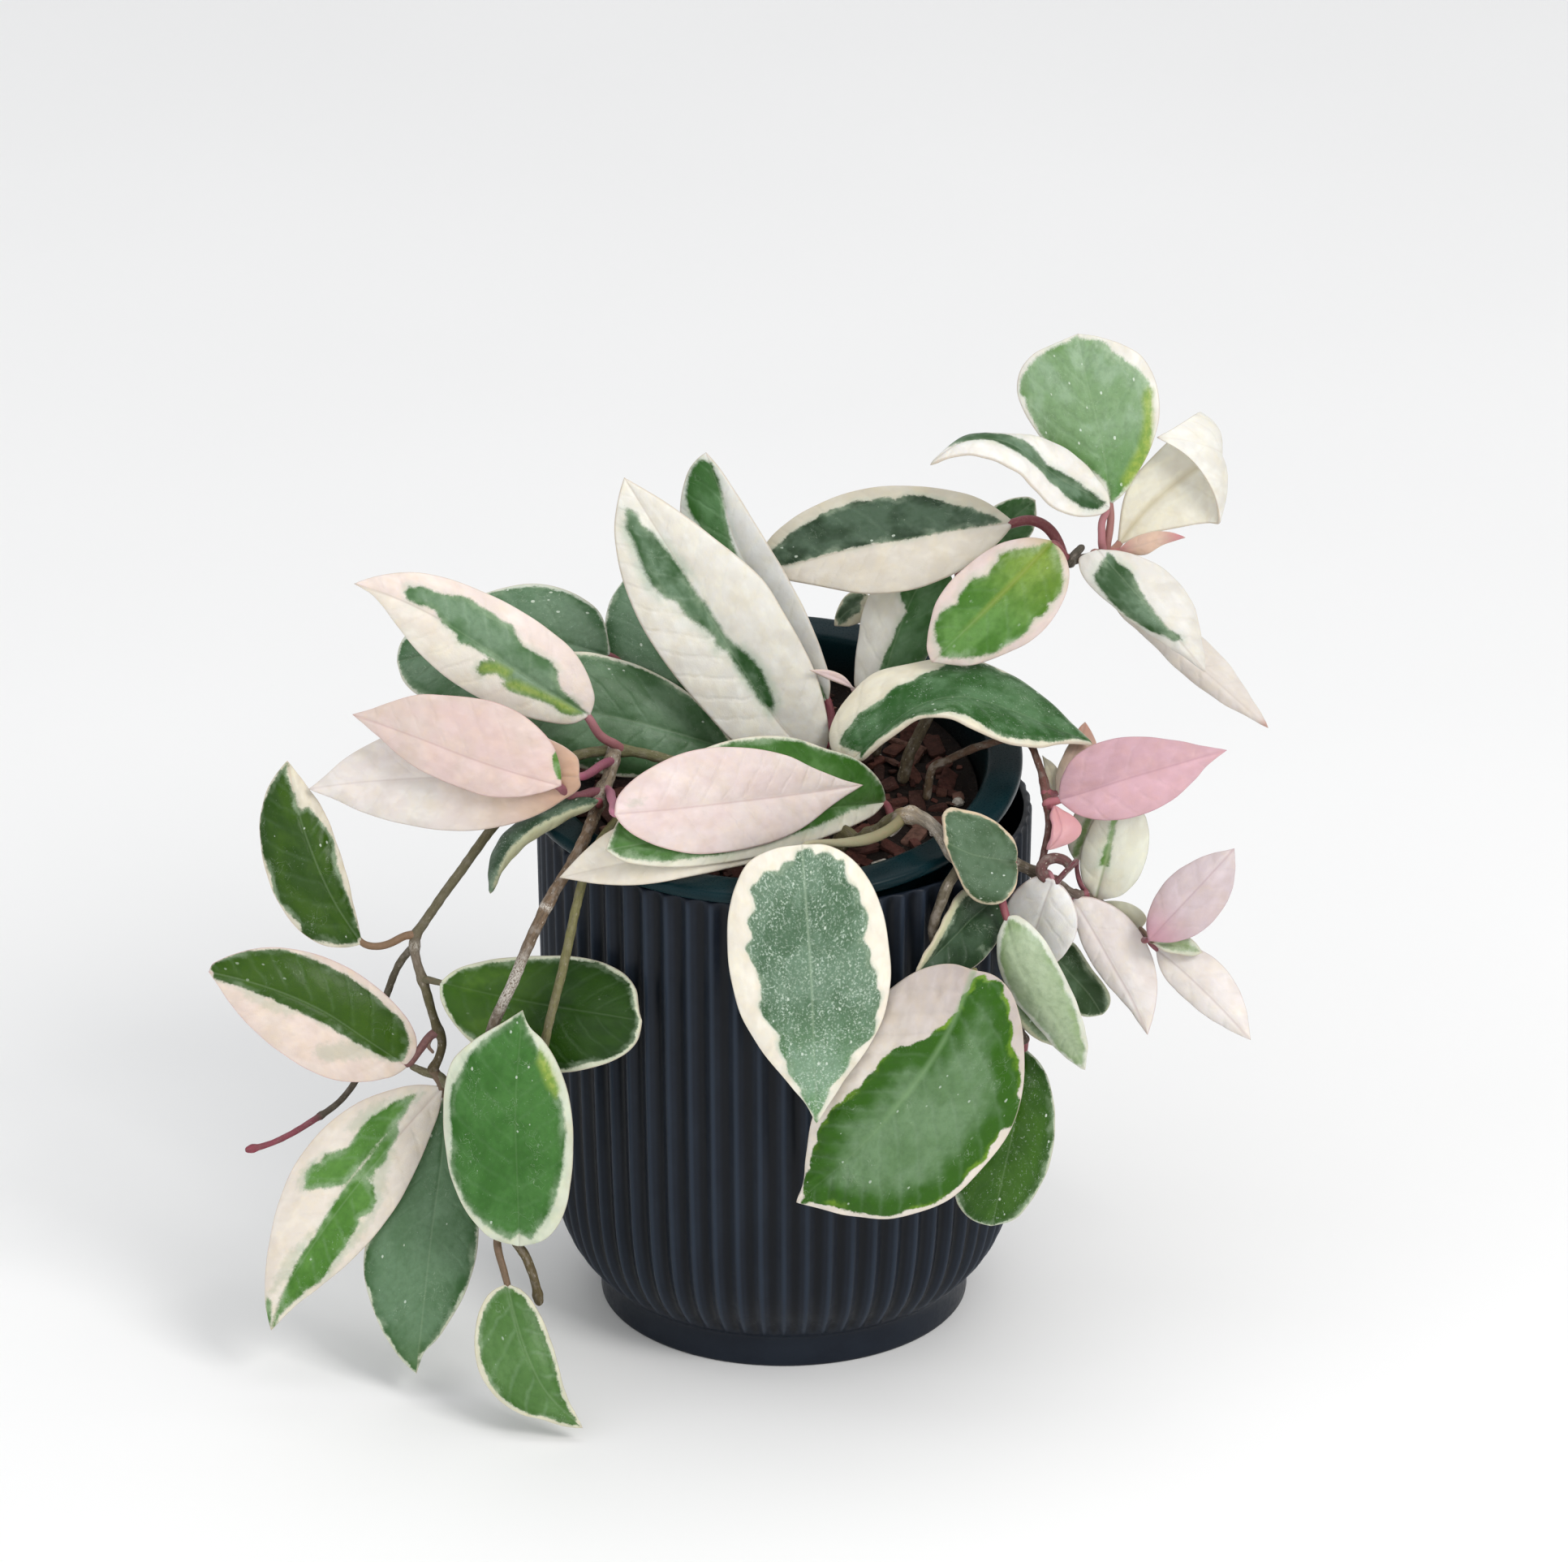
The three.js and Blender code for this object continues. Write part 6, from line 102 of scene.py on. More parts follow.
        st=[[[21.56,10.29,195.47],[21.56,10.29,195.47],[21.56,10.29,195.47]],[[21.43,10.21,195.67],[21.41,10.19,195.64],[21.39,10.17,195.59]],[[21.25,10.09,195.99],[21.18,10.04,195.89],[21.12,9.99,195.78]],[[20.95,9.89,196.51],[20.81,9.8,196.32],[20.69,9.7,196.1]],[[20.56,9.63,197.22],[20.32,9.48,196.9],[20.11,9.3,196.52]],[[19.98,9.23,198.29],[19.58,9.0,197.76],[19.23,8.71,197.14]],[[19.15,8.69,199.67],[18.58,8.34,198.88],[18.07,7.93,197.98]],[[18.05,8.02,201.07],[17.37,7.55,200.05],[16.77,7.04,198.94]],[[16.61,7.15,202.37],[15.94,6.61,201.2],[15.33,6.06,199.99]],[[15.06,6.18,203.46],[14.47,5.63,202.25],[13.89,5.09,201.05]],[[13.45,5.14,204.38],[12.98,4.62,203.24],[12.46,4.12,202.14]],[[11.96,4.13,205.04],[11.62,3.69,204.08],[11.18,3.26,203.14]],[[10.63,3.16,205.48],[10.39,2.83,204.77],[10.07,2.51,204.07]],[[9.47,2.28,205.8],[9.31,2.07,205.34],[9.11,1.87,204.89]],[[8.48,1.53,206.07],[8.39,1.42,205.83],[8.28,1.31,205.6]],[[7.82,1.03,206.27],[7.78,0.99,206.17],[7.73,0.94,206.07]],[[7.32,0.66,206.42],[7.32,0.66,206.42],[7.32,0.66,206.42]]]),
    'left_upper': dict(ts=[0,0.012,0.03,0.06,0.1,0.16,0.24,0.33,0.43,0.53,0.63,0.72,0.8,0.87,0.93,0.97,1.0], root=[-49.08,-9.79,184.6],
        pet=[[-49.23,-10.89,187.02],[-51.88,-12.07,188.08],[-54.29,-13.0,189.57],[-56.21,-13.58,192.23],[-57.64,-14.02,195.63],[-58.1,-14.0,197.75]],
        st=[[[-58.1,-14.0,197.75],[-58.1,-14.0,197.75],[-58.1,-14.0,197.75]],[[-57.73,-13.56,198.72],[-58.94,-14.06,198.33],[-59.03,-14.28,197.37]],[[-57.12,-13.04,200.23],[-60.19,-14.15,199.19],[-60.39,-14.83,196.78]],[[-56.65,-12.2,202.87],[-62.28,-14.26,200.6],[-62.76,-15.67,196.02]],[[-57.49,-11.12,206.39],[-65.07,-14.37,202.45],[-66.18,-16.34,196.01]],[[-59.58,-9.59,211.43],[-69.25,-14.41,205.19],[-71.3,-16.82,197.03]],[[-63.83,-7.81,217.37],[-74.72,-14.21,208.89],[-77.97,-17.01,199.05]],[[-70.24,-6.28,222.69],[-80.71,-13.58,213.17],[-85.27,-16.76,201.85]],[[-78.0,-4.75,227.76],[-87.33,-12.52,217.82],[-93.07,-15.95,205.54]],[[-86.26,-3.39,232.01],[-94.07,-11.17,222.14],[-100.34,-14.52,209.99]],[[-94.86,-2.13,235.55],[-100.94,-9.52,226.15],[-106.9,-12.44,215.21]],[[-102.92,-1.2,237.91],[-107.37,-7.89,229.25],[-112.21,-10.1,220.41]],[[-110.35,-0.74,238.89],[-113.27,-6.34,231.58],[-116.42,-7.67,225.35]],[[-116.92,-0.7,238.72],[-118.57,-4.91,233.27],[-119.95,-5.38,229.72]],[[-122.44,-1.04,237.68],[-123.21,-3.64,234.46],[-123.35,-3.48,233.15]],[[-126.02,-1.45,236.61],[-126.32,-2.73,235.18],[-126.34,-2.55,234.66]],[[-128.64,-2.0,235.73],[-128.64,-2.0,235.73],[-128.64,-2.0,235.73]]]),
    'left_back_round': dict(ts=[0,0.012,0.03,0.06,0.1,0.16,0.24,0.33,0.43,0.53,0.63,0.72,0.8,0.87,0.93,0.97,1.0], root=[-49.2,24.0,196.37],
        pet=[[-49.44,22.3,198.58],[-49.48,22.0,198.98],[-52.53,19.89,202.48]],
        st=[[[-52.53,19.89,202.48],[-52.53,19.89,202.48],[-52.53,19.89,202.48]],[[-52.67,20.38,203.4],[-53.29,19.84,202.72],[-53.18,19.68,201.88]],[[-52.88,21.0,204.83],[-54.43,19.78,203.07],[-54.11,19.26,201.01]],[[-53.23,22.01,207.23],[-56.33,19.71,203.69],[-55.62,18.5,199.53]],[[-53.82,23.32,210.43],[-58.85,19.66,204.51],[-57.72,17.49,197.64]],[[-55.83,25.12,214.84],[-62.63,19.63,205.7],[-61.42,16.27,195.43]],[[-61.23,26.74,218.91],[-67.74,19.63,207.01],[-67.06,15.25,193.7]],[[-68.47,27.86,221.76],[-73.61,19.53,207.82],[-73.62,14.46,192.36]],[[-77.09,28.27,222.84],[-80.17,19.36,208.03],[-80.94,13.75,190.96]],[[-85.68,27.68,221.45],[-86.73,19.21,207.66],[-88.35,13.33,189.96]],[[-94.0,26.69,218.92],[-93.23,19.03,206.66],[-95.83,13.32,189.57]],[[-101.39,25.76,216.34],[-99.02,18.9,205.3],[-102.57,13.68,189.82]],[[-107.66,24.72,213.38],[-104.17,18.95,204.04],[-108.44,14.43,190.8]],[[-112.58,23.48,209.96],[-108.7,19.12,202.91],[-112.96,15.77,193.04]],[[-115.85,22.03,206.13],[-112.58,19.35,201.9],[-115.7,17.49,196.15]],[[-116.9,20.81,203.05],[-115.17,19.55,201.2],[-116.58,18.82,198.69]],[[-117.12,19.73,200.67],[-117.12,19.73,200.67],[-117.12,19.73,200.67]]]),
    'back_upright_left': dict(ts=[0,0.012,0.03,0.06,0.1,0.16,0.24,0.33,0.43,0.53,0.63,0.72,0.8,0.87,0.93,0.97,1.0], root=[-31.11,27.73,179.51],
        pet=[[-30.47,24.96,180.01],[-29.24,22.69,179.96],[-28.03,17.25,183.76]],
        st=[[[-28.03,17.25,183.76],[-28.03,17.25,183.76],[-28.03,17.25,183.76]],[[-28.83,17.1,183.92],[-28.27,17.11,184.42],[-27.62,17.29,184.35]],[[-30.03,16.78,184.15],[-28.62,16.92,185.39],[-26.96,17.28,185.25]],[[-32.02,16.23,184.48],[-29.21,16.69,186.98],[-25.82,17.25,186.71]],[[-34.69,15.6,184.84],[-30.0,16.54,189.03],[-24.24,17.29,188.56]],[[-38.66,15.01,185.49],[-31.19,16.63,191.96],[-21.98,17.65,191.3]],[[-43.54,15.39,187.55],[-32.77,17.37,195.59],[-19.97,18.91,195.27]],[[-47.65,17.41,191.41],[-34.5,19.04,199.33],[-20.6,21.25,199.83]],[[-51.16,20.92,196.07],[-36.43,21.93,203.03],[-23.04,24.59,204.11]],[[-53.36,25.66,200.88],[-38.36,25.92,206.26],[-25.78,28.84,207.84]],[[-54.45,31.48,205.53],[-40.1,31.04,209.09],[-28.47,34.07,211.19]],[[-54.05,37.57,209.41],[-41.34,36.63,211.34],[-31.16,39.55,213.73]],[[-52.19,43.5,212.26],[-42.12,42.37,213.1],[-33.96,44.97,215.48]],[[-49.39,48.93,213.96],[-42.65,47.99,214.42],[-36.99,50.01,216.32]],[[-46.8,53.88,215.13],[-43.08,53.24,215.39],[-40.03,54.46,216.4]],[[-44.99,57.31,215.79],[-43.39,56.96,215.94],[-42.11,57.54,216.3]],[[-43.64,59.86,216.3],[-43.64,59.86,216.3],[-43.64,59.86,216.3]]]),
    'left_wide_green': dict(ts=[0,0.012,0.03,0.06,0.1,0.16,0.24,0.33,0.43,0.53,0.63,0.72,0.8,0.87,0.93,0.97,1.0], root=[14.63,9.77,177.62],
        pet=[[11.88,10.11,177.0],[4.73,10.54,174.63],[-14.49,8.98,175.62]],
        st=[[[-14.49,8.98,175.62],[-14.49,8.98,175.62],[-14.49,8.98,175.62]],[[-14.98,9.36,176.53],[-15.29,8.79,175.99],[-15.17,8.53,175.18]],[[-15.69,9.79,177.98],[-16.49,8.51,176.53],[-16.15,7.79,174.5]],[[-17.02,10.4,180.35],[-18.48,8.06,177.44],[-17.82,6.55,173.39]],[[-19.26,11.05,183.26],[-21.14,7.49,178.64],[-20.34,5.08,172.29]],[[-22.96,11.87,187.35],[-25.13,6.72,180.39],[-24.61,3.35,171.56]],[[-28.0,12.94,192.72],[-30.47,5.79,182.58],[-30.5,1.45,171.21]],[[-34.88,13.56,197.38],[-36.49,4.9,184.9],[-37.21,-0.29,171.33]],[[-43.02,13.97,201.78],[-43.2,4.11,187.28],[-44.68,-1.85,171.83]],[[-51.72,13.86,204.89],[-49.98,3.47,189.3],[-52.13,-2.92,172.88]],[[-60.72,13.32,206.9],[-56.81,2.96,190.98],[-59.39,-3.3,174.97]],[[-68.84,11.98,206.69],[-63.01,2.58,192.08],[-65.65,-3.13,177.56]],[[-75.07,9.58,203.74],[-68.57,2.11,192.33],[-70.93,-2.58,180.39]],[[-78.71,6.66,199.3],[-73.37,1.47,191.72],[-75.33,-1.85,183.16]],[[-80.78,3.91,194.98],[-77.41,0.87,190.82],[-78.72,-0.96,185.96]],[[-81.55,1.95,191.94],[-80.1,0.52,190.18],[-80.68,-0.21,188.11]],[[-82.14,0.3,189.74],[-82.14,0.3,189.74],[-82.14,0.3,189.74]]]),
    'left_pink': dict(ts=[0,0.012,0.03,0.06,0.1,0.16,0.24,0.33,0.43,0.53,0.63,0.72,0.8,0.87,0.93,0.97,1.0], root=[-54.54,-28.69,178.97],
        pet=[[-56.5,-30.17,180.55],[-59.08,-34.92,181.39],[-61.65,-39.23,182.57],[-64.21,-42.95,185.06],[-66.05,-45.99,188.31],[-66.0,-47.64,190.12]],
        st=[[[-66.0,-47.64,190.12],[-66.0,-47.64,190.12],[-66.0,-47.64,190.12]],[[-66.02,-47.19,190.95],[-66.76,-47.68,190.35],[-66.79,-47.7,189.83]],[[-66.01,-46.62,192.23],[-67.91,-47.75,190.69],[-67.97,-47.91,189.41]],[[-66.11,-45.71,194.38],[-69.82,-47.83,191.23],[-69.94,-48.27,188.76]],[[-66.76,-44.53,197.18],[-72.37,-47.89,191.93],[-72.63,-48.67,188.08]],[[-68.51,-42.8,201.15],[-76.18,-47.85,192.97],[-76.74,-49.1,187.32]],[[-72.42,-40.77,205.52],[-81.23,-47.53,194.39],[-82.34,-49.24,186.95]],[[-77.85,-38.72,209.46],[-86.89,-46.84,195.98],[-88.64,-48.81,187.31]],[[-84.9,-36.89,212.25],[-93.12,-45.66,197.76],[-95.35,-47.49,189.0]],[[-92.52,-35.5,213.46],[-99.27,-43.99,199.62],[-101.89,-45.71,191.05]],[[-100.32,-34.26,213.68],[-105.38,-41.91,201.43],[-108.23,-43.49,193.44]],[[-107.37,-33.1,213.45],[-110.95,-39.77,202.83],[-113.56,-41.0,196.11]],[[-113.53,-32.49,211.89],[-115.93,-37.63,203.92],[-117.82,-38.36,199.0]],[[-118.76,-32.12,209.85],[-120.3,-35.59,204.77],[-121.39,-35.86,201.65]],[[-123.2,-31.8,207.92],[-124.08,-33.7,205.4],[-124.66,-33.73,203.67]],[[-126.23,-31.49,206.81],[-126.61,-32.38,205.78],[-126.86,-32.31,205.0]],[[-128.5,-31.34,206.05],[-128.5,-31.34,206.05],[-128.5,-31.34,206.05]]]),
    'left_cream': dict(ts=[0,0.012,0.03,0.06,0.1,0.16,0.24,0.33,0.43,0.53,0.63,0.72,0.8,0.87,0.93,0.97,1.0], root=[-51.62,-15.37,183.21],
        pet=[[-52.08,-17.11,184.22],[-54.38,-23.74,186.15],[-56.66,-31.49,187.81],[-58.94,-38.83,189.55],[-60.75,-44.51,191.61]],
        st=[[[-60.75,-44.51,191.61],[-60.75,-44.51,191.61],[-60.75,-44.51,191.61]],[[-60.77,-43.73,192.5],[-61.72,-44.37,191.58],[-60.56,-44.64,190.51]],[[-60.73,-42.68,193.88],[-63.17,-44.16,191.53],[-60.41,-44.94,188.91]],[[-61.28,-41.0,196.12],[-65.6,-43.8,191.46],[-62.02,-45.24,186.81]],[[-63.98,-39.23,198.17],[-68.84,-43.3,191.36],[-65.07,-45.33,184.78]],[[-68.91,-37.05,200.26],[-73.7,-42.52,191.16],[-69.59,-45.53,181.66]],[[-75.89,-34.48,202.3],[-80.2,-41.44,190.74],[-76.09,-45.43,178.28]],[[-84.17,-32.11,203.44],[-87.51,-40.2,190.04],[-83.85,-44.84,175.51]],[[-93.61,-29.97,203.56],[-95.64,-38.73,189.08],[-92.76,-43.64,173.57]],[[-103.09,-28.42,202.34],[-103.79,-37.15,188.0],[-101.77,-41.86,172.84]],[[-112.42,-27.42,199.85],[-111.95,-35.44,186.79],[-110.71,-39.59,173.14]],[[-120.46,-27.03,196.44],[-119.31,-33.82,185.56],[-118.63,-37.21,174.1]],[[-127.21,-27.05,192.57],[-125.85,-32.31,184.35],[-125.51,-34.85,175.46]],[[-132.71,-27.35,188.56],[-131.58,-30.99,183.1],[-131.33,-32.54,177.17]],[[-136.93,-27.88,184.55],[-136.47,-29.86,181.86],[-136.26,-30.52,178.74]],[[-139.86,-28.2,182.03],[-139.73,-29.1,180.98],[-139.64,-29.3,179.62]],[[-142.18,-28.51,180.32],[-142.18,-28.51,180.32],[-142.18,-28.51,180.32]]]),
    'left_grey_narrow': dict(ts=[0,0.012,0.03,0.06,0.1,0.16,0.24,0.33,0.43,0.53,0.63,0.72,0.8,0.87,0.93,0.97,1.0], root=[-55.56,-34.4,177.93],
        pet=[[-55.2,-36.31,178.56],[-55.11,-40.51,181.29],[-55.02,-44.72,184.02]],
        st=[[[-55.02,-44.72,184.02],[-55.02,-44.72,184.02],[-55.02,-44.72,184.02]],[[-55.61,-44.1,183.88],[-55.53,-44.86,183.89],[-55.38,-44.5,183.49]],[[-56.49,-43.5,183.87],[-56.3,-45.05,183.71],[-55.91,-44.41,182.8]],[[-57.96,-42.69,183.93],[-57.6,-45.32,183.39],[-56.83,-44.37,181.74]],[[-59.97,-41.86,183.76],[-59.32,-45.62,182.93],[-58.29,-44.26,180.61]],[[-62.97,-40.99,182.87],[-61.89,-45.94,182.11],[-60.73,-43.92,179.33]],[[-66.85,-40.07,181.2],[-65.27,-46.16,180.76],[-63.94,-43.44,177.49]],[[-71.12,-39.14,179.01],[-69.05,-46.07,178.99],[-67.46,-42.86,175.17]],[[-75.72,-38.2,176.23],[-73.1,-45.65,176.49],[-71.29,-42.11,172.39]],[[-80.03,-37.44,172.93],[-76.86,-44.94,173.31],[-75.02,-41.26,169.35]],[[-83.95,-36.85,169.11],[-80.3,-43.92,169.51],[-78.55,-40.36,165.96]],[[-86.57,-36.61,164.91],[-82.92,-42.77,165.46],[-81.45,-39.53,162.54]],[[-87.73,-36.6,160.65],[-84.63,-41.59,161.34],[-83.74,-38.79,159.19]],[[-88.22,-36.64,156.8],[-85.81,-40.37,157.47],[-85.39,-38.16,155.99]],[[-88.19,-36.73,153.5],[-86.76,-39.13,154.04],[-86.58,-37.66,153.12]],[[-88.05,-36.9,151.36],[-87.43,-38.21,151.71],[-87.36,-37.39,151.23]],[[-87.96,-37.47,149.96],[-87.96,-37.47,149.96],[-87.96,-37.47,149.96]]]),
    'front_pink': dict(ts=[0,0.012,0.03,0.06,0.1,0.16,0.24,0.33,0.43,0.53,0.63,0.72,0.8,0.87,0.93,0.97,1.0], root=[-53.92,-26.28,179.65],
        pet=[[-52.41,-28.43,179.76],[-51.4,-44.29,184.88],[-50.39,-60.15,190.03],[-49.85,-77.2,194.43]],
        st=[[[-49.85,-77.2,194.43],[-49.85,-77.2,194.43],[-49.85,-77.2,194.43]],[[-49.75,-76.44,195.19],[-48.98,-76.83,194.34],[-49.32,-77.29,193.56]],[[-49.63,-75.3,196.32],[-47.66,-76.27,194.19],[-48.53,-77.37,192.23]],[[-48.98,-73.39,198.1],[-45.47,-75.29,193.93],[-46.91,-77.34,190.18]],[[-47.03,-71.0,199.99],[-42.55,-73.93,193.54],[-44.35,-77.04,187.78]],[[-43.32,-67.55,202.12],[-38.16,-71.75,192.92],[-40.0,-76.09,184.83]],[[-37.65,-63.09,203.99],[-32.31,-68.53,192.05],[-33.78,-74.13,181.63]],[[-30.8,-58.06,205.18],[-25.73,-64.52,191.01],[-26.51,-71.08,178.79]],[[-22.64,-52.7,204.82],[-18.4,-59.59,189.7],[-18.3,-66.47,176.98]],[[-14.23,-47.54,202.8],[-11.06,-54.2,188.2],[-10.15,-60.91,175.88]],[[-5.83,-42.43,199.46],[-3.69,-48.33,186.51],[-2.17,-54.45,175.34]],[[1.59,-37.82,195.41],[2.97,-42.63,184.86],[4.65,-47.74,175.64]],[[7.77,-33.93,190.52],[8.9,-37.22,183.28],[10.03,-40.92,176.83]],[[13.16,-30.31,186.05],[14.11,-32.24,181.82],[14.63,-34.59,177.93]],[[17.98,-26.87,182.51],[18.58,-27.78,180.5],[18.83,-29.08,178.47]],[[21.31,-24.34,180.4],[21.58,-24.72,179.58],[21.67,-25.31,178.73]],[[23.83,-22.37,178.86],[23.83,-22.37,178.86],[23.83,-22.37,178.86]]]),
    'front_green_under': dict(ts=[0,0.012,0.03,0.06,0.1,0.16,0.24,0.33,0.43,0.53,0.63,0.72,0.8,0.87,0.93,0.97,1.0], root=[25.09,-34.47,167.78],
        pet=[[27.6,-31.13,167.2],[30.07,-28.07,166.75],[32.61,-25.07,166.99],[31.75,-13.5,165.96],[30.57,-8.97,167.1]],
        st=[[[30.57,-8.97,167.1],[30.57,-8.97,167.1],[30.57,-8.97,167.1]],[[30.34,-9.58,168.79],[29.53,-10.35,167.59],[29.88,-10.64,166.94]],[[30.04,-10.57,171.36],[27.98,-12.39,168.3],[28.86,-13.13,166.68]],[[28.93,-12.3,175.48],[25.41,-15.72,169.47],[26.9,-17.09,166.45]],[[26.18,-14.79,180.29],[21.98,-20.01,170.97],[23.76,-21.95,166.71]],[[20.98,-18.79,186.35],[16.87,-26.16,173.07],[18.84,-28.76,167.37]],[[12.79,-24.7,191.9],[10.09,-33.82,175.58],[12.15,-37.12,168.33]],[[3.66,-30.62,197.99],[2.52,-41.71,178.0],[4.56,-45.65,169.37]],[[-6.98,-37.52,201.91],[-5.83,-49.56,180.22],[-3.99,-53.95,170.59]],[[-17.45,-44.57,203.16],[-14.12,-56.48,181.84],[-12.65,-60.99,171.95]],[[-27.35,-51.59,202.23],[-22.3,-62.58,182.66],[-21.35,-66.89,173.2]],[[-35.59,-57.73,199.81],[-29.59,-67.31,182.8],[-29.22,-71.13,174.43]],[[-42.05,-63.1,196.3],[-36.11,-70.77,182.8],[-36.24,-73.96,175.79]],[[-46.64,-67.78,192.08],[-41.86,-73.16,182.8],[-42.34,-75.69,177.24]],[[-49.87,-71.67,187.87],[-46.81,-74.78,182.72],[-47.47,-76.53,178.88]],[[-51.59,-74.23,184.8],[-50.11,-75.66,182.58],[-50.5,-76.49,180.76]],[[-52.58,-76.23,182.41],[-52.58,-76.23,182.41],[-52.58,-76.23,182.41]]]),
    'front_cream_under': dict(ts=[0,0.012,0.03,0.06,0.1,0.16,0.24,0.33,0.43,0.53,0.63,0.72,0.8,0.87,0.93,0.97,1.0], root=[16.63,-29.4,162.29],
        pet=[[12.96,-31.3,163.47],[11.17,-33.26,164.34]],
        st=[[[11.17,-33.26,164.34],[11.17,-33.26,164.34],[11.17,-33.26,164.34]],[[10.22,-34.18,165.23],[10.22,-34.46,164.86],[10.27,-34.58,164.58]],[[8.81,-35.56,166.58],[8.79,-36.21,165.61],[8.92,-36.54,164.9]],[[6.49,-37.77,168.83],[6.41,-39.03,166.82],[6.68,-39.67,165.4]],[[3.37,-40.55,171.7],[3.24,-42.57,168.35],[3.63,-43.57,166.15]],[[-1.46,-44.49,175.41],[-1.49,-47.43,170.42],[-1.02,-48.84,167.33]],[[-8.15,-49.35,179.1],[-7.77,-53.1,172.72],[-7.23,-54.95,168.68]],[[-15.75,-54.01,182.12],[-14.8,-58.42,174.6],[-14.19,-60.68,169.65]],[[-24.21,-58.0,184.42],[-22.57,-62.99,175.84],[-21.9,-65.62,170.08]],[[-32.68,-60.77,185.6],[-30.32,-66.13,176.23],[-29.63,-69.0,169.94]],[[-41.12,-62.34,185.58],[-38.04,-67.86,175.75],[-37.39,-70.85,169.19]],[[-48.56,-62.95,184.08],[-44.98,-68.2,174.56],[-44.47,-70.97,168.47]],[[-54.5,-63.27,180.61],[-51.16,-67.51,172.96],[-50.82,-69.78,167.99]],[[-59.0,-63.23,176.28],[-56.57,-66.16,171.13],[-56.38,-67.78,167.57]],[[-62.58,-62.79,172.02],[-61.21,-64.44,169.22],[-61.11,-65.34,167.26]],[[-64.9,-62.25,168.99],[-64.31,-63.0,167.81],[-64.27,-63.38,166.98]],[[-66.65,-61.76,166.68],[-66.65,-61.76,166.68],[-66.65,-61.76,166.68]]]),
    'front_hanging': dict(ts=[0,0.012,0.03,0.06,0.1,0.16,0.24,0.33,0.43,0.53,0.63,0.72,0.8,0.87,0.93,0.97,1.0], root=[34.95,-44.72,178.88],
        pet=[[35.23,-46.81,179.13],[31.32,-52.27,177.94],[25.49,-58.42,177.86],[17.75,-65.11,179.63],[10.53,-70.84,182.29],[5.26,-75.09,183.73]],
        st=[[[5.26,-75.09,183.73],[5.26,-75.09,183.73],[5.26,-75.09,183.73]],[[4.04,-74.8,183.4],[5.33,-75.5,182.83],[6.5,-74.72,183.56]],[[2.19,-74.54,183.05],[5.45,-76.1,181.48],[8.35,-74.35,183.47]],[[-0.87,-74.24,182.45],[5.63,-77.07,179.22],[11.44,-73.89,183.21]],[[-4.82,-74.14,181.11],[5.88,-78.32,176.17],[15.36,-73.8,181.84]],[[-10.2,-74.51,177.97],[6.26,-80.07,171.55],[20.47,-74.36,178.28]],[[-14.32,-76.21,170.99],[6.74,-82.18,165.28],[25.6,-75.81,171.87]],[[-16.6,-78.48,162.12],[7.28,-84.27,158.09],[29.17,-77.89,163.39]],[[-16.92,-80.99,151.9],[7.84,-86.22,149.91],[31.08,-80.34,153.34]],[[-15.46,-83.34,141.69],[8.28,-87.79,141.53],[31.74,-82.72,143.05]],[[-12.5,-85.41,131.7],[8.56,-88.99,132.94],[29.91,-84.88,132.87]],[[-7.9,-86.82,123.4],[8.78,-89.73,125.04],[25.93,-86.41,124.29]],[[-2.72,-87.68,116.63],[9.01,-90.14,117.88],[21.27,-87.43,117.18]],[[2.14,-88.26,110.92],[9.23,-90.29,111.5],[17.06,-88.22,110.99]],[[6.1,-88.82,105.84],[9.41,-90.28,105.96],[13.55,-88.92,105.63]],[[8.22,-89.39,102.14],[9.54,-90.2,102.22],[11.31,-89.46,102.0]],[[9.63,-90.09,99.39],[9.63,-90.09,99.39],[9.63,-90.09,99.39]]]),
    'front_broad': dict(ts=[0,0.012,0.03,0.06,0.1,0.16,0.24,0.33,0.43,0.53,0.63,0.72,0.8,0.87,0.93,0.97,1.0], root=[55.5,-66.19,135.74],
        pet=[[55.47,-67.9,136.81],[55.98,-77.6,142.53],[56.27,-86.14,147.95]],
        st=[[[56.27,-86.14,147.95],[56.27,-86.14,147.95],[56.27,-86.14,147.95]],[[55.16,-85.37,147.95],[55.85,-86.36,146.98],[57.8,-85.74,147.38]],[[53.5,-84.44,148.13],[55.23,-86.68,145.53],[60.09,-85.32,146.66]],[[50.7,-83.08,148.38],[54.22,-87.19,143.09],[63.54,-85.13,144.62]],[[46.82,-81.76,147.86],[52.9,-87.84,139.81],[67.0,-85.57,140.55]],[[41.14,-80.48,145.75],[50.88,-88.74,134.86],[69.75,-86.89,133.14]],[[34.27,-79.6,141.27],[47.89,-89.72,128.31],[71.12,-88.91,122.68]],[[27.57,-79.31,134.79],[43.83,-90.47,121.16],[70.7,-91.23,110.81]],[[21.34,-79.54,126.49],[38.71,-90.88,113.46],[67.01,-93.53,98.16]],[[15.89,-80.05,117.65],[33.23,-90.91,105.84],[59.35,-95.0,87.25]],[[11.57,-80.88,108.22],[27.46,-90.58,98.3],[50.01,-95.87,77.6]],[[8.83,-81.87,99.3],[22.01,-89.96,91.59],[39.37,-95.24,71.98]],[[7.19,-82.87,91.18],[16.94,-89.15,85.71],[29.14,-93.68,69.11]],[[6.28,-83.82,84.0],[12.33,-88.22,80.66],[20.11,-91.18,69.11]],[[5.75,-84.71,77.84],[8.31,-87.29,76.33],[12.49,-88.7,69.92]],[[4.69,-85.35,73.91],[5.63,-86.62,73.41],[7.43,-87.08,70.57]],[[3.63,-86.1,71.19],[3.63,-86.1,71.19],[3.63,-86.1,71.19]]]),
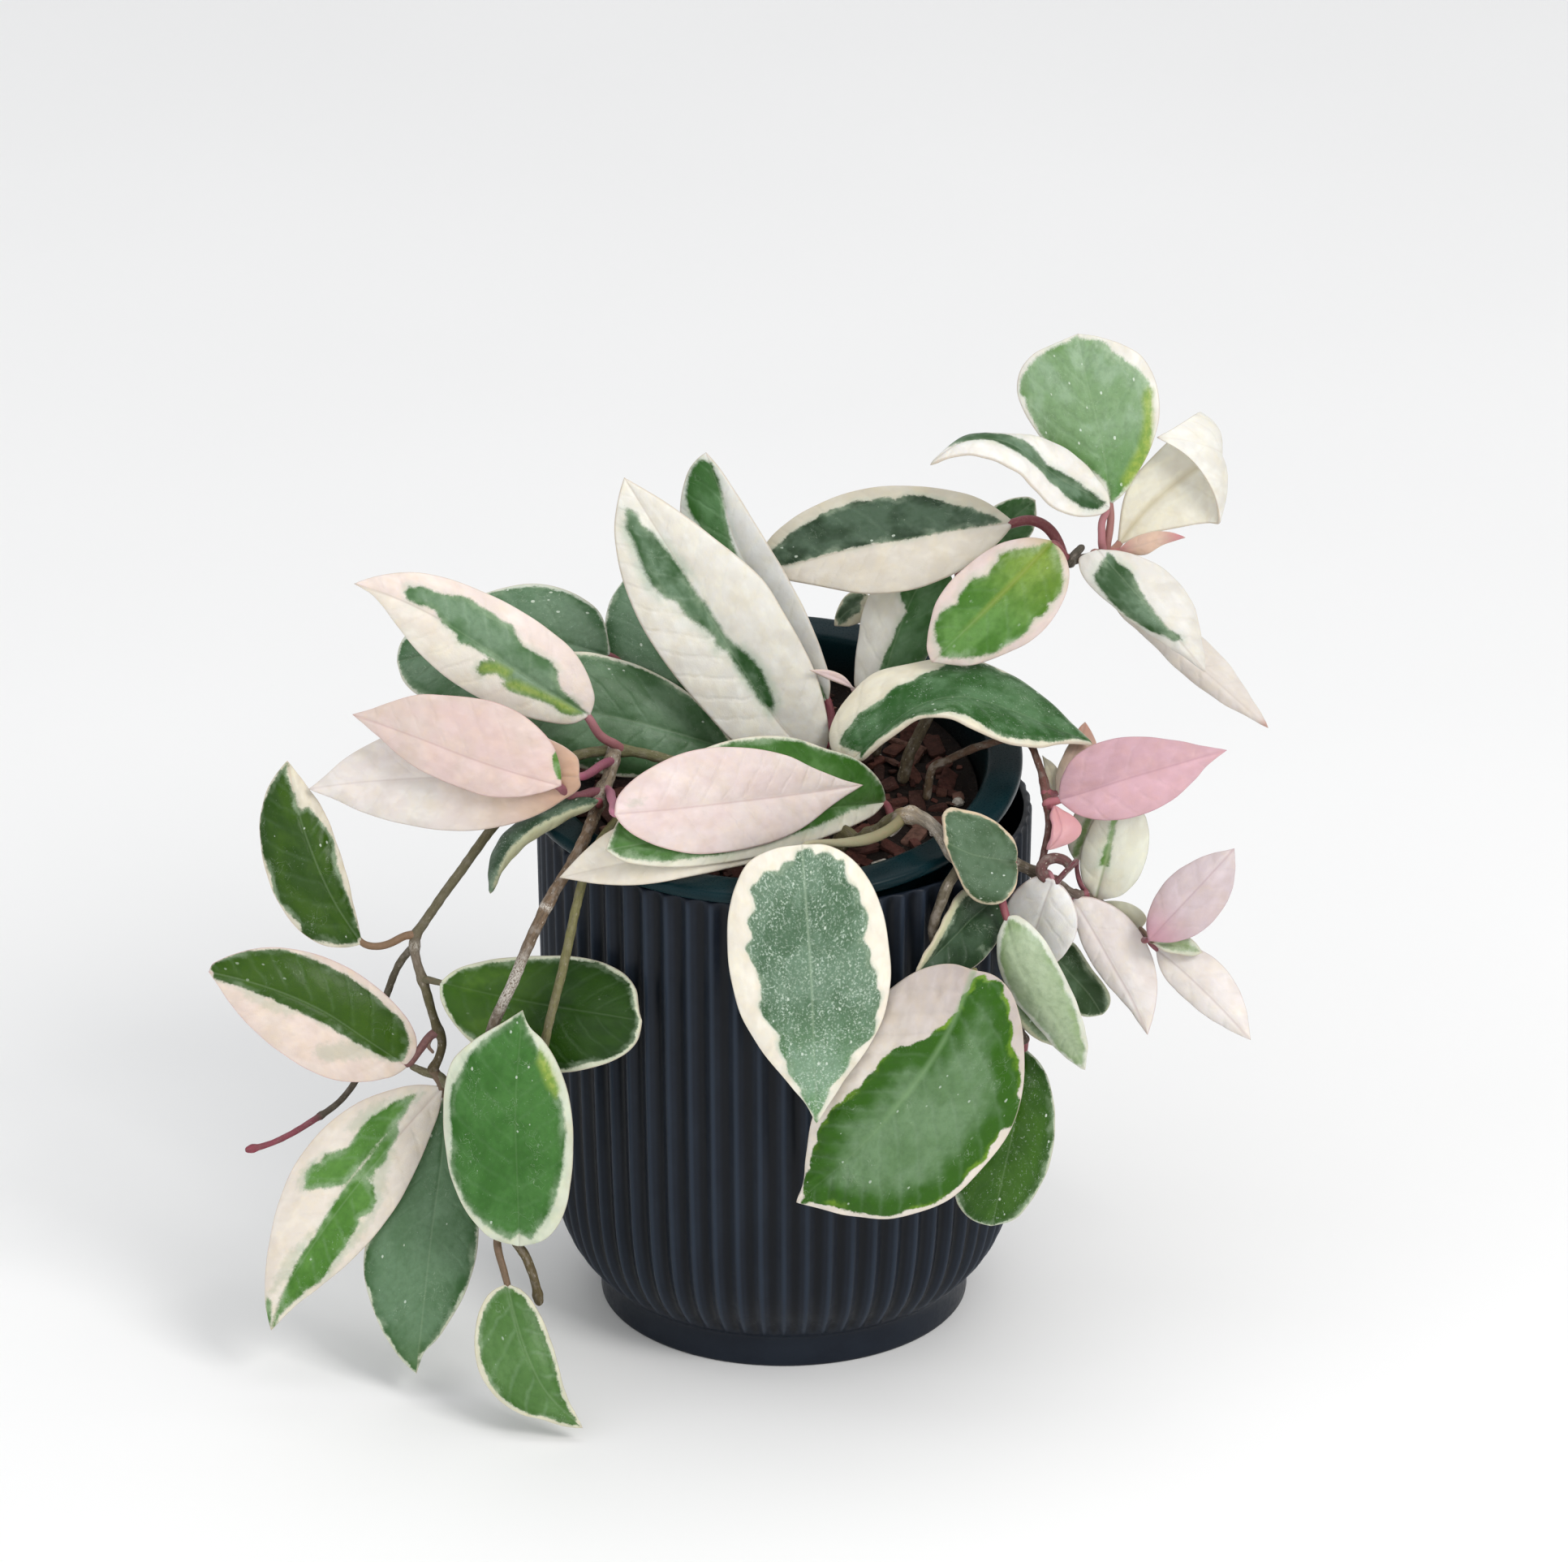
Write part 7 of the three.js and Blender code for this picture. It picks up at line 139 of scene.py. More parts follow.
    'right_dark_low': dict(ts=[0,0.012,0.03,0.06,0.1,0.16,0.24,0.33,0.43,0.53,0.63,0.72,0.8,0.87,0.93,0.97,1.0], root=[71.8,-60.0,112.57],
        pet=[[72.0,-57.26,111.64],[72.14,-55.19,110.93],[72.05,-52.0,105.96]],
        st=[[[72.05,-52.0,105.96],[72.05,-52.0,105.96],[72.05,-52.0,105.96]],[[72.61,-51.99,105.34],[71.97,-52.3,105.39],[71.58,-52.02,105.28]],[[73.48,-52.11,104.52],[71.85,-52.74,104.52],[70.86,-52.19,104.33]],[[74.95,-52.37,103.2],[71.65,-53.46,103.06],[69.64,-52.55,102.8]],[[76.79,-52.82,101.36],[71.41,-54.39,101.11],[68.0,-53.08,100.79]],[[78.79,-53.76,98.09],[71.04,-55.72,98.14],[65.63,-53.93,97.73]],[[80.33,-55.24,93.26],[70.53,-57.37,94.14],[62.82,-55.16,93.43]],[[81.34,-56.95,87.65],[69.87,-59.06,89.55],[60.07,-56.63,88.36]],[[81.53,-58.87,81.33],[68.98,-60.72,84.38],[57.33,-58.31,82.56]],[[80.71,-60.73,75.03],[67.95,-62.15,79.13],[54.81,-59.99,76.66]],[[78.94,-62.49,68.9],[66.84,-63.37,73.77],[52.46,-61.68,70.67]],[[76.37,-63.89,63.7],[65.83,-64.28,68.87],[51.22,-63.28,65.05]],[[73.45,-64.96,59.4],[64.89,-64.95,64.43],[52.02,-64.69,60.0]],[[70.41,-65.73,56.0],[64.05,-65.41,60.5],[54.68,-65.59,56.32]],[[66.97,-65.95,54.11],[63.33,-65.73,57.08],[58.03,-65.91,54.19]],[[64.42,-65.87,53.46],[62.86,-65.9,54.78],[60.58,-65.88,53.45]],[[62.5,-66.0,53.04],[62.5,-66.0,53.04],[62.5,-66.0,53.04]]]),
    'right_folded_grey': dict(ts=[0,0.012,0.03,0.06,0.1,0.16,0.24,0.33,0.43,0.53,0.63,0.72,0.8,0.87,0.93,0.97,1.0], root=[65.12,-45.95,163.52],
        pet=[[67.77,-47.89,164.71],[68.82,-50.36,166.41]],
        st=[[[68.82,-50.36,166.41],[68.82,-50.36,166.41],[68.82,-50.36,166.41]],[[68.89,-50.13,166.84],[68.55,-50.67,166.61],[68.87,-50.54,165.94]],[[69.03,-50.0,167.56],[68.14,-51.14,166.9],[68.97,-51.02,165.32]],[[69.26,-49.87,168.81],[67.45,-51.89,167.37],[69.18,-51.91,164.34]],[[69.29,-49.78,170.54],[66.55,-52.87,167.99],[69.39,-53.18,163.07]],[[68.46,-49.75,173.02],[65.19,-54.27,168.89],[69.12,-55.14,161.2]],[[66.62,-49.9,176.03],[63.38,-56.01,170.03],[67.57,-57.65,159.02]],[[63.99,-50.31,179.0],[61.35,-57.79,171.26],[64.59,-60.08,157.56]],[[60.56,-51.05,181.73],[59.11,-59.59,172.48],[60.38,-61.97,157.77]],[[56.73,-52.19,183.7],[56.87,-61.16,173.62],[56.36,-63.07,159.82]],[[52.79,-53.49,185.37],[54.68,-62.44,174.82],[53.51,-63.48,163.46]],[[49.19,-54.86,186.53],[52.79,-63.31,176.03],[51.78,-63.62,167.31]],[[47.11,-57.13,185.31],[51.19,-63.86,177.19],[50.36,-63.75,170.79]],[[47.05,-59.56,183.34],[49.82,-64.21,178.19],[49.21,-63.88,173.88]],[[47.21,-61.7,181.68],[48.65,-64.42,179.02],[48.32,-64.02,176.58]],[[47.29,-63.2,180.61],[47.87,-64.52,179.55],[47.73,-64.2,178.43]],[[47.27,-64.58,179.92],[47.27,-64.58,179.92],[47.27,-64.58,179.92]]]),
    'right_dark_fold': dict(ts=[0,0.012,0.03,0.06,0.1,0.16,0.24,0.33,0.43,0.53,0.63,0.72,0.8,0.87,0.93,0.97,1.0], root=[68.39,-43.03,162.45],
        pet=[[66.78,-42.94,159.42],[66.51,-42.4,157.48],[63.51,-44.42,151.88]],
        st=[[[63.51,-44.42,151.88],[63.51,-44.42,151.88],[63.51,-44.42,151.88]],[[63.07,-45.11,152.44],[63.19,-44.94,151.86],[63.72,-44.85,151.57]],[[62.43,-45.91,153.19],[62.71,-45.7,151.81],[64.06,-45.58,151.15]],[[61.37,-47.1,154.41],[61.9,-46.96,151.74],[64.66,-46.84,150.5]],[[59.96,-48.57,155.94],[60.81,-48.6,151.64],[65.4,-48.55,149.62]],[[57.69,-50.74,157.81],[59.2,-51.0,151.44],[65.83,-51.21,148.1]],[[54.5,-53.76,159.25],[57.11,-54.12,151.08],[65.1,-54.72,146.06]],[[51.51,-57.56,159.04],[54.85,-57.5,150.49],[63.48,-58.49,143.97]],[[49.48,-61.91,157.36],[52.44,-61.1,149.67],[60.99,-62.45,141.97]],[[47.8,-65.88,155.31],[50.07,-64.5,148.71],[57.9,-66.1,140.4]],[[45.92,-69.34,153.13],[47.7,-67.68,147.68],[54.28,-69.38,139.41]],[[44.12,-72.03,151.05],[45.56,-70.36,146.68],[50.63,-71.93,139.23]],[[42.54,-74.11,149.05],[43.65,-72.6,145.72],[47.25,-73.91,139.52]],[[41.19,-75.69,147.16],[41.99,-74.44,144.83],[44.25,-75.39,140.24]],[[40.12,-76.83,145.41],[40.57,-75.95,144.03],[41.77,-76.37,141.44]],[[39.43,-77.44,144.14],[39.63,-76.9,143.48],[40.15,-77.0,142.36]],[[38.92,-77.6,143.06],[38.92,-77.6,143.06],[38.92,-77.6,143.06]]]),
    'right_pale_fold': dict(ts=[0,0.012,0.03,0.06,0.1,0.16,0.24,0.33,0.43,0.53,0.63,0.72,0.8,0.87,0.93,0.97,1.0], root=[61.81,-49.61,164.62],
        pet=[[63.02,-51.43,161.6],[63.49,-52.19,160.38],[66.12,-59.12,152.39]],
        st=[[[66.12,-59.12,152.39],[66.12,-59.12,152.39],[66.12,-59.12,152.39]],[[66.75,-59.04,152.6],[66.25,-59.66,151.98],[65.8,-59.2,151.77]],[[67.68,-59.05,153.02],[66.44,-60.45,151.35],[65.3,-59.57,150.98]],[[69.32,-59.34,153.2],[66.73,-61.7,150.26],[64.47,-60.27,149.68]],[[71.29,-60.13,152.44],[67.1,-63.26,148.76],[63.65,-61.26,147.84]],[[73.89,-61.4,150.71],[67.72,-65.34,146.4],[63.13,-62.75,144.86]],[[76.92,-62.94,147.8],[68.91,-67.61,143.11],[63.33,-64.48,140.72]],[[79.62,-64.41,143.78],[70.94,-69.4,139.35],[64.75,-65.96,136.05]],[[82.32,-65.51,138.85],[73.68,-70.5,135.01],[67.3,-66.95,130.96]],[[84.84,-66.0,133.51],[76.62,-70.71,130.38],[70.63,-67.22,126.02]],[[87.11,-65.89,127.74],[79.87,-70.0,125.52],[74.37,-66.84,121.11]],[[88.92,-65.28,122.17],[82.72,-68.69,120.72],[77.85,-66.01,116.54]],[[90.15,-64.35,116.89],[84.96,-67.04,115.98],[80.9,-64.95,112.24]],[[90.65,-63.25,112.0],[86.77,-65.2,111.52],[83.78,-63.68,108.53]],[[90.47,-62.09,107.69],[88.29,-63.31,107.52],[86.62,-62.26,105.66]],[[90.25,-61.24,104.79],[89.31,-61.88,104.76],[88.62,-61.23,103.89]],[[90.1,-60.72,102.66],[90.1,-60.72,102.66],[90.1,-60.72,102.66]]]),
    'right_pale_back': dict(ts=[0,0.012,0.03,0.06,0.1,0.16,0.24,0.33,0.43,0.53,0.63,0.72,0.8,0.87,0.93,0.97,1.0], root=[63.41,-64.84,128.5],
        pet=[[65.28,-63.34,130.3],[66.24,-62.55,131.29]],
        st=[[[66.24,-62.55,131.29],[66.24,-62.55,131.29],[66.24,-62.55,131.29]],[[66.53,-62.66,131.24],[66.41,-62.72,131.11],[66.31,-62.75,131.04]],[[66.96,-62.81,131.19],[66.66,-62.97,130.84],[66.41,-63.04,130.67]],[[67.7,-63.01,131.1],[67.08,-63.35,130.36],[66.56,-63.5,130.04]],[[68.66,-63.24,130.91],[67.64,-63.79,129.7],[66.75,-64.03,129.16]],[[70.01,-63.54,130.31],[68.47,-64.31,128.62],[67.08,-64.69,127.77]],[[71.57,-63.83,129.03],[69.6,-64.72,127.07],[67.71,-65.28,125.84]],[[73.17,-63.86,127.25],[70.93,-64.8,125.18],[68.67,-65.54,123.57]],[[74.86,-63.48,124.96],[72.55,-64.39,122.96],[69.94,-65.33,120.91]],[[76.54,-62.63,122.41],[74.31,-63.45,120.6],[71.52,-64.56,118.18]],[[78.22,-61.3,119.61],[76.13,-62.01,118.04],[73.51,-63.16,115.54]],[[79.69,-59.71,116.86],[77.74,-60.32,115.51],[75.54,-61.37,113.21]],[[80.92,-58.0,114.18],[79.16,-58.51,113.06],[77.47,-59.38,111.16]],[[81.81,-56.3,111.61],[80.41,-56.67,110.79],[79.26,-57.28,109.44]],[[82.29,-54.7,109.21],[81.48,-54.9,108.76],[80.86,-55.24,108.03]],[[82.53,-53.54,107.54],[82.2,-53.63,107.35],[81.94,-53.77,107.05]],[[82.74,-52.63,106.27],[82.74,-52.63,106.27],[82.74,-52.63,106.27]]]),
    'right_white_small': dict(ts=[0,0.012,0.03,0.06,0.1,0.16,0.24,0.33,0.43,0.53,0.63,0.72,0.8,0.87,0.93,0.97,1.0], root=[75.53,-40.33,158.03],
        pet=[[77.32,-42.98,159.41],[78.73,-46.37,161.52],[80.2,-51.31,161.26]],
        st=[[[80.2,-51.31,161.26],[80.2,-51.31,161.26],[80.2,-51.31,161.26]],[[79.74,-50.85,161.17],[80.1,-51.21,160.88],[80.57,-51.03,160.79]],[[79.05,-50.25,161.12],[79.94,-51.05,160.29],[81.14,-50.69,160.16]],[[77.9,-49.28,161.09],[79.67,-50.76,159.32],[82.09,-50.17,159.13]],[[76.33,-48.09,160.89],[79.31,-50.37,158.01],[83.32,-49.53,157.72]],[[74.0,-46.76,159.64],[78.78,-49.73,156.02],[84.82,-48.73,155.33]],[[71.29,-45.41,157.08],[78.08,-48.8,153.33],[86.35,-47.79,151.85]],[[68.71,-44.12,153.63],[77.32,-47.65,150.24],[87.46,-46.83,147.7]],[[66.62,-42.94,149.22],[76.48,-46.23,146.73],[87.79,-45.81,142.91]],[[65.27,-41.88,144.46],[75.69,-44.67,143.14],[86.87,-44.71,138.24]],[[64.57,-40.88,139.52],[74.97,-42.98,139.45],[84.9,-43.42,133.94]],[[64.77,-39.99,135.0],[74.38,-41.34,136.05],[82.79,-42.14,130.27]],[[65.91,-39.11,131.14],[73.9,-39.79,132.97],[80.35,-40.75,127.55]],[[67.59,-38.19,128.08],[73.48,-38.36,130.23],[77.7,-39.01,126.29]],[[69.81,-37.03,126.3],[73.13,-37.08,127.86],[75.4,-37.31,125.69]],[[71.47,-36.09,125.58],[72.89,-36.2,126.26],[73.87,-36.2,125.33]],[[72.71,-35.52,125.05],[72.71,-35.52,125.05],[72.71,-35.52,125.05]]]),
    'right_white_long': dict(ts=[0,0.012,0.03,0.06,0.1,0.16,0.24,0.33,0.43,0.53,0.63,0.72,0.8,0.87,0.93,0.97,1.0], root=[87.58,-31.74,147.26],
        pet=[[86.3,-31.62,146.69],[86.46,-31.5,146.35]],
        st=[[[86.46,-31.5,146.35],[86.46,-31.5,146.35],[86.46,-31.5,146.35]],[[87.16,-30.85,146.0],[86.77,-31.22,145.67],[86.5,-31.07,145.5]],[[88.21,-29.99,145.58],[87.22,-30.82,144.67],[86.54,-30.57,144.3]],[[89.95,-28.65,144.93],[87.98,-30.2,143.03],[86.59,-29.83,142.34]],[[92.27,-27.1,143.97],[88.99,-29.48,140.88],[86.78,-29.0,139.8]],[[95.6,-25.33,142.05],[90.5,-28.61,137.75],[87.42,-28.01,136.17]],[[99.77,-23.71,139.11],[92.48,-27.84,133.74],[88.62,-27.12,131.62]],[[103.87,-22.9,135.25],[94.64,-27.53,129.45],[90.3,-26.71,126.9]],[[107.46,-23.18,130.47],[96.99,-27.84,124.98],[92.54,-26.96,122.18]],[[110.2,-24.51,125.57],[99.35,-28.85,120.86],[95.26,-27.9,118.13]],[[111.99,-26.82,120.7],[101.78,-30.52,117.12],[98.46,-29.51,114.8]],[[112.61,-29.69,116.45],[103.92,-32.63,114.02],[101.32,-31.64,112.16]],[[112.32,-32.81,112.91],[105.66,-35.0,111.42],[103.83,-34.1,110.07]],[[111.61,-35.95,110.08],[107.01,-37.47,109.26],[105.91,-36.72,108.38]],[[110.7,-38.96,107.86],[108.09,-39.87,107.51],[107.54,-39.35,107.0]],[[109.96,-41.14,106.52],[108.81,-41.61,106.41],[108.57,-41.31,106.16]],[[109.35,-42.98,105.63],[109.35,-42.98,105.63],[109.35,-42.98,105.63]]]),
    'right_end_pink': dict(ts=[0,0.012,0.03,0.06,0.1,0.16,0.24,0.33,0.43,0.53,0.63,0.72,0.8,0.87,0.93,0.97,1.0], root=[110.22,-21.73,127.14],
        pet=[[107.86,-30.4,131.37],[107.8,-31.34,131.32],[109.45,-34.83,133.1]],
        st=[[[109.45,-34.83,133.1],[109.45,-34.83,133.1],[109.45,-34.83,133.1]],[[109.37,-34.48,133.5],[109.76,-34.73,133.42],[109.99,-34.71,132.99]],[[109.21,-34.06,134.13],[110.22,-34.58,133.91],[110.8,-34.64,132.86]],[[108.93,-33.41,135.21],[110.99,-34.32,134.71],[112.15,-34.58,132.64]],[[108.72,-32.56,136.69],[112.01,-33.95,135.77],[113.95,-34.53,132.38]],[[109.0,-31.31,138.92],[113.55,-33.35,137.33],[116.66,-34.34,132.27]],[[109.95,-29.68,141.8],[115.62,-32.47,139.38],[120.18,-33.75,132.87]],[[111.53,-27.92,144.87],[117.95,-31.38,141.62],[123.93,-32.8,134.17]],[[113.95,-26.1,147.93],[120.56,-30.03,144.04],[127.62,-31.37,136.37]],[[116.96,-24.45,150.55],[123.17,-28.54,146.4],[130.71,-29.63,139.2]],[[120.46,-23.02,152.65],[125.78,-26.89,148.69],[133.15,-27.66,142.46]],[[123.9,-21.9,154.1],[128.13,-25.28,150.71],[134.72,-25.73,145.7]],[[127.1,-21.03,155.11],[130.22,-23.75,152.45],[135.56,-23.93,148.74]],[[130.01,-20.39,155.69],[132.06,-22.34,153.94],[135.71,-22.32,151.47]],[[132.54,-19.91,156.08],[133.63,-21.07,155.2],[135.59,-20.94,153.81]],[[134.22,-19.63,156.35],[134.68,-20.19,156.02],[135.51,-20.06,155.39]],[[135.48,-19.52,156.63],[135.48,-19.52,156.63],[135.48,-19.52,156.63]]]),
    'right_end_white': dict(ts=[0,0.012,0.03,0.06,0.1,0.16,0.24,0.33,0.43,0.53,0.63,0.72,0.8,0.87,0.93,0.97,1.0], root=[110.22,-21.73,127.14],
        pet=[[110.28,-24.52,127.65],[112.15,-23.58,125.04]],
        st=[[[112.15,-23.58,125.04],[112.15,-23.58,125.04],[112.15,-23.58,125.04]],[[112.68,-23.46,125.2],[112.52,-23.85,124.84],[112.25,-23.75,124.58]],[[113.46,-23.38,125.53],[113.07,-24.25,124.54],[112.37,-24.11,123.93]],[[114.74,-23.28,126.13],[113.99,-24.91,124.04],[112.53,-24.76,122.88]],[[116.5,-23.23,126.82],[115.21,-25.77,123.36],[112.78,-25.66,121.49]],[[119.29,-23.52,127.09],[117.04,-27.02,122.3],[113.53,-26.99,119.5]],[[122.92,-24.34,126.53],[119.41,-28.65,120.78],[115.29,-28.61,117.17]],[[126.78,-25.55,125.24],[122.0,-30.4,118.94],[117.73,-30.28,114.86]],[[130.59,-27.22,123.04],[124.84,-32.23,116.78],[120.67,-32.03,112.47]],[[133.82,-29.15,120.21],[127.65,-33.92,114.53],[123.79,-33.69,110.24]],[[136.44,-31.26,116.92],[130.45,-35.49,112.18],[127.09,-35.22,108.22]],[[138.12,-33.3,113.6],[132.94,-36.78,109.98],[130.18,-36.51,106.56]],[[139.23,-35.16,110.52],[135.12,-37.85,107.95],[133.06,-37.56,105.26]],[[139.9,-36.82,107.75],[137.02,-38.71,106.12],[135.66,-38.4,104.27]],[[140.2,-38.27,105.34],[138.63,-39.4,104.52],[137.92,-39.12,103.48]],[[140.37,-39.27,103.75],[139.71,-39.83,103.43],[139.42,-39.63,102.96]],[[140.53,-40.14,102.62],[140.53,-40.14,102.62],[140.53,-40.14,102.62]]]),
    'right_end_pale': dict(ts=[0,0.012,0.03,0.06,0.1,0.16,0.24,0.33,0.43,0.53,0.63,0.72,0.8,0.87,0.93,0.97,1.0], root=[110.22,-21.73,127.14],
        pet=[[110.16,-23.94,128.73],[110.21,-22.9,128.41],[107.86,-18.0,129.17]],
        st=[[[107.86,-18.0,129.17],[107.86,-18.0,129.17],[107.86,-18.0,129.17]],[[108.0,-17.83,129.33],[107.71,-17.96,129.29],[107.67,-17.96,129.06]],[[108.23,-17.63,129.58],[107.49,-17.9,129.47],[107.38,-17.95,128.89]],[[108.62,-17.34,129.99],[107.13,-17.78,129.76],[106.91,-17.96,128.62]],[[109.14,-16.95,130.56],[106.64,-17.62,130.14],[106.26,-17.98,128.29]],[[109.6,-16.32,131.55],[105.9,-17.36,130.7],[105.21,-17.91,128.04]],[[109.03,-15.47,132.88],[104.91,-16.98,131.42],[103.79,-17.63,128.14]],[[107.78,-14.65,134.08],[103.8,-16.49,132.2],[102.26,-17.19,128.49]],[[106.03,-13.9,135.01],[102.56,-15.88,133.03],[100.61,-16.63,129.02]],[[104.05,-13.33,135.54],[101.23,-15.26,133.71],[99.02,-16.02,129.63]],[[102.0,-12.86,135.82],[99.8,-14.64,134.18],[97.5,-15.34,130.37]],[[100.11,-12.51,135.87],[98.45,-14.07,134.47],[96.3,-14.63,131.22]],[[98.42,-12.3,135.69],[97.25,-13.53,134.65],[95.5,-13.9,132.19]],[[96.96,-12.16,135.44],[96.19,-13.03,134.79],[95.02,-13.2,133.15]],[[95.7,-12.05,135.21],[95.28,-12.57,134.89],[94.68,-12.6,134.0]],[[94.86,-11.99,135.07],[94.68,-12.25,134.96],[94.43,-12.22,134.57]],[[94.23,-12.0,135.02],[94.23,-12.0,135.02],[94.23,-12.0,135.02]]]),
    'right_end_small': dict(ts=[0,0.012,0.03,0.06,0.1,0.16,0.24,0.33,0.43,0.53,0.63,0.72,0.8,0.87,0.93,0.97,1.0], root=[110.22,-21.73,127.14],
        pet=[[110.01,-27.0,129.65],[110.78,-32.31,131.09]],
        st=[[[110.78,-32.31,131.09],[110.78,-32.31,131.09],[110.78,-32.31,131.09]],[[110.97,-32.21,131.17],[110.97,-32.26,131.06],[110.95,-32.3,130.97]],[[111.25,-32.05,131.29],[111.25,-32.18,131.01],[111.19,-32.29,130.77]],[[111.72,-31.78,131.5],[111.72,-32.04,130.92],[111.59,-32.26,130.44]],[[112.33,-31.42,131.79],[112.35,-31.86,130.81],[112.12,-32.24,129.99]],[[113.27,-30.89,132.19],[113.29,-31.59,130.65],[112.91,-32.19,129.32]],[[114.6,-30.24,132.59],[114.54,-31.23,130.41],[114.04,-32.09,128.52]],[[116.18,-29.58,132.89],[115.94,-30.85,130.1],[115.43,-31.88,127.84]],[[117.98,-28.94,133.03],[117.5,-30.44,129.72],[117.04,-31.54,127.32]],[[119.82,-28.51,132.69],[119.05,-30.06,129.29],[118.68,-31.16,126.88]],[[121.47,-28.38,131.72],[120.59,-29.71,128.79],[120.31,-30.8,126.4]],[[122.79,-28.37,130.59],[121.96,-29.43,128.26],[121.77,-30.49,125.94]],[[123.89,-28.4,129.51],[123.16,-29.21,127.74],[123.08,-30.13,125.72]],[[124.73,-28.48,128.45],[124.2,-29.02,127.26],[124.2,-29.67,125.83]],[[125.37,-28.57,127.5],[125.09,-28.86,126.85],[125.09,-29.21,126.09]],[[125.8,-28.63,126.86],[125.68,-28.75,126.58],[125.68,-28.9,126.27]],[[126.13,-28.67,126.38],[126.13,-28.67,126.38],[126.13,-28.67,126.38]]]),
    'right_pale_round': dict(ts=[0,0.012,0.03,0.06,0.1,0.16,0.24,0.33,0.43,0.53,0.63,0.72,0.8,0.87,0.93,0.97,1.0], root=[92.67,-19.65,140.67],
        pet=[[95.88,-23.62,138.53],[93.95,-19.73,139.74]],
        st=[[[93.95,-19.73,139.74],[93.95,-19.73,139.74],[93.95,-19.73,139.74]],[[93.68,-19.68,140.08],[94.03,-19.86,140.18],[94.47,-19.8,139.83]],[[93.25,-19.72,140.63],[94.14,-20.05,140.84],[95.26,-20.01,140.0]],[[92.53,-19.84,141.56],[94.33,-20.35,141.94],[96.56,-20.42,140.27]],[[91.58,-20.01,142.83],[94.59,-20.73,143.38],[98.3,-21.0,140.67]],[[90.41,-20.21,144.9],[94.98,-21.24,145.53],[100.86,-21.71,141.59]],[[89.44,-20.33,147.91],[95.5,-21.82,148.34],[103.74,-22.15,143.92]],[[88.91,-20.37,151.39],[96.12,-22.33,151.43],[106.27,-22.24,147.29]],[[89.15,-20.35,155.26],[96.81,-22.73,154.77],[108.25,-22.06,151.51]],[[90.06,-20.31,158.99],[97.48,-22.94,158.03],[109.44,-21.68,155.99]],[[91.3,-20.26,162.6],[98.1,-22.96,161.22],[109.79,-21.18,160.58]],[[92.61,-20.2,165.74],[98.63,-22.82,164.01],[109.38,-20.68,164.69]],[[94.15,-20.2,168.31],[99.1,-22.57,166.44],[108.29,-20.26,168.17]],[[96.05,-20.39,170.07],[99.51,-22.25,168.52],[105.9,-20.31,170.25]],[[98.0,-20.77,171.09],[99.87,-21.9,170.27],[103.32,-20.73,171.18]],[[99.32,-21.09,171.7],[100.11,-21.64,171.42],[101.58,-21.07,171.73]],[[100.29,-21.42,172.27],[100.29,-21.42,172.27],[100.29,-21.42,172.27]]]),
    'right_cream_fold': dict(ts=[0,0.012,0.03,0.06,0.1,0.16,0.24,0.33,0.43,0.53,0.63,0.72,0.8,0.87,0.93,0.97,1.0], root=[89.29,-26.52,144.72],
        pet=[[91.52,-27.12,145.34],[89.43,-22.21,145.23],[88.06,-15.46,150.43]],
        st=[[[88.06,-15.46,150.43],[88.06,-15.46,150.43],[88.06,-15.46,150.43]],[[87.89,-15.42,150.69],[88.16,-15.52,150.7],[88.33,-15.46,150.6]],[[87.63,-15.41,151.09],[88.31,-15.62,151.1],[88.75,-15.51,150.87]],[[87.17,-15.43,151.75],[88.56,-15.77,151.76],[89.45,-15.63,151.31]],[[86.56,-15.47,152.64],[88.9,-15.95,152.63],[90.39,-15.8,151.91]],[[85.79,-15.49,154.06],[89.4,-16.2,153.93],[91.74,-16.02,152.88]],[[85.38,-15.4,156.15],[90.05,-16.47,155.65],[93.32,-16.18,154.45]],[[85.49,-15.26,158.53],[90.71,-16.69,157.57],[94.87,-16.22,156.43]],[[85.95,-15.08,161.13],[91.37,-16.82,159.68],[96.38,-16.16,158.76]],[[86.54,-14.88,163.67],[92.0,-16.84,161.77],[97.68,-16.01,161.19]],[[87.34,-14.67,166.14],[92.62,-16.77,163.8],[98.8,-15.78,163.7]],[[88.48,-14.52,168.16],[93.17,-16.61,165.6],[99.58,-15.5,166.02]],[[90.08,-14.62,169.41],[93.66,-16.4,167.16],[99.53,-15.19,168.15]],[[91.75,-14.9,170.01],[94.08,-16.16,168.51],[98.1,-15.18,169.39]],[[93.2,-15.2,170.39],[94.45,-15.92,169.64],[96.61,-15.34,170.08]],[[94.17,-15.4,170.67],[94.69,-15.74,170.39],[95.61,-15.47,170.53]],[[94.88,-15.59,170.94],[94.88,-15.59,170.94],[94.88,-15.59,170.94]]]),
    'right_rose': dict(ts=[0,0.012,0.03,0.06,0.1,0.16,0.24,0.33,0.43,0.53,0.63,0.72,0.8,0.87,0.93,0.97,1.0], root=[78.85,-24.64,173.73],
        pet=[[81.18,-25.51,175.08],[82.13,-26.0,175.44]],
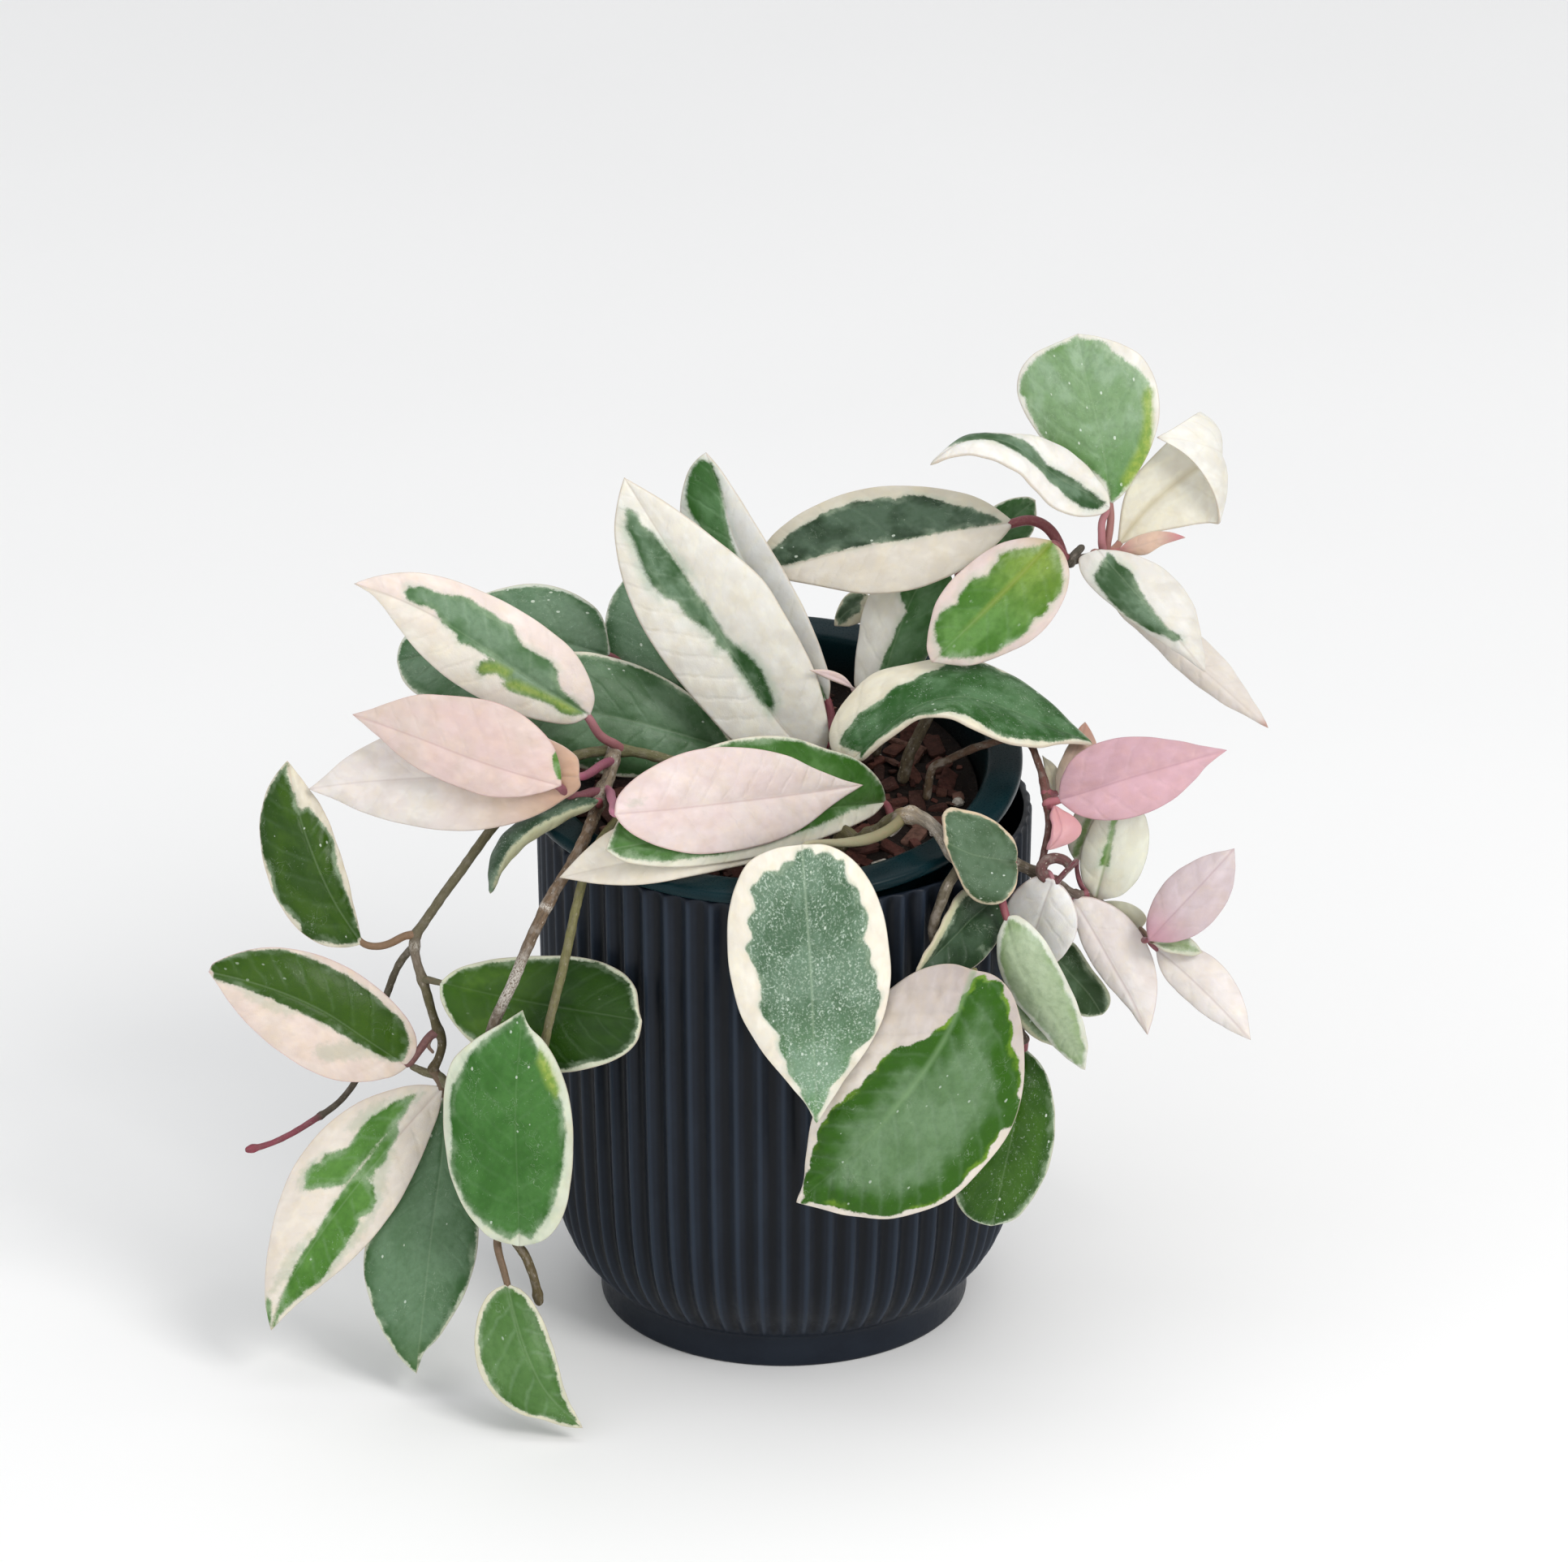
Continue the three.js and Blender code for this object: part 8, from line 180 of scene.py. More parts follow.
        st=[[[82.13,-26.0,175.44],[82.13,-26.0,175.44],[82.13,-26.0,175.44]],[[82.21,-25.67,176.1],[82.73,-26.18,175.72],[82.68,-26.26,175.06]],[[82.3,-25.33,177.17],[83.62,-26.42,176.14],[83.48,-26.74,174.52]],[[82.43,-24.82,178.97],[85.12,-26.82,176.82],[84.81,-27.6,173.61]],[[82.8,-24.19,181.37],[87.11,-27.3,177.71],[86.7,-28.68,172.56]],[[84.23,-23.36,184.73],[90.11,-27.94,179.02],[89.96,-29.98,171.66]],[[87.25,-22.49,188.6],[94.09,-28.62,180.7],[94.59,-31.24,171.25]],[[91.85,-21.99,191.72],[98.56,-29.14,182.53],[99.88,-32.08,171.73]],[[97.67,-21.91,193.85],[103.53,-29.44,184.44],[105.66,-32.42,173.16]],[[103.78,-22.28,194.76],[108.54,-29.49,186.14],[111.21,-32.24,175.31]],[[109.93,-22.87,194.89],[113.58,-29.27,187.66],[116.32,-31.51,178.21]],[[115.43,-23.56,194.45],[118.12,-28.84,188.89],[120.32,-30.35,181.55]],[[120.27,-24.23,193.72],[122.18,-28.26,189.88],[123.65,-29.11,184.68]],[[124.47,-24.85,192.92],[125.73,-27.6,190.67],[126.37,-27.87,187.55]],[[128.11,-25.29,192.4],[128.79,-26.92,191.3],[128.96,-26.86,189.77]],[[130.55,-25.59,192.11],[130.83,-26.41,191.69],[130.9,-26.3,191.01]],[[132.36,-26.0,191.97],[132.36,-26.0,191.97],[132.36,-26.0,191.97]]]),
    'right_rose_small': dict(ts=[0,0.012,0.03,0.06,0.1,0.16,0.24,0.33,0.43,0.53,0.63,0.72,0.8,0.87,0.93,0.97,1.0], root=[79.0,-25.63,172.65],
        pet=[[80.41,-27.31,174.38],[80.64,-27.64,174.59]],
        st=[[[80.64,-27.64,174.59],[80.64,-27.64,174.59],[80.64,-27.64,174.59]],[[80.9,-27.52,174.37],[80.7,-27.8,174.48],[80.58,-27.98,174.57]],[[81.3,-27.51,174.13],[80.8,-28.06,174.31],[80.48,-28.39,174.5]],[[81.96,-27.57,173.76],[80.96,-28.47,174.04],[80.31,-29.0,174.36]],[[82.83,-27.72,173.3],[81.19,-29.0,173.66],[80.08,-29.75,174.14]],[[84.11,-28.04,172.59],[81.53,-29.79,173.1],[79.77,-30.8,173.76]],[[85.79,-28.57,171.66],[81.91,-30.8,172.3],[79.56,-32.1,173.16]],[[87.52,-29.34,170.47],[82.24,-31.9,171.35],[79.7,-33.4,172.4]],[[89.11,-30.44,168.89],[82.56,-33.06,170.25],[79.96,-34.66,171.49]],[[88.81,-31.83,166.98],[82.59,-34.16,169.09],[80.02,-35.73,170.46]],[[87.08,-33.12,165.61],[82.06,-35.15,167.98],[79.94,-36.6,169.34]],[[85.13,-34.18,164.85],[81.24,-35.9,167.12],[79.74,-37.21,168.26]],[[83.22,-35.04,164.59],[80.41,-36.48,166.4],[79.4,-37.6,167.28]],[[81.51,-35.8,164.5],[79.66,-36.94,165.78],[79.03,-37.82,166.4]],[[80.03,-36.53,164.47],[79.03,-37.32,165.23],[78.69,-37.9,165.61]],[[79.05,-37.1,164.47],[78.62,-37.55,164.85],[78.47,-37.89,165.04]],[[78.32,-37.73,164.54],[78.32,-37.73,164.54],[78.32,-37.73,164.54]]]),
    'right_pale_tip': dict(ts=[0,0.012,0.03,0.06,0.1,0.16,0.24,0.33,0.43,0.53,0.63,0.72,0.8,0.87,0.93,0.97,1.0], root=[78.45,-22.43,176.38],
        pet=[[80.05,-20.45,175.06],[81.35,-19.03,173.85]],
        st=[[[81.35,-19.03,173.85],[81.35,-19.03,173.85],[81.35,-19.03,173.85]],[[81.36,-18.72,174.04],[81.47,-18.83,174.05],[81.69,-18.79,173.89]],[[81.37,-18.32,174.34],[81.66,-18.53,174.34],[82.2,-18.49,173.95]],[[81.38,-17.66,174.86],[81.97,-18.02,174.82],[83.06,-18.03,174.04]],[[81.37,-16.81,175.55],[82.39,-17.33,175.46],[84.21,-17.44,174.15]],[[81.37,-15.53,176.6],[83.02,-16.27,176.41],[85.93,-16.55,174.35]],[[81.52,-13.82,177.98],[83.86,-14.81,177.65],[88.11,-15.24,174.86]],[[82.06,-11.9,179.48],[84.78,-13.09,179.03],[90.19,-13.5,175.97]],[[83.03,-9.79,181.04],[85.81,-11.11,180.52],[92.08,-11.38,177.55]],[[84.16,-7.69,182.52],[86.83,-9.03,181.99],[93.52,-9.11,179.41]],[[85.33,-5.57,183.98],[87.79,-6.85,183.43],[94.21,-6.7,181.5]],[[86.43,-3.65,185.25],[88.59,-4.8,184.73],[94.17,-4.48,183.44]],[[87.49,-1.95,186.34],[89.23,-2.92,185.88],[93.7,-2.51,185.11]],[[88.51,-0.47,187.24],[89.76,-1.21,186.88],[92.81,-0.85,186.42]],[[89.52,0.75,187.91],[90.21,0.28,187.72],[91.85,0.53,187.44]],[[90.23,1.53,188.33],[90.52,1.3,188.27],[91.21,1.44,188.12]],[[90.75,2.06,188.68],[90.75,2.06,188.68],[90.75,2.06,188.68]]]),
    'right_pale_sliver': dict(ts=[0,0.012,0.03,0.06,0.1,0.16,0.24,0.33,0.43,0.53,0.63,0.72,0.8,0.87,0.93,0.97,1.0], root=[78.76,-24.15,174.28],
        pet=[[78.8,-24.2,174.2],[79.6,-21.3,171.2],[81.19,-16.24,172.31]],
        st=[[[81.19,-16.24,172.31],[81.19,-16.24,172.31],[81.19,-16.24,172.31]],[[81.11,-16.11,172.4],[81.18,-16.1,172.42],[81.28,-16.09,172.42]],[[81.0,-15.9,172.53],[81.16,-15.88,172.58],[81.43,-15.87,172.58]],[[80.8,-15.55,172.74],[81.13,-15.51,172.84],[81.68,-15.51,172.85]],[[80.53,-15.1,173.02],[81.1,-15.02,173.19],[82.03,-15.03,173.19]],[[80.12,-14.42,173.45],[81.05,-14.3,173.73],[82.56,-14.31,173.7]],[[79.6,-13.52,174.03],[80.97,-13.34,174.44],[83.17,-13.33,174.45]],[[79.11,-12.5,174.74],[80.83,-12.27,175.24],[83.47,-12.19,175.41]],[[78.77,-11.34,175.61],[80.57,-11.11,176.12],[83.27,-10.93,176.51]],[[78.59,-10.19,176.51],[80.25,-9.96,177.0],[82.76,-9.71,177.55]],[[78.44,-9.04,177.42],[79.86,-8.84,177.86],[82.02,-8.55,178.49]],[[78.27,-8.03,178.25],[79.43,-7.86,178.62],[81.11,-7.6,179.19]],[[78.11,-7.13,178.98],[78.97,-7.0,179.26],[80.17,-6.81,179.69]],[[77.97,-6.36,179.63],[78.53,-6.27,179.81],[79.3,-6.15,180.08]],[[77.85,-5.7,180.19],[78.14,-5.66,180.28],[78.55,-5.6,180.42]],[[77.77,-5.26,180.56],[77.89,-5.25,180.6],[78.07,-5.22,180.65]],[[77.71,-4.94,180.84],[77.71,-4.94,180.84],[77.71,-4.94,180.84]]]),
    'right_dark_back': dict(ts=[0,0.012,0.03,0.06,0.1,0.16,0.24,0.33,0.43,0.53,0.63,0.72,0.8,0.87,0.93,0.97,1.0], root=[90.25,-23.95,143.4],
        pet=[[90.9,-26.3,139.7],[84.51,-23.03,136.71],[78.94,-20.0,124.42]],
        st=[[[78.94,-20.0,124.42],[78.94,-20.0,124.42],[78.94,-20.0,124.42]],[[79.35,-19.87,124.48],[79.16,-20.11,124.21],[78.98,-20.07,124.04]],[[79.96,-19.71,124.62],[79.48,-20.26,123.88],[79.04,-20.23,123.49]],[[80.96,-19.45,124.9],[80.03,-20.51,123.33],[79.11,-20.51,122.58]],[[82.28,-19.09,125.31],[80.75,-20.82,122.58],[79.19,-20.89,121.37]],[[84.32,-18.62,125.76],[81.84,-21.24,121.44],[79.32,-21.45,119.54]],[[87.05,-18.47,125.19],[83.29,-21.73,119.89],[79.69,-22.15,117.11]],[[89.28,-18.97,122.91],[84.93,-22.16,118.09],[80.51,-22.84,114.42]],[[91.22,-19.63,119.93],[86.8,-22.49,116.05],[81.78,-23.47,111.52]],[[93.18,-20.21,116.93],[88.71,-22.65,113.98],[83.45,-23.93,108.76]],[[95.38,-20.64,114.03],[90.58,-22.69,111.8],[85.59,-24.17,106.28]],[[97.29,-20.98,111.34],[92.15,-22.65,109.68],[87.82,-24.19,104.31]],[[98.65,-21.31,108.73],[93.41,-22.56,107.65],[90.06,-23.98,102.87]],[[98.87,-21.68,106.18],[94.44,-22.43,105.79],[92.24,-23.48,102.24]],[[98.08,-21.9,104.13],[95.3,-22.26,104.17],[94.14,-22.78,102.2]],[[97.09,-21.93,103.03],[95.89,-22.12,103.07],[95.39,-22.29,102.24]],[[96.34,-22.0,102.24],[96.34,-22.0,102.24],[96.34,-22.0,102.24]]]),
    'left_upright_dark': dict(ts=[0,0.012,0.03,0.06,0.1,0.16,0.24,0.33,0.43,0.53,0.63,0.72,0.8,0.87,0.93,0.97,1.0], root=[-110.41,-38.71,136.79],
        pet=[[-112.67,-39.22,137.43],[-113.85,-39.64,137.27],[-116.73,-41.13,135.83],[-121.09,-42.15,134.7],[-126.44,-41.99,135.43]],
        st=[[[-126.44,-41.99,135.43],[-126.44,-41.99,135.43],[-126.44,-41.99,135.43]],[[-127.34,-41.95,135.19],[-126.81,-41.98,136.09],[-126.57,-41.66,136.06]],[[-128.67,-42.12,134.88],[-127.36,-41.95,137.09],[-126.75,-41.32,137.08]],[[-130.91,-42.46,134.47],[-128.3,-41.88,138.73],[-127.05,-40.82,138.82]],[[-133.95,-42.71,134.51],[-129.57,-41.74,140.88],[-127.45,-40.18,141.14]],[[-138.41,-42.65,135.59],[-131.46,-41.42,144.07],[-128.16,-39.2,144.6]],[[-143.74,-41.87,138.46],[-133.85,-40.76,148.29],[-129.23,-37.84,149.14]],[[-148.57,-40.26,143.09],[-136.27,-39.67,153.06],[-130.53,-36.2,154.18]],[[-152.43,-37.88,149.25],[-138.69,-38.07,158.31],[-132.1,-34.21,159.66]],[[-155.09,-35.14,155.88],[-140.91,-36.06,163.48],[-133.91,-32.08,165.01]],[[-156.79,-32.18,162.73],[-142.95,-33.67,168.55],[-136.12,-29.84,170.14]],[[-157.1,-29.35,168.99],[-144.62,-31.17,173.03],[-138.53,-27.75,174.51]],[[-156.12,-26.78,174.46],[-145.96,-28.69,176.94],[-141.14,-25.87,178.12]],[[-154.46,-24.57,179.05],[-146.97,-26.3,180.31],[-143.82,-24.27,180.98]],[[-152.25,-22.82,182.66],[-147.75,-24.1,183.17],[-146.09,-22.85,183.43]],[[-150.25,-21.85,184.77],[-148.28,-22.57,185.03],[-147.58,-21.91,185.09]],[[-148.69,-21.38,186.42],[-148.69,-21.38,186.42],[-148.69,-21.38,186.42]]]),
    'left_half_green': dict(ts=[0,0.012,0.03,0.06,0.1,0.16,0.24,0.33,0.43,0.53,0.63,0.72,0.8,0.87,0.93,0.97,1.0], root=[-103.61,-46.39,108.39],
        pet=[[-106.07,-45.98,107.61],[-107.76,-47.09,105.19],[-110.69,-48.62,101.6],[-113.13,-50.0,98.48]],
        st=[[[-113.13,-50.0,98.48],[-113.13,-50.0,98.48],[-113.13,-50.0,98.48]],[[-112.63,-49.63,99.29],[-113.78,-50.17,99.05],[-113.83,-50.31,98.02]],[[-111.81,-49.28,100.57],[-114.76,-50.42,99.91],[-114.85,-50.94,97.4]],[[-110.57,-48.77,102.8],[-116.4,-50.81,101.33],[-116.72,-51.94,96.6]],[[-110.21,-48.0,106.13],[-118.59,-51.27,103.19],[-119.48,-53.07,96.06]],[[-111.87,-46.94,110.94],[-121.87,-51.86,105.93],[-123.79,-54.5,95.8]],[[-115.78,-45.86,116.54],[-126.22,-52.43,109.52],[-129.64,-55.97,96.2]],[[-121.23,-44.95,121.97],[-131.03,-52.75,113.54],[-136.13,-56.94,97.82]],[[-128.04,-44.21,127.12],[-136.51,-52.84,117.66],[-142.92,-57.19,101.0]],[[-135.5,-43.78,131.27],[-142.36,-52.82,121.04],[-149.13,-56.79,105.13]],[[-143.51,-43.82,134.11],[-148.45,-52.64,123.84],[-154.98,-55.99,109.68]],[[-151.02,-44.28,135.47],[-154.06,-52.3,125.91],[-159.86,-54.92,114.12]],[[-157.74,-45.07,135.65],[-159.15,-51.86,127.4],[-163.78,-53.69,118.41]],[[-163.47,-46.22,134.68],[-163.65,-51.33,128.52],[-166.78,-52.38,122.42]],[[-168.19,-47.47,133.26],[-167.54,-50.79,129.29],[-169.23,-51.18,125.93]],[[-171.08,-48.55,131.89],[-170.14,-50.36,129.76],[-170.87,-50.41,128.27]],[[-172.1,-50.0,130.1],[-172.1,-50.0,130.1],[-172.1,-50.0,130.1]]]),
    'left_low_cream': dict(ts=[0,0.012,0.03,0.06,0.1,0.16,0.24,0.33,0.43,0.53,0.63,0.72,0.8,0.87,0.93,0.97,1.0], root=[-105.62,-49.0,96.9],
        pet=[[-104.02,-49.86,94.57],[-102.46,-50.7,92.3]],
        st=[[[-102.46,-50.7,92.3],[-102.46,-50.7,92.3],[-102.46,-50.7,92.3]],[[-103.73,-50.46,92.29],[-103.18,-51.11,91.59],[-102.63,-50.96,91.2]],[[-105.62,-50.23,92.4],[-104.25,-51.72,90.52],[-102.84,-51.5,89.63]],[[-108.77,-49.95,92.53],[-106.03,-52.71,88.73],[-103.22,-52.46,87.04]],[[-112.96,-49.88,92.12],[-108.42,-53.97,86.32],[-104.08,-53.74,83.66]],[[-119.09,-50.18,90.58],[-111.99,-55.77,82.65],[-106.0,-55.56,78.76]],[[-126.98,-50.89,87.63],[-116.71,-57.98,77.61],[-108.84,-57.88,72.28]],[[-135.0,-52.28,82.68],[-121.98,-60.22,71.76],[-112.39,-60.31,65.06]],[[-142.47,-54.42,75.45],[-127.77,-62.4,65.04],[-116.89,-62.73,57.22]],[[-148.43,-56.91,66.98],[-133.43,-64.29,58.01],[-122.41,-64.71,49.87]],[[-152.49,-59.67,57.48],[-138.94,-65.87,50.68],[-128.79,-66.24,43.06]],[[-154.8,-62.2,48.44],[-143.68,-67.07,43.77],[-135.01,-67.28,37.28]],[[-156.06,-64.4,40.2],[-147.78,-67.94,37.41],[-140.83,-67.96,32.38]],[[-156.73,-66.27,32.89],[-151.01,-68.61,31.55],[-146.13,-68.37,28.28]],[[-156.46,-67.83,26.61],[-153.05,-69.19,26.13],[-150.36,-68.85,24.39]],[[-155.56,-68.86,22.51],[-154.06,-69.56,22.36],[-152.93,-69.29,21.56]],[[-154.84,-69.8,19.53],[-154.84,-69.8,19.53],[-154.84,-69.8,19.53]]]),
    'left_low_grey': dict(ts=[0,0.012,0.03,0.06,0.1,0.16,0.24,0.33,0.43,0.53,0.63,0.72,0.8,0.87,0.93,0.97,1.0], root=[-105.62,-49.0,96.9],
        pet=[[-103.87,-48.1,94.71],[-103.67,-47.99,94.46],[-101.85,-48.24,89.18]],
        st=[[[-101.85,-48.24,89.18],[-101.85,-48.24,89.18],[-101.85,-48.24,89.18]],[[-102.37,-48.4,88.11],[-101.9,-48.66,88.25],[-101.54,-48.4,88.09]],[[-103.12,-48.79,86.57],[-101.98,-49.29,86.85],[-101.06,-48.8,86.54]],[[-104.38,-49.52,84.05],[-102.09,-50.33,84.52],[-100.25,-49.55,83.99]],[[-106.05,-50.55,80.71],[-102.23,-51.69,81.39],[-99.16,-50.59,80.62]],[[-108.68,-52.13,75.78],[-102.49,-53.69,76.68],[-97.56,-52.22,75.58]],[[-112.45,-54.21,69.36],[-103.05,-56.27,70.38],[-95.57,-54.45,68.83]],[[-116.79,-56.56,62.2],[-104.01,-59.05,63.26],[-93.42,-57.0,61.24]],[[-121.46,-59.25,54.18],[-105.16,-61.99,55.28],[-92.0,-59.96,52.63]],[[-125.9,-62.03,46.07],[-106.16,-64.8,47.21],[-92.23,-63.0,43.94]],[[-126.9,-65.24,37.12],[-107.12,-67.47,39.05],[-94.34,-65.99,35.48]],[[-125.08,-68.13,29.16],[-108.01,-69.74,31.64],[-97.54,-68.54,28.26]],[[-122.3,-70.58,22.4],[-108.83,-71.66,25.01],[-101.27,-70.65,22.25]],[[-119.17,-72.62,16.8],[-109.57,-73.27,19.16],[-105.05,-72.39,17.31]],[[-115.84,-74.25,12.38],[-110.21,-74.6,14.11],[-109.08,-73.62,13.76]],[[-113.18,-75.24,9.8],[-110.63,-75.45,10.73],[-110.34,-74.89,10.58]],[[-110.95,-76.07,8.18],[-110.95,-76.07,8.18],[-110.95,-76.07,8.18]]]),
    'left_low_green': dict(ts=[0,0.012,0.03,0.06,0.1,0.16,0.24,0.33,0.43,0.53,0.63,0.72,0.8,0.87,0.93,0.97,1.0], root=[-78.5,-76.0,64.15],
        pet=[[-78.64,-76.86,61.39],[-78.85,-78.24,56.99],[-79.22,-81.03,53.91]],
        st=[[[-79.22,-81.03,53.91],[-79.22,-81.03,53.91],[-79.22,-81.03,53.91]],[[-80.3,-81.06,54.23],[-79.23,-81.18,54.94],[-78.24,-81.09,54.17]],[[-81.92,-81.33,54.76],[-79.23,-81.39,56.47],[-76.75,-81.4,54.61]],[[-84.62,-81.86,55.71],[-79.25,-81.72,59.02],[-74.26,-82.01,55.4]],[[-88.0,-82.37,57.57],[-79.27,-82.1,62.39],[-71.15,-82.6,57.06]],[[-92.07,-82.49,61.8],[-79.3,-82.58,67.39],[-67.69,-82.77,61.18]],[[-96.27,-82.17,68.41],[-79.35,-83.02,73.94],[-64.99,-82.44,67.82]],[[-99.42,-81.37,76.6],[-79.43,-83.25,81.16],[-63.56,-81.78,75.71]],[[-101.01,-80.15,86.16],[-79.6,-83.18,88.99],[-62.73,-80.9,84.51]],[[-101.69,-78.76,95.76],[-79.69,-82.75,96.63],[-62.76,-79.9,93.27]],[[-101.13,-77.27,105.31],[-79.46,-81.96,104.08],[-63.78,-78.82,101.9]],[[-98.62,-76.01,113.45],[-79.02,-80.96,110.62],[-65.76,-77.86,109.4]],[[-93.31,-75.58,118.97],[-78.59,-79.83,116.31],[-68.53,-77.08,115.68]],[[-87.9,-75.55,122.94],[-78.24,-78.65,121.19],[-71.8,-76.57,120.7]],[[-83.04,-75.66,126.0],[-77.91,-77.5,125.3],[-75.37,-76.4,124.39]],[[-79.89,-75.72,128.22],[-77.7,-76.66,128.0],[-76.92,-76.1,127.4]],[[-77.54,-76.0,130.01],[-77.54,-76.0,130.01],[-77.54,-76.0,130.01]]]),
    'left_behind_green': dict(ts=[0,0.012,0.03,0.06,0.1,0.16,0.24,0.33,0.43,0.53,0.63,0.72,0.8,0.87,0.93,0.97,1.0], root=[-108.29,-44.02,124.46],
        pet=[[-106.61,-45.61,125.66],[-105.02,-47.03,125.44],[-103.05,-48.0,125.64]],
        st=[[[-103.05,-48.0,125.64],[-103.05,-48.0,125.64],[-103.05,-48.0,125.64]],[[-102.38,-47.75,126.17],[-102.32,-48.23,125.57],[-103.03,-48.49,124.78]],[[-101.41,-47.46,127.04],[-101.23,-48.59,125.48],[-103.06,-49.28,123.52]],[[-99.73,-47.09,128.46],[-99.41,-49.21,125.32],[-102.87,-50.63,121.45]],[[-97.15,-46.87,129.96],[-96.98,-50.04,125.12],[-101.71,-52.39,118.9]],[[-92.94,-46.96,131.56],[-93.34,-51.34,124.85],[-99.06,-54.93,115.51]],[[-87.14,-47.52,133.16],[-88.49,-53.13,124.55],[-94.71,-58.19,111.6]],[[-80.51,-48.64,134.45],[-83.01,-55.22,124.33],[-88.68,-61.48,108.43]],[[-73.11,-50.26,135.71],[-76.92,-57.67,124.21],[-81.22,-64.81,106.17]],[[-65.7,-52.35,136.69],[-70.83,-60.23,124.2],[-73.23,-67.7,105.4]],[[-58.36,-55.07,136.98],[-64.73,-62.93,124.29],[-65.0,-70.06,106.38]],[[-52.02,-58.23,136.32],[-59.25,-65.46,124.48],[-57.72,-71.74,108.68]],[[-47.03,-61.78,134.58],[-54.37,-67.79,124.72],[-51.46,-73.05,111.52]],[[-44.06,-65.63,131.81],[-50.1,-69.9,124.98],[-46.52,-73.83,115.09]],[[-43.32,-69.36,128.84],[-46.45,-71.76,125.24],[-43.44,-74.04,119.41]],[[-42.86,-71.94,126.89],[-44.02,-73.03,125.42],[-42.58,-73.98,122.87]],[[-42.19,-74.0,125.56],[-42.19,-74.0,125.56],[-42.19,-74.0,125.56]]]),
    'left_low_small': dict(ts=[0,0.012,0.03,0.06,0.1,0.16,0.24,0.33,0.43,0.53,0.63,0.72,0.8,0.87,0.93,0.97,1.0], root=[-82.62,-75.89,56.96],
        pet=[[-85.63,-76.92,56.16],[-86.1,-77.1,55.99],[-85.6,-79.74,51.33],[-84.14,-82.0,47.03],[-82.92,-84.0,42.87]],
        st=[[[-82.92,-84.0,42.87],[-82.92,-84.0,42.87],[-82.92,-84.0,42.87]],[[-83.66,-84.08,42.51],[-82.76,-84.44,42.45],[-82.37,-84.03,42.61]],[[-84.79,-84.32,42.09],[-82.52,-85.08,41.8],[-81.52,-84.21,42.33]],[[-86.65,-84.81,41.38],[-82.13,-86.13,40.72],[-80.1,-84.57,41.9]],[[-88.72,-85.74,39.9],[-81.61,-87.49,39.25],[-78.3,-85.17,41.16]],[[-90.78,-87.53,36.87],[-80.81,-89.45,37.01],[-76.15,-86.38,39.4]],[[-92.38,-90.09,32.34],[-79.68,-91.88,33.96],[-73.94,-88.19,36.53]],[[-92.82,-93.01,26.97],[-78.36,-94.4,30.43],[-71.82,-90.23,33.06]],[[-91.82,-96.13,21.0],[-76.7,-96.9,26.44],[-69.88,-92.49,28.99]],[[-88.82,-98.88,15.58],[-74.77,-99.07,22.39],[-68.37,-94.72,24.72]],[[-84.15,-101.07,11.13],[-72.57,-100.9,18.31],[-67.2,-96.88,20.32]],[[-78.84,-102.35,8.4],[-70.08,-102.18,14.78],[-65.96,-98.72,16.35]],[[-73.55,-102.87,7.14],[-67.42,-102.99,11.86],[-64.72,-100.27,12.83]],[[-69.0,-103.39,5.77],[-64.92,-103.47,9.38],[-63.36,-101.54,9.82]],[[-65.03,-103.72,4.84],[-62.74,-103.77,7.22],[-61.95,-102.58,7.34]],[[-62.31,-103.79,4.62],[-61.31,-103.91,5.74],[-60.97,-103.29,5.72]],[[-60.26,-104.0,4.59],[-60.26,-104.0,4.59],[-60.26,-104.0,4.59]]]),
}
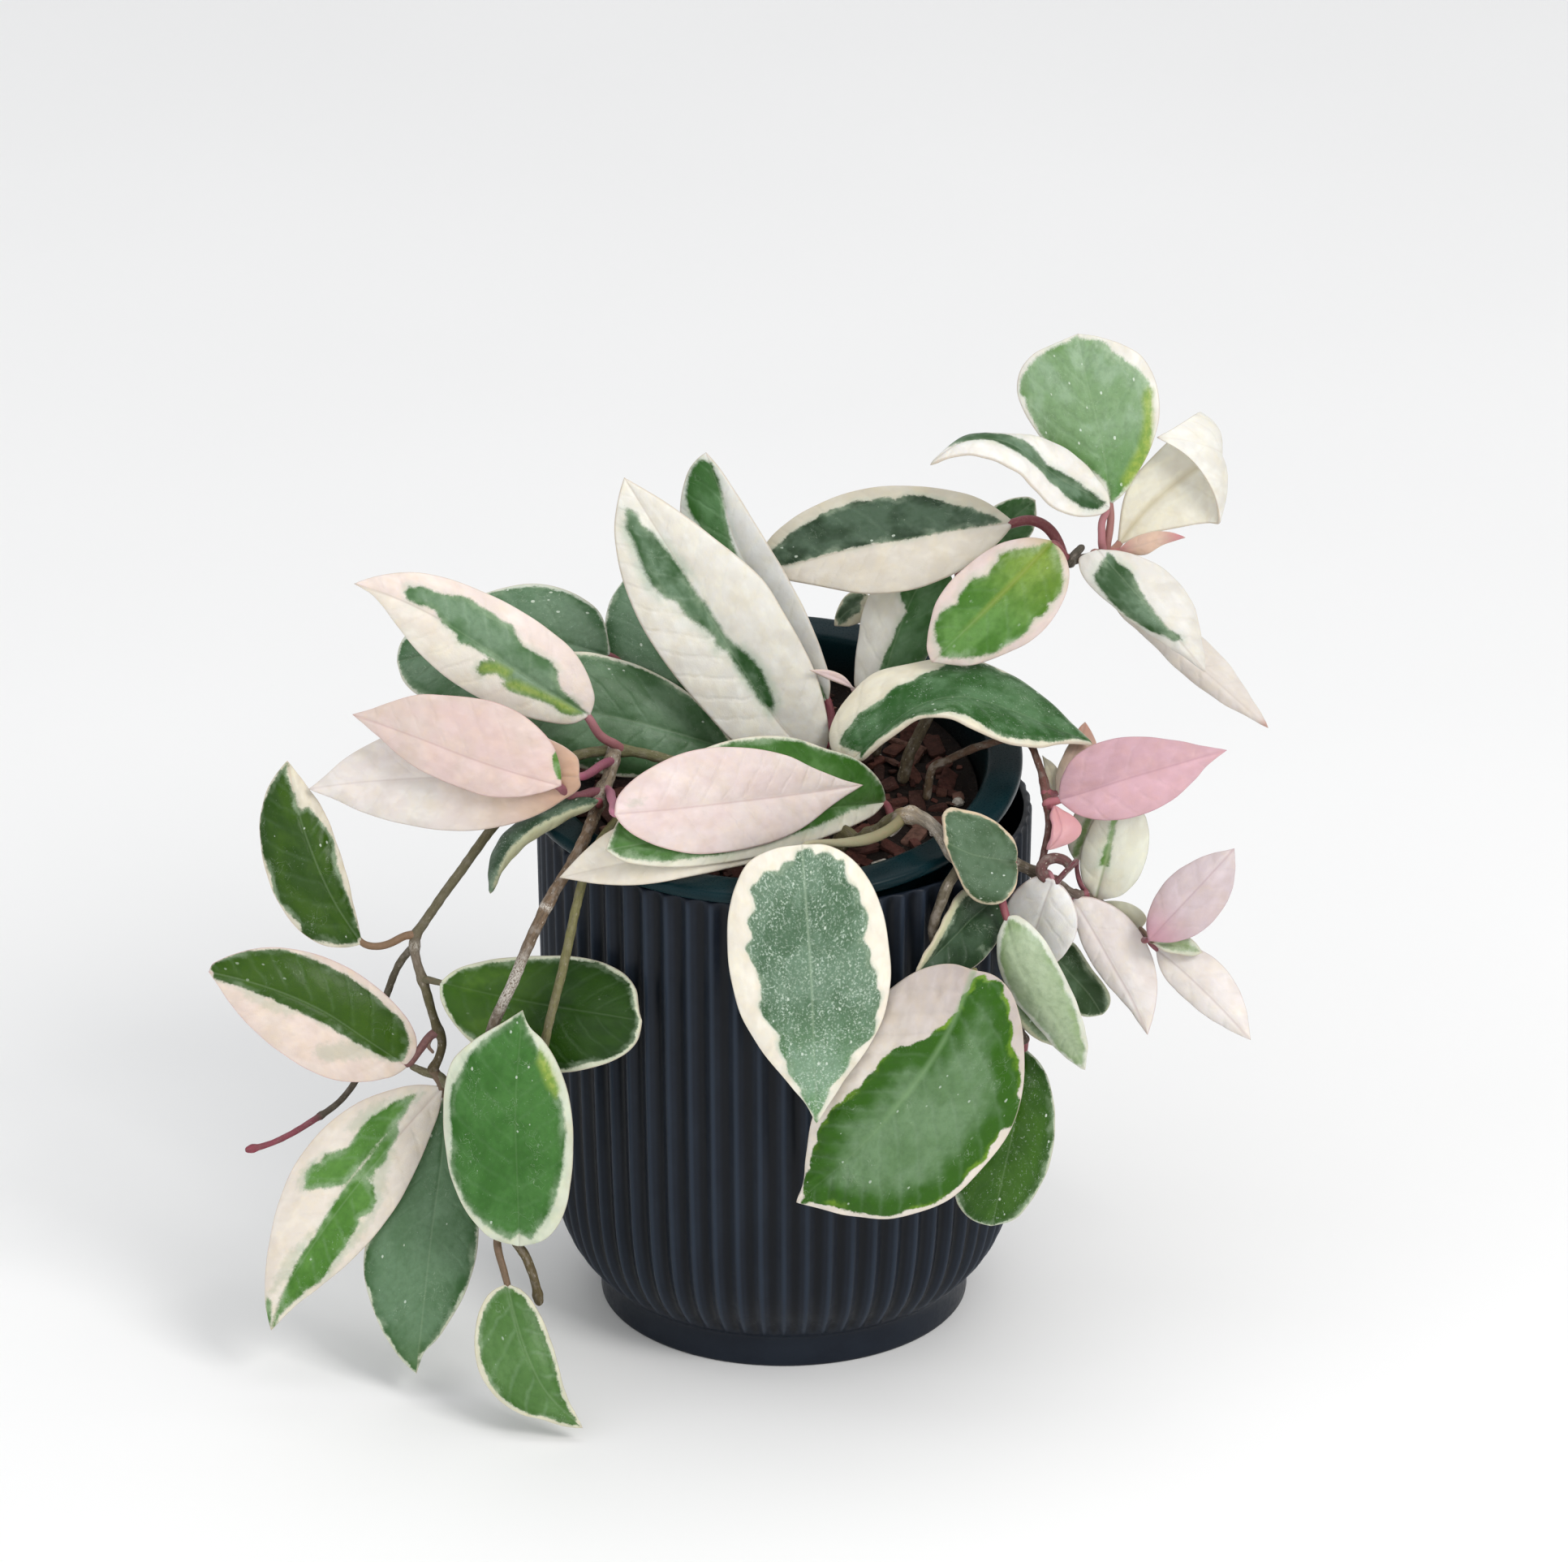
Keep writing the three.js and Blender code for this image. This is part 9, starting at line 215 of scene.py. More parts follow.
STEMS = {
    'stem_left_trailing': dict(r=[1.75,1.35], nodes=[[-49.1,-9.8,184.6],[-110.4,-38.7,136.8],[-103.6,-46.4,108.4],[-105.6,-49.0,96.9],[-105.6,-49.0,96.9],[-108.3,-44.0,124.5],[-110.8,-40.0,134.2],[-51.1,-10.0,184.7]],
        P=[[-16.83,-5.88,166.23],[-16.15,-6.0,169.96],[-20.17,-6.7,172.26],[-24.18,-7.4,175.29],[-28.35,-8.0,177.95],[-32.73,-8.42,180.02],[-37.23,-8.74,181.67],[-41.79,-9.11,183.06],[-46.4,-9.52,184.22],[-51.09,-10.01,184.74],[-55.78,-10.52,184.58],[-60.4,-11.21,183.97],[-64.84,-12.66,183.0],[-68.88,-15.54,181.76],[-72.53,-19.85,180.59],[-75.95,-24.97,179.51],[-79.3,-28.15,177.42],[-82.64,-24.37,171.9],[-85.76,-23.57,167.6],[-88.72,-25.06,164.26],[-91.49,-26.95,160.96],[-94.22,-28.72,157.57],[-96.99,-30.34,154.14],[-99.75,-31.9,150.67],[-102.48,-33.53,147.21],[-105.19,-35.24,143.78],[-107.82,-37.01,140.31],[-110.41,-38.71,136.79],[-110.71,-40.79,132.66],[-109.71,-42.75,128.51],[-108.21,-44.07,124.22],[-106.97,-44.75,119.53],[-105.68,-45.38,114.83],[-104.32,-46.08,110.18],[-102.77,-46.91,105.66],[-103.52,-47.97,101.1],[-105.62,-49.0,96.9]]),
    'stem_right_woody': dict(r=[2.7,1.6], nodes=[[25.1,-34.5,167.8],[16.6,-29.4,162.3],[34.9,-44.7,178.9],[65.1,-45.9,163.5],[68.4,-43.0,162.4],[61.8,-49.6,164.6],[75.5,-40.3,158.0],[87.6,-31.7,147.3],[110.2,-21.7,127.1],[110.2,-21.7,127.1],[110.2,-21.7,127.1],[110.2,-21.7,127.1],[92.7,-19.7,140.7],[89.3,-26.5,144.7],[90.3,-24.0,143.4],[53.2,-57.4,169.4]],
        P=[[16.63,-29.4,162.29],[17.99,-30.0,166.89],[21.61,-32.13,165.02],[25.21,-34.56,167.89],[28.67,-37.52,171.3],[31.79,-40.97,175.48],[35.29,-45.11,179.15],[39.14,-49.19,181.03],[42.62,-52.31,180.6],[45.52,-54.04,178.49],[47.64,-56.26,175.91],[49.46,-58.84,173.29],[52.45,-57.9,170.09],[56.28,-54.37,167.19],[60.26,-51.27,165.23],[64.25,-46.83,163.78],[68.24,-43.14,162.52],[72.05,-41.23,160.31],[75.65,-40.29,157.95],[79.34,-38.93,155.58],[82.87,-36.82,152.44],[86.3,-34.36,148.91],[90.57,-23.29,143.01],[94.5,-17.51,138.82],[97.88,-16.18,135.69],[101.2,-13.12,131.56],[104.37,-13.25,128.86],[107.41,-14.78,126.72],[110.22,-21.73,127.14]]),
    'stem_left_shoot': dict(r=[1.25,0.95], nodes=[],
        P=[[-110.79,-40.02,134.22],[-114.92,-36.85,127.57],[-117.06,-35.75,122.8],[-118.71,-34.82,117.86],[-120.23,-34.16,112.99],[-121.73,-33.84,108.28],[-123.2,-33.84,103.7],[-124.7,-34.07,99.26],[-126.22,-34.53,94.92],[-127.74,-35.21,90.7],[-129.59,-36.07,86.72],[-132.07,-37.04,83.2],[-135.06,-38.14,80.2],[-138.54,-39.27,77.87],[-142.19,-40.45,75.82],[-145.85,-41.57,73.77],[-149.63,-42.67,71.92],[-153.51,-43.8,70.33],[-157.59,-44.9,69.3],[-161.77,-46.0,68.67]]),
    'stem_front_left_woody': dict(r=[2.3,1.6], nodes=[[-54.5,-28.7,179.0],[-51.6,-15.4,183.2],[-55.6,-34.4,177.9],[-53.9,-26.3,179.6],[-82.6,-75.9,57.0]],
        P=[[-51.09,-10.01,184.74],[-52.43,-21.46,181.41],[-54.3,-27.63,179.24],[-55.76,-35.65,177.77],[-57.26,-45.69,177.3],[-59.0,-52.59,175.47],[-61.08,-58.24,173.25],[-63.52,-57.54,168.2],[-66.22,-58.39,164.07],[-68.75,-60.62,160.48],[-70.96,-62.89,156.73],[-73.08,-64.87,152.78],[-75.17,-66.66,148.72],[-77.17,-68.04,144.42],[-79.01,-68.73,139.69],[-80.96,-69.26,134.94],[-83.07,-69.81,130.26],[-85.2,-70.41,125.62],[-87.0,-71.02,120.84],[-87.69,-71.1,115.46],[-87.96,-71.03,109.96],[-88.19,-70.98,104.45],[-88.36,-70.92,98.93],[-88.41,-70.95,93.44],[-88.29,-71.13,88.03],[-88.01,-71.5,82.71],[-87.57,-72.05,77.49],[-86.9,-72.75,72.37],[-85.9,-73.58,67.38],[-84.64,-74.55,62.52],[-83.03,-75.66,57.85],[-80.72,-76.83,53.57],[-77.89,-78.0,49.63],[-75.93,-78.66,44.88],[-74.52,-79.3,39.88],[-73.61,-80.0,34.77]]),
    'stem_front_left_green': dict(r=[1.5,1.3], nodes=[[-78.5,-76.0,64.2]],
        P=[[-40.79,-7.84,165.9],[-40.6,-8.0,169.37],[-45.51,-25.45,172.66],[-49.73,-37.22,174.01],[-53.26,-50.26,175.27],[-56.28,-58.68,173.93],[-58.68,-58.92,168.33],[-60.24,-60.06,162.8],[-61.6,-62.24,157.71],[-62.77,-64.92,152.8],[-63.97,-66.94,147.59],[-65.2,-68.27,142.04],[-66.54,-69.39,136.42],[-68.05,-70.36,130.76],[-69.49,-71.11,124.98],[-70.84,-71.62,119.04],[-72.03,-72.0,112.99],[-73.04,-72.29,106.84],[-73.94,-72.56,100.66],[-74.79,-72.91,94.5],[-75.57,-73.41,88.39],[-76.26,-74.04,82.33],[-76.93,-74.74,76.29],[-77.68,-75.39,70.23],[-78.5,-76.0,64.15]]),
    'stem_right_back': dict(r=[1.5,1.2], nodes=[[78.8,-24.6,173.7],[79.0,-25.6,172.7],[78.5,-22.4,176.4],[78.8,-24.1,174.3]],
        P=[[43.1,-3.92,166.56],[45.0,-4.0,176.39],[49.05,-3.87,178.5],[53.09,-3.8,180.67],[57.23,-4.01,182.67],[61.5,-4.62,184.47],[65.8,-5.57,186.25],[70.21,-7.05,187.59],[73.94,-9.83,186.62],[75.75,-13.61,183.84],[77.22,-17.56,181.0],[78.18,-21.16,177.83],[78.76,-24.13,174.3],[79.19,-27.32,170.85],[79.1,-30.64,167.44],[78.23,-33.38,163.86],[77.2,-36.0,160.26]]),
    'stem_upper_right': dict(r=[1.9,1.5], nodes=[[96.7,17.0,237.9],[96.7,17.0,237.9],[96.7,17.0,237.9],[96.7,17.0,237.9],[94.4,17.7,236.8],[93.9,17.8,236.6],[86.9,20.6,233.9],[84.1,22.1,233.1],[62.8,24.6,215.6]],
        P=[[36.03,5.88,168.2],[37.78,6.0,175.89],[40.88,9.44,181.21],[44.01,12.72,186.59],[47.27,15.69,192.04],[50.56,18.34,197.6],[54.03,20.67,203.2],[57.83,22.63,208.73],[61.83,24.23,214.27],[66.14,25.33,219.74],[71.11,25.61,224.9],[76.83,24.75,229.49],[83.29,22.45,232.79],[90.07,19.07,234.9],[96.65,17.0,237.89]]),
    'stem_right_low': dict(r=[1.7,1.3], nodes=[[55.5,-66.2,135.7],[71.8,-60.0,112.6],[63.4,-64.8,128.5]],
        P=[[53.2,-57.35,169.43],[48.6,-61.35,164.02],[46.81,-62.82,159.77],[45.16,-64.32,155.48],[44.28,-64.94,150.56],[45.54,-65.09,145.5],[48.0,-65.62,141.14],[51.46,-66.22,137.74],[55.87,-66.17,135.52],[59.91,-65.67,132.3],[63.57,-64.79,128.31],[66.78,-63.52,123.61],[69.36,-61.8,118.17],[71.8,-60.0,112.57]]),
    'stem_centre': dict(r=[2.0,1.2], nodes=[[15.3,6.7,173.6],[14.2,12.0,181.3],[16.6,-6.4,170.4],[14.2,12.0,181.3],[14.6,9.8,177.6]],
        P=[[15.82,-1.96,166.88],[17.16,-2.0,170.88],[16.91,-3.38,168.95],[16.66,-6.48,170.29],[16.44,-2.99,170.45],[16.21,-0.0,170.85],[15.94,2.45,171.48],[15.65,4.64,172.24],[15.35,6.3,173.24],[15.08,7.49,174.45],[14.86,8.51,175.75],[14.69,9.43,177.1],[14.54,10.3,178.48],[14.4,11.15,179.88],[14.25,12.0,181.27]]),
    'stem_left_back': dict(r=[1.6,1.2], nodes=[[-49.2,24.0,196.4],[-31.1,27.7,179.5]],
        P=[[-20.84,25.48,171.48],[-20.25,26.0,175.16],[-22.65,26.93,174.62],[-25.05,27.61,175.75],[-27.42,27.92,177.09],[-29.79,27.86,178.6],[-32.13,27.6,180.23],[-34.45,27.24,181.95],[-36.71,26.83,183.77],[-38.94,26.36,185.69],[-41.12,25.85,187.68],[-43.25,25.32,189.74],[-45.32,24.83,191.87],[-47.28,24.41,194.1],[-49.2,24.0,196.37]]),
    'stem_back': dict(r=[1.4,1.0], nodes=[[29.6,22.7,181.1],[29.0,42.3,207.0]],
        P=[[27.97,19.6,170.49],[29.56,20.0,177.13],[29.58,21.72,179.68],[29.6,23.44,182.23],[29.59,25.23,184.76],[29.54,27.16,187.22],[29.46,29.23,189.62],[29.35,31.33,192.01],[29.24,33.4,194.41],[29.15,35.38,196.86],[29.08,37.24,199.36],[29.03,38.99,201.91],[28.99,40.68,204.49],[28.95,42.33,207.08],[28.9,44.0,209.67]]),
}
INSTEM = ["centre_sprout","right_end_small","right_pale_sliver","top_bract"]
ZONES = {
    'top_round': {"green":[[[51.9,-0.4],[48.8,-4.1],[45.7,-8.7],[42.6,-13.0],[41.2,-15.3],[39.3,-17.1],[37.3,-19.4],[35.6,-20.5],[34.3,-21.1],[32.3,-21.4],[31.1,-19.9],[29.0,-20.1],[27.0,-19.5],[25.0,-18.6],[22.9,-17.8],[21.4,-17.0],[18.8,-13.1],[16.7,-9.6],[14.1,-6.4],[10.6,-3.2],[6.9,-0.4],[0.4,0.3],[2.6,2.3],[5.8,5.1],[9.1,8.3],[11.9,11.0],[14.5,12.7],[17.1,14.5],[19.1,14.9],[21.6,15.8],[23.6,16.1],[25.6,16.9],[27.7,18.1],[29.3,17.6],[30.7,18.3],[31.8,18.3],[33.5,17.0],[35.2,16.1],[36.7,14.6],[38.0,12.9],[39.1,12.8],[41.5,9.9],[43.5,9.6],[45.4,8.1],[48.2,5.0],[49.5,2.3]]],"lime":[[[29.7,19.0],[30.6,17.0],[28.4,14.7],[23.6,13.8],[17.7,11.1],[12.5,7.2],[8.0,3.9],[4.9,4.8],[9.2,10.4],[14.4,15.0],[20.1,16.1]]]},
    'top_arched': {"green":[[[65.7,-0.5],[61.9,-2.4],[58.5,-3.6],[55.1,-4.6],[51.2,-4.8],[46.8,-2.7],[42.0,-3.0],[37.9,-3.3],[34.9,-2.7],[31.7,-2.5],[27.8,-1.1],[22.5,-1.8],[17.6,-1.9],[12.4,-1.1],[6.0,-0.7],[2.9,-0.7],[5.1,2.6],[8.3,4.6],[12.3,5.7],[15.4,5.4],[18.9,5.1],[22.2,4.1],[26.6,3.8],[29.2,3.1],[31.0,2.6],[34.8,3.1],[37.9,2.8],[41.4,2.5],[44.6,1.2],[48.9,0.3],[53.4,0.3],[57.9,-0.7],[62.5,-2.1]]]},
    'right_drooping': {"green":[[[3.2,1.4],[5.3,2.5],[8.2,2.1],[12.0,3.2],[14.5,2.9],[18.2,1.7],[22.8,0.7],[27.9,0.3],[32.8,-0.0],[36.3,1.1],[37.7,0.7],[36.8,-1.2],[33.7,-2.6],[31.4,-4.8],[28.3,-6.2],[24.9,-7.5],[22.2,-8.3],[18.4,-8.7],[15.2,-8.4],[12.9,-8.3],[10.3,-7.3],[8.2,-4.7],[6.7,-2.8],[3.8,-0.2]]]},
    'right_bright': {"green":[[[0.2,0.3],[3.8,4.3],[7.2,7.8],[10.7,11.1],[13.9,13.1],[16.5,13.4],[18.2,12.2],[18.6,13.7],[20.6,13.8],[23.0,12.3],[25.6,13.6],[28.5,13.6],[31.8,12.4],[35.6,11.3],[38.5,9.4],[41.3,7.1],[46.3,2.9],[48.7,0.3],[46.5,-1.0],[45.0,-3.6],[42.7,-6.5],[40.2,-8.5],[37.4,-9.1],[34.8,-8.2],[33.0,-6.9],[31.3,-8.3],[28.7,-8.8],[25.1,-9.3],[22.8,-7.4],[21.2,-6.7],[19.5,-7.6],[17.2,-7.5],[15.8,-8.6],[12.7,-7.4],[9.4,-5.2],[5.8,-2.6],[3.1,-1.4]]]},
    'top_long': {"green":[[[72.8,0.1],[73.6,-5.2],[68.7,-8.1],[66.4,-9.7],[62.0,-11.1],[57.4,-11.8],[56.6,-12.9],[52.7,-13.6],[48.4,-13.8],[46.0,-14.7],[41.5,-13.7],[36.7,-13.9],[34.6,-12.4],[31.5,-13.4],[26.4,-12.1],[22.5,-10.0],[17.9,-7.6],[13.7,-6.3],[9.8,-4.2],[6.4,-2.5],[4.1,-0.6],[10.2,-0.1],[15.8,-0.1],[22.8,0.0],[29.3,0.3],[35.5,0.4],[41.9,-0.2],[48.4,-0.4],[53.6,-0.4],[59.6,-0.4],[66.4,-0.4]]]},
    'back_upright_right': {"green":[[[36.7,-4.6],[32.7,0.2],[29.4,-0.7],[22.8,-0.9],[18.6,-1.6],[13.1,-2.0],[2.6,-0.6],[10.0,6.1],[20.3,10.7],[23.5,13.2],[31.7,12.8],[44.8,9.1],[50.8,0.0],[40.9,-3.5]]]},
    'back_small': {"green":[[[8.9,-4.5],[4.2,-3.6],[6.1,1.9],[11.4,2.1],[14.4,1.1],[13.8,-1.5],[10.3,-2.8]]]},
    'right_arch': {"green":[[[7.7,-8.9],[11.0,-9.8],[13.9,-10.0],[16.4,-10.7],[19.2,-10.2],[22.2,-9.7],[24.4,-9.2],[26.6,-10.2],[28.9,-10.3],[32.4,-10.0],[35.9,-11.8],[40.0,-12.9],[42.9,-15.4],[45.2,-15.1],[46.7,-12.7],[48.9,-15.9],[52.4,-18.0],[55.1,-17.8],[56.7,-15.8],[59.9,-16.4],[63.1,-15.3],[66.2,-13.5],[69.3,-11.9],[71.7,-10.5],[74.3,-7.5],[77.9,-5.3],[81.5,-2.5],[84.4,0.0],[77.1,3.9],[74.0,6.7],[68.5,8.6],[61.8,11.1],[57.4,12.8],[52.7,13.7],[49.5,12.8],[45.8,12.0],[42.6,11.1],[38.3,10.9],[33.6,11.9],[28.4,10.9],[23.4,8.7],[17.8,7.1],[12.1,4.3],[7.3,3.8],[5.2,3.8]]]},
    'centre_tall': {"green":[[[99.5,-4.7],[96.8,-2.9],[93.0,-3.3],[89.0,-1.8],[82.0,-0.8],[76.3,-0.2],[72.2,0.0],[66.5,0.2],[61.2,1.2],[56.3,1.2],[50.8,1.3],[45.5,2.9],[41.3,4.2],[36.7,4.8],[30.5,4.0],[25.3,2.9],[23.4,0.4],[28.1,-1.1],[35.1,-0.8],[41.2,-1.2],[46.8,-1.2],[49.8,-3.1],[53.2,-2.3],[58.5,-4.1],[62.7,-6.2],[68.3,-6.8],[71.2,-9.4],[75.6,-10.6],[80.4,-10.2],[85.0,-9.3],[89.9,-8.4],[93.5,-8.0]]]},
    'centre_tall_back': {"green":[[[83.7,-2.5],[82.8,0.8],[77.9,0.7],[71.9,0.3],[64.5,-0.5],[57.4,-1.1],[51.8,-1.8],[57.0,-6.5],[63.3,-9.0],[67.8,-11.3],[72.1,-11.2],[76.4,-9.3],[80.9,-5.9]],[[9.3,-1.1],[5.9,0.3],[1.1,0.2],[3.4,-1.6],[7.1,-2.0]]]},
    'left_upper': {"green":[[[66.7,-2.4],[65.9,-4.6],[62.0,-6.4],[56.1,-6.9],[51.3,-9.5],[48.8,-9.8],[45.3,-9.6],[41.4,-10.1],[38.6,-9.4],[35.9,-10.3],[33.4,-8.6],[30.0,-6.9],[26.9,-7.2],[21.2,-8.1],[18.1,-6.8],[14.3,-3.2],[11.2,-2.2],[6.8,-1.5],[1.4,-0.5],[2.5,0.8],[6.6,3.0],[9.7,3.9],[12.2,3.2],[15.2,3.5],[18.6,4.2],[22.9,5.5],[27.0,6.6],[29.4,5.9],[28.7,4.7],[31.7,4.4],[35.8,7.2],[37.9,7.4],[37.5,3.9],[34.0,1.4],[36.4,1.8],[42.8,1.8],[45.3,3.1],[47.7,1.2],[52.6,0.6],[56.5,-1.7],[62.5,-0.8],[65.2,-1.0]]],"lime":[[[36.6,3.6],[37.7,6.7],[35.8,6.8],[31.8,4.3],[28.4,3.9],[27.4,0.7],[32.6,1.3]],[[28.3,4.4],[28.7,5.8],[27.0,6.2],[23.1,5.1],[18.8,3.8],[15.4,3.1],[12.3,2.7],[9.8,3.4],[6.6,2.6],[3.2,0.4],[6.7,0.1],[11.3,0.2],[17.4,1.0],[22.4,1.6],[25.9,2.4]]]},
    'front_hanging': {"green":[[[16.2,-15.6],[13.0,-11.4],[10.4,-7.7],[1.7,0.5],[4.0,3.1],[8.5,9.1],[11.7,13.5],[15.1,12.8],[21.0,16.5],[25.9,18.0],[30.6,18.1],[32.8,16.2],[36.1,18.0],[40.7,18.6],[46.7,20.4],[53.4,19.1],[58.7,17.8],[62.9,12.3],[70.8,7.7],[77.8,2.6],[86.2,0.0],[79.4,-2.6],[69.4,-7.3],[63.2,-9.3],[57.7,-10.0],[51.3,-14.3],[48.2,-15.8],[43.2,-14.5],[39.5,-16.5],[34.1,-19.1],[30.1,-17.4],[27.6,-18.3],[22.4,-16.0],[19.3,-17.3]]]},
    'front_broad': {"green":[[[2.5,1.1],[2.8,3.5],[6.8,11.0],[11.2,14.0],[16.1,17.2],[21.8,20.4],[24.6,24.4],[30.8,28.1],[36.1,34.8],[39.4,29.2],[46.3,31.0],[53.2,29.8],[58.4,29.6],[66.5,25.3],[72.9,20.7],[79.2,14.7],[83.7,8.1],[92.8,1.2],[88.2,-2.7],[78.8,-7.5],[71.6,-11.4],[63.6,-13.8],[56.4,-13.1],[49.6,-11.7],[42.6,-11.6],[37.1,-11.6],[32.1,-8.3],[28.2,-5.2],[23.4,-3.7],[15.9,-0.7],[8.1,-0.1]]]},
    'left_upright_dark': {"green":[[[60.0,0.1],[55.9,-4.4],[51.7,-7.8],[46.9,-11.2],[43.1,-13.5],[39.3,-14.6],[35.2,-14.9],[31.0,-14.8],[28.1,-15.9],[24.8,-16.2],[20.6,-14.3],[17.3,-13.0],[14.6,-15.4],[10.4,-9.7],[7.1,-6.9],[2.1,-1.2],[2.4,0.7],[10.6,3.3],[17.1,4.1],[25.3,5.3],[32.8,7.4],[37.5,5.9],[40.9,4.9],[44.8,2.9],[44.7,0.6],[49.0,0.2],[52.9,-0.4],[56.9,-0.6]]]},
    'left_half_green': {"green":[[[67.6,-1.7],[63.3,-5.5],[57.8,-8.9],[53.7,-10.6],[48.5,-12.6],[43.5,-12.7],[38.3,-12.8],[33.4,-12.8],[26.8,-12.5],[19.6,-12.0],[14.2,-11.3],[10.1,-9.1],[6.8,-5.8],[2.8,-0.2],[6.8,1.5],[16.9,2.5],[27.4,3.2],[39.2,3.4],[47.2,2.9],[54.7,2.3],[61.7,1.9],[66.6,1.5]]],"faint":[[[31.2,13.0],[30.7,9.6],[21.4,2.8],[12.2,-2.0],[8.0,-0.3],[11.6,3.3],[23.3,10.7],[26.5,13.4]],[[56.9,1.8],[49.0,2.8],[40.8,3.8],[39.7,5.5],[47.4,6.6],[55.5,5.0]]]},
    'left_low_cream': {"green":[[[93.1,0.0],[84.5,0.0],[76.4,-0.3],[67.6,-1.4],[61.0,-1.1],[53.2,-1.9],[45.9,-2.4],[41.6,-2.9],[36.4,-2.7],[33.3,-2.5],[29.9,-2.8],[24.5,-3.2],[17.5,-3.5],[19.4,-0.7],[21.9,0.2],[26.1,0.6],[27.5,1.4],[30.2,1.7],[33.0,1.2],[34.6,2.2],[36.0,0.6],[36.7,3.7],[38.0,4.4],[39.8,7.0],[43.2,8.0],[45.5,7.2],[47.5,6.2],[49.5,7.4],[54.1,7.5],[57.0,8.3],[60.0,8.0],[63.0,7.6],[67.0,8.2],[71.1,7.8],[75.0,5.7],[78.4,4.9],[82.5,3.3],[87.0,1.2],[91.0,0.6]],[[50.1,-11.7],[48.0,-13.8],[45.9,-14.9],[43.2,-14.7],[40.9,-12.9],[39.3,-13.8],[32.9,-9.5],[31.5,-9.7],[26.9,-10.5],[22.6,-10.3],[14.5,-7.8],[8.1,-4.6],[14.3,-3.0],[21.5,-3.1],[29.5,-3.3],[35.6,-3.1],[40.5,-2.9],[42.1,-3.4],[45.4,-6.5],[48.0,-9.7]],[[93.1,0.0],[89.7,-2.1],[86.2,-3.6],[82.9,-4.1],[83.7,-2.2],[87.4,-1.2],[91.0,-0.6]]],"faint":[[[4.8,-2.5],[11.8,-3.4],[18.8,-2.2],[23.9,1.8],[31.6,5.1],[37.0,7.9],[43.7,9.9],[50.1,10.5],[57.9,10.1],[64.5,9.2],[70.9,8.5],[65.4,7.4],[56.5,7.7],[48.9,6.9],[43.6,7.2],[39.1,4.7],[35.4,1.0],[29.9,0.6],[22.3,-2.3],[14.0,-3.5],[6.8,-3.7]],[[57.6,-2.9],[64.6,-4.4],[70.4,-5.2],[76.6,-4.4],[82.0,-4.0],[81.1,-1.8],[73.3,-1.2],[63.9,-1.4],[58.7,-1.9]],[[51.5,-12.2],[50.9,-14.5],[47.2,-16.7],[44.3,-16.4],[40.9,-14.9],[42.1,-11.2],[48.6,-12.1]],[[30.6,-14.2],[25.0,-14.3],[19.7,-13.0],[15.3,-10.2],[19.6,-9.0],[28.7,-10.5]]]},
    'left_low_green': {"green":[[[47.2,-20.2],[38.7,-19.4],[30.3,-20.5],[20.8,-17.0],[12.5,-10.5],[4.9,-3.3],[6.0,4.6],[12.0,7.5],[20.4,11.7],[30.9,14.1],[40.6,15.2],[48.4,14.0],[54.6,11.2],[59.5,9.2],[62.6,7.2],[67.5,4.0],[73.8,0.6],[76.5,0.0],[72.7,-3.6],[68.4,-8.1],[63.4,-12.8],[59.1,-15.5],[55.3,-17.0],[50.9,-19.6]]],"lime":[[[65.8,5.8],[59.8,10.1],[53.0,13.0],[50.6,11.7],[54.3,8.5],[61.1,5.1]]]},
    'left_pink': {"green":[[[9.1,-9.2],[8.9,-12.0],[7.7,-10.7],[5.2,-7.6],[3.0,-4.5],[1.3,-1.9],[3.0,-2.1],[6.4,-5.2]]]},
    'front_pink': {"faint":[[[4.9,-3.5],[8.7,-4.6],[12.0,-3.9],[10.0,-2.0],[5.3,-1.0]]]},
}

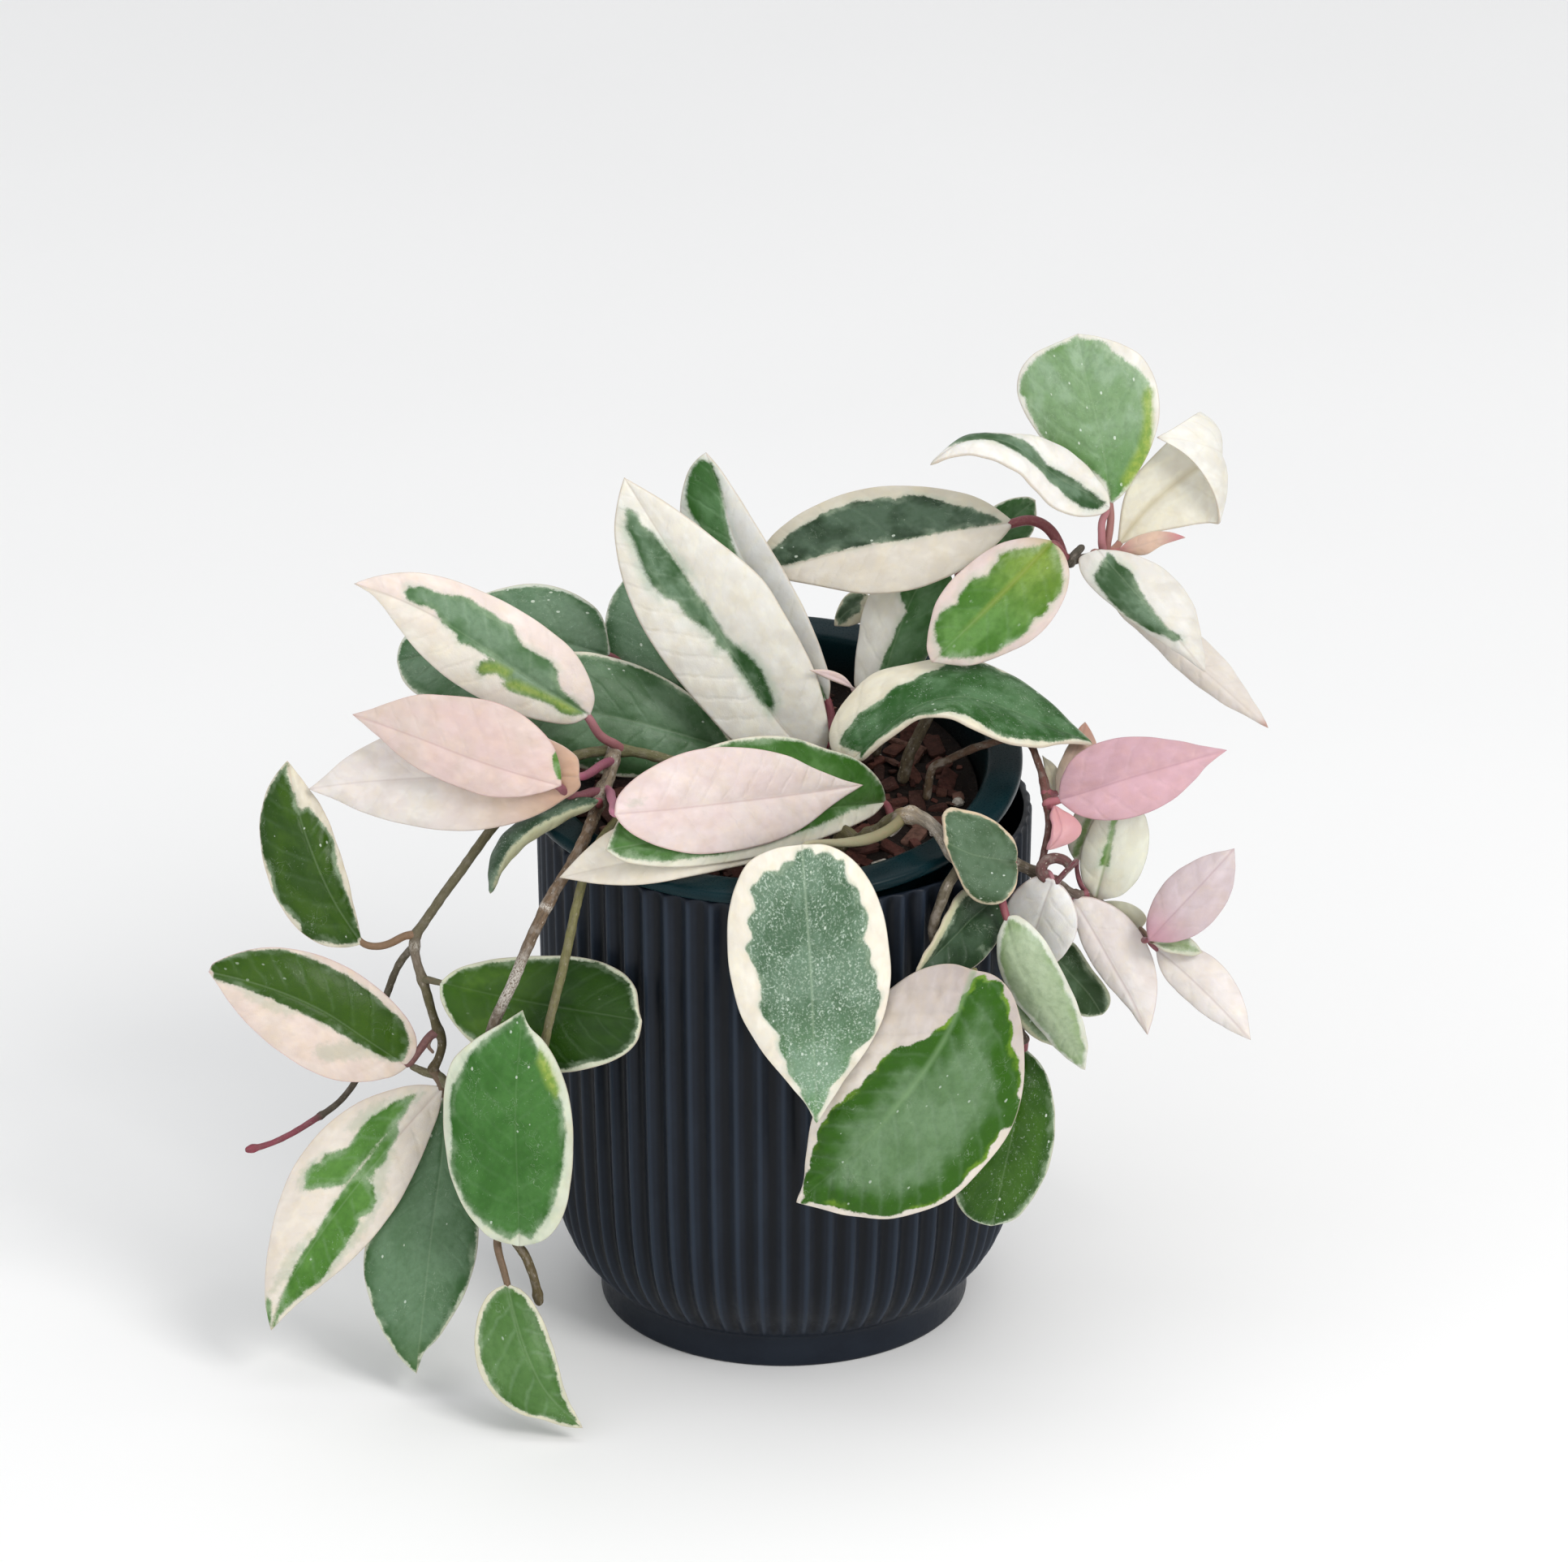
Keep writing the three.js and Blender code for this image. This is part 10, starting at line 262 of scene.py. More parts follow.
# ---------------------------------------------------------------- looks of each leaf
LOOK = {
    'top_round': dict(pale='#e2dfd8', green='#689a4e', grey_and_sheen=0.35, fl=0.45, pucker=0.5, stalk='#9a6a66', stalk_r=1.2, dome=0.03, so=1.3, rib=0.9, vn=0.12, dp=0.5, dk=0.3, dw=3.0, pg=0.97, green2='#93b089', g2=(0.0, 0.55)),
    'top_arched': dict(pale='#e4e1dc', green='#345a34', grey_and_sheen=0.55, fl=0.25, dome=0.10, stalk='#a97076', stalk_r=1.25, so=1.3, pg=1.0),
    'top_folded': dict(pale='#dbd7c6', pale2='#eeece6', green='#5a7a45', grey_and_sheen=0.3, fl=0.0, rib=0.25, dome=0.02, wave=0.1, pucker=0.05, stalk='#a97a6c', stalk_r=1.3, rw=2.2, rm=0.45, cm='#c3b68c', eps=0.28, relax=20, bulge=[(-1, 0.7, 0.16, (2.4, 0.7, 1.5)), (1, 0.68, 0.16, (2.6, 0.0, 0.0))], pg=1.0),
    'top_bract': dict(pale='#e2c4b2', tipcol=('#c9808c', 0.6), basecol=('#d99a9c', 0.35), fl=0.0, rib=0.4, dome=0.02, wave=0.1, stalk='#a76b66'),
    'right_drooping': dict(pale='#e2dfd9', green='#33582c', grey_and_sheen=0.6, fl=0.3, stalk='#a2736a', stalk_r=1.2, so=1.4),
    'right_drooping_back': dict(pale='#e2ddd4', pale2='#e0d8d2', fl=0.0, blush=0.03, rib=0.5, stalk='#a2736a', stalk_r=1.2, tipcol=('#b98a84', 0.93)),
    'right_bright': dict(pale='#ead9d4', green='#86a234', grey_and_sheen=0.12, fl=0.15, blush=0.1, rim='#dcbfb8', stalk='#84484f', stalk_r=1.4, basecol=('#d8c39c', 0.2), so=1.6, rw=1.5, rm=0.55, cm='#8d9a3c', green2='#5f9038', g2=(0.1, 0.6), vn=0.08),
    'top_long': dict(pale='#d3cdbc', green='#1b3520', grey_and_sheen=0.3, fl=0.35, pale_side=(1, '#ddd6ca'), stalk='#7b3f46', stalk_r=1.7, pucker=0.22, dk=0.1, dp=0.7),
    'top_behind': dict(pale='#d8dccb', green='#4a7a44', grey_and_sheen=0.30, inset=0.7, stalk='#7b3f46'),
    'back_upright_right': dict(pale='#e2e0d8', green='#43743a', grey_and_sheen=0.30, fl=0.15),
    'back_small': dict(pale='#d9d4bd', green='#27401f', grey_and_sheen=0.3, fl=0.1),
    'centre_tall': dict(pale='#e7e4dc', green='#33602f', grey_and_sheen=0.62, fl=0.30, wave=0.5, pucker=0.34, so=2.1, sk=1.0, pg=0.94),
    'centre_tall_back': dict(pale='#dfdfdc', green='#3f7034', grey_and_sheen=0.18, fl=0.2, so=1.6),
    'centre_sprout': dict(pale='#e6cfcf', fl=0.0, rib=0.3, wave=0.1, pucker=0.0, stalk='#d8b9b9', stalk_r=0.8),
    'right_arch': dict(pale='#e8e2cf', green='#2f6526', grey_and_sheen=0.3, fl=0.6, pucker=0.32, dk=0.7, dw=4.5, vn=0.06),
    'left_upper': dict(pale='#ece6db', green='#467a38', grey_and_sheen=0.72, fl=0.10, blush=0.10, wave=0.4, stalk='#8f5a5e', stalk_r=1.45, pale_side=(-1, '#ecdfd8'), so=1.4, dk=0.25, vn=0.16, stalk2='#b88088', ease=60, dp=0.45, pg=0.96),
    'left_back_round': dict(pale='#dfe3d6', green='#437548', grey_and_sheen=0.66, fl=0.55, inset=0.9, dp=0.4),
    'back_upright_left': dict(pale='#e0e4d6', green='#3a6a3c', grey_and_sheen=0.55, fl=0.55, inset=0.9, dp=0.4),
    'left_wide_green': dict(pale='#e4e2d2', green='#3a6a34', grey_and_sheen=0.55, fl=0.4, inset=1.1, rag=0.5, dp=0.5),
    'left_pink': dict(pale='#dec9c2', pale2='#dccbc3', green='#6c9a2a', fl=0.0, blush=0.22, rim='#cf9fa0', stalk='#7d4a56', stalk_r=1.5, basecol=('#ead2cb', 0.3), grey_and_sheen=0.0, so=0.7, rg=0.4, sk=0.3, stalk2='#96606a', ease=60, pg=0.93, rib=0.6, pucker=0.24),
    # left_cream's warm tan base colour (basecol) is painted shade: the shadow of left_pink with a warm glow of light
    # through the leaf
    'left_cream': dict(pale='#efe8df', pale2='#ece6e2', fl=0.0, blush=0.1, rim='#cdb9b0', stalk='#8c4c64', stalk_r=1.45, basecol=('#d0ab92', 0.6), stalk2='#9c566c', ease=50, pg=0.88, rib=0.45),
    'left_grey_narrow': dict(pale='#c9c8a4', green='#2f4a3c', grey_and_sheen=0.55, fl=0.7, gw=(-9.0, 0.2)),
    'front_pink': dict(pale='#e4d3d0', pale2='#e6dad4', fl=0.0, blush=0.16, rim='#ddb9b4', stalk='#a4667c', stalk_r=1.4, wave=0.4, stalk2='#c07c94', ease=50, pg=0.93, rib=0.7, pucker=0.24),
    'front_green_under': dict(pale='#e9e6d6', green='#4a7a2c', grey_and_sheen=0.15, fl=0.15, inset=0.8, inset_at=(1, ((0, 3.6), (0.5, 3.2), (0.75, 1.0), (1, 0.2))), rag=0.8, so=1.4, sk=0.9, vn=0.03),
    'front_cream_under': dict(pale='#ece5d3', pale2='#eee6da', fl=0.0, rib=0.4),
    'front_hanging': dict(pale='#e9e2d5', green='#3a644a', grey_and_sheen=0.55, fl=1.12, wave=0.45, pucker=0.14, rib=1.0, rg=0.55, so=1.0, stalk='#77724e', stalk_r=1.7, sk=1.0, dk=0.1, stalk2='#a9a68a', thin=0.42, rim='#cfc6b4', green2='#7fa987', g2=(0.5, 0.95), dp=0.5, pg=1.06, scallop=(7.6, 1.15), rm=0.25, rw=0.8, cm='#b4c8b0'),
    # front_broad's greyer base colour (basecol) is painted shade cast by front_hanging
    'front_broad': dict(pale='#e9e0d6', green='#467612', grey_and_sheen=0.55, fl=0.3, pucker=1.2, wave=0.6, rib=0.35, ro=0.34, rg=0.8, stalk='#6d6b42', stalk_r=1.0, ce='#8fb432', sk=0.12, vn=0.08, dk=1.0, dw=11.5, so=0.7, rw=1.6, rm=0.5, cm='#7fa070', basecol=('#c4b8b4', 0.6), scallop=(7.0, 0.9), dp=0.3),
    'right_dark_low': dict(pale='#c9d2bd', green='#3c6418', grey_and_sheen=0.0, fl=0.6, inset=0.8, ro=0.36, pucker=0.4, dk=0.4, dp=0.6, vn=0.02),
    'right_folded_grey': dict(pale='#dcc5a8', green='#3a5636', grey_and_sheen=0.32, fl=0.5, inset=1.2, dp=0.4),
    'right_dark_fold': dict(pale='#c8c7a6', green='#1f3b1f', grey_and_sheen=0.15, inset=1.9, inset_side=-1, rag=0.5),
    'right_pale_fold': dict(pale='#e2e5da', green='#aebd9c', grey_and_sheen=0.15, fl=0.05, inset=1.9, rag=1.6, so=1.6, dp=0.15, sk=0.3, dk=0.15),
    'right_pale_back': dict(pale='#b9b99c', green='#6f7f55', grey_and_sheen=0.3, inset=1.0),
    # right_white_small's near-white pale is painted light, raised to offset the shade it gets from facing away from the
    # lamps
    'right_white_small': dict(pale='#f7f5f3', pale2='#f7f5f2', fl=0.0, rib=0.7, blush=0.03, rim='#bfa9a6', stalk='#a5707a', stalk_r=0.9),
    'right_white_long': dict(pale='#ede5e2', pale2='#f1ece9', fl=0.0, rib=0.8, blush=0.08, rim='#c3aaa8', stalk='#a5707a', stalk_r=0.8),
    'right_end_pink': dict(pale='#cbb6bb', pale2='#d6cbcd', fl=0.0, blush=0.06, rim='#bd98a0', stalk='#8f5560', stalk_r=0.8, basecol=('#c596a4', 0.4)),
    'right_end_white': dict(pale='#efe9e6', fl=0.0, blush=0.05, rib=0.7, rim='#c3aeaa', stalk='#8f5560', stalk_r=0.75),
    'right_end_pale': dict(pale='#cfd0bb', fl=0.0, rib=0.5, stalk='#8f7a68', stalk_r=0.75),
    'right_end_small': dict(pale='#d3d6c4', green='#b3bb9c', fl=0.0, inset=0.9, grey_and_sheen=0.1, stalk_r=0.6, stalk='#8f7a68'),
    # right_pale_round's pale is raised a little as painted light, to offset the shade on it
    'right_pale_round': dict(pale='#eaebdc', green='#7fa35a', grey_and_sheen=0.1, fl=0.0, rag=1.3, gw=(-1.1, 0.45), gs=(0.4, 0.97), so=1.4, rw=0.8, rm=0.5, cm='#a5b585', rim='#a9a894', stalk='#8f7a68', stalk_r=0.8),
    'right_cream_fold': dict(pale='#dcd6c8', pale2='#dcdccf', fl=0.0, rib=0.6, gw=(-2.4, -0.5), gs=(0.1, 0.78), green='#8fa56c', grey_and_sheen=0.1, so=1.3, stalk='#8f5560', stalk_r=0.8),
    'right_rose': dict(pale='#cba3ad', pale2='#d3adb6', fl=0.0, blush=0.14, rim='#b98592', rib=0.5, stalk='#b06a74', pale_side=(1, '#dcb3bd')),
    'right_rose_small': dict(pale='#d39aa0', pale2='#deaaad', fl=0.0, blush=0.12, rim='#c58d98', stalk_r=0.9),
    'right_pale_tip': dict(pale='#e4dccb', pale2='#b98a7c', fl=0.0),
    'right_pale_sliver': dict(pale='#ddd8c6', fl=0.0, rib=0.3, stalk_r=0.9),
    'right_dark_back': dict(pale='#b9c2a5', green='#35502a', grey_and_sheen=0.2, inset=0.9),
    'left_upright_dark': dict(pale='#e3dccb', green='#38580f', grey_and_sheen=0.0, fl=0.35, pucker=0.6, wave=0.5, rim='#d9b9a6', ro=0.33, stalk='#7a6148', stalk_r=1.2, vn=0.05),
    'left_half_green': dict(pale='#ebdcd1', green='#3b5c0c', grey_and_sheen=0.0, fl=0.2, blush=0.1, rim='#dba6ae', pucker=0.26, stalk='#6f4a4a', vn=0.05, dk=0.35, dp=0.35),
    'left_low_cream': dict(pale='#ece3d8', green='#568a2c', grey_and_sheen=0.1, fl=0.25, pucker=0.26, rim='#dcc3b4', stalk='#6b5a48', vn=0.12, so=1.4, dp=0.5),
    'left_low_grey': dict(pale='#d9dcc8', green='#3d6a3a', green2='#3f6a24', g2=(0.8, 1.0), grey_and_sheen=0.42, fl=0.35, inset=0.8, stalk='#6b5a48', dp=0.3, rag=1.4),
    'left_low_green': dict(pale='#dfe4d0', green='#357018', grey_and_sheen=0.12, fl=0.35, rib=0.4, stalk='#6a6444', so=1.6, sk=0.9, dp=0.5),
    'left_behind_green': dict(pale='#dde0c8', green='#4a701a', grey_and_sheen=0.0, fl=0.1, inset=1.2, rag=1.0, rib=0.35, stalk='#5c5a44', stalk_r=1.1, green2='#26460c', g2=(0.2, 0.6), vn=0.03),
    'left_low_small': dict(pale='#e6e2cc', green='#4d7a2a', grey_and_sheen=0.2, fl=0.25, inset=1.6, rag=1.3, stalk='#6b5843', stalk_r=1.2, dp=0.4, vn=0.14),
}
STEM_LOOK = {
    'stem_left_trailing': dict(cols=[(0, '#6c6a48'), (0.25, '#6f6d4c'), (0.5, '#6f6a4e'), (0.74, '#66604a'), (0.80, '#7a6e60'), (0.86, '#5f5a3c'), (1, '#54482f')], wood=[(0, 0.35), (0.7, 0.3), (1, 0.5)], knot=0.30, fat=0.98, marks=[(0.775, 1.2, 0.5)]),
    'stem_left_shoot': dict(cols=[(0, '#5c5644'), (0.45, '#5f574a'), (0.73, '#5a5148'), (0.76, '#8a4a58'), (1, '#8f4452')], wood=[(0, 0.5), (0.6, 0.3), (1, 0.1)], bumps=[(0.735, 0.35, 1.0), (0.985, 0.55, 1.3)], fat=0.95),
    'stem_front_left_woody': dict(cols=[(0, '#8a7d6c'), (0.14, '#85745f'), (0.2, '#7a644e'), (0.36, '#74604c'), (0.5, '#6c5f50'), (0.7, '#6d5a46'), (0.9, '#635739'), (1, '#5e5337')], wood=[(0, 1.0), (0.9, 0.7), (1, 0.5)], knot=0.30, fat=0.86,
        bumps=[(0.0, 0.35, 2.0), (0.345, 0.14, 2.2), (0.99, 0.2, 1.5)], marks=[(0.0, 1.6, 1.0), (0.352, 0.9, 1.0), (0.475, 9.5, 0.95), (0.12, 5.0, 0.35)]),
    'stem_front_left_green': dict(cols=[(0, '#77714a'), (0.4, '#7a774c'), (0.75, '#6f6a4a'), (1, '#5c4a38')], wood=[(0, 0.2), (0.7, 0.3), (1, 0.7)]),
    'stem_right_woody': dict(cols=[(0, '#5f5a3c'), (0.2, '#6a6446'), (0.235, '#a08a6a'), (0.27, '#8a8070'), (0.42, '#7f7460'), (0.55, '#5c5444'), (0.72, '#6a5850'), (0.8, '#857668'), (1, '#7a4a50')], wood=[(0, 0.3), (0.22, 1.0), (0.5, 0.9), (1, 0.2)], knot=0.25,
        bumps=[(0.237, 0.42, 2.4)], marks=[(0.24, 2.0, 0.5), (0.33, 8.0, 0.30)], slim=[(0, 0.85), (0.55, 0.85), (0.72, 0.62), (0.82, 0.46), (1, 0.36)]),
    'stem_right_low': dict(cols=[(0, '#6a6350'), (0.5, '#55483c'), (1, '#4c3a30')], wood=[(0, 0.7), (1, 0.6)]),
    'stem_right_back': dict(cols=[(0, '#5f503c'), (0.5, '#6b4a3c'), (0.72, '#6e4640'), (1, '#6a3f3c')], wood=[(0, 0.8), (1, 0.4)], bumps=[(0.70, 0.35, 2.6)], knot=0.3, fat=0.85),
    'stem_upper_right': dict(cols=[(0, '#6b5f48'), (0.6, '#665844'), (0.9, '#5a5348'), (1, '#6b4a48')], wood=[(0, 0.8), (1, 0.8)], knot=0.22, slim=[(0, 1), (0.8, 0.9), (1, 0.85)]),
    'stem_centre': dict(cols=[(0, '#6b5f48'), (1, '#74704c')], wood=[(0, 0.9), (1, 0.4)], knot=0.25),
    'stem_left_back': dict(cols=[(0, '#6b5f48'), (1, '#74704c')], wood=[(0, 0.9), (1, 0.4)]),
    'stem_back': dict(cols=[(0, '#6b5f48'), (1, '#74704c')], wood=[(0, 0.9), (1, 0.4)]),
}
STEM_NODES = {
    'stem_left': dict(parts=['stem_left_trailing', 'stem_left_shoot', 'stem_front_left_woody'], stubs=[
        ([[-103.85,-44.89,110.08],[-105.56,-46.2,107.2],[-106.78,-47.52,104.32],[-105.56,-48.33,102.54]], 0.9, 0.5, '#8a6f62', 31.0),
        ([[-101.73,-50.47,93.0],[-103.92,-49.46,95.22],[-107.58,-49.06,96.11],[-111.73,-48.35,97.67]], 1.7, 1.0, '#6f6a50', 33.0)]),
    'stem_front_left': dict(parts=['stem_front_left_green']),
    'stem_right': dict(parts=['stem_right_woody', 'stem_right_low'], blades=['right_end_small'], stubs=[
        ([[80.77,-48.83,159.3],[78.11,-48.43,160.18],[76.66,-47.43,162.38],[77.87,-46.33,164.8],[80.77,-45.93,165.68],[83.67,-46.23,165.02],[85.12,-46.83,163.7]], 2.0, 1.5, '#6a4646', 35.0),
        ([[81.2,-50.65,160.15],[83.62,-49.54,162.57],[87.0,-48.14,165.65]], 0.95, 0.9, '#6b3a42', 37.0)]),
    'stem_right_back': dict(parts=['stem_right_back'], blades=['right_pale_sliver']),
    'stem_upper_right': dict(parts=['stem_upper_right'], blades=['top_bract'], stubs=[
        ([[86.17,16.21,234.51],[87.15,17.12,236.51],[89.35,18.13,238.73]], 1.5, 1.2, '#57534a', 39.0)]),
    'stem_centre': dict(parts=['stem_centre'], blades=['centre_sprout']),
    'stem_left_back': dict(parts=['stem_left_back']),
    'stem_back': dict(parts=['stem_back']),
}



# ---------------------------------------------------------------- helpers
def lin(h):
    """#rrggbb as linear rgb."""
    h = h.lstrip('#')
    out = []
    for i in (0, 2, 4):
        c = int(h[i:i + 2], 16) / 255
        out.append(c / 12.92 if c <= 0.04045 else ((c + 0.055) / 1.055) ** 2.4)
    return np.array(out)


def rgba(h):
    return tuple(lin(h)) + (1.0,)


def hermite(ts, P, tq):
    ts = np.asarray(ts, float)
    P = np.asarray(P, float)
    n = len(ts)
    m = np.zeros_like(P)
    m[0] = (P[1] - P[0]) / (ts[1] - ts[0])
    m[-1] = (P[-1] - P[-2]) / (ts[-1] - ts[-2])
    for i in range(1, n - 1):
        h0, h1 = ts[i] - ts[i - 1], ts[i + 1] - ts[i]
        m[i] = ((P[i] - P[i - 1]) / h0 * h1 + (P[i + 1] - P[i]) / h1 * h0) / (h0 + h1)
    k = np.clip(np.searchsorted(ts, tq, side='right') - 1, 0, n - 2)
    sh = (-1,) + (1,) * (P.ndim - 1)
    h = (ts[k + 1] - ts[k]).reshape(sh)
    x = (tq - ts[k]).reshape(sh) / h
    return ((2 * x ** 3 - 3 * x ** 2 + 1) * P[k] + (x ** 3 - 2 * x ** 2 + x) * h * m[k]
            + (-2 * x ** 3 + 3 * x ** 2) * P[k + 1] + (x ** 3 - x ** 2) * h * m[k + 1])


def smooth_path(points, step):
    """Even points along a smooth curve through the given ones."""
    P = np.array(points, float)
    keep = [0] + [i for i in range(1, len(P)) if np.linalg.norm(P[i] - P[i - 1]) > 0.15]
    P = P[keep]
    if len(P) < 2:
        P = np.vstack([P, P[0] + [0, 0, 0.5]])
    d = np.sqrt(np.maximum(np.linalg.norm(np.diff(P, axis=0), axis=1), 1e-6))
    ts = np.concatenate([[0], np.cumsum(d)])
    fine = hermite(ts, P, np.linspace(0, ts[-1], 60 * len(P)))
    L = np.concatenate([[0], np.cumsum(np.linalg.norm(np.diff(fine, axis=0), axis=1))])
    n = max(3, int(round(L[-1] / step)) + 1)
    q = np.linspace(0, L[-1], n)
    return np.stack([np.interp(q, L, fine[:, k]) for k in range(3)], axis=1), q


def unit(v):
    return v / np.maximum(np.linalg.norm(v, axis=-1, keepdims=True), 1e-12)


def smoothstep(a, b, x):
    t = np.clip((x - a) / (b - a), 0, 1)
    return t * t * (3 - 2 * t)


def n3(p, scale, seed=0.0):
    """Smooth noise in -1..1 at each row of p, mm."""
    return np.array([noise.noise(Vector((q[0] * scale + seed, q[1] * scale + seed * 1.7, q[2] * scale - seed))) for q in p])


def tube(path, radii, sides, bumps=None):
    """Closed tube with round ends. radii per point; returns verts, faces, (station, angle) per vertex."""
    path = np.asarray(path)
    n = len(path)
    d = unit(np.gradient(path, axis=0))
    ref = np.array([0, 0, 1.0]) if abs(d[0][2]) < 0.9 else np.array([0, 1.0, 0])
    u = unit(np.cross(d[0], ref))
    verts, tag = [], []
    frames = []
    for i in range(n):
        if i:
            u = u - d[i] * (u @ d[i])
            u = u / np.linalg.norm(u)
        frames.append((u.copy(), np.cross(d[i], u)))
    rings = []
    cap = [(1.0, 0.30), (0.72, 0.72)]
    plan = []
    r0, r1 = radii[0], radii[-1]
    plan.append((path[0] - d[0] * r0 * 0.85, frames[0], r0 * 0.45, 0))
    plan.append((path[0] - d[0] * r0 * 0.45, frames[0], r0 * 0.84, 0))
    for i in range(n):
        plan.append((path[i], frames[i], radii[i], i))
    plan.append((path[-1] + d[-1] * r1 * 0.45, frames[-1], r1 * 0.84, n - 1))
    plan.append((path[-1] + d[-1] * r1 * 0.85, frames[-1], r1 * 0.45, n - 1))
    a = np.arange(sides) / sides * 2 * math.pi
    for c, (fu, fv), r, i in plan:
        ring = c + r * (np.cos(a)[:, None] * fu + np.sin(a)[:, None] * fv)
        rings.append(ring)
        tag += [(i, x) for x in a]
    V = np.vstack(rings)
    m = len(plan)
    F = []
    for i in range(m - 1):
        for k in range(sides):
            k1 = (k + 1) % sides
            F.append((i * sides + k, i * sides + k1, (i + 1) * sides + k1, (i + 1) * sides + k))
    V = np.vstack([V, path[0] - d[0] * r0, path[-1] + d[-1] * r1])
    tag += [(0, 0.0), (n - 1, 0.0)]
    s0, s1 = m * sides, m * sides + 1
    for k in range(sides):
        k1 = (k + 1) % sides
        F.append((k1, k, s0))
        F.append(((m - 1) * sides + k, (m - 1) * sides + k1, s1))
    return V, F, tag, d


class Build:
    """Gathers closed skins into one mesh with point attributes."""

    def __init__(self):
        self.V, self.F, self.M, self.A = [], [], [], {}
        self.n = 0

    def add(self, V, F, mat=0, **attrs):
        V = np.asarray(V, float)
        self.V.append(V)
        self.F += [tuple(int(i) + self.n for i in f) for f in F]
        self.M += [mat] * len(F)
        for k, a in attrs.items():
            a = np.asarray(a, float)
            if a.ndim == 0 or (a.ndim == 1 and len(a) in (3, 4) and len(a) != len(V)):
                a = np.broadcast_to(a, (len(V),) + a.shape).copy()
            self.A.setdefault(k, []).append((self.n, a))
        self.n += len(V)

    def make(self, name, node, slot, mats, smooth=True):
        V = np.vstack(self.V) * MM
        me = bpy.data.meshes.new(name)
        me.from_pydata(V.tolist(), [], self.F)
        for m in mats:
            me.materials.append(m)
        me.polygons.foreach_set('material_index', self.M)
        me.polygons.foreach_set('use_smooth', [smooth] * len(self.F))
        for k, parts in self.A.items():
            dim = 1 if parts[0][1].ndim == 1 else parts[0][1].shape[1]
            full = np.zeros((self.n, dim))
            for at, a in parts:
                full[at:at + len(a)] = a.reshape(len(a), dim)
            if dim == 1:
                at = me.attributes.new(k, 'FLOAT', 'POINT')
                at.data.foreach_set('value', full.ravel())
            elif k.startswith('c'):
                at = me.attributes.new(k, 'FLOAT_COLOR', 'POINT')
                at.data.foreach_set('color', np.hstack([full[:, :3], np.ones((self.n, 1))]).ravel())
            else:
                at = me.attributes.new(k, 'FLOAT_VECTOR', 'POINT')
                at.data.foreach_set('vector', full.ravel())
        me.validate()
        me.update()
        ob = bpy.data.objects.new(name, me)
        bpy.context.scene.collection.objects.link(ob)
        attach(ob, 'root')
        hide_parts(node)
        return ob


# ---------------------------------------------------------------- materials
class Tree:
    def __init__(self, name):
        self.m = bpy.data.materials.new(name)
        self.m.use_nodes = True
        self.t = self.m.node_tree
        self.b = self.t.nodes['Principled BSDF']

    def n(self, kind, **props):
        x = self.t.nodes.new('ShaderNode' + kind)
        for k, v in props.items():
            setattr(x, k, v)
        return x

    def link(self, a, b):
        self.t.links.new(a, b)

    def put(self, node, key, val):
        if val is None:
            return
        if hasattr(val, 'links') or isinstance(val, bpy.types.NodeSocket):
            self.link(val, node.inputs[key])
        else:
            node.inputs[key].default_value = val

    def attr(self, name, out='Fac'):
        a = self.n('Attribute', attribute_name=name)
        return a.outputs[out]

    def math(self, op, a, b=None, c=None, clamp=False):
        x = self.n('Math', operation=op, use_clamp=clamp)
        self.put(x, 0, a)
        self.put(x, 1, b)
        self.put(x, 2, c)
        return x.outputs[0]

    def vmath(self, op, a, b=None):
        x = self.n('VectorMath', operation=op)
        self.put(x, 0, a)
        self.put(x, 1, b)
        return x.outputs[0]

    def ramp(self, val, a, b, lo=0.0, hi=1.0):
        """smoothstep of val from a to b."""
        x = self.n('MapRange', interpolation_type='SMOOTHSTEP')
        self.put(x, 'Value', val)
        self.put(x, 'From Min', a)
        self.put(x, 'From Max', b)
        self.put(x, 'To Min', lo)
        self.put(x, 'To Max', hi)
        return x.outputs[0]

    def noise(self, vec, scale, detail=2.0, rough=0.5, out='Fac', distortion=0.0):
        x = self.n('TexNoise')
        self.put(x, 'Vector', vec)
        self.put(x, 'Scale', scale)
        self.put(x, 'Detail', detail)
        self.put(x, 'Roughness', rough)
        self.put(x, 'Distortion', distortion)
        return x.outputs[out]

    def voronoi(self, vec, scale, out='Distance', feature='F1'):
        x = self.n('TexVoronoi', feature=feature)
        self.put(x, 'Vector', vec)
        self.put(x, 'Scale', scale)
        return x.outputs[out]

    def mix(self, fac, a, b, blend='MIX'):
        x = self.n('Mix', data_type='RGBA', blend_type=blend)
        self.put(x, 0, fac)
        self.put(x, 6, a)
        self.put(x, 7, b)
        return x.outputs[2]

    def bump(self, height, strength, distance):
        x = self.n('Bump')
        x.inputs['Strength'].default_value = strength
        x.inputs['Distance'].default_value = distance
        self.link(height, x.inputs['Height'])
        self.link(x.outputs[0], self.b.inputs['Normal'])

    def set(self, **kv):
        for k, v in kv.items():
            self.put(self.b, k.replace('_', ' '), v)


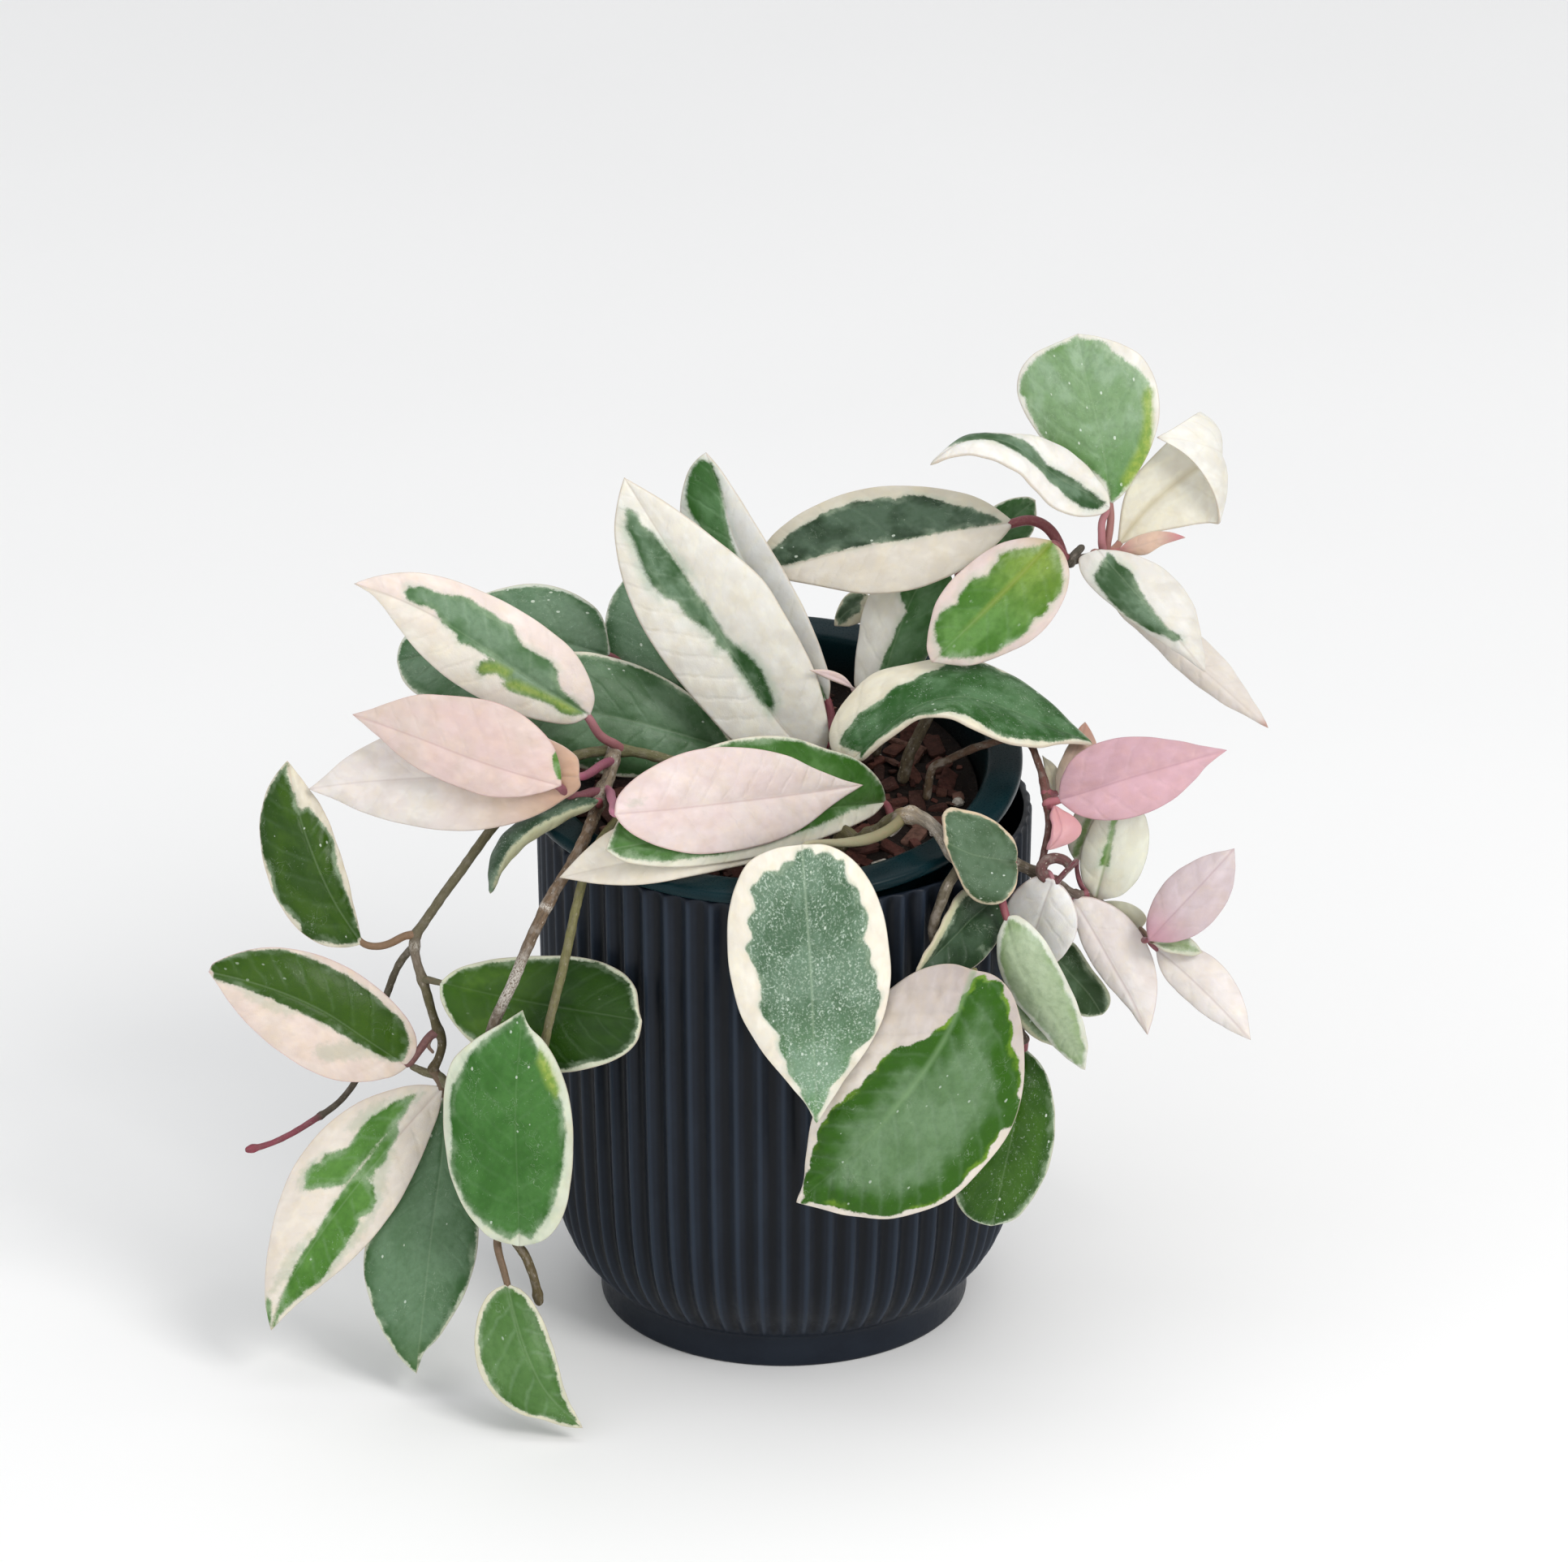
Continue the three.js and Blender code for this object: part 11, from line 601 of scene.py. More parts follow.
def leaf_material():
    """Variegated blade. lc: (along, across, seed) mm. gz, lz, fz: mm inside the green, lime and faint zones.
    ed: mm from the margin. cp, cg: pale and green tissue colours. grey_and_sheen: grey tone of the green, partly a
    painted waxy sheen. fl: flecks."""
    T = Tree('hoya_blade')
    lc = T.attr('lc', 'Vector')
    sep = T.n('SeparateXYZ')
    T.link(lc, sep.inputs[0])
    s, w = sep.outputs[0], sep.outputs[1]
    gz, lz, fz, ed = T.attr('gz'), T.attr('lz'), T.attr('fz'), T.attr('ed')
    cp, cg, grey_and_sheen, fl = T.attr('cp', 'Color'), T.attr('cg', 'Color'), T.attr('grey_and_sheen'), T.attr('fl')
    aw = T.math('ABSOLUTE', w)
    big = T.noise(lc, 0.16, 3.0, 0.55)
    mid = T.noise(lc, 0.55, 4.0, 0.6)
    fine = T.noise(lc, 2.2, 3.0, 0.6)
    # ragged outline of the green
    g = T.math('ADD', gz, T.math('MULTIPLY', T.math('SUBTRACT', mid, 0.5), T.math('MULTIPLY', T.attr('rg'), 1.7)))
    g = T.math('ADD', g, T.math('MULTIPLY', T.math('SUBTRACT', fine, 0.5), 0.4))
    so = T.attr('so')
    lowg = T.math('MULTIPLY', so, -0.42)
    outer = T.ramp(g, lowg, T.math('MULTIPLY', so, 0.42))
    inner = T.ramp(T.math('ADD', g, T.math('MULTIPLY', T.math('SUBTRACT', big, 0.5), 5.0)), 0.2, T.math('ADD', 1.0, so))
    # green tissue: a grey-green veil over a deeper green; the veil is partly the tissue's own grey tone and partly a
    # painted waxy sheen
    deepcol = T.mix(0.84, cg, T.vmath('MULTIPLY', cg, (0.36, 0.54, 0.18)))
    grey = T.mix(grey_and_sheen, cg, (0.235, 0.335, 0.235, 1))
    edgegreen = T.mix(0.55, cg, T.attr('ce', 'Color'))
    cloudy = T.noise(T.vmath('MULTIPLY', lc, (1.0, 1.3, 1.0)), 0.075, 3.0, 0.55)
    dp = T.attr('dp')
    q = T.math('SUBTRACT', s, T.math('MULTIPLY', aw, 0.85))
    q = T.math('ADD', q, T.math('MULTIPLY', T.math('SUBTRACT', big, 0.5), 4.0))
    wave = T.math('PINGPONG', q, 3.6)
    # the painted sheen is left off in cloudy patches and in a band along the margin, where the deeper green shows
    deep = T.mix(T.math('MULTIPLY', T.ramp(cloudy, 0.42, 0.62), dp), grey, deepcol)
    deep = T.mix(T.ramp(ed, 6.0, 0.6, 0.0, T.math('MULTIPLY', T.math('SUBTRACT', 1.0, grey_and_sheen), dp)), deep, deepcol)
    ring = T.math('ADD', gz, T.math('MULTIPLY', T.math('SUBTRACT', big, 0.5), 8.0))
    # the dark ring reaches further inward between the side veins: painted shade on the sides of the puckers
    ring = T.math('SUBTRACT', ring, T.math('MULTIPLY', T.math('SUBTRACT', T.ramp(wave, 0.0, 3.6, 0.0, 3.6), 1.8), 0.35))
    dw = T.attr('dw')
    deep = T.mix(T.math('MULTIPLY', T.ramp(ring, dw, T.math('MULTIPLY', dw, 0.3)), T.attr('dk')), deep, deepcol)
    green = T.mix(inner, T.mix(T.ramp(cloudy, 0.35, 0.6), edgegreen, T.mix(0.35, deep, deepcol)), deep)
    # lighter and darker patches between side veins
    vein = T.math('MULTIPLY', T.ramp(wave, 1.25, 0.0), T.ramp(aw, 0.3, 1.6))
    vein = T.math('MULTIPLY', vein, T.ramp(big, 0.34, 0.56, 0.35, 1.0))
    green = T.mix(T.math('MULTIPLY', vein, T.attr('vn')), green, (0.36, 0.50, 0.34, 1))
    green = T.mix(T.ramp(mid, 0.35, 0.75, 0.0, 0.22), green, (0.02, 0.06, 0.012, 1))
    # white flecks and fine dusting
    vd = T.voronoi(T.vmath('MULTIPLY', lc, (0.30, 0.42, 0.4)), 1.0)
    vc = T.voronoi(T.vmath('MULTIPLY', lc, (0.30, 0.42, 0.4)), 1.0, 'Color')
    vs = T.n('SeparateColor')
    T.link(vc, vs.inputs[0])
    size = T.math('MULTIPLY', T.ramp(vs.outputs[0], 0.62, 1.0), 0.17)
    fleck = T.ramp(T.math('ADD', T.math('SUBTRACT', vd, size), T.math('MULTIPLY', T.math('SUBTRACT', fine, 0.5), 0.12)), 0.02, -0.035)
    fleck = T.math('MULTIPLY', fleck, T.ramp(fl, 0.0, 0.5))
    dust = T.noise(lc, 1.45, 4.0, 0.78)
    dlow = T.math('SUBTRACT', 0.665, T.math('MULTIPLY', fl, 0.125))
    dustm = T.ramp(dust, dlow, T.math('ADD', dlow, 0.075))
    dustm = T.math('MULTIPLY', dustm, T.math('ADD', T.math('MULTIPLY', fl, 0.35), T.ramp(big, 0.36, 0.60, 0.0, 0.65)))
    dustm = T.math('MULTIPLY', dustm, T.ramp(fl, 0.0, 0.8))
    green = T.mix(T.math('MULTIPLY', fleck, 0.80), green, (0.66, 0.74, 0.64, 1))
    green = T.mix(T.math('MULTIPLY', dustm, 0.74), green, (0.56, 0.66, 0.56, 1))
    contour = T.math('ABSOLUTE', T.math('SUBTRACT', T.noise(lc, 0.42, 2.0, 0.5, distortion=0.8), 0.5))
    contour = T.math('MULTIPLY', T.ramp(contour, 0.013, 0.003), T.ramp(T.noise(lc, 0.11, 1.0, 0.5), 0.56, 0.66))
    contour = T.math('MULTIPLY', contour, T.ramp(fl, 0.0, 0.3))
    green = T.mix(T.math('MULTIPLY', contour, 0.22), green, (0.52, 0.62, 0.48, 1))
    # lime tissue
    lg = T.math('ADD', lz, T.math('MULTIPLY', T.math('SUBTRACT', mid, 0.5), 1.8))
    lime = T.ramp(lg, -1.1, 1.5)
    limecol = T.mix(T.ramp(mid, 0.35, 0.65), (0.33, 0.42, 0.075, 1), (0.20, 0.33, 0.055, 1))
    # pale tissue with blotches
    cloud = T.noise(lc, 0.20, 4.0, 0.62)
    pale = T.mix(T.ramp(cloud, 0.42, 0.68, 0.0, 0.8), cp, T.vmath('MULTIPLY', cp, (1.03, 1.01, 0.94)))
    dim = T.ramp(T.noise(lc, 0.15, 2.0, 0.5), 0.42, 0.66, 0.0, 0.7)
    pale = T.mix(dim, pale, T.vmath('MULTIPLY', pale, (0.91, 0.895, 0.87)))
    snow = T.ramp(T.noise(T.vmath('MULTIPLY', lc, (1.0, 1.6, 1.0)), 0.17, 2.0, 0.5), 0.46, 0.66, 0.0, 0.7)
    pale = T.mix(snow, pale, T.vmath('MULTIPLY', pale, (1.085, 1.10, 1.11)))
    blush = T.attr('bl')
    pale = T.mix(T.math('MULTIPLY', T.ramp(T.noise(lc, 0.085, 3.0, 0.5), 0.34, 0.66), blush), pale, (0.66, 0.40, 0.42, 1))
    pale = T.mix(T.ramp(T.noise(T.vmath('MULTIPLY', lc, (1.0, 1.0, 2.0)), 0.20, 3.0, 0.5), 0.44, 0.70, 0.0, T.math('MULTIPLY', blush, 2.0)), pale, T.vmath('MULTIPLY', pale, (1.06, 1.10, 1.10)))
    pale = T.mix(T.math('MULTIPLY', vein, 0.035), pale, (0.50, 0.46, 0.36, 1))
    faint = T.ramp(T.math('ADD', fz, T.math('MULTIPLY', T.math('SUBTRACT', mid, 0.5), 4.0)), -0.8, 1.4)
    pale = T.mix(T.math('MULTIPLY', faint, 0.32), pale, (0.30, 0.40, 0.26, 1))
    # a thin translucent skirt of half green outside the outline, in places
    skirt = T.ramp(T.math('ADD', g, T.math('MULTIPLY', T.math('SUBTRACT', big, 0.5), 2.0)), T.math('MULTIPLY', so, -1.9), 0.1)
    skirt = T.math('MULTIPLY', skirt, T.ramp(cloudy, 0.40, 0.60, 0.15, 0.85))
    pale = T.mix(T.math('MULTIPLY', skirt, T.attr('sk')), pale, T.mix(0.55, T.mix(0.5, pale, grey), (0.50, 0.60, 0.48, 1)))
    col = T.mix(outer, pale, green)
    col = T.mix(T.math('MULTIPLY', lime, 0.88), col, limecol)
    # midrib and margin
    rib = T.ramp(T.math('ADD', aw, T.math('MULTIPLY', fine, 0.12)), 0.48, 0.10)
    ribm = T.math('MULTIPLY', rib, T.attr('rb'))
    onpale = T.mix(0.62, pale, T.vmath('MULTIPLY', T.attr('cr', 'Color'), (0.72, 0.70, 0.70)))
    ongreen = T.mix(0.24, green, (0.40, 0.52, 0.32, 1))
    col = T.mix(T.math('MULTIPLY', ribm, 0.72), col, T.mix(outer, onpale, ongreen))
    wide = T.ramp(aw, T.attr('rw'), 0.0)
    col = T.mix(T.math('MULTIPLY', wide, T.attr('rm')), col, T.attr('cm', 'Color'))
    rim = T.ramp(T.math('ADD', ed, T.math('MULTIPLY', T.math('SUBTRACT', fine, 0.5), 0.25)), 0.50, 0.06)
    col = T.mix(T.math('MULTIPLY', rim, 0.60), col, T.attr('cr', 'Color'))
    T.set(Base_Color=col)
    rough = T.math('ADD', T.attr('ro'), T.math('MULTIPLY', T.math('SUBTRACT', fine, 0.5), 0.10))
    T.link(rough, T.b.inputs['Roughness'])
    T.b.inputs['Specular IOR Level'].default_value = 0.24
    T.b.inputs['IOR'].default_value = 1.45
    T.b.inputs['Subsurface Weight'].default_value = 0.22
    T.b.inputs['Subsurface Radius'].default_value = (1.0, 0.8, 0.5)
    T.b.inputs['Subsurface Scale'].default_value = 0.0018
    T.b.inputs['Coat Weight'].default_value = 0.06
    T.b.inputs['Coat Roughness'].default_value = 0.20
    T.b.inputs['Coat IOR'].default_value = 1.4
    h = T.math('ADD', T.math('MULTIPLY', mid, 0.55), T.math('MULTIPLY', fine, 0.22))
    h = T.math('SUBTRACT', h, T.math('MULTIPLY', vein, 0.62))
    h = T.math('ADD', h, T.math('MULTIPLY', fleck, 0.06))
    h = T.math('ADD', h, T.math('MULTIPLY', contour, 0.22))
    T.bump(h, 0.46, 0.00034)
    return T.m


def stalk_material():
    """Leaf stalk: cs is its colour, lc its (along, round, seed) mm."""
    T = Tree('hoya_stalk')
    lc = T.attr('lc', 'Vector')
    a = T.noise(lc, 0.9, 4.0, 0.6)
    b = T.noise(T.vmath('MULTIPLY', lc, (1.0, 3.0, 1.0)), 1.6, 3.0, 0.6)
    col = T.mix(T.ramp(a, 0.40, 0.7, 0.0, 0.22), T.attr('cs', 'Color'), (0.36, 0.20, 0.14, 1))
    col = T.mix(T.ramp(b, 0.60, 0.74, 0.0, 0.16), col, (0.55, 0.42, 0.36, 1))
    T.set(Base_Color=col)
    T.link(T.ramp(b, 0.3, 0.7, 0.42, 0.60), T.b.inputs['Roughness'])
    T.b.inputs['Specular IOR Level'].default_value = 0.4
    T.b.inputs['Subsurface Weight'].default_value = 0.10
    T.b.inputs['Subsurface Radius'].default_value = (1.0, 0.5, 0.4)
    T.b.inputs['Subsurface Scale'].default_value = 0.0008
    T.bump(T.math('ADD', a, T.math('MULTIPLY', b, 0.6)), 0.35, 0.0003)
    return T.m


def bark_material():
    """Stem: cs colour, lc (along, round, seed) mm, wd woodiness 0..1."""
    T = Tree('hoya_stem')
    lc = T.attr('lc', 'Vector')
    wd = T.attr('wd')
    streak = T.noise(T.vmath('MULTIPLY', lc, (0.35, 1.5, 1.0)), 1.0, 4.0, 0.62)
    blot = T.noise(lc, 0.35, 3.0, 0.6)
    grain = T.noise(lc, 2.6, 3.0, 0.65)
    base = T.attr('cs', 'Color')
    col = T.mix(T.ramp(streak, 0.45, 0.62, 0.0, T.math('ADD', 0.20, T.math('MULTIPLY', wd, 0.42))), base, (0.062, 0.045, 0.032, 1))
    col = T.mix(T.math('MULTIPLY', T.ramp(blot, 0.46, 0.68), T.math('MULTIPLY', wd, 0.65)), col, (0.34, 0.30, 0.26, 1))
    vd = T.voronoi(T.vmath('MULTIPLY', lc, (0.55, 0.9, 1.0)), 1.0)
    vc = T.voronoi(T.vmath('MULTIPLY', lc, (0.55, 0.9, 1.0)), 1.0, 'Color')
    sc = T.n('SeparateColor')
    T.link(vc, sc.inputs[0])
    lent = T.ramp(T.math('SUBTRACT', vd, T.math('MULTIPLY', T.ramp(sc.outputs[1], 0.35, 1.0), 0.26)), 0.03, -0.05)
    col = T.mix(T.math('MULTIPLY', lent, T.math('MULTIPLY', wd, 0.8)), col, (0.56, 0.49, 0.41, 1))
    col = T.mix(T.ramp(grain, 0.55, 0.8, 0.0, 0.35), col, (0.50, 0.44, 0.34, 1))
    # pale scars and lime crust
    wh = T.attr('wh')
    crust = T.math('MULTIPLY', T.ramp(T.noise(T.vmath('MULTIPLY', lc, (0.8, 1.3, 1.0)), 1.7, 4.0, 0.72), 0.43, 0.54), wh)
    col = T.mix(T.math('MULTIPLY', crust, 0.85), col, (0.66, 0.62, 0.56, 1))
    T.set(Base_Color=col)
    T.link(T.ramp(grain, 0.3, 0.7, 0.55, 0.78), T.b.inputs['Roughness'])
    T.b.inputs['Specular IOR Level'].default_value = 0.3
    h = T.math('ADD', T.math('MULTIPLY', streak, 0.6), T.math('MULTIPLY', grain, 0.35))
    h = T.math('ADD', h, T.math('MULTIPLY', lent, 0.35))
    T.bump(h, 0.75, 0.0006)
    return T.m


def planter_material():
    T = Tree('planter_ceramic')
    tc = T.n('TexCoord').outputs['Object']
    a = T.noise(tc, 60, 4.0, 0.6)
    b = T.noise(tc, 1500, 2.0, 0.6)
    c = T.noise(tc, 420, 3.0, 0.6)
    base = T.mix(T.ramp(a, 0.35, 0.7), (0.0076, 0.0112, 0.0190, 1), (0.0102, 0.0152, 0.0246, 1))
    base = T.mix(T.ramp(b, 0.62, 0.78, 0.0, 0.16), base, (0.030, 0.040, 0.058, 1))
    # painted shade: the glaze is darkened in the grooves; painted highlight: it is lightened on the crests
    base = T.mix(T.ramp(T.attr('cw'), 0.45, 0.0, 0.0, 0.85), base, (0.0020, 0.0030, 0.0052, 1))
    base = T.mix(T.ramp(T.attr('cw'), 0.58, 1.0, 0.0, 0.55), base, (0.028, 0.042, 0.066, 1))
    T.set(Base_Color=base)
    T.link(T.ramp(c, 0.3, 0.7, 0.34, 0.44), T.b.inputs['Roughness'])
    T.b.inputs['Specular IOR Level'].default_value = 0.18
    T.bump(T.math('ADD', T.math('MULTIPLY', b, 0.5), c), 0.16, 0.00022)
    return T.m


def liner_material():
    T = Tree('grow_pot_plastic')
    lc = T.attr('lc', 'Vector')
    a = T.noise(lc, 0.05, 3.0, 0.6)
    ring = T.noise(T.vmath('MULTIPLY', lc, (0.02, 1.4, 1.0)), 1.0, 3.0, 0.6)
    b = T.noise(lc, 2.0, 2.0, 0.5)
    base = T.mix(T.ramp(a, 0.35, 0.7), (0.0019, 0.0132, 0.0170, 1), (0.0032, 0.0200, 0.0255, 1))
    base = T.mix(T.ramp(ring, 0.58, 0.78, 0.0, 0.18), base, (0.012, 0.050, 0.060, 1))
    # the inner wall turns darker brown from 3 to 15 mm below the lip
    dirt = T.attr('dirt')
    base = T.mix(T.math('MULTIPLY', dirt, T.ramp(b, 0.25, 0.7, 0.55, 1.0)), base, (0.012, 0.009, 0.007, 1))
    T.set(Base_Color=base)
    T.link(T.ramp(b, 0.3, 0.7, 0.26, 0.38), T.b.inputs['Roughness'])
    T.b.inputs['Specular IOR Level'].default_value = 0.13
    T.bump(T.math('ADD', T.math('MULTIPLY', ring, 0.8), T.math('MULTIPLY', b, 0.2)), 0.22, 0.00025)
    return T.m


def mix_material():
    """Bark mix: cs is each chip's own colour."""
    T = Tree('bark_mix')
    tc = T.n('TexCoord').outputs['Object']
    a = T.noise(tc, 420, 4.0, 0.65)
    b = T.noise(T.vmath('MULTIPLY', tc, (1.0, 1.0, 3.0)), 900, 3.0, 0.65)
    col = T.mix(T.ramp(a, 0.35, 0.7, 0.0, 0.60), T.attr('cs', 'Color'), (0.020, 0.012, 0.009, 1))
    col = T.mix(T.ramp(b, 0.60, 0.78, 0.0, 0.38), col, (0.26, 0.17, 0.13, 1))
    T.set(Base_Color=col)
    T.link(T.ramp(a, 0.3, 0.7, 0.78, 0.95), T.b.inputs['Roughness'])
    T.b.inputs['Specular IOR Level'].default_value = 0.25
    T.bump(T.math('ADD', a, T.math('MULTIPLY', b, 0.7)), 0.8, 0.0006)
    return T.m


def grain_material():
    T = Tree('pale_grain')
    tc = T.n('TexCoord').outputs['Object']
    a = T.noise(tc, 900, 4.0, 0.6)
    col = T.mix(T.ramp(a, 0.35, 0.68), (0.34, 0.30, 0.25, 1), (0.58, 0.54, 0.48, 1))
    T.set(Base_Color=col)
    T.link(T.ramp(a, 0.3, 0.7, 0.75, 0.9), T.b.inputs['Roughness'])
    T.bump(a, 0.7, 0.0004)
    return T.m


def floor_material():
    T = Tree('pale_floor')
    tc = T.n('TexCoord').outputs['Object']
    a = T.noise(tc, 3, 2.0, 0.5)
    T.set(Base_Color=T.mix(T.ramp(a, 0.3, 0.7), (0.925, 0.925, 0.923, 1), (0.94, 0.94, 0.938, 1)))
    T.b.inputs['Roughness'].default_value = 0.9
    T.b.inputs['Specular IOR Level'].default_value = 0.1
    return T.m


# ---------------------------------------------------------------- leaves
def zone(points, S, W):
    """Signed distance in mm to a polygon, positive inside."""
    P = np.array(points, float)
    Q = np.roll(P, -1, axis=0)
    x = np.stack([S, W], axis=-1)[..., None, :]
    e = Q - P
    t = np.clip(((x - P) * e).sum(-1) / np.maximum((e * e).sum(-1), 1e-9), 0, 1)
    d = np.linalg.norm(x - P - t[..., None] * e, axis=-1).min(-1)
    y = W[..., None]
    xx = S[..., None]
    cross = (P[:, 1] > y) != (Q[:, 1] > y)
    den = np.where(np.abs(e[:, 1]) < 1e-9, 1e-9, e[:, 1])
    at = P[:, 0] + (y - P[:, 1]) * e[:, 0] / den
    inside = (cross & (xx < at)).sum(-1) % 2 == 1
    return np.where(inside, d, -d)


DEFAULT = dict(pale='#e9e4d8', pale2=None, green='#3c6b2f', grey_and_sheen=0.45, fl=0.35, blush=0.0, inset=None, rim='#cbbcaa',
               dome=0.06, wave=0.35, pucker=0.16, ro=0.37, rib=0.8, stalk='#8d4a55', stalk_r=1.35, under=False,
               lift=0.0, groove=0.26, so=1.0, rw=0.01, rm=0.0, cm='#9aa860', rg=1.0, eps=0.10, relax=0,
               ce='#aabca2', sk=0.62, vn=0.045, dk=0.25, dw=3.0, dp=0.78, pg=0.90)


def leaf(name):
    q = LEAVES[name]
    o = dict(DEFAULT)
    o.update(LOOK.get(name, {}))
    seed = float(sum(ord(c) * (i + 1) for i, c in enumerate(name)) % 97)
    ts, st = np.array(q['ts']), np.array(q['st'], float)
    M0 = st[:, 1]
    length = np.linalg.norm(np.diff(M0, axis=0), axis=1).sum()
    width = max(np.linalg.norm(st[:, 0] - st[:, 1], axis=1).max(), np.linalg.norm(st[:, 2] - st[:, 1], axis=1).max())
    R = int(np.clip(length / 0.85, 26, 92))
    K = int(np.clip(width / 0.95, 7, 19))
    x = np.linspace(0, 1, R)
    t = 0.62 * x + 0.38 * 0.5 * (1 - np.cos(np.pi * x))
    S = hermite(ts, st, t)
    A, M, B = S[:, 0], S[:, 1], S[:, 2]
    L = np.concatenate([[0], np.cumsum(np.linalg.norm(np.diff(M, axis=0), axis=1))])
    wa = np.linalg.norm(A - M, axis=1)
    wb = np.linalg.norm(B - M, axis=1)
    T = o.get('thick', LEAF_T)
    edge = np.array([0.0, 0.10, 0.34, 0.68, 1.05]) * T

    def half(w):
        """Distance share from the margin to the midrib for the columns of one side, rows by columns."""
        base = np.arange(5) / (K + 5)
        e = np.minimum(edge[None, :] / np.maximum(w[:, None], 1e-6), base[None, :] * 1.6)
        rest = np.linspace(0, 1, K + 1)[1:]
        rest = rest ** 0.94
        return np.hstack([e, e[:, -1:] + (1 - e[:, -1:]) * rest[None, :]])

    ea, eb = half(wa), half(wb)          # 0 margin .. 1 midrib
    va, vb = -(1 - ea), (1 - eb)[:, ::-1]
    v = np.hstack([va, vb[:, 1:]])       # -1 .. 0 .. 1
    C = v.shape[1]
    eps = o['eps']
    soft = lambda z: (z + np.sqrt(z * z + eps * eps)) / 2
    P = M[:, None] + (A - M)[:, None] * soft(-v)[..., None] + (B - M)[:, None] * soft(v)[..., None]
    for side, at, wide, push in o.get('bulge', []):
        shape = (4 * np.abs(v) * (1 - np.abs(v))) * (v * side > 0) * np.exp(-((t[:, None] - at) / wide) ** 2)
        P = P + shape[..., None] * np.array(push, float)
    for _ in range(o['relax']):
        Q2 = P.copy()
        Q2[1:-1] = 0.25 * P[:-2] + 0.5 * P[1:-1] + 0.25 * P[2:]
        P = Q2
    W = np.where(v < 0, wa[:, None], wb[:, None])
    d = (1 - np.abs(v)) * W
    across = np.gradient(P, axis=1)
    along = np.gradient(P, axis=0)
    mid = C // 2
    span = P[:, -1] - P[:, 0]
    for i in (0, R - 1):
        across[i] = across[1 if i == 0 else R - 2]
    n = np.cross(across, along)
    n = unit(n)
    n[0], n[-1] = n[1], n[-2]
    for _ in range(2):
        n[1:-1] = unit(n[:-2] + 2 * n[1:-1] + n[2:])
    for _ in range(3):
        m2 = n.copy()
        m2[:, 1:-1] = n[:, :-2] + 2 * n[:, 1:-1] + n[:, 2:]
        n = unit(m2)
    sign = 1.0 if (n.reshape(-1, 3) @ FACE).sum() > 0 else -1.0
    n = n * sign
    up = -1.0 if o['under'] else 1.0       # n points to the side the photo shows
    av = np.abs(v)
    Ltot = L[-1]
    S2 = np.broadcast_to(L[:, None], v.shape)
    Wd = v * W
    fade = np.clip(np.minimum(L, Ltot - L) / (0.12 * Ltot), 0, 1)[:, None]
    h = o['dome'] * W * (4 * av * (1 - av)) ** 0.9 * up
    h = h - 0.035 * W * av ** 6 * up
    ph = seed * 0.7
    lam = max(11.0, Ltot * 0.30)
    wv = np.sin(2 * np.pi * L / lam + ph)[:, None] * 0.6 + np.sin(2 * np.pi * L / (lam * 0.47) + ph * 1.9)[:, None] * 0.4
    wv = np.where(v < 0, wv, np.roll(wv, R // 7, axis=0))
    h = h + o['wave'] * wv * av ** 3 * fade
    if o['pucker'] > 0:
        flat = np.stack([S2.ravel(), Wd.ravel(), np.full(S2.size, seed)], axis=1)
        pk = n3(flat, 0.16, seed) * 0.65 + n3(flat, 0.38, seed + 9) * 0.35
        pk = pk.reshape(v.shape)
        qv = (S2 - 0.85 * np.abs(Wd)) / 7.2
        tri = np.abs((qv + 0.25 * pk) % 1 - 0.5) * 2
        pillow = (1 - tri ** 2) * smoothstep(0.04, 0.3, av) * (1 - av ** 4)
        h = h + o['pucker'] * (pk * 1.0 + (0.6 - pillow) * -0.8) * fade * (1 - av ** 6)
    th = T * np.sqrt(np.clip(1 - (1 - np.minimum(d, T) / T) ** 2, 0, 1))
    small = np.minimum(1, W / (1.6 * T))
    th = th * (0.35 + 0.65 * small)
    groove = o['groove'] * np.exp(-(Wd / 0.62) ** 2) * (1 - 0.6 * t[:, None])
    keel = 0.62 * np.exp(-(Wd / 0.95) ** 2) * np.clip(1 - t[:, None] * 1.02, 0, 1) ** 0.6 * smoothstep(0, 0.03, t)[:, None]
    keel = keel * np.minimum(1, W / 3.0)
    lift = o['lift']
    top, bot = (th - groove * np.minimum(1, W / 3)), (th + keel)
    if o['under']:
        top, bot = bot, top
    front = P + n * (h + top + lift)[..., None]
    back = P + n * (h - bot + lift)[..., None]
    front[:, 0] = back[:, 0] = (P + n * (h + lift)[..., None])[:, 0]
    front[:, -1] = back[:, -1] = (P + n * (h + lift)[..., None])[:, -1]

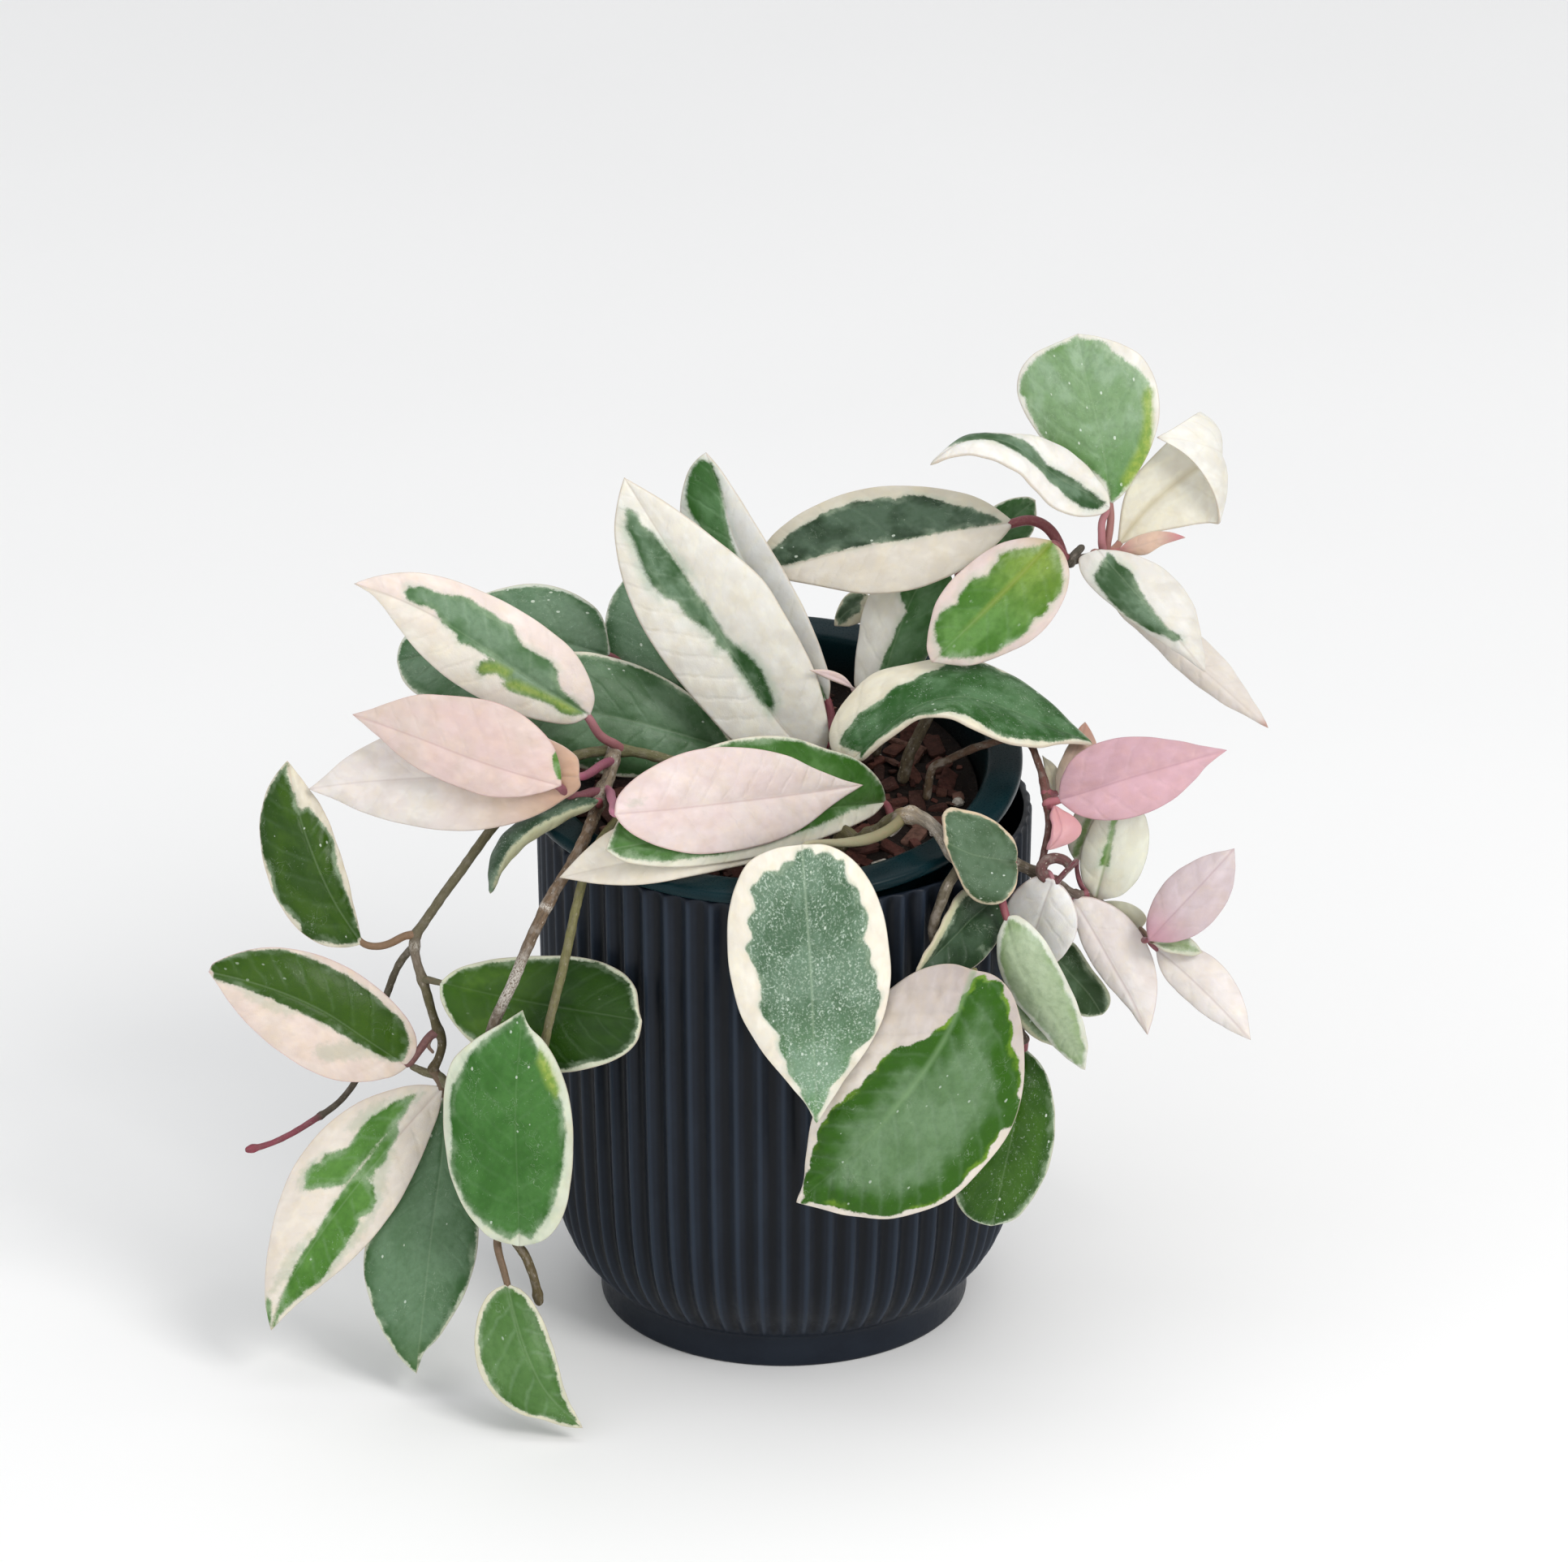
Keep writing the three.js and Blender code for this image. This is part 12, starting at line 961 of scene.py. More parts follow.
    # distances to the ends count for the green's inset too
    ed = np.minimum(d, np.minimum(0.9 * (Ltot - S2) + 0.0, 0.9 * S2 + 0.2))
    Z = ZONES.get(name, {})
    if o['inset'] is not None:
        flat = np.stack([S2.ravel(), Wd.ravel(), np.full(S2.size, seed)], axis=1)
        rag = (n3(flat, 0.12, seed + 3) * 0.6 + n3(flat, 0.33, seed + 5) * 0.4).reshape(v.shape)
        gz = ed - o['inset'] + rag * o.get('rag', 0.9)
        if 'inset_side' in o:      # the pale edge runs along one side only
            gz = np.where(v * o['inset_side'] > 0, gz, np.maximum(gz, np.minimum(2.0, 0.5 + ed)))
        if 'inset_at' in o:        # a wider pale edge along part of one side: (side, ((t, mm), ...))
            sd, stops = o['inset_at']
            extra = np.interp(t, [a for a, _ in stops], [c for _, c in stops])[:, None]
            gz = np.where(v * sd > 0, gz - extra, gz)
        gz = np.minimum(gz, 8)
    elif 'gw' in o:
        flat = np.stack([S2.ravel(), Wd.ravel(), np.full(S2.size, seed)], axis=1)
        rag = (n3(flat, 0.14, seed + 3) * 0.6 + n3(flat, 0.40, seed + 5) * 0.4).reshape(v.shape)
        gz = np.minimum(Wd - o['gw'][0], o['gw'][1] - Wd) + rag * o.get('rag', 0.5)
        if 'gs' in o:
            gz = np.minimum(gz, np.minimum(S2 - o['gs'][0] * Ltot, o['gs'][1] * Ltot - S2))
    elif 'green' in Z:
        gz = np.max([zone(p, S2, Wd) for p in Z['green']], axis=0)
    else:
        gz = np.full(v.shape, -9.0)
    if 'scallop' in o:     # small regular lobes along the green's outline: (length, height) mm
        lam2, amp = o['scallop']
        gz = gz + amp * (np.abs(np.sin(np.pi * (S2 + 0.4 * np.abs(Wd)) / lam2)) - 0.64)
    lz = np.max([zone(p, S2, Wd) for p in Z['lime']], axis=0) if 'lime' in Z else np.full(v.shape, -9.0)
    fz = np.max([zone(p, S2, Wd) for p in Z['faint']], axis=0) if 'faint' in Z else np.full(v.shape, -9.0)
    cp0, cp1 = lin(o['pale']), lin(o['pale2'] or o['pale'])
    k = t[:, None, None]
    cp = cp0 * (1 - k) + cp1 * k + np.zeros(v.shape + (3,))
    cg = np.broadcast_to(lin(o['green']), v.shape + (3,)).copy()
    if 'green2' in o:      # green changes toward the tip
        kk = smoothstep(o.get('g2', (0.4, 1.0))[0], o.get('g2', (0.4, 1.0))[1], t)[:, None, None]
        cg = cg * (1 - kk) + lin(o['green2']) * kk
    if 'pale_side' in o:   # colour of the pale tissue differs on one side of the midrib
        sd, hexa = o['pale_side']
        kk = (smoothstep(-0.1, 0.1, v * sd))[..., None]
        cp = cp * (1 - kk) + lin(hexa) * kk
    if 'tipcol' in o:
        kk = smoothstep(o['tipcol'][1], 1.0, t)[:, None, None]
        cp = cp * (1 - kk) + lin(o['tipcol'][0]) * kk
    if 'basecol' in o:
        kk = smoothstep(o['basecol'][1], 0.0, t)[:, None, None]
        cp = cp * (1 - kk) + lin(o['basecol'][0]) * kk

    cp = cp * o['pg']

    # weld front and back
    R_, C_ = v.shape
    idx = -np.ones((R_, C_, 2), int)
    V, src = [], []
    def put(i, j, b, p):
        V.append(p)
        src.append((i, j, b))
        return len(V) - 1
    tipi = put(R_ - 1, mid, 0, front[-1].mean(0) * 0.5 + back[-1].mean(0) * 0.5)
    basei = put(0, mid, 0, front[0].mean(0) * 0.5 + back[0].mean(0) * 0.5)
    idx[0], idx[-1] = basei, tipi
    for i in range(1, R_ - 1):
        for j in range(C_):
            idx[i, j, 0] = put(i, j, 0, front[i, j])
            idx[i, j, 1] = idx[i, j, 0] if j in (0, C_ - 1) else put(i, j, 1, back[i, j])
    F = []
    flip = sign < 0
    def face(*f):
        g = []
        for z in f:
            if z not in g:
                g.append(z)
        if len(g) > 2:
            F.append(tuple(g[::-1]) if flip else tuple(g))
    for i in range(R_ - 1):
        for j in range(C_ - 1):
            face(idx[i, j, 0], idx[i, j + 1, 0], idx[i + 1, j + 1, 0], idx[i + 1, j, 0])
            face(idx[i, j, 1], idx[i + 1, j, 1], idx[i + 1, j + 1, 1], idx[i, j + 1, 1])
    src = np.array(src)
    I, J, Bk = src[:, 0], src[:, 1], src[:, 2]
    V = np.array(V)
    take = lambda arr: arr[I, J]
    isback = (Bk == 1).astype(float)
    cpv = take(cp)
    cgv = take(cg)
    # the hidden side is a paler, duller version
    cpv = cpv * (1 - 0.10 * isback[:, None])
    cgv = cgv * (1 - isback[:, None]) + (cgv * 0.55 + lin('#7f9a6c') * 0.45) * isback[:, None]
    b = Build()
    vals = dict(lc=np.stack([take(S2), take(Wd), np.full(len(V), seed * 7.3)], axis=1), gz=take(gz), lz=take(lz) - 5 * isback,
                fz=take(fz), ed=take(ed), cp=cpv, cg=cgv, grey_and_sheen=np.full(len(V), o['grey_and_sheen']) * (1 - 0.3 * isback),
                fl=np.full(len(V), o['fl']) * (1 - 0.7 * isback), bl=np.full(len(V), o['blush']),
                rb=np.full(len(V), o['rib'] * 0.9), ro=np.full(len(V), o['ro']) + 0.06 * isback,
                so=np.full(len(V), o['so']), sk=np.full(len(V), o['sk']), vn=np.full(len(V), o['vn']),
                dk=np.full(len(V), o['dk']), dw=np.full(len(V), o['dw']), dp=np.full(len(V), o['dp']),
                ce=np.broadcast_to(lin(o['ce']), (len(V), 3)).copy(), rw=np.full(len(V), o['rw']), rg=np.full(len(V), o['rg']),
                rm=o['rm'] * (1 - smoothstep(0.45, 0.85, take(np.broadcast_to(t[:, None], v.shape)))) * (1 - isback),
                cm=np.broadcast_to(lin(o['cm']), (len(V), 3)).copy(),
                cr=np.broadcast_to(lin(o['rim']), (len(V), 3)).copy())
    b.add(V, F, 0, **vals)

    # stalk: out of the stem, along its bends, then tapering under the midrib
    pet = [np.array(p, float) for p in q['pet']]
    axis_pt = q.get('root')
    path = []
    if axis_pt is not None:
        path.append(np.array(axis_pt, float))
    path += pet
    bi = [int(np.searchsorted(t, z)) for z in (0.03, 0.07, 0.12)]
    under_n = -n[:, mid]
    if o['under']:
        under_n = -under_n
    r = o['stalk_r']
    for z, i in zip((0.98, 0.95, 0.72), bi):
        i = min(max(i, 1), R_ - 2)
        path.append((P + n * (h + lift)[..., None])[i, mid] + under_n[i] * (r * z))
    line, arc = smooth_path(path, 0.5)
    n_in = int(np.searchsorted(arc, arc[-1] - np.linalg.norm(path[-1] - path[-4])))
    for _ in range(o.get('ease', 26)):
        m2 = line.copy()
        m2[1:-1] = 0.25 * line[:-2] + 0.5 * line[1:-1] + 0.25 * line[2:]
        line = m2
    arc = np.concatenate([[0], np.cumsum(np.linalg.norm(np.diff(line, axis=0), axis=1))])
    total = arc[-1]
    blade_at = total - np.linalg.norm(path[-1] - path[-4])
    rad = np.full(len(line), r)
    rad = rad * (1 + 0.26 * np.exp(-(arc / 1.8) ** 2))
    rad = rad * np.interp(arc, [0, 0.45 * blade_at, max(blade_at, 0.1)], [1, 1, o.get('thin', 0.86)])
    rad = rad * (1 - 0.70 * smoothstep(blade_at + 0.4, total, arc))
    rad = np.minimum(rad, np.interp(arc, [0, blade_at, total], [9, 9, 0.42 * max(0.8, min(width / 4, r))]) + 0)
    wob = n3(line, 0.35, seed)
    rad = rad * (1 + 0.04 * wob)
    TV, TF, tag, _ = tube(line, rad, 12)
    si = np.array([a for a, _ in tag])
    an = np.array([a for _, a in tag])
    sc0, sc1 = lin(o['stalk']), lin(o.get('stalk2', o['stalk']))
    kk = (arc[si] / max(total, 1e-6))[:, None]
    cs = sc0 * (1 - kk) + sc1 * kk
    b.add(TV, TF, 1, lc=np.stack([arc[si], an * r, np.full(len(TV), seed)], axis=1), cs=cs)
    node = 'leaf_' + name
    return b, node


def bake_leaf(name):
    b, node = leaf(name)
    return b.make(node + '_blade', node, node, [MAT['leaf'], MAT['stalk']])


# ---------------------------------------------------------------- stems
def stem_into(b, name, seed):
    q = STEMS[name]
    o = STEM_LOOK.get(name, {})
    line, arc = smooth_path(q['P'], 0.75)
    r0, r1 = q['r']
    total = arc[-1]
    rad = r0 + (r1 - r0) * arc / total
    rad = rad * o.get('fat', 1.0)
    if 'slim' in o:
        rad = rad * np.interp(arc / total, [a for a, _ in o['slim']], [c for _, c in o['slim']])
    swell = np.zeros(len(line))
    for p in q.get('nodes', []):
        dd = np.linalg.norm(line - np.array(p), axis=1)
        j = int(dd.argmin())
        swell = np.maximum(swell, o.get('knot', 0.34) * np.exp(-((arc - arc[j]) / 1.9) ** 2))
    rad = rad * (1 + swell)
    for f, amp, wd in o.get('bumps', []):
        rad = rad * (1 + amp * np.exp(-((arc - f * total) / wd) ** 2))
    rad = rad * (1 + 0.05 * n3(line, 0.22, seed) + 0.035 * n3(line, 0.6, seed + 4))
    sides = 16
    V, F, tag, d = tube(line, rad, sides)
    si = np.array([a for a, _ in tag])
    an = np.array([a for _, a in tag])
    lump = n3(np.stack([arc[si] * 1.0, np.cos(an) * 2.2, np.sin(an) * 2.2], axis=1), 0.42, seed + 2)
    V = V + unit(V - line[si]) * (lump * rad[si] * 0.10)[:, None]
    f = arc[si] / total
    stops = o.get('cols', [(0, '#6b5a44'), (1, '#6f6a48')])
    xs = [a for a, _ in stops]
    cs = np.stack([np.interp(f, xs, [lin(c)[k] for _, c in stops]) for k in range(3)], axis=1)
    ws = o.get('wood', [(0, 1.0), (1, 0.6)])
    wd = np.interp(f, [a for a, _ in ws], [c for _, c in ws])
    wh = np.zeros(len(V))
    for at, half_w, amount in o.get('marks', []):
        wh = np.maximum(wh, amount * np.exp(-((f - at) * total / half_w) ** 4))
    b.add(V, F, 0, lc=np.stack([arc[si], an * r0, np.full(len(V), seed * 3.1)], axis=1), cs=cs, wd=wd, wh=wh)
    return line, arc, rad


def stub_into(b, path, r0, r1, col, seed, wood=0.8):
    line, arc = smooth_path(path, 0.5)
    rad = np.interp(arc, [0, arc[-1]], [r0, r1])
    V, F, tag, d = tube(line, rad, 12)
    si = np.array([a for a, _ in tag])
    an = np.array([a for _, a in tag])
    V = V + unit(V - line[si]) * (n3(V, 0.7, seed) * 0.12)[:, None]
    b.add(V, F, 0, lc=np.stack([arc[si], an * r0, np.full(len(V), seed)], axis=1), cs=np.broadcast_to(lin(col), (len(V), 3)).copy(), wd=np.full(len(V), wood), wh=np.zeros(len(V)))


def make_stem(node):
    b = Build()
    mats = [MAT['bark']]
    for k, part in enumerate(STEM_NODES[node]['parts']):
        stem_into(b, part, 11.0 + 7 * k + len(node))
    for stub in STEM_NODES[node].get('stubs', []):
        stub_into(b, *stub)
    lookups = STEM_NODES[node].get('blades', [])
    if lookups:
        mats += [MAT['leaf'], MAT['stalk']]
        for n_ in lookups:
            lb, _ = leaf(n_)
            at = b.n
            V = np.vstack(lb.V)
            # keep the blade's attributes and shift its material slots
            b.V.append(V)
            b.F += [tuple(i + at for i in f) for f in lb.F]
            b.M += [m + 1 for m in lb.M]
            for key, parts in lb.A.items():
                for off, arr in parts:
                    b.A.setdefault(key, []).append((at + off, arr))
            b.n += len(V)
    return b.make(node + '_wood', node, node, mats)


# ---------------------------------------------------------------- pots
def spun(rows, cols, radius, closed_axis=(True, True), place=None):
    """Closed skin of revolution. rows: list of (r, z); radius(i, angle array) gives the ring's radii."""
    ang = np.arange(cols) / cols * 2 * math.pi
    V, starts = [], []
    for i, (r, z) in enumerate(rows):
        starts.append(len(V))
        if r <= 1e-9:
            V.append((0.0, 0.0, z))
        else:
            rr, zz = radius(i, ang)
            for a, q, zq in zip(ang, rr, zz):
                V.append((q * math.cos(a), q * math.sin(a), zq))
    F = []
    for i in range(len(rows) - 1):
        a, b = starts[i], starts[i + 1]
        one, two = rows[i][0] <= 1e-9, rows[i + 1][0] <= 1e-9
        for k in range(cols):
            k1 = (k + 1) % cols
            if one and two:
                continue
            if one:
                F.append((a, b + k1, b + k))
            elif two:
                F.append((a + k, a + k1, b))
            else:
                F.append((a + k, a + k1, b + k1, b + k))
    V = np.array(V)
    if place is not None:
        V = place(V)
    return V, F


def lean(V):
    c, s = math.cos(TILT), math.sin(TILT)
    x, y, z = V[:, 0], V[:, 1], V[:, 2]
    return np.stack([LIP_CENTRE[0] + x, LIP_CENTRE[1] + y * c - z * s, LIP_CENTRE[2] + y * s + z * c], axis=1)


def curve2(points, n):
    P = np.array(points, float)
    d = np.sqrt(np.linalg.norm(np.diff(P, axis=0), axis=1))
    ts = np.concatenate([[0], np.cumsum(d)])
    fine = hermite(ts, P, np.linspace(0, ts[-1], 800))
    L = np.concatenate([[0], np.cumsum(np.linalg.norm(np.diff(fine, axis=0), axis=1))])
    q = np.linspace(0, L[-1], n)
    return np.stack([np.interp(q, L, fine[:, k]) for k in range(2)], axis=1)


def planter():
    F0 = PLANTER_FOOT_R
    foot = [(0, 0.35), (F0 - 7, 0.35), (F0 - 6.4, 0.0), (F0 - 1.2, 0.0), (F0 - 0.45, 0.18), (F0 - 0.1, 0.6), (F0, 1.2), (F0, 4.0), (F0 - 0.05, 7.5), (F0 + 0.05, 9.4), (F0 + 0.5, 10.5)]
    body = curve2([(F0 + 1.5, 11.3), (F0 + 3.6, 12.9), (65.4, 20.0), (68.9, 28), (71.3, 40), (72.6, 58), (73.4, 80), (74.3, 120), (74.95, 158.5)], 58)
    rim = [(75.0, 160.6), (74.9, 161.9), (74.55, 162.7), (73.9, 163.0), (73.0, 163.0), (72.5, 162.75), (72.2, 162.0)]
    inner = [(72.1, 157), (71.4, 120), (70.4, 80), (69.2, 42), (67.0, 28), (62.0, 17.5), (53, 10.5), (40, 9.2), (0, 9.0)]
    rows = [tuple(p) for p in foot] + [tuple(p) for p in body] + rim + inner
    nb = len(foot)
    arcs = np.concatenate([[0], np.cumsum(np.linalg.norm(np.diff(body, axis=0), axis=1))])
    per = 12
    cols = RIBS * per
    # uneven columns: closer at the groove
    phi = np.array([-1.0, -0.86, -0.72, -0.56, -0.38, -0.19, 0.0, 0.19, 0.38, 0.56, 0.72, 0.86])
    g = (0.5 - 0.5 * np.cos(np.pi * phi)) ** 0.66
    groove = np.tile(g, RIBS)
    amount = np.zeros(len(rows))
    for i in range(len(rows)):
        if nb <= i < nb + len(body):
            u = arcs[i - nb]
            lo = smoothstep(0.4, 4.6, u)
            hi = 1.0
            amount[i] = GROOVE * lo * hi
        elif nb + len(body) <= i < nb + len(body) + 3:
            amount[i] = GROOVE * (0.95, 0.75, 0.38)[i - nb - len(body)]
    base = (np.arange(RIBS)[:, None] + 0.5 * phi[None, :]).ravel() / RIBS * 2 * math.pi
    # crest (cw): 1 on the crests, 0 in the grooves; the planter material paints shade in the grooves and a highlight on
    # the crests from it
    V, starts, crest = [], [], []
    for i, (r, z) in enumerate(rows):
        starts.append(len(V))
        if r <= 1e-9:
            V.append((0.0, 0.0, z))
            crest.append(0.5)
            continue
        # groove ends are round: they start a little later beside the groove's middle
        a = amount[i]
        rr = r - a * groove
        for k in range(cols):
            V.append((rr[k] * math.cos(base[k]), rr[k] * math.sin(base[k]), z))
            crest.append(0.5 + 0.5 * min(1.0, a / GROOVE) * (1 - 2 * groove[k]))
    F = []
    for i in range(len(rows) - 1):
        a, b_ = starts[i], starts[i + 1]
        one, two = rows[i][0] <= 1e-9, rows[i + 1][0] <= 1e-9
        for k in range(cols):
            k1 = (k + 1) % cols
            if one:
                F.append((a, b_ + k1, b_ + k))
            elif two:
                F.append((a + k, a + k1, b_))
            else:
                F.append((a + k, a + k1, b_ + k1, b_ + k))
    b = Build()
    b.add(np.array(V), F, 0, cw=np.array(crest))
    return b.make('planter_reeded', 'planter', 'planter', [MAT['planter']])


def liner():
    H = LINER_H
    rows = [(0, -H), (42.6, -H), (43.4, -H + 0.4), (43.8, -H + 1.4), (55.5, -78.0), (66.3, -16.0), (66.8, -9.0), (67.0, -4.4), (67.6, -4.0),
            (74.6, -4.0), (75.8, -3.95), (76.6, -3.6), (77.0, -2.9), (77.0, -1.6), (76.75, -0.75), (76.1, -0.22), (75.2, 0.0), (73.2, -0.02), (71.2, -0.05), (69.2, -0.05), (68.1, -0.1), (67.3, -0.35),
            (66.6, -0.85), (66.1, -1.7), (65.85, -2.8), (65.6, -6.0), (65.0, -11.0), (64.75, -14.5), (64.2, -17), (54.0, -78), (42.4, -H + 2.0), (41.0, -H + 1.8), (0, -H + 1.8)]
    cols = 180
    V, F = spun(rows, cols, lambda i, a: (np.full(len(a), rows[i][0]), np.full(len(a), rows[i][1])), place=None)
    rr = np.hypot(V[:, 0], V[:, 1])
    ang = np.arctan2(V[:, 1], V[:, 0])
    # the lip is moulded thin and waves very slightly
    lipw = smoothstep(66, 76, rr) * (V[:, 2] > -6)
    V[:, 2] += lipw * 0.18 * np.sin(ang * 3 + 0.8)
    prof = np.concatenate([[0], np.cumsum(np.linalg.norm(np.diff(np.array(rows), axis=0), axis=1))])
    row_of = np.zeros(len(V), int)
    at = 0
    for i, (r, z) in enumerate(rows):
        m = 1 if r <= 1e-9 else cols
        row_of[at:at + m] = i
        at += m
    along = prof[row_of]
    inside = (row_of >= 24).astype(float)
    depth = -V[:, 2]
    # inner wall darker brown from 3 to 15 mm below the lip
    dirt = inside * smoothstep(3.0, 15.0, depth) * 0.85
    lc = np.stack([ang * 60, along, np.full(len(V), 5.0)], axis=1)
    b = Build()
    b.add(lean(V), F, 0, lc=lc, dirt=dirt)
    return b.make('grow_pot_moulded', 'liner_pot', 'liner_pot', [MAT['liner']])


def chip(rng, size, flat):
    """An irregular closed chip: a jittered box with bevelled corners."""
    a, b_, c = size
    pts = []
    for sx in (-1, 1):
        for sy in (-1, 1):
            for sz in (-1, 1):
                for k in range(3):
                    p = [sx * a, sy * b_, sz * c]
                    cut = 0.30
                    for j in range(3):
                        if j != k:
                            p[j] *= 1 - cut * rng.uniform(0.5, 1.3)
                    p = [q * rng.uniform(0.86, 1.08) for q in p]
                    pts.append(p)
    return np.array(pts)


def hull(points):
    import bmesh
    bm = bmesh.new()
    for p in points:
        bm.verts.new(p)
    res = bmesh.ops.convex_hull(bm, input=bm.verts)
    gone = [v for v in res['geom_interior'] if isinstance(v, bmesh.types.BMVert)] + [v for v in res['geom_unused'] if isinstance(v, bmesh.types.BMVert)]
    for v in set(gone):
        bm.verts.remove(v)
    bm.verts.ensure_lookup_table()
    for i, v in enumerate(bm.verts):
        v.index = i
    V = np.array([v.co[:] for v in bm.verts])
    F = [tuple(v.index for v in f.verts) for f in bm.faces]
    bm.free()
    return V, F


def rot(rng, tiltmax):
    a, t, p = rng.uniform(0, 6.283), rng.uniform(0, tiltmax), rng.uniform(0, 6.283)
    ca, sa = math.cos(a), math.sin(a)
    Rz = np.array([[ca, -sa, 0], [sa, ca, 0], [0, 0, 1]])
    ax = np.array([math.cos(p), math.sin(p), 0])
    K = np.array([[0, -ax[2], ax[1]], [ax[2], 0, -ax[0]], [-ax[1], ax[0], 0]])
    Rt = np.eye(3) + math.sin(t) * K + (1 - math.cos(t)) * K @ K
    return Rt @ Rz


def potting_mix():
    rng = random.Random(7)
    H = LINER_H - 2.4
    b = Build()
    # body with a lumpy top
    top_r = LIP_R - 12.9
    rr = np.concatenate([[0], np.linspace(2.4, top_r - 1.2, 30)])
    rows = [(0, -H), (41.4, -H), (top_r - 0.2, -MIX_DROP - 2.0), (top_r - 0.5, -MIX_DROP - 1.0)] + [(float(r), -MIX_DROP - 0.6) for r in rr[::-1]]
    cols = 150
    V, F = spun(rows, cols, lambda i, a: (np.full(len(a), rows[i][0]), np.full(len(a), rows[i][1])))
    r = np.hypot(V[:, 0], V[:, 1])
    topm = (V[:, 2] > -MIX_DROP - 0.9) & (r < top_r - 0.8)
    bump = n3(V, 0.16, 3.0) * 1.1 + n3(V, 0.5, 8.0) * 0.8
    V[:, 2] = np.where(topm, -MIX_DROP - 1.1 + bump, V[:, 2])
    shades = ['#4a2822', '#5a332b', '#3a201b', '#6b4238', '#52302a', '#7a584c', '#42261f', '#5e3a30']
    # the body under the chips is near black: dark soil, darkened further as painted shade in the gaps between chips
    b.add(lean(V), F, 0, cs=np.broadcast_to(lin('#150d0a'), (len(V), 3)).copy())
    placed = []
    tries = 0
    while len(placed) < 430 and tries < 6000:
        tries += 1
        rad = (top_r - 4.2) * math.sqrt(rng.random())
        an = rng.uniform(0, 6.283)
        x, y = rad * math.cos(an), rad * math.sin(an)
        s = rng.choice([0.7, 1.1, 1.6, 2.2, 2.8]) if len(placed) > 120 else rng.choice([2.2, 2.8, 3.2])
        if any((x - a) ** 2 + (y - c) ** 2 < (0.62 * (s + q)) ** 2 * 1.9 for a, c, q in placed):
            continue
        placed.append((x, y, s))
        size = (s * rng.uniform(1.1, 2.0), s * rng.uniform(0.7, 1.2), s * rng.uniform(0.25, 0.5))
        size = (min(size[0], 5.4), min(size[1], 3.2), min(size[2], 1.2))
        hv, hf = hull(chip(rng, size, True))
        hv = hv @ rot(rng, 0.55).T
        z = -MIX_DROP - 0.9 + rng.uniform(-0.3, 0.7)
        pale = rng.random() < 0.035
        hv = hv + [x, y, z]
        far = np.hypot(hv[:, 0], hv[:, 1]).max()
        if far > top_r - 0.4:
            k = (top_r - 0.4) / far
            hv[:, 0] *= k
            hv[:, 1] *= k
        if pale:
            hv = (hv - [x, y, z]) * 0.7 + [x, y, z]
            b.add(lean(hv), hf, 1)
        else:
            c = lin(rng.choice(shades)) * rng.uniform(0.75, 1.25)
            b.add(lean(hv), hf, 0, cs=np.broadcast_to(c, (len(hv), 3)).copy())
    # the pale stone near the right wall
    stone = []
    while len(stone) < 46:
        q = np.array([rng.gauss(0, 1) for _ in range(3)])
        stone.append(q / np.linalg.norm(q) * np.array([2.0, 1.7, 1.4]) * rng.uniform(0.86, 1.06))
    hv, hf = hull(stone)
    b.add(lean(hv + [57.5, -8.0, -MIX_DROP + 0.4]), hf, 1)
    return b.make('bark_mix_chips', 'potting_mix', 'potting_mix', [MAT['mix'], MAT['grain']], smooth=False)


# ---------------------------------------------------------------- scene
MAT = dict(leaf=leaf_material(), stalk=stalk_material(), bark=bark_material(), planter=planter_material(),
           liner=liner_material(), mix=mix_material(), grain=grain_material())

planter()
liner()
potting_mix()
for node in STEM_NODES:
    make_stem(node)
for name in LEAVES:
    if name not in INSTEM:
        bake_leaf(name)

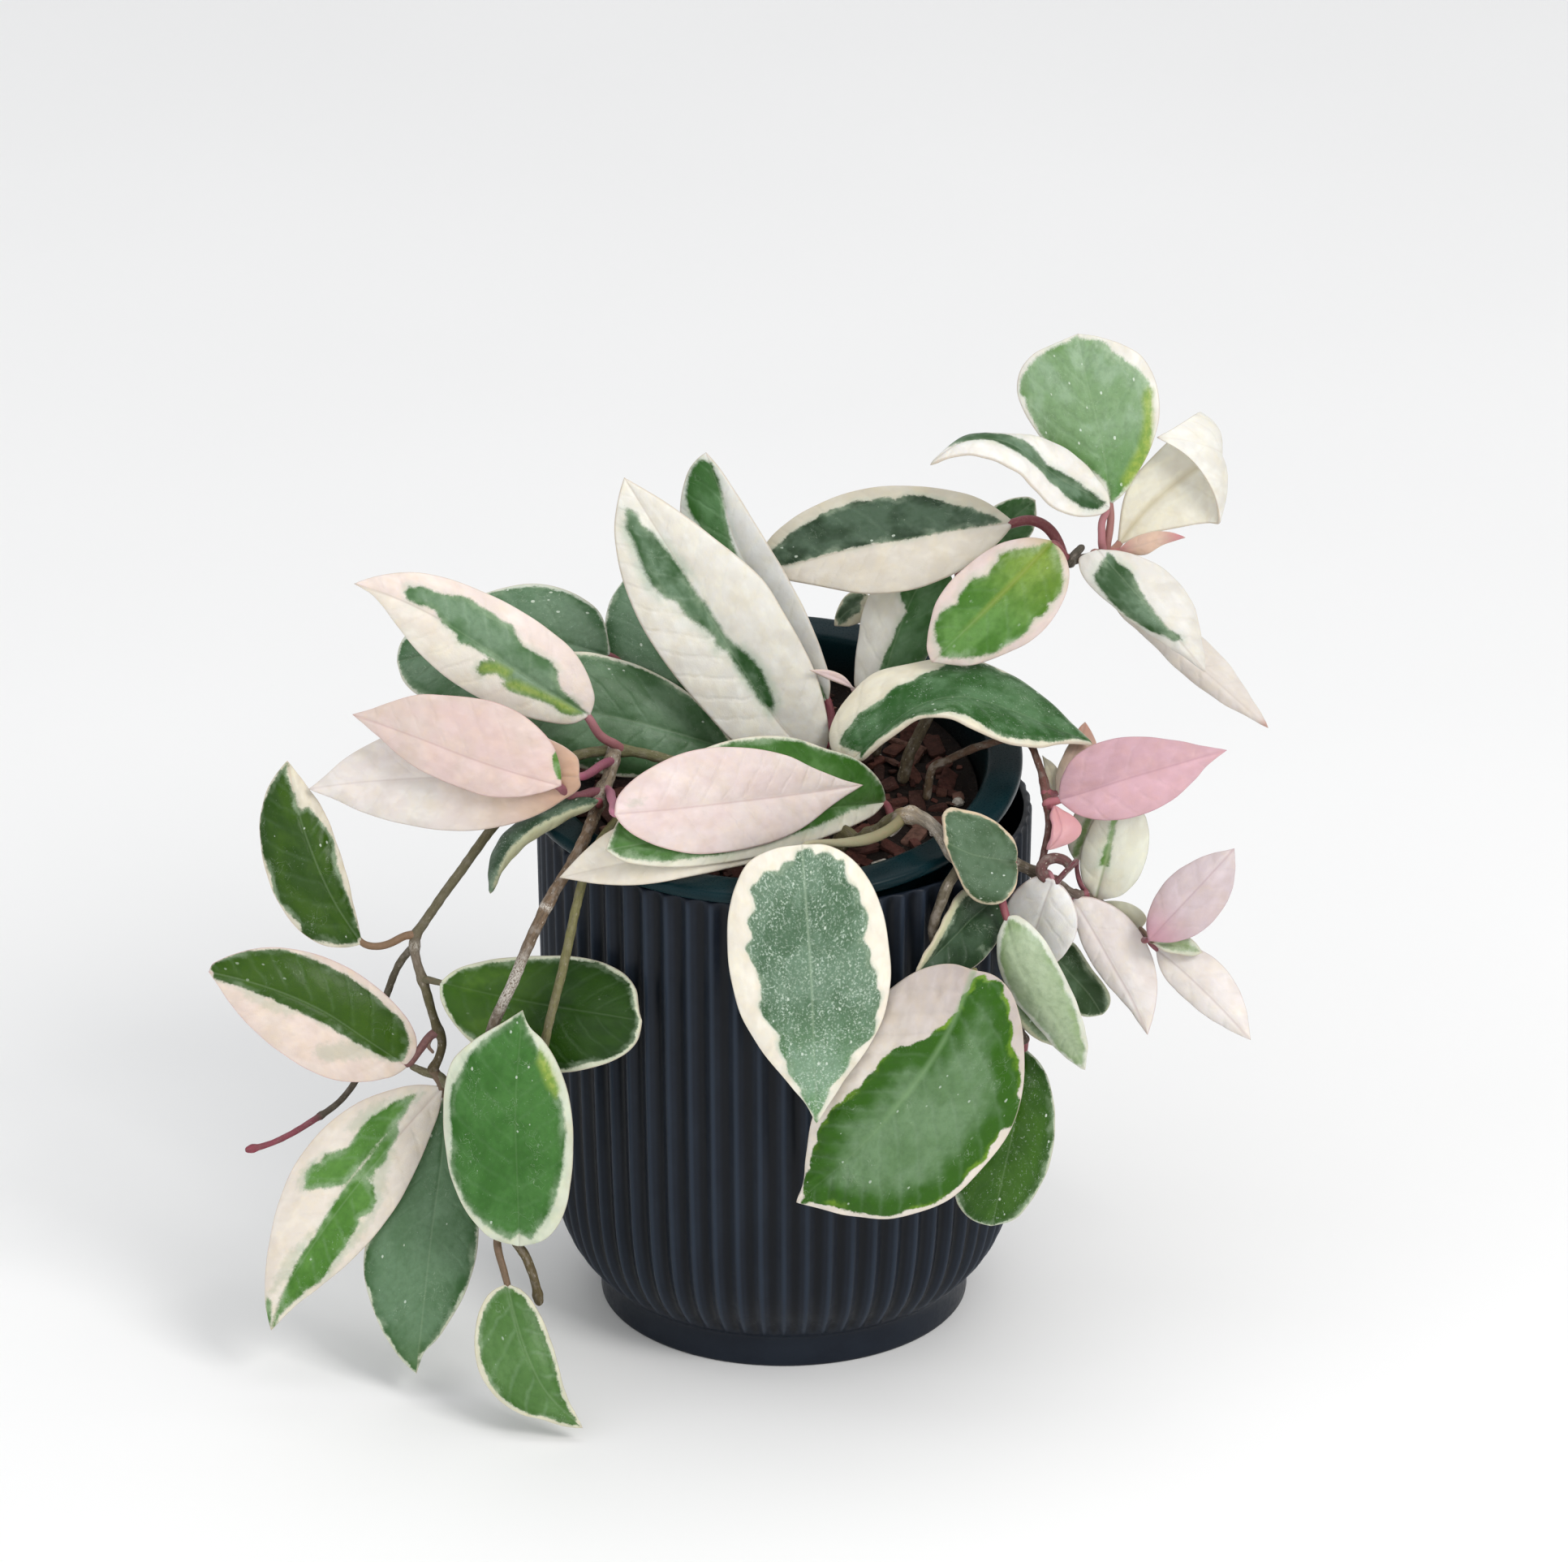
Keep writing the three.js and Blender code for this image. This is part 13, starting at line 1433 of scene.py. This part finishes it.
# floor that curves up well behind the object
def floor():
    prof = [(-2.6, 0.0), (1.6, 0.0), (2.0, 0.02), (2.35, 0.10), (2.62, 0.25), (2.80, 0.50), (2.90, 0.85), (2.94, 1.4), (2.95, 3.2)]
    V, F = [], []
    for y, z in prof:
        for x in (-4.5, 4.5):
            V.append((x, y, z))
    for i in range(len(prof) - 1):
        F.append((2 * i, 2 * i + 1, 2 * i + 3, 2 * i + 2))
    me = bpy.data.meshes.new('floor')
    me.from_pydata(V, [], F)
    me.materials.append(floor_material())
    me.polygons.foreach_set('use_smooth', [True] * len(F))
    ob = bpy.data.objects.new('floor', me)
    bpy.context.scene.collection.objects.link(ob)


floor()


def area(name, loc, target, size, power, color=(1, 1, 1)):
    l = bpy.data.lights.new(name, 'AREA')
    l.shape = 'RECTANGLE'
    l.size, l.size_y = size
    l.energy = power
    l.color = color
    o = bpy.data.objects.new(name, l)
    o.location = loc
    o.rotation_euler = (Vector(target) - Vector(loc)).to_track_quat('-Z', 'Y').to_euler()
    bpy.context.scene.collection.objects.link(o)
    return o


area('key', (1.15, -1.35, 1.75), (0, 0, 0.13), (0.9, 0.9), 24, (1.0, 0.985, 0.96))
area('front', (-0.25, -2.5, 1.05), (0, 0, 0.15), (2.0, 1.4), 9.5, (1.0, 0.995, 0.985))
area('fill', (-1.7, -1.2, 1.1), (0, 0, 0.15), (1.8, 1.4), 5.5, (0.97, 0.985, 1.0))
area('top', (0.1, 0.35, 2.1), (0, 0, 0.15), (1.8, 1.8), 10.5)
world = bpy.data.worlds.new('soft_room')
bpy.context.scene.world = world
world.use_nodes = True
world.node_tree.nodes['Background'].inputs[0].default_value = (0.97, 0.98, 1.0, 1)
world.node_tree.nodes['Background'].inputs[1].default_value = 0.57

cam = bpy.data.cameras.new('camera')
cam.sensor_width = 36.0
cam.lens = 12240.0 / 1932.0 * 36.0
cam_ob = bpy.data.objects.new('camera', cam)
e = math.radians(24.5)
cam_ob.location = (0.0, -3.0 * math.cos(e), 0.170 + 3.0 * math.sin(e))
cam_ob.rotation_euler = (math.radians(90.0 - 24.5), 0.0, 0.0)
bpy.context.scene.collection.objects.link(cam_ob)
bpy.context.scene.camera = cam_ob
# the optical centre sits at (966, 962) of 1932 x 1924, which is the middle of the frame

try:
    bpy.context.scene.view_settings.view_transform = 'Standard'
    bpy.context.scene.view_settings.look = 'None'
except TypeError:
    pass
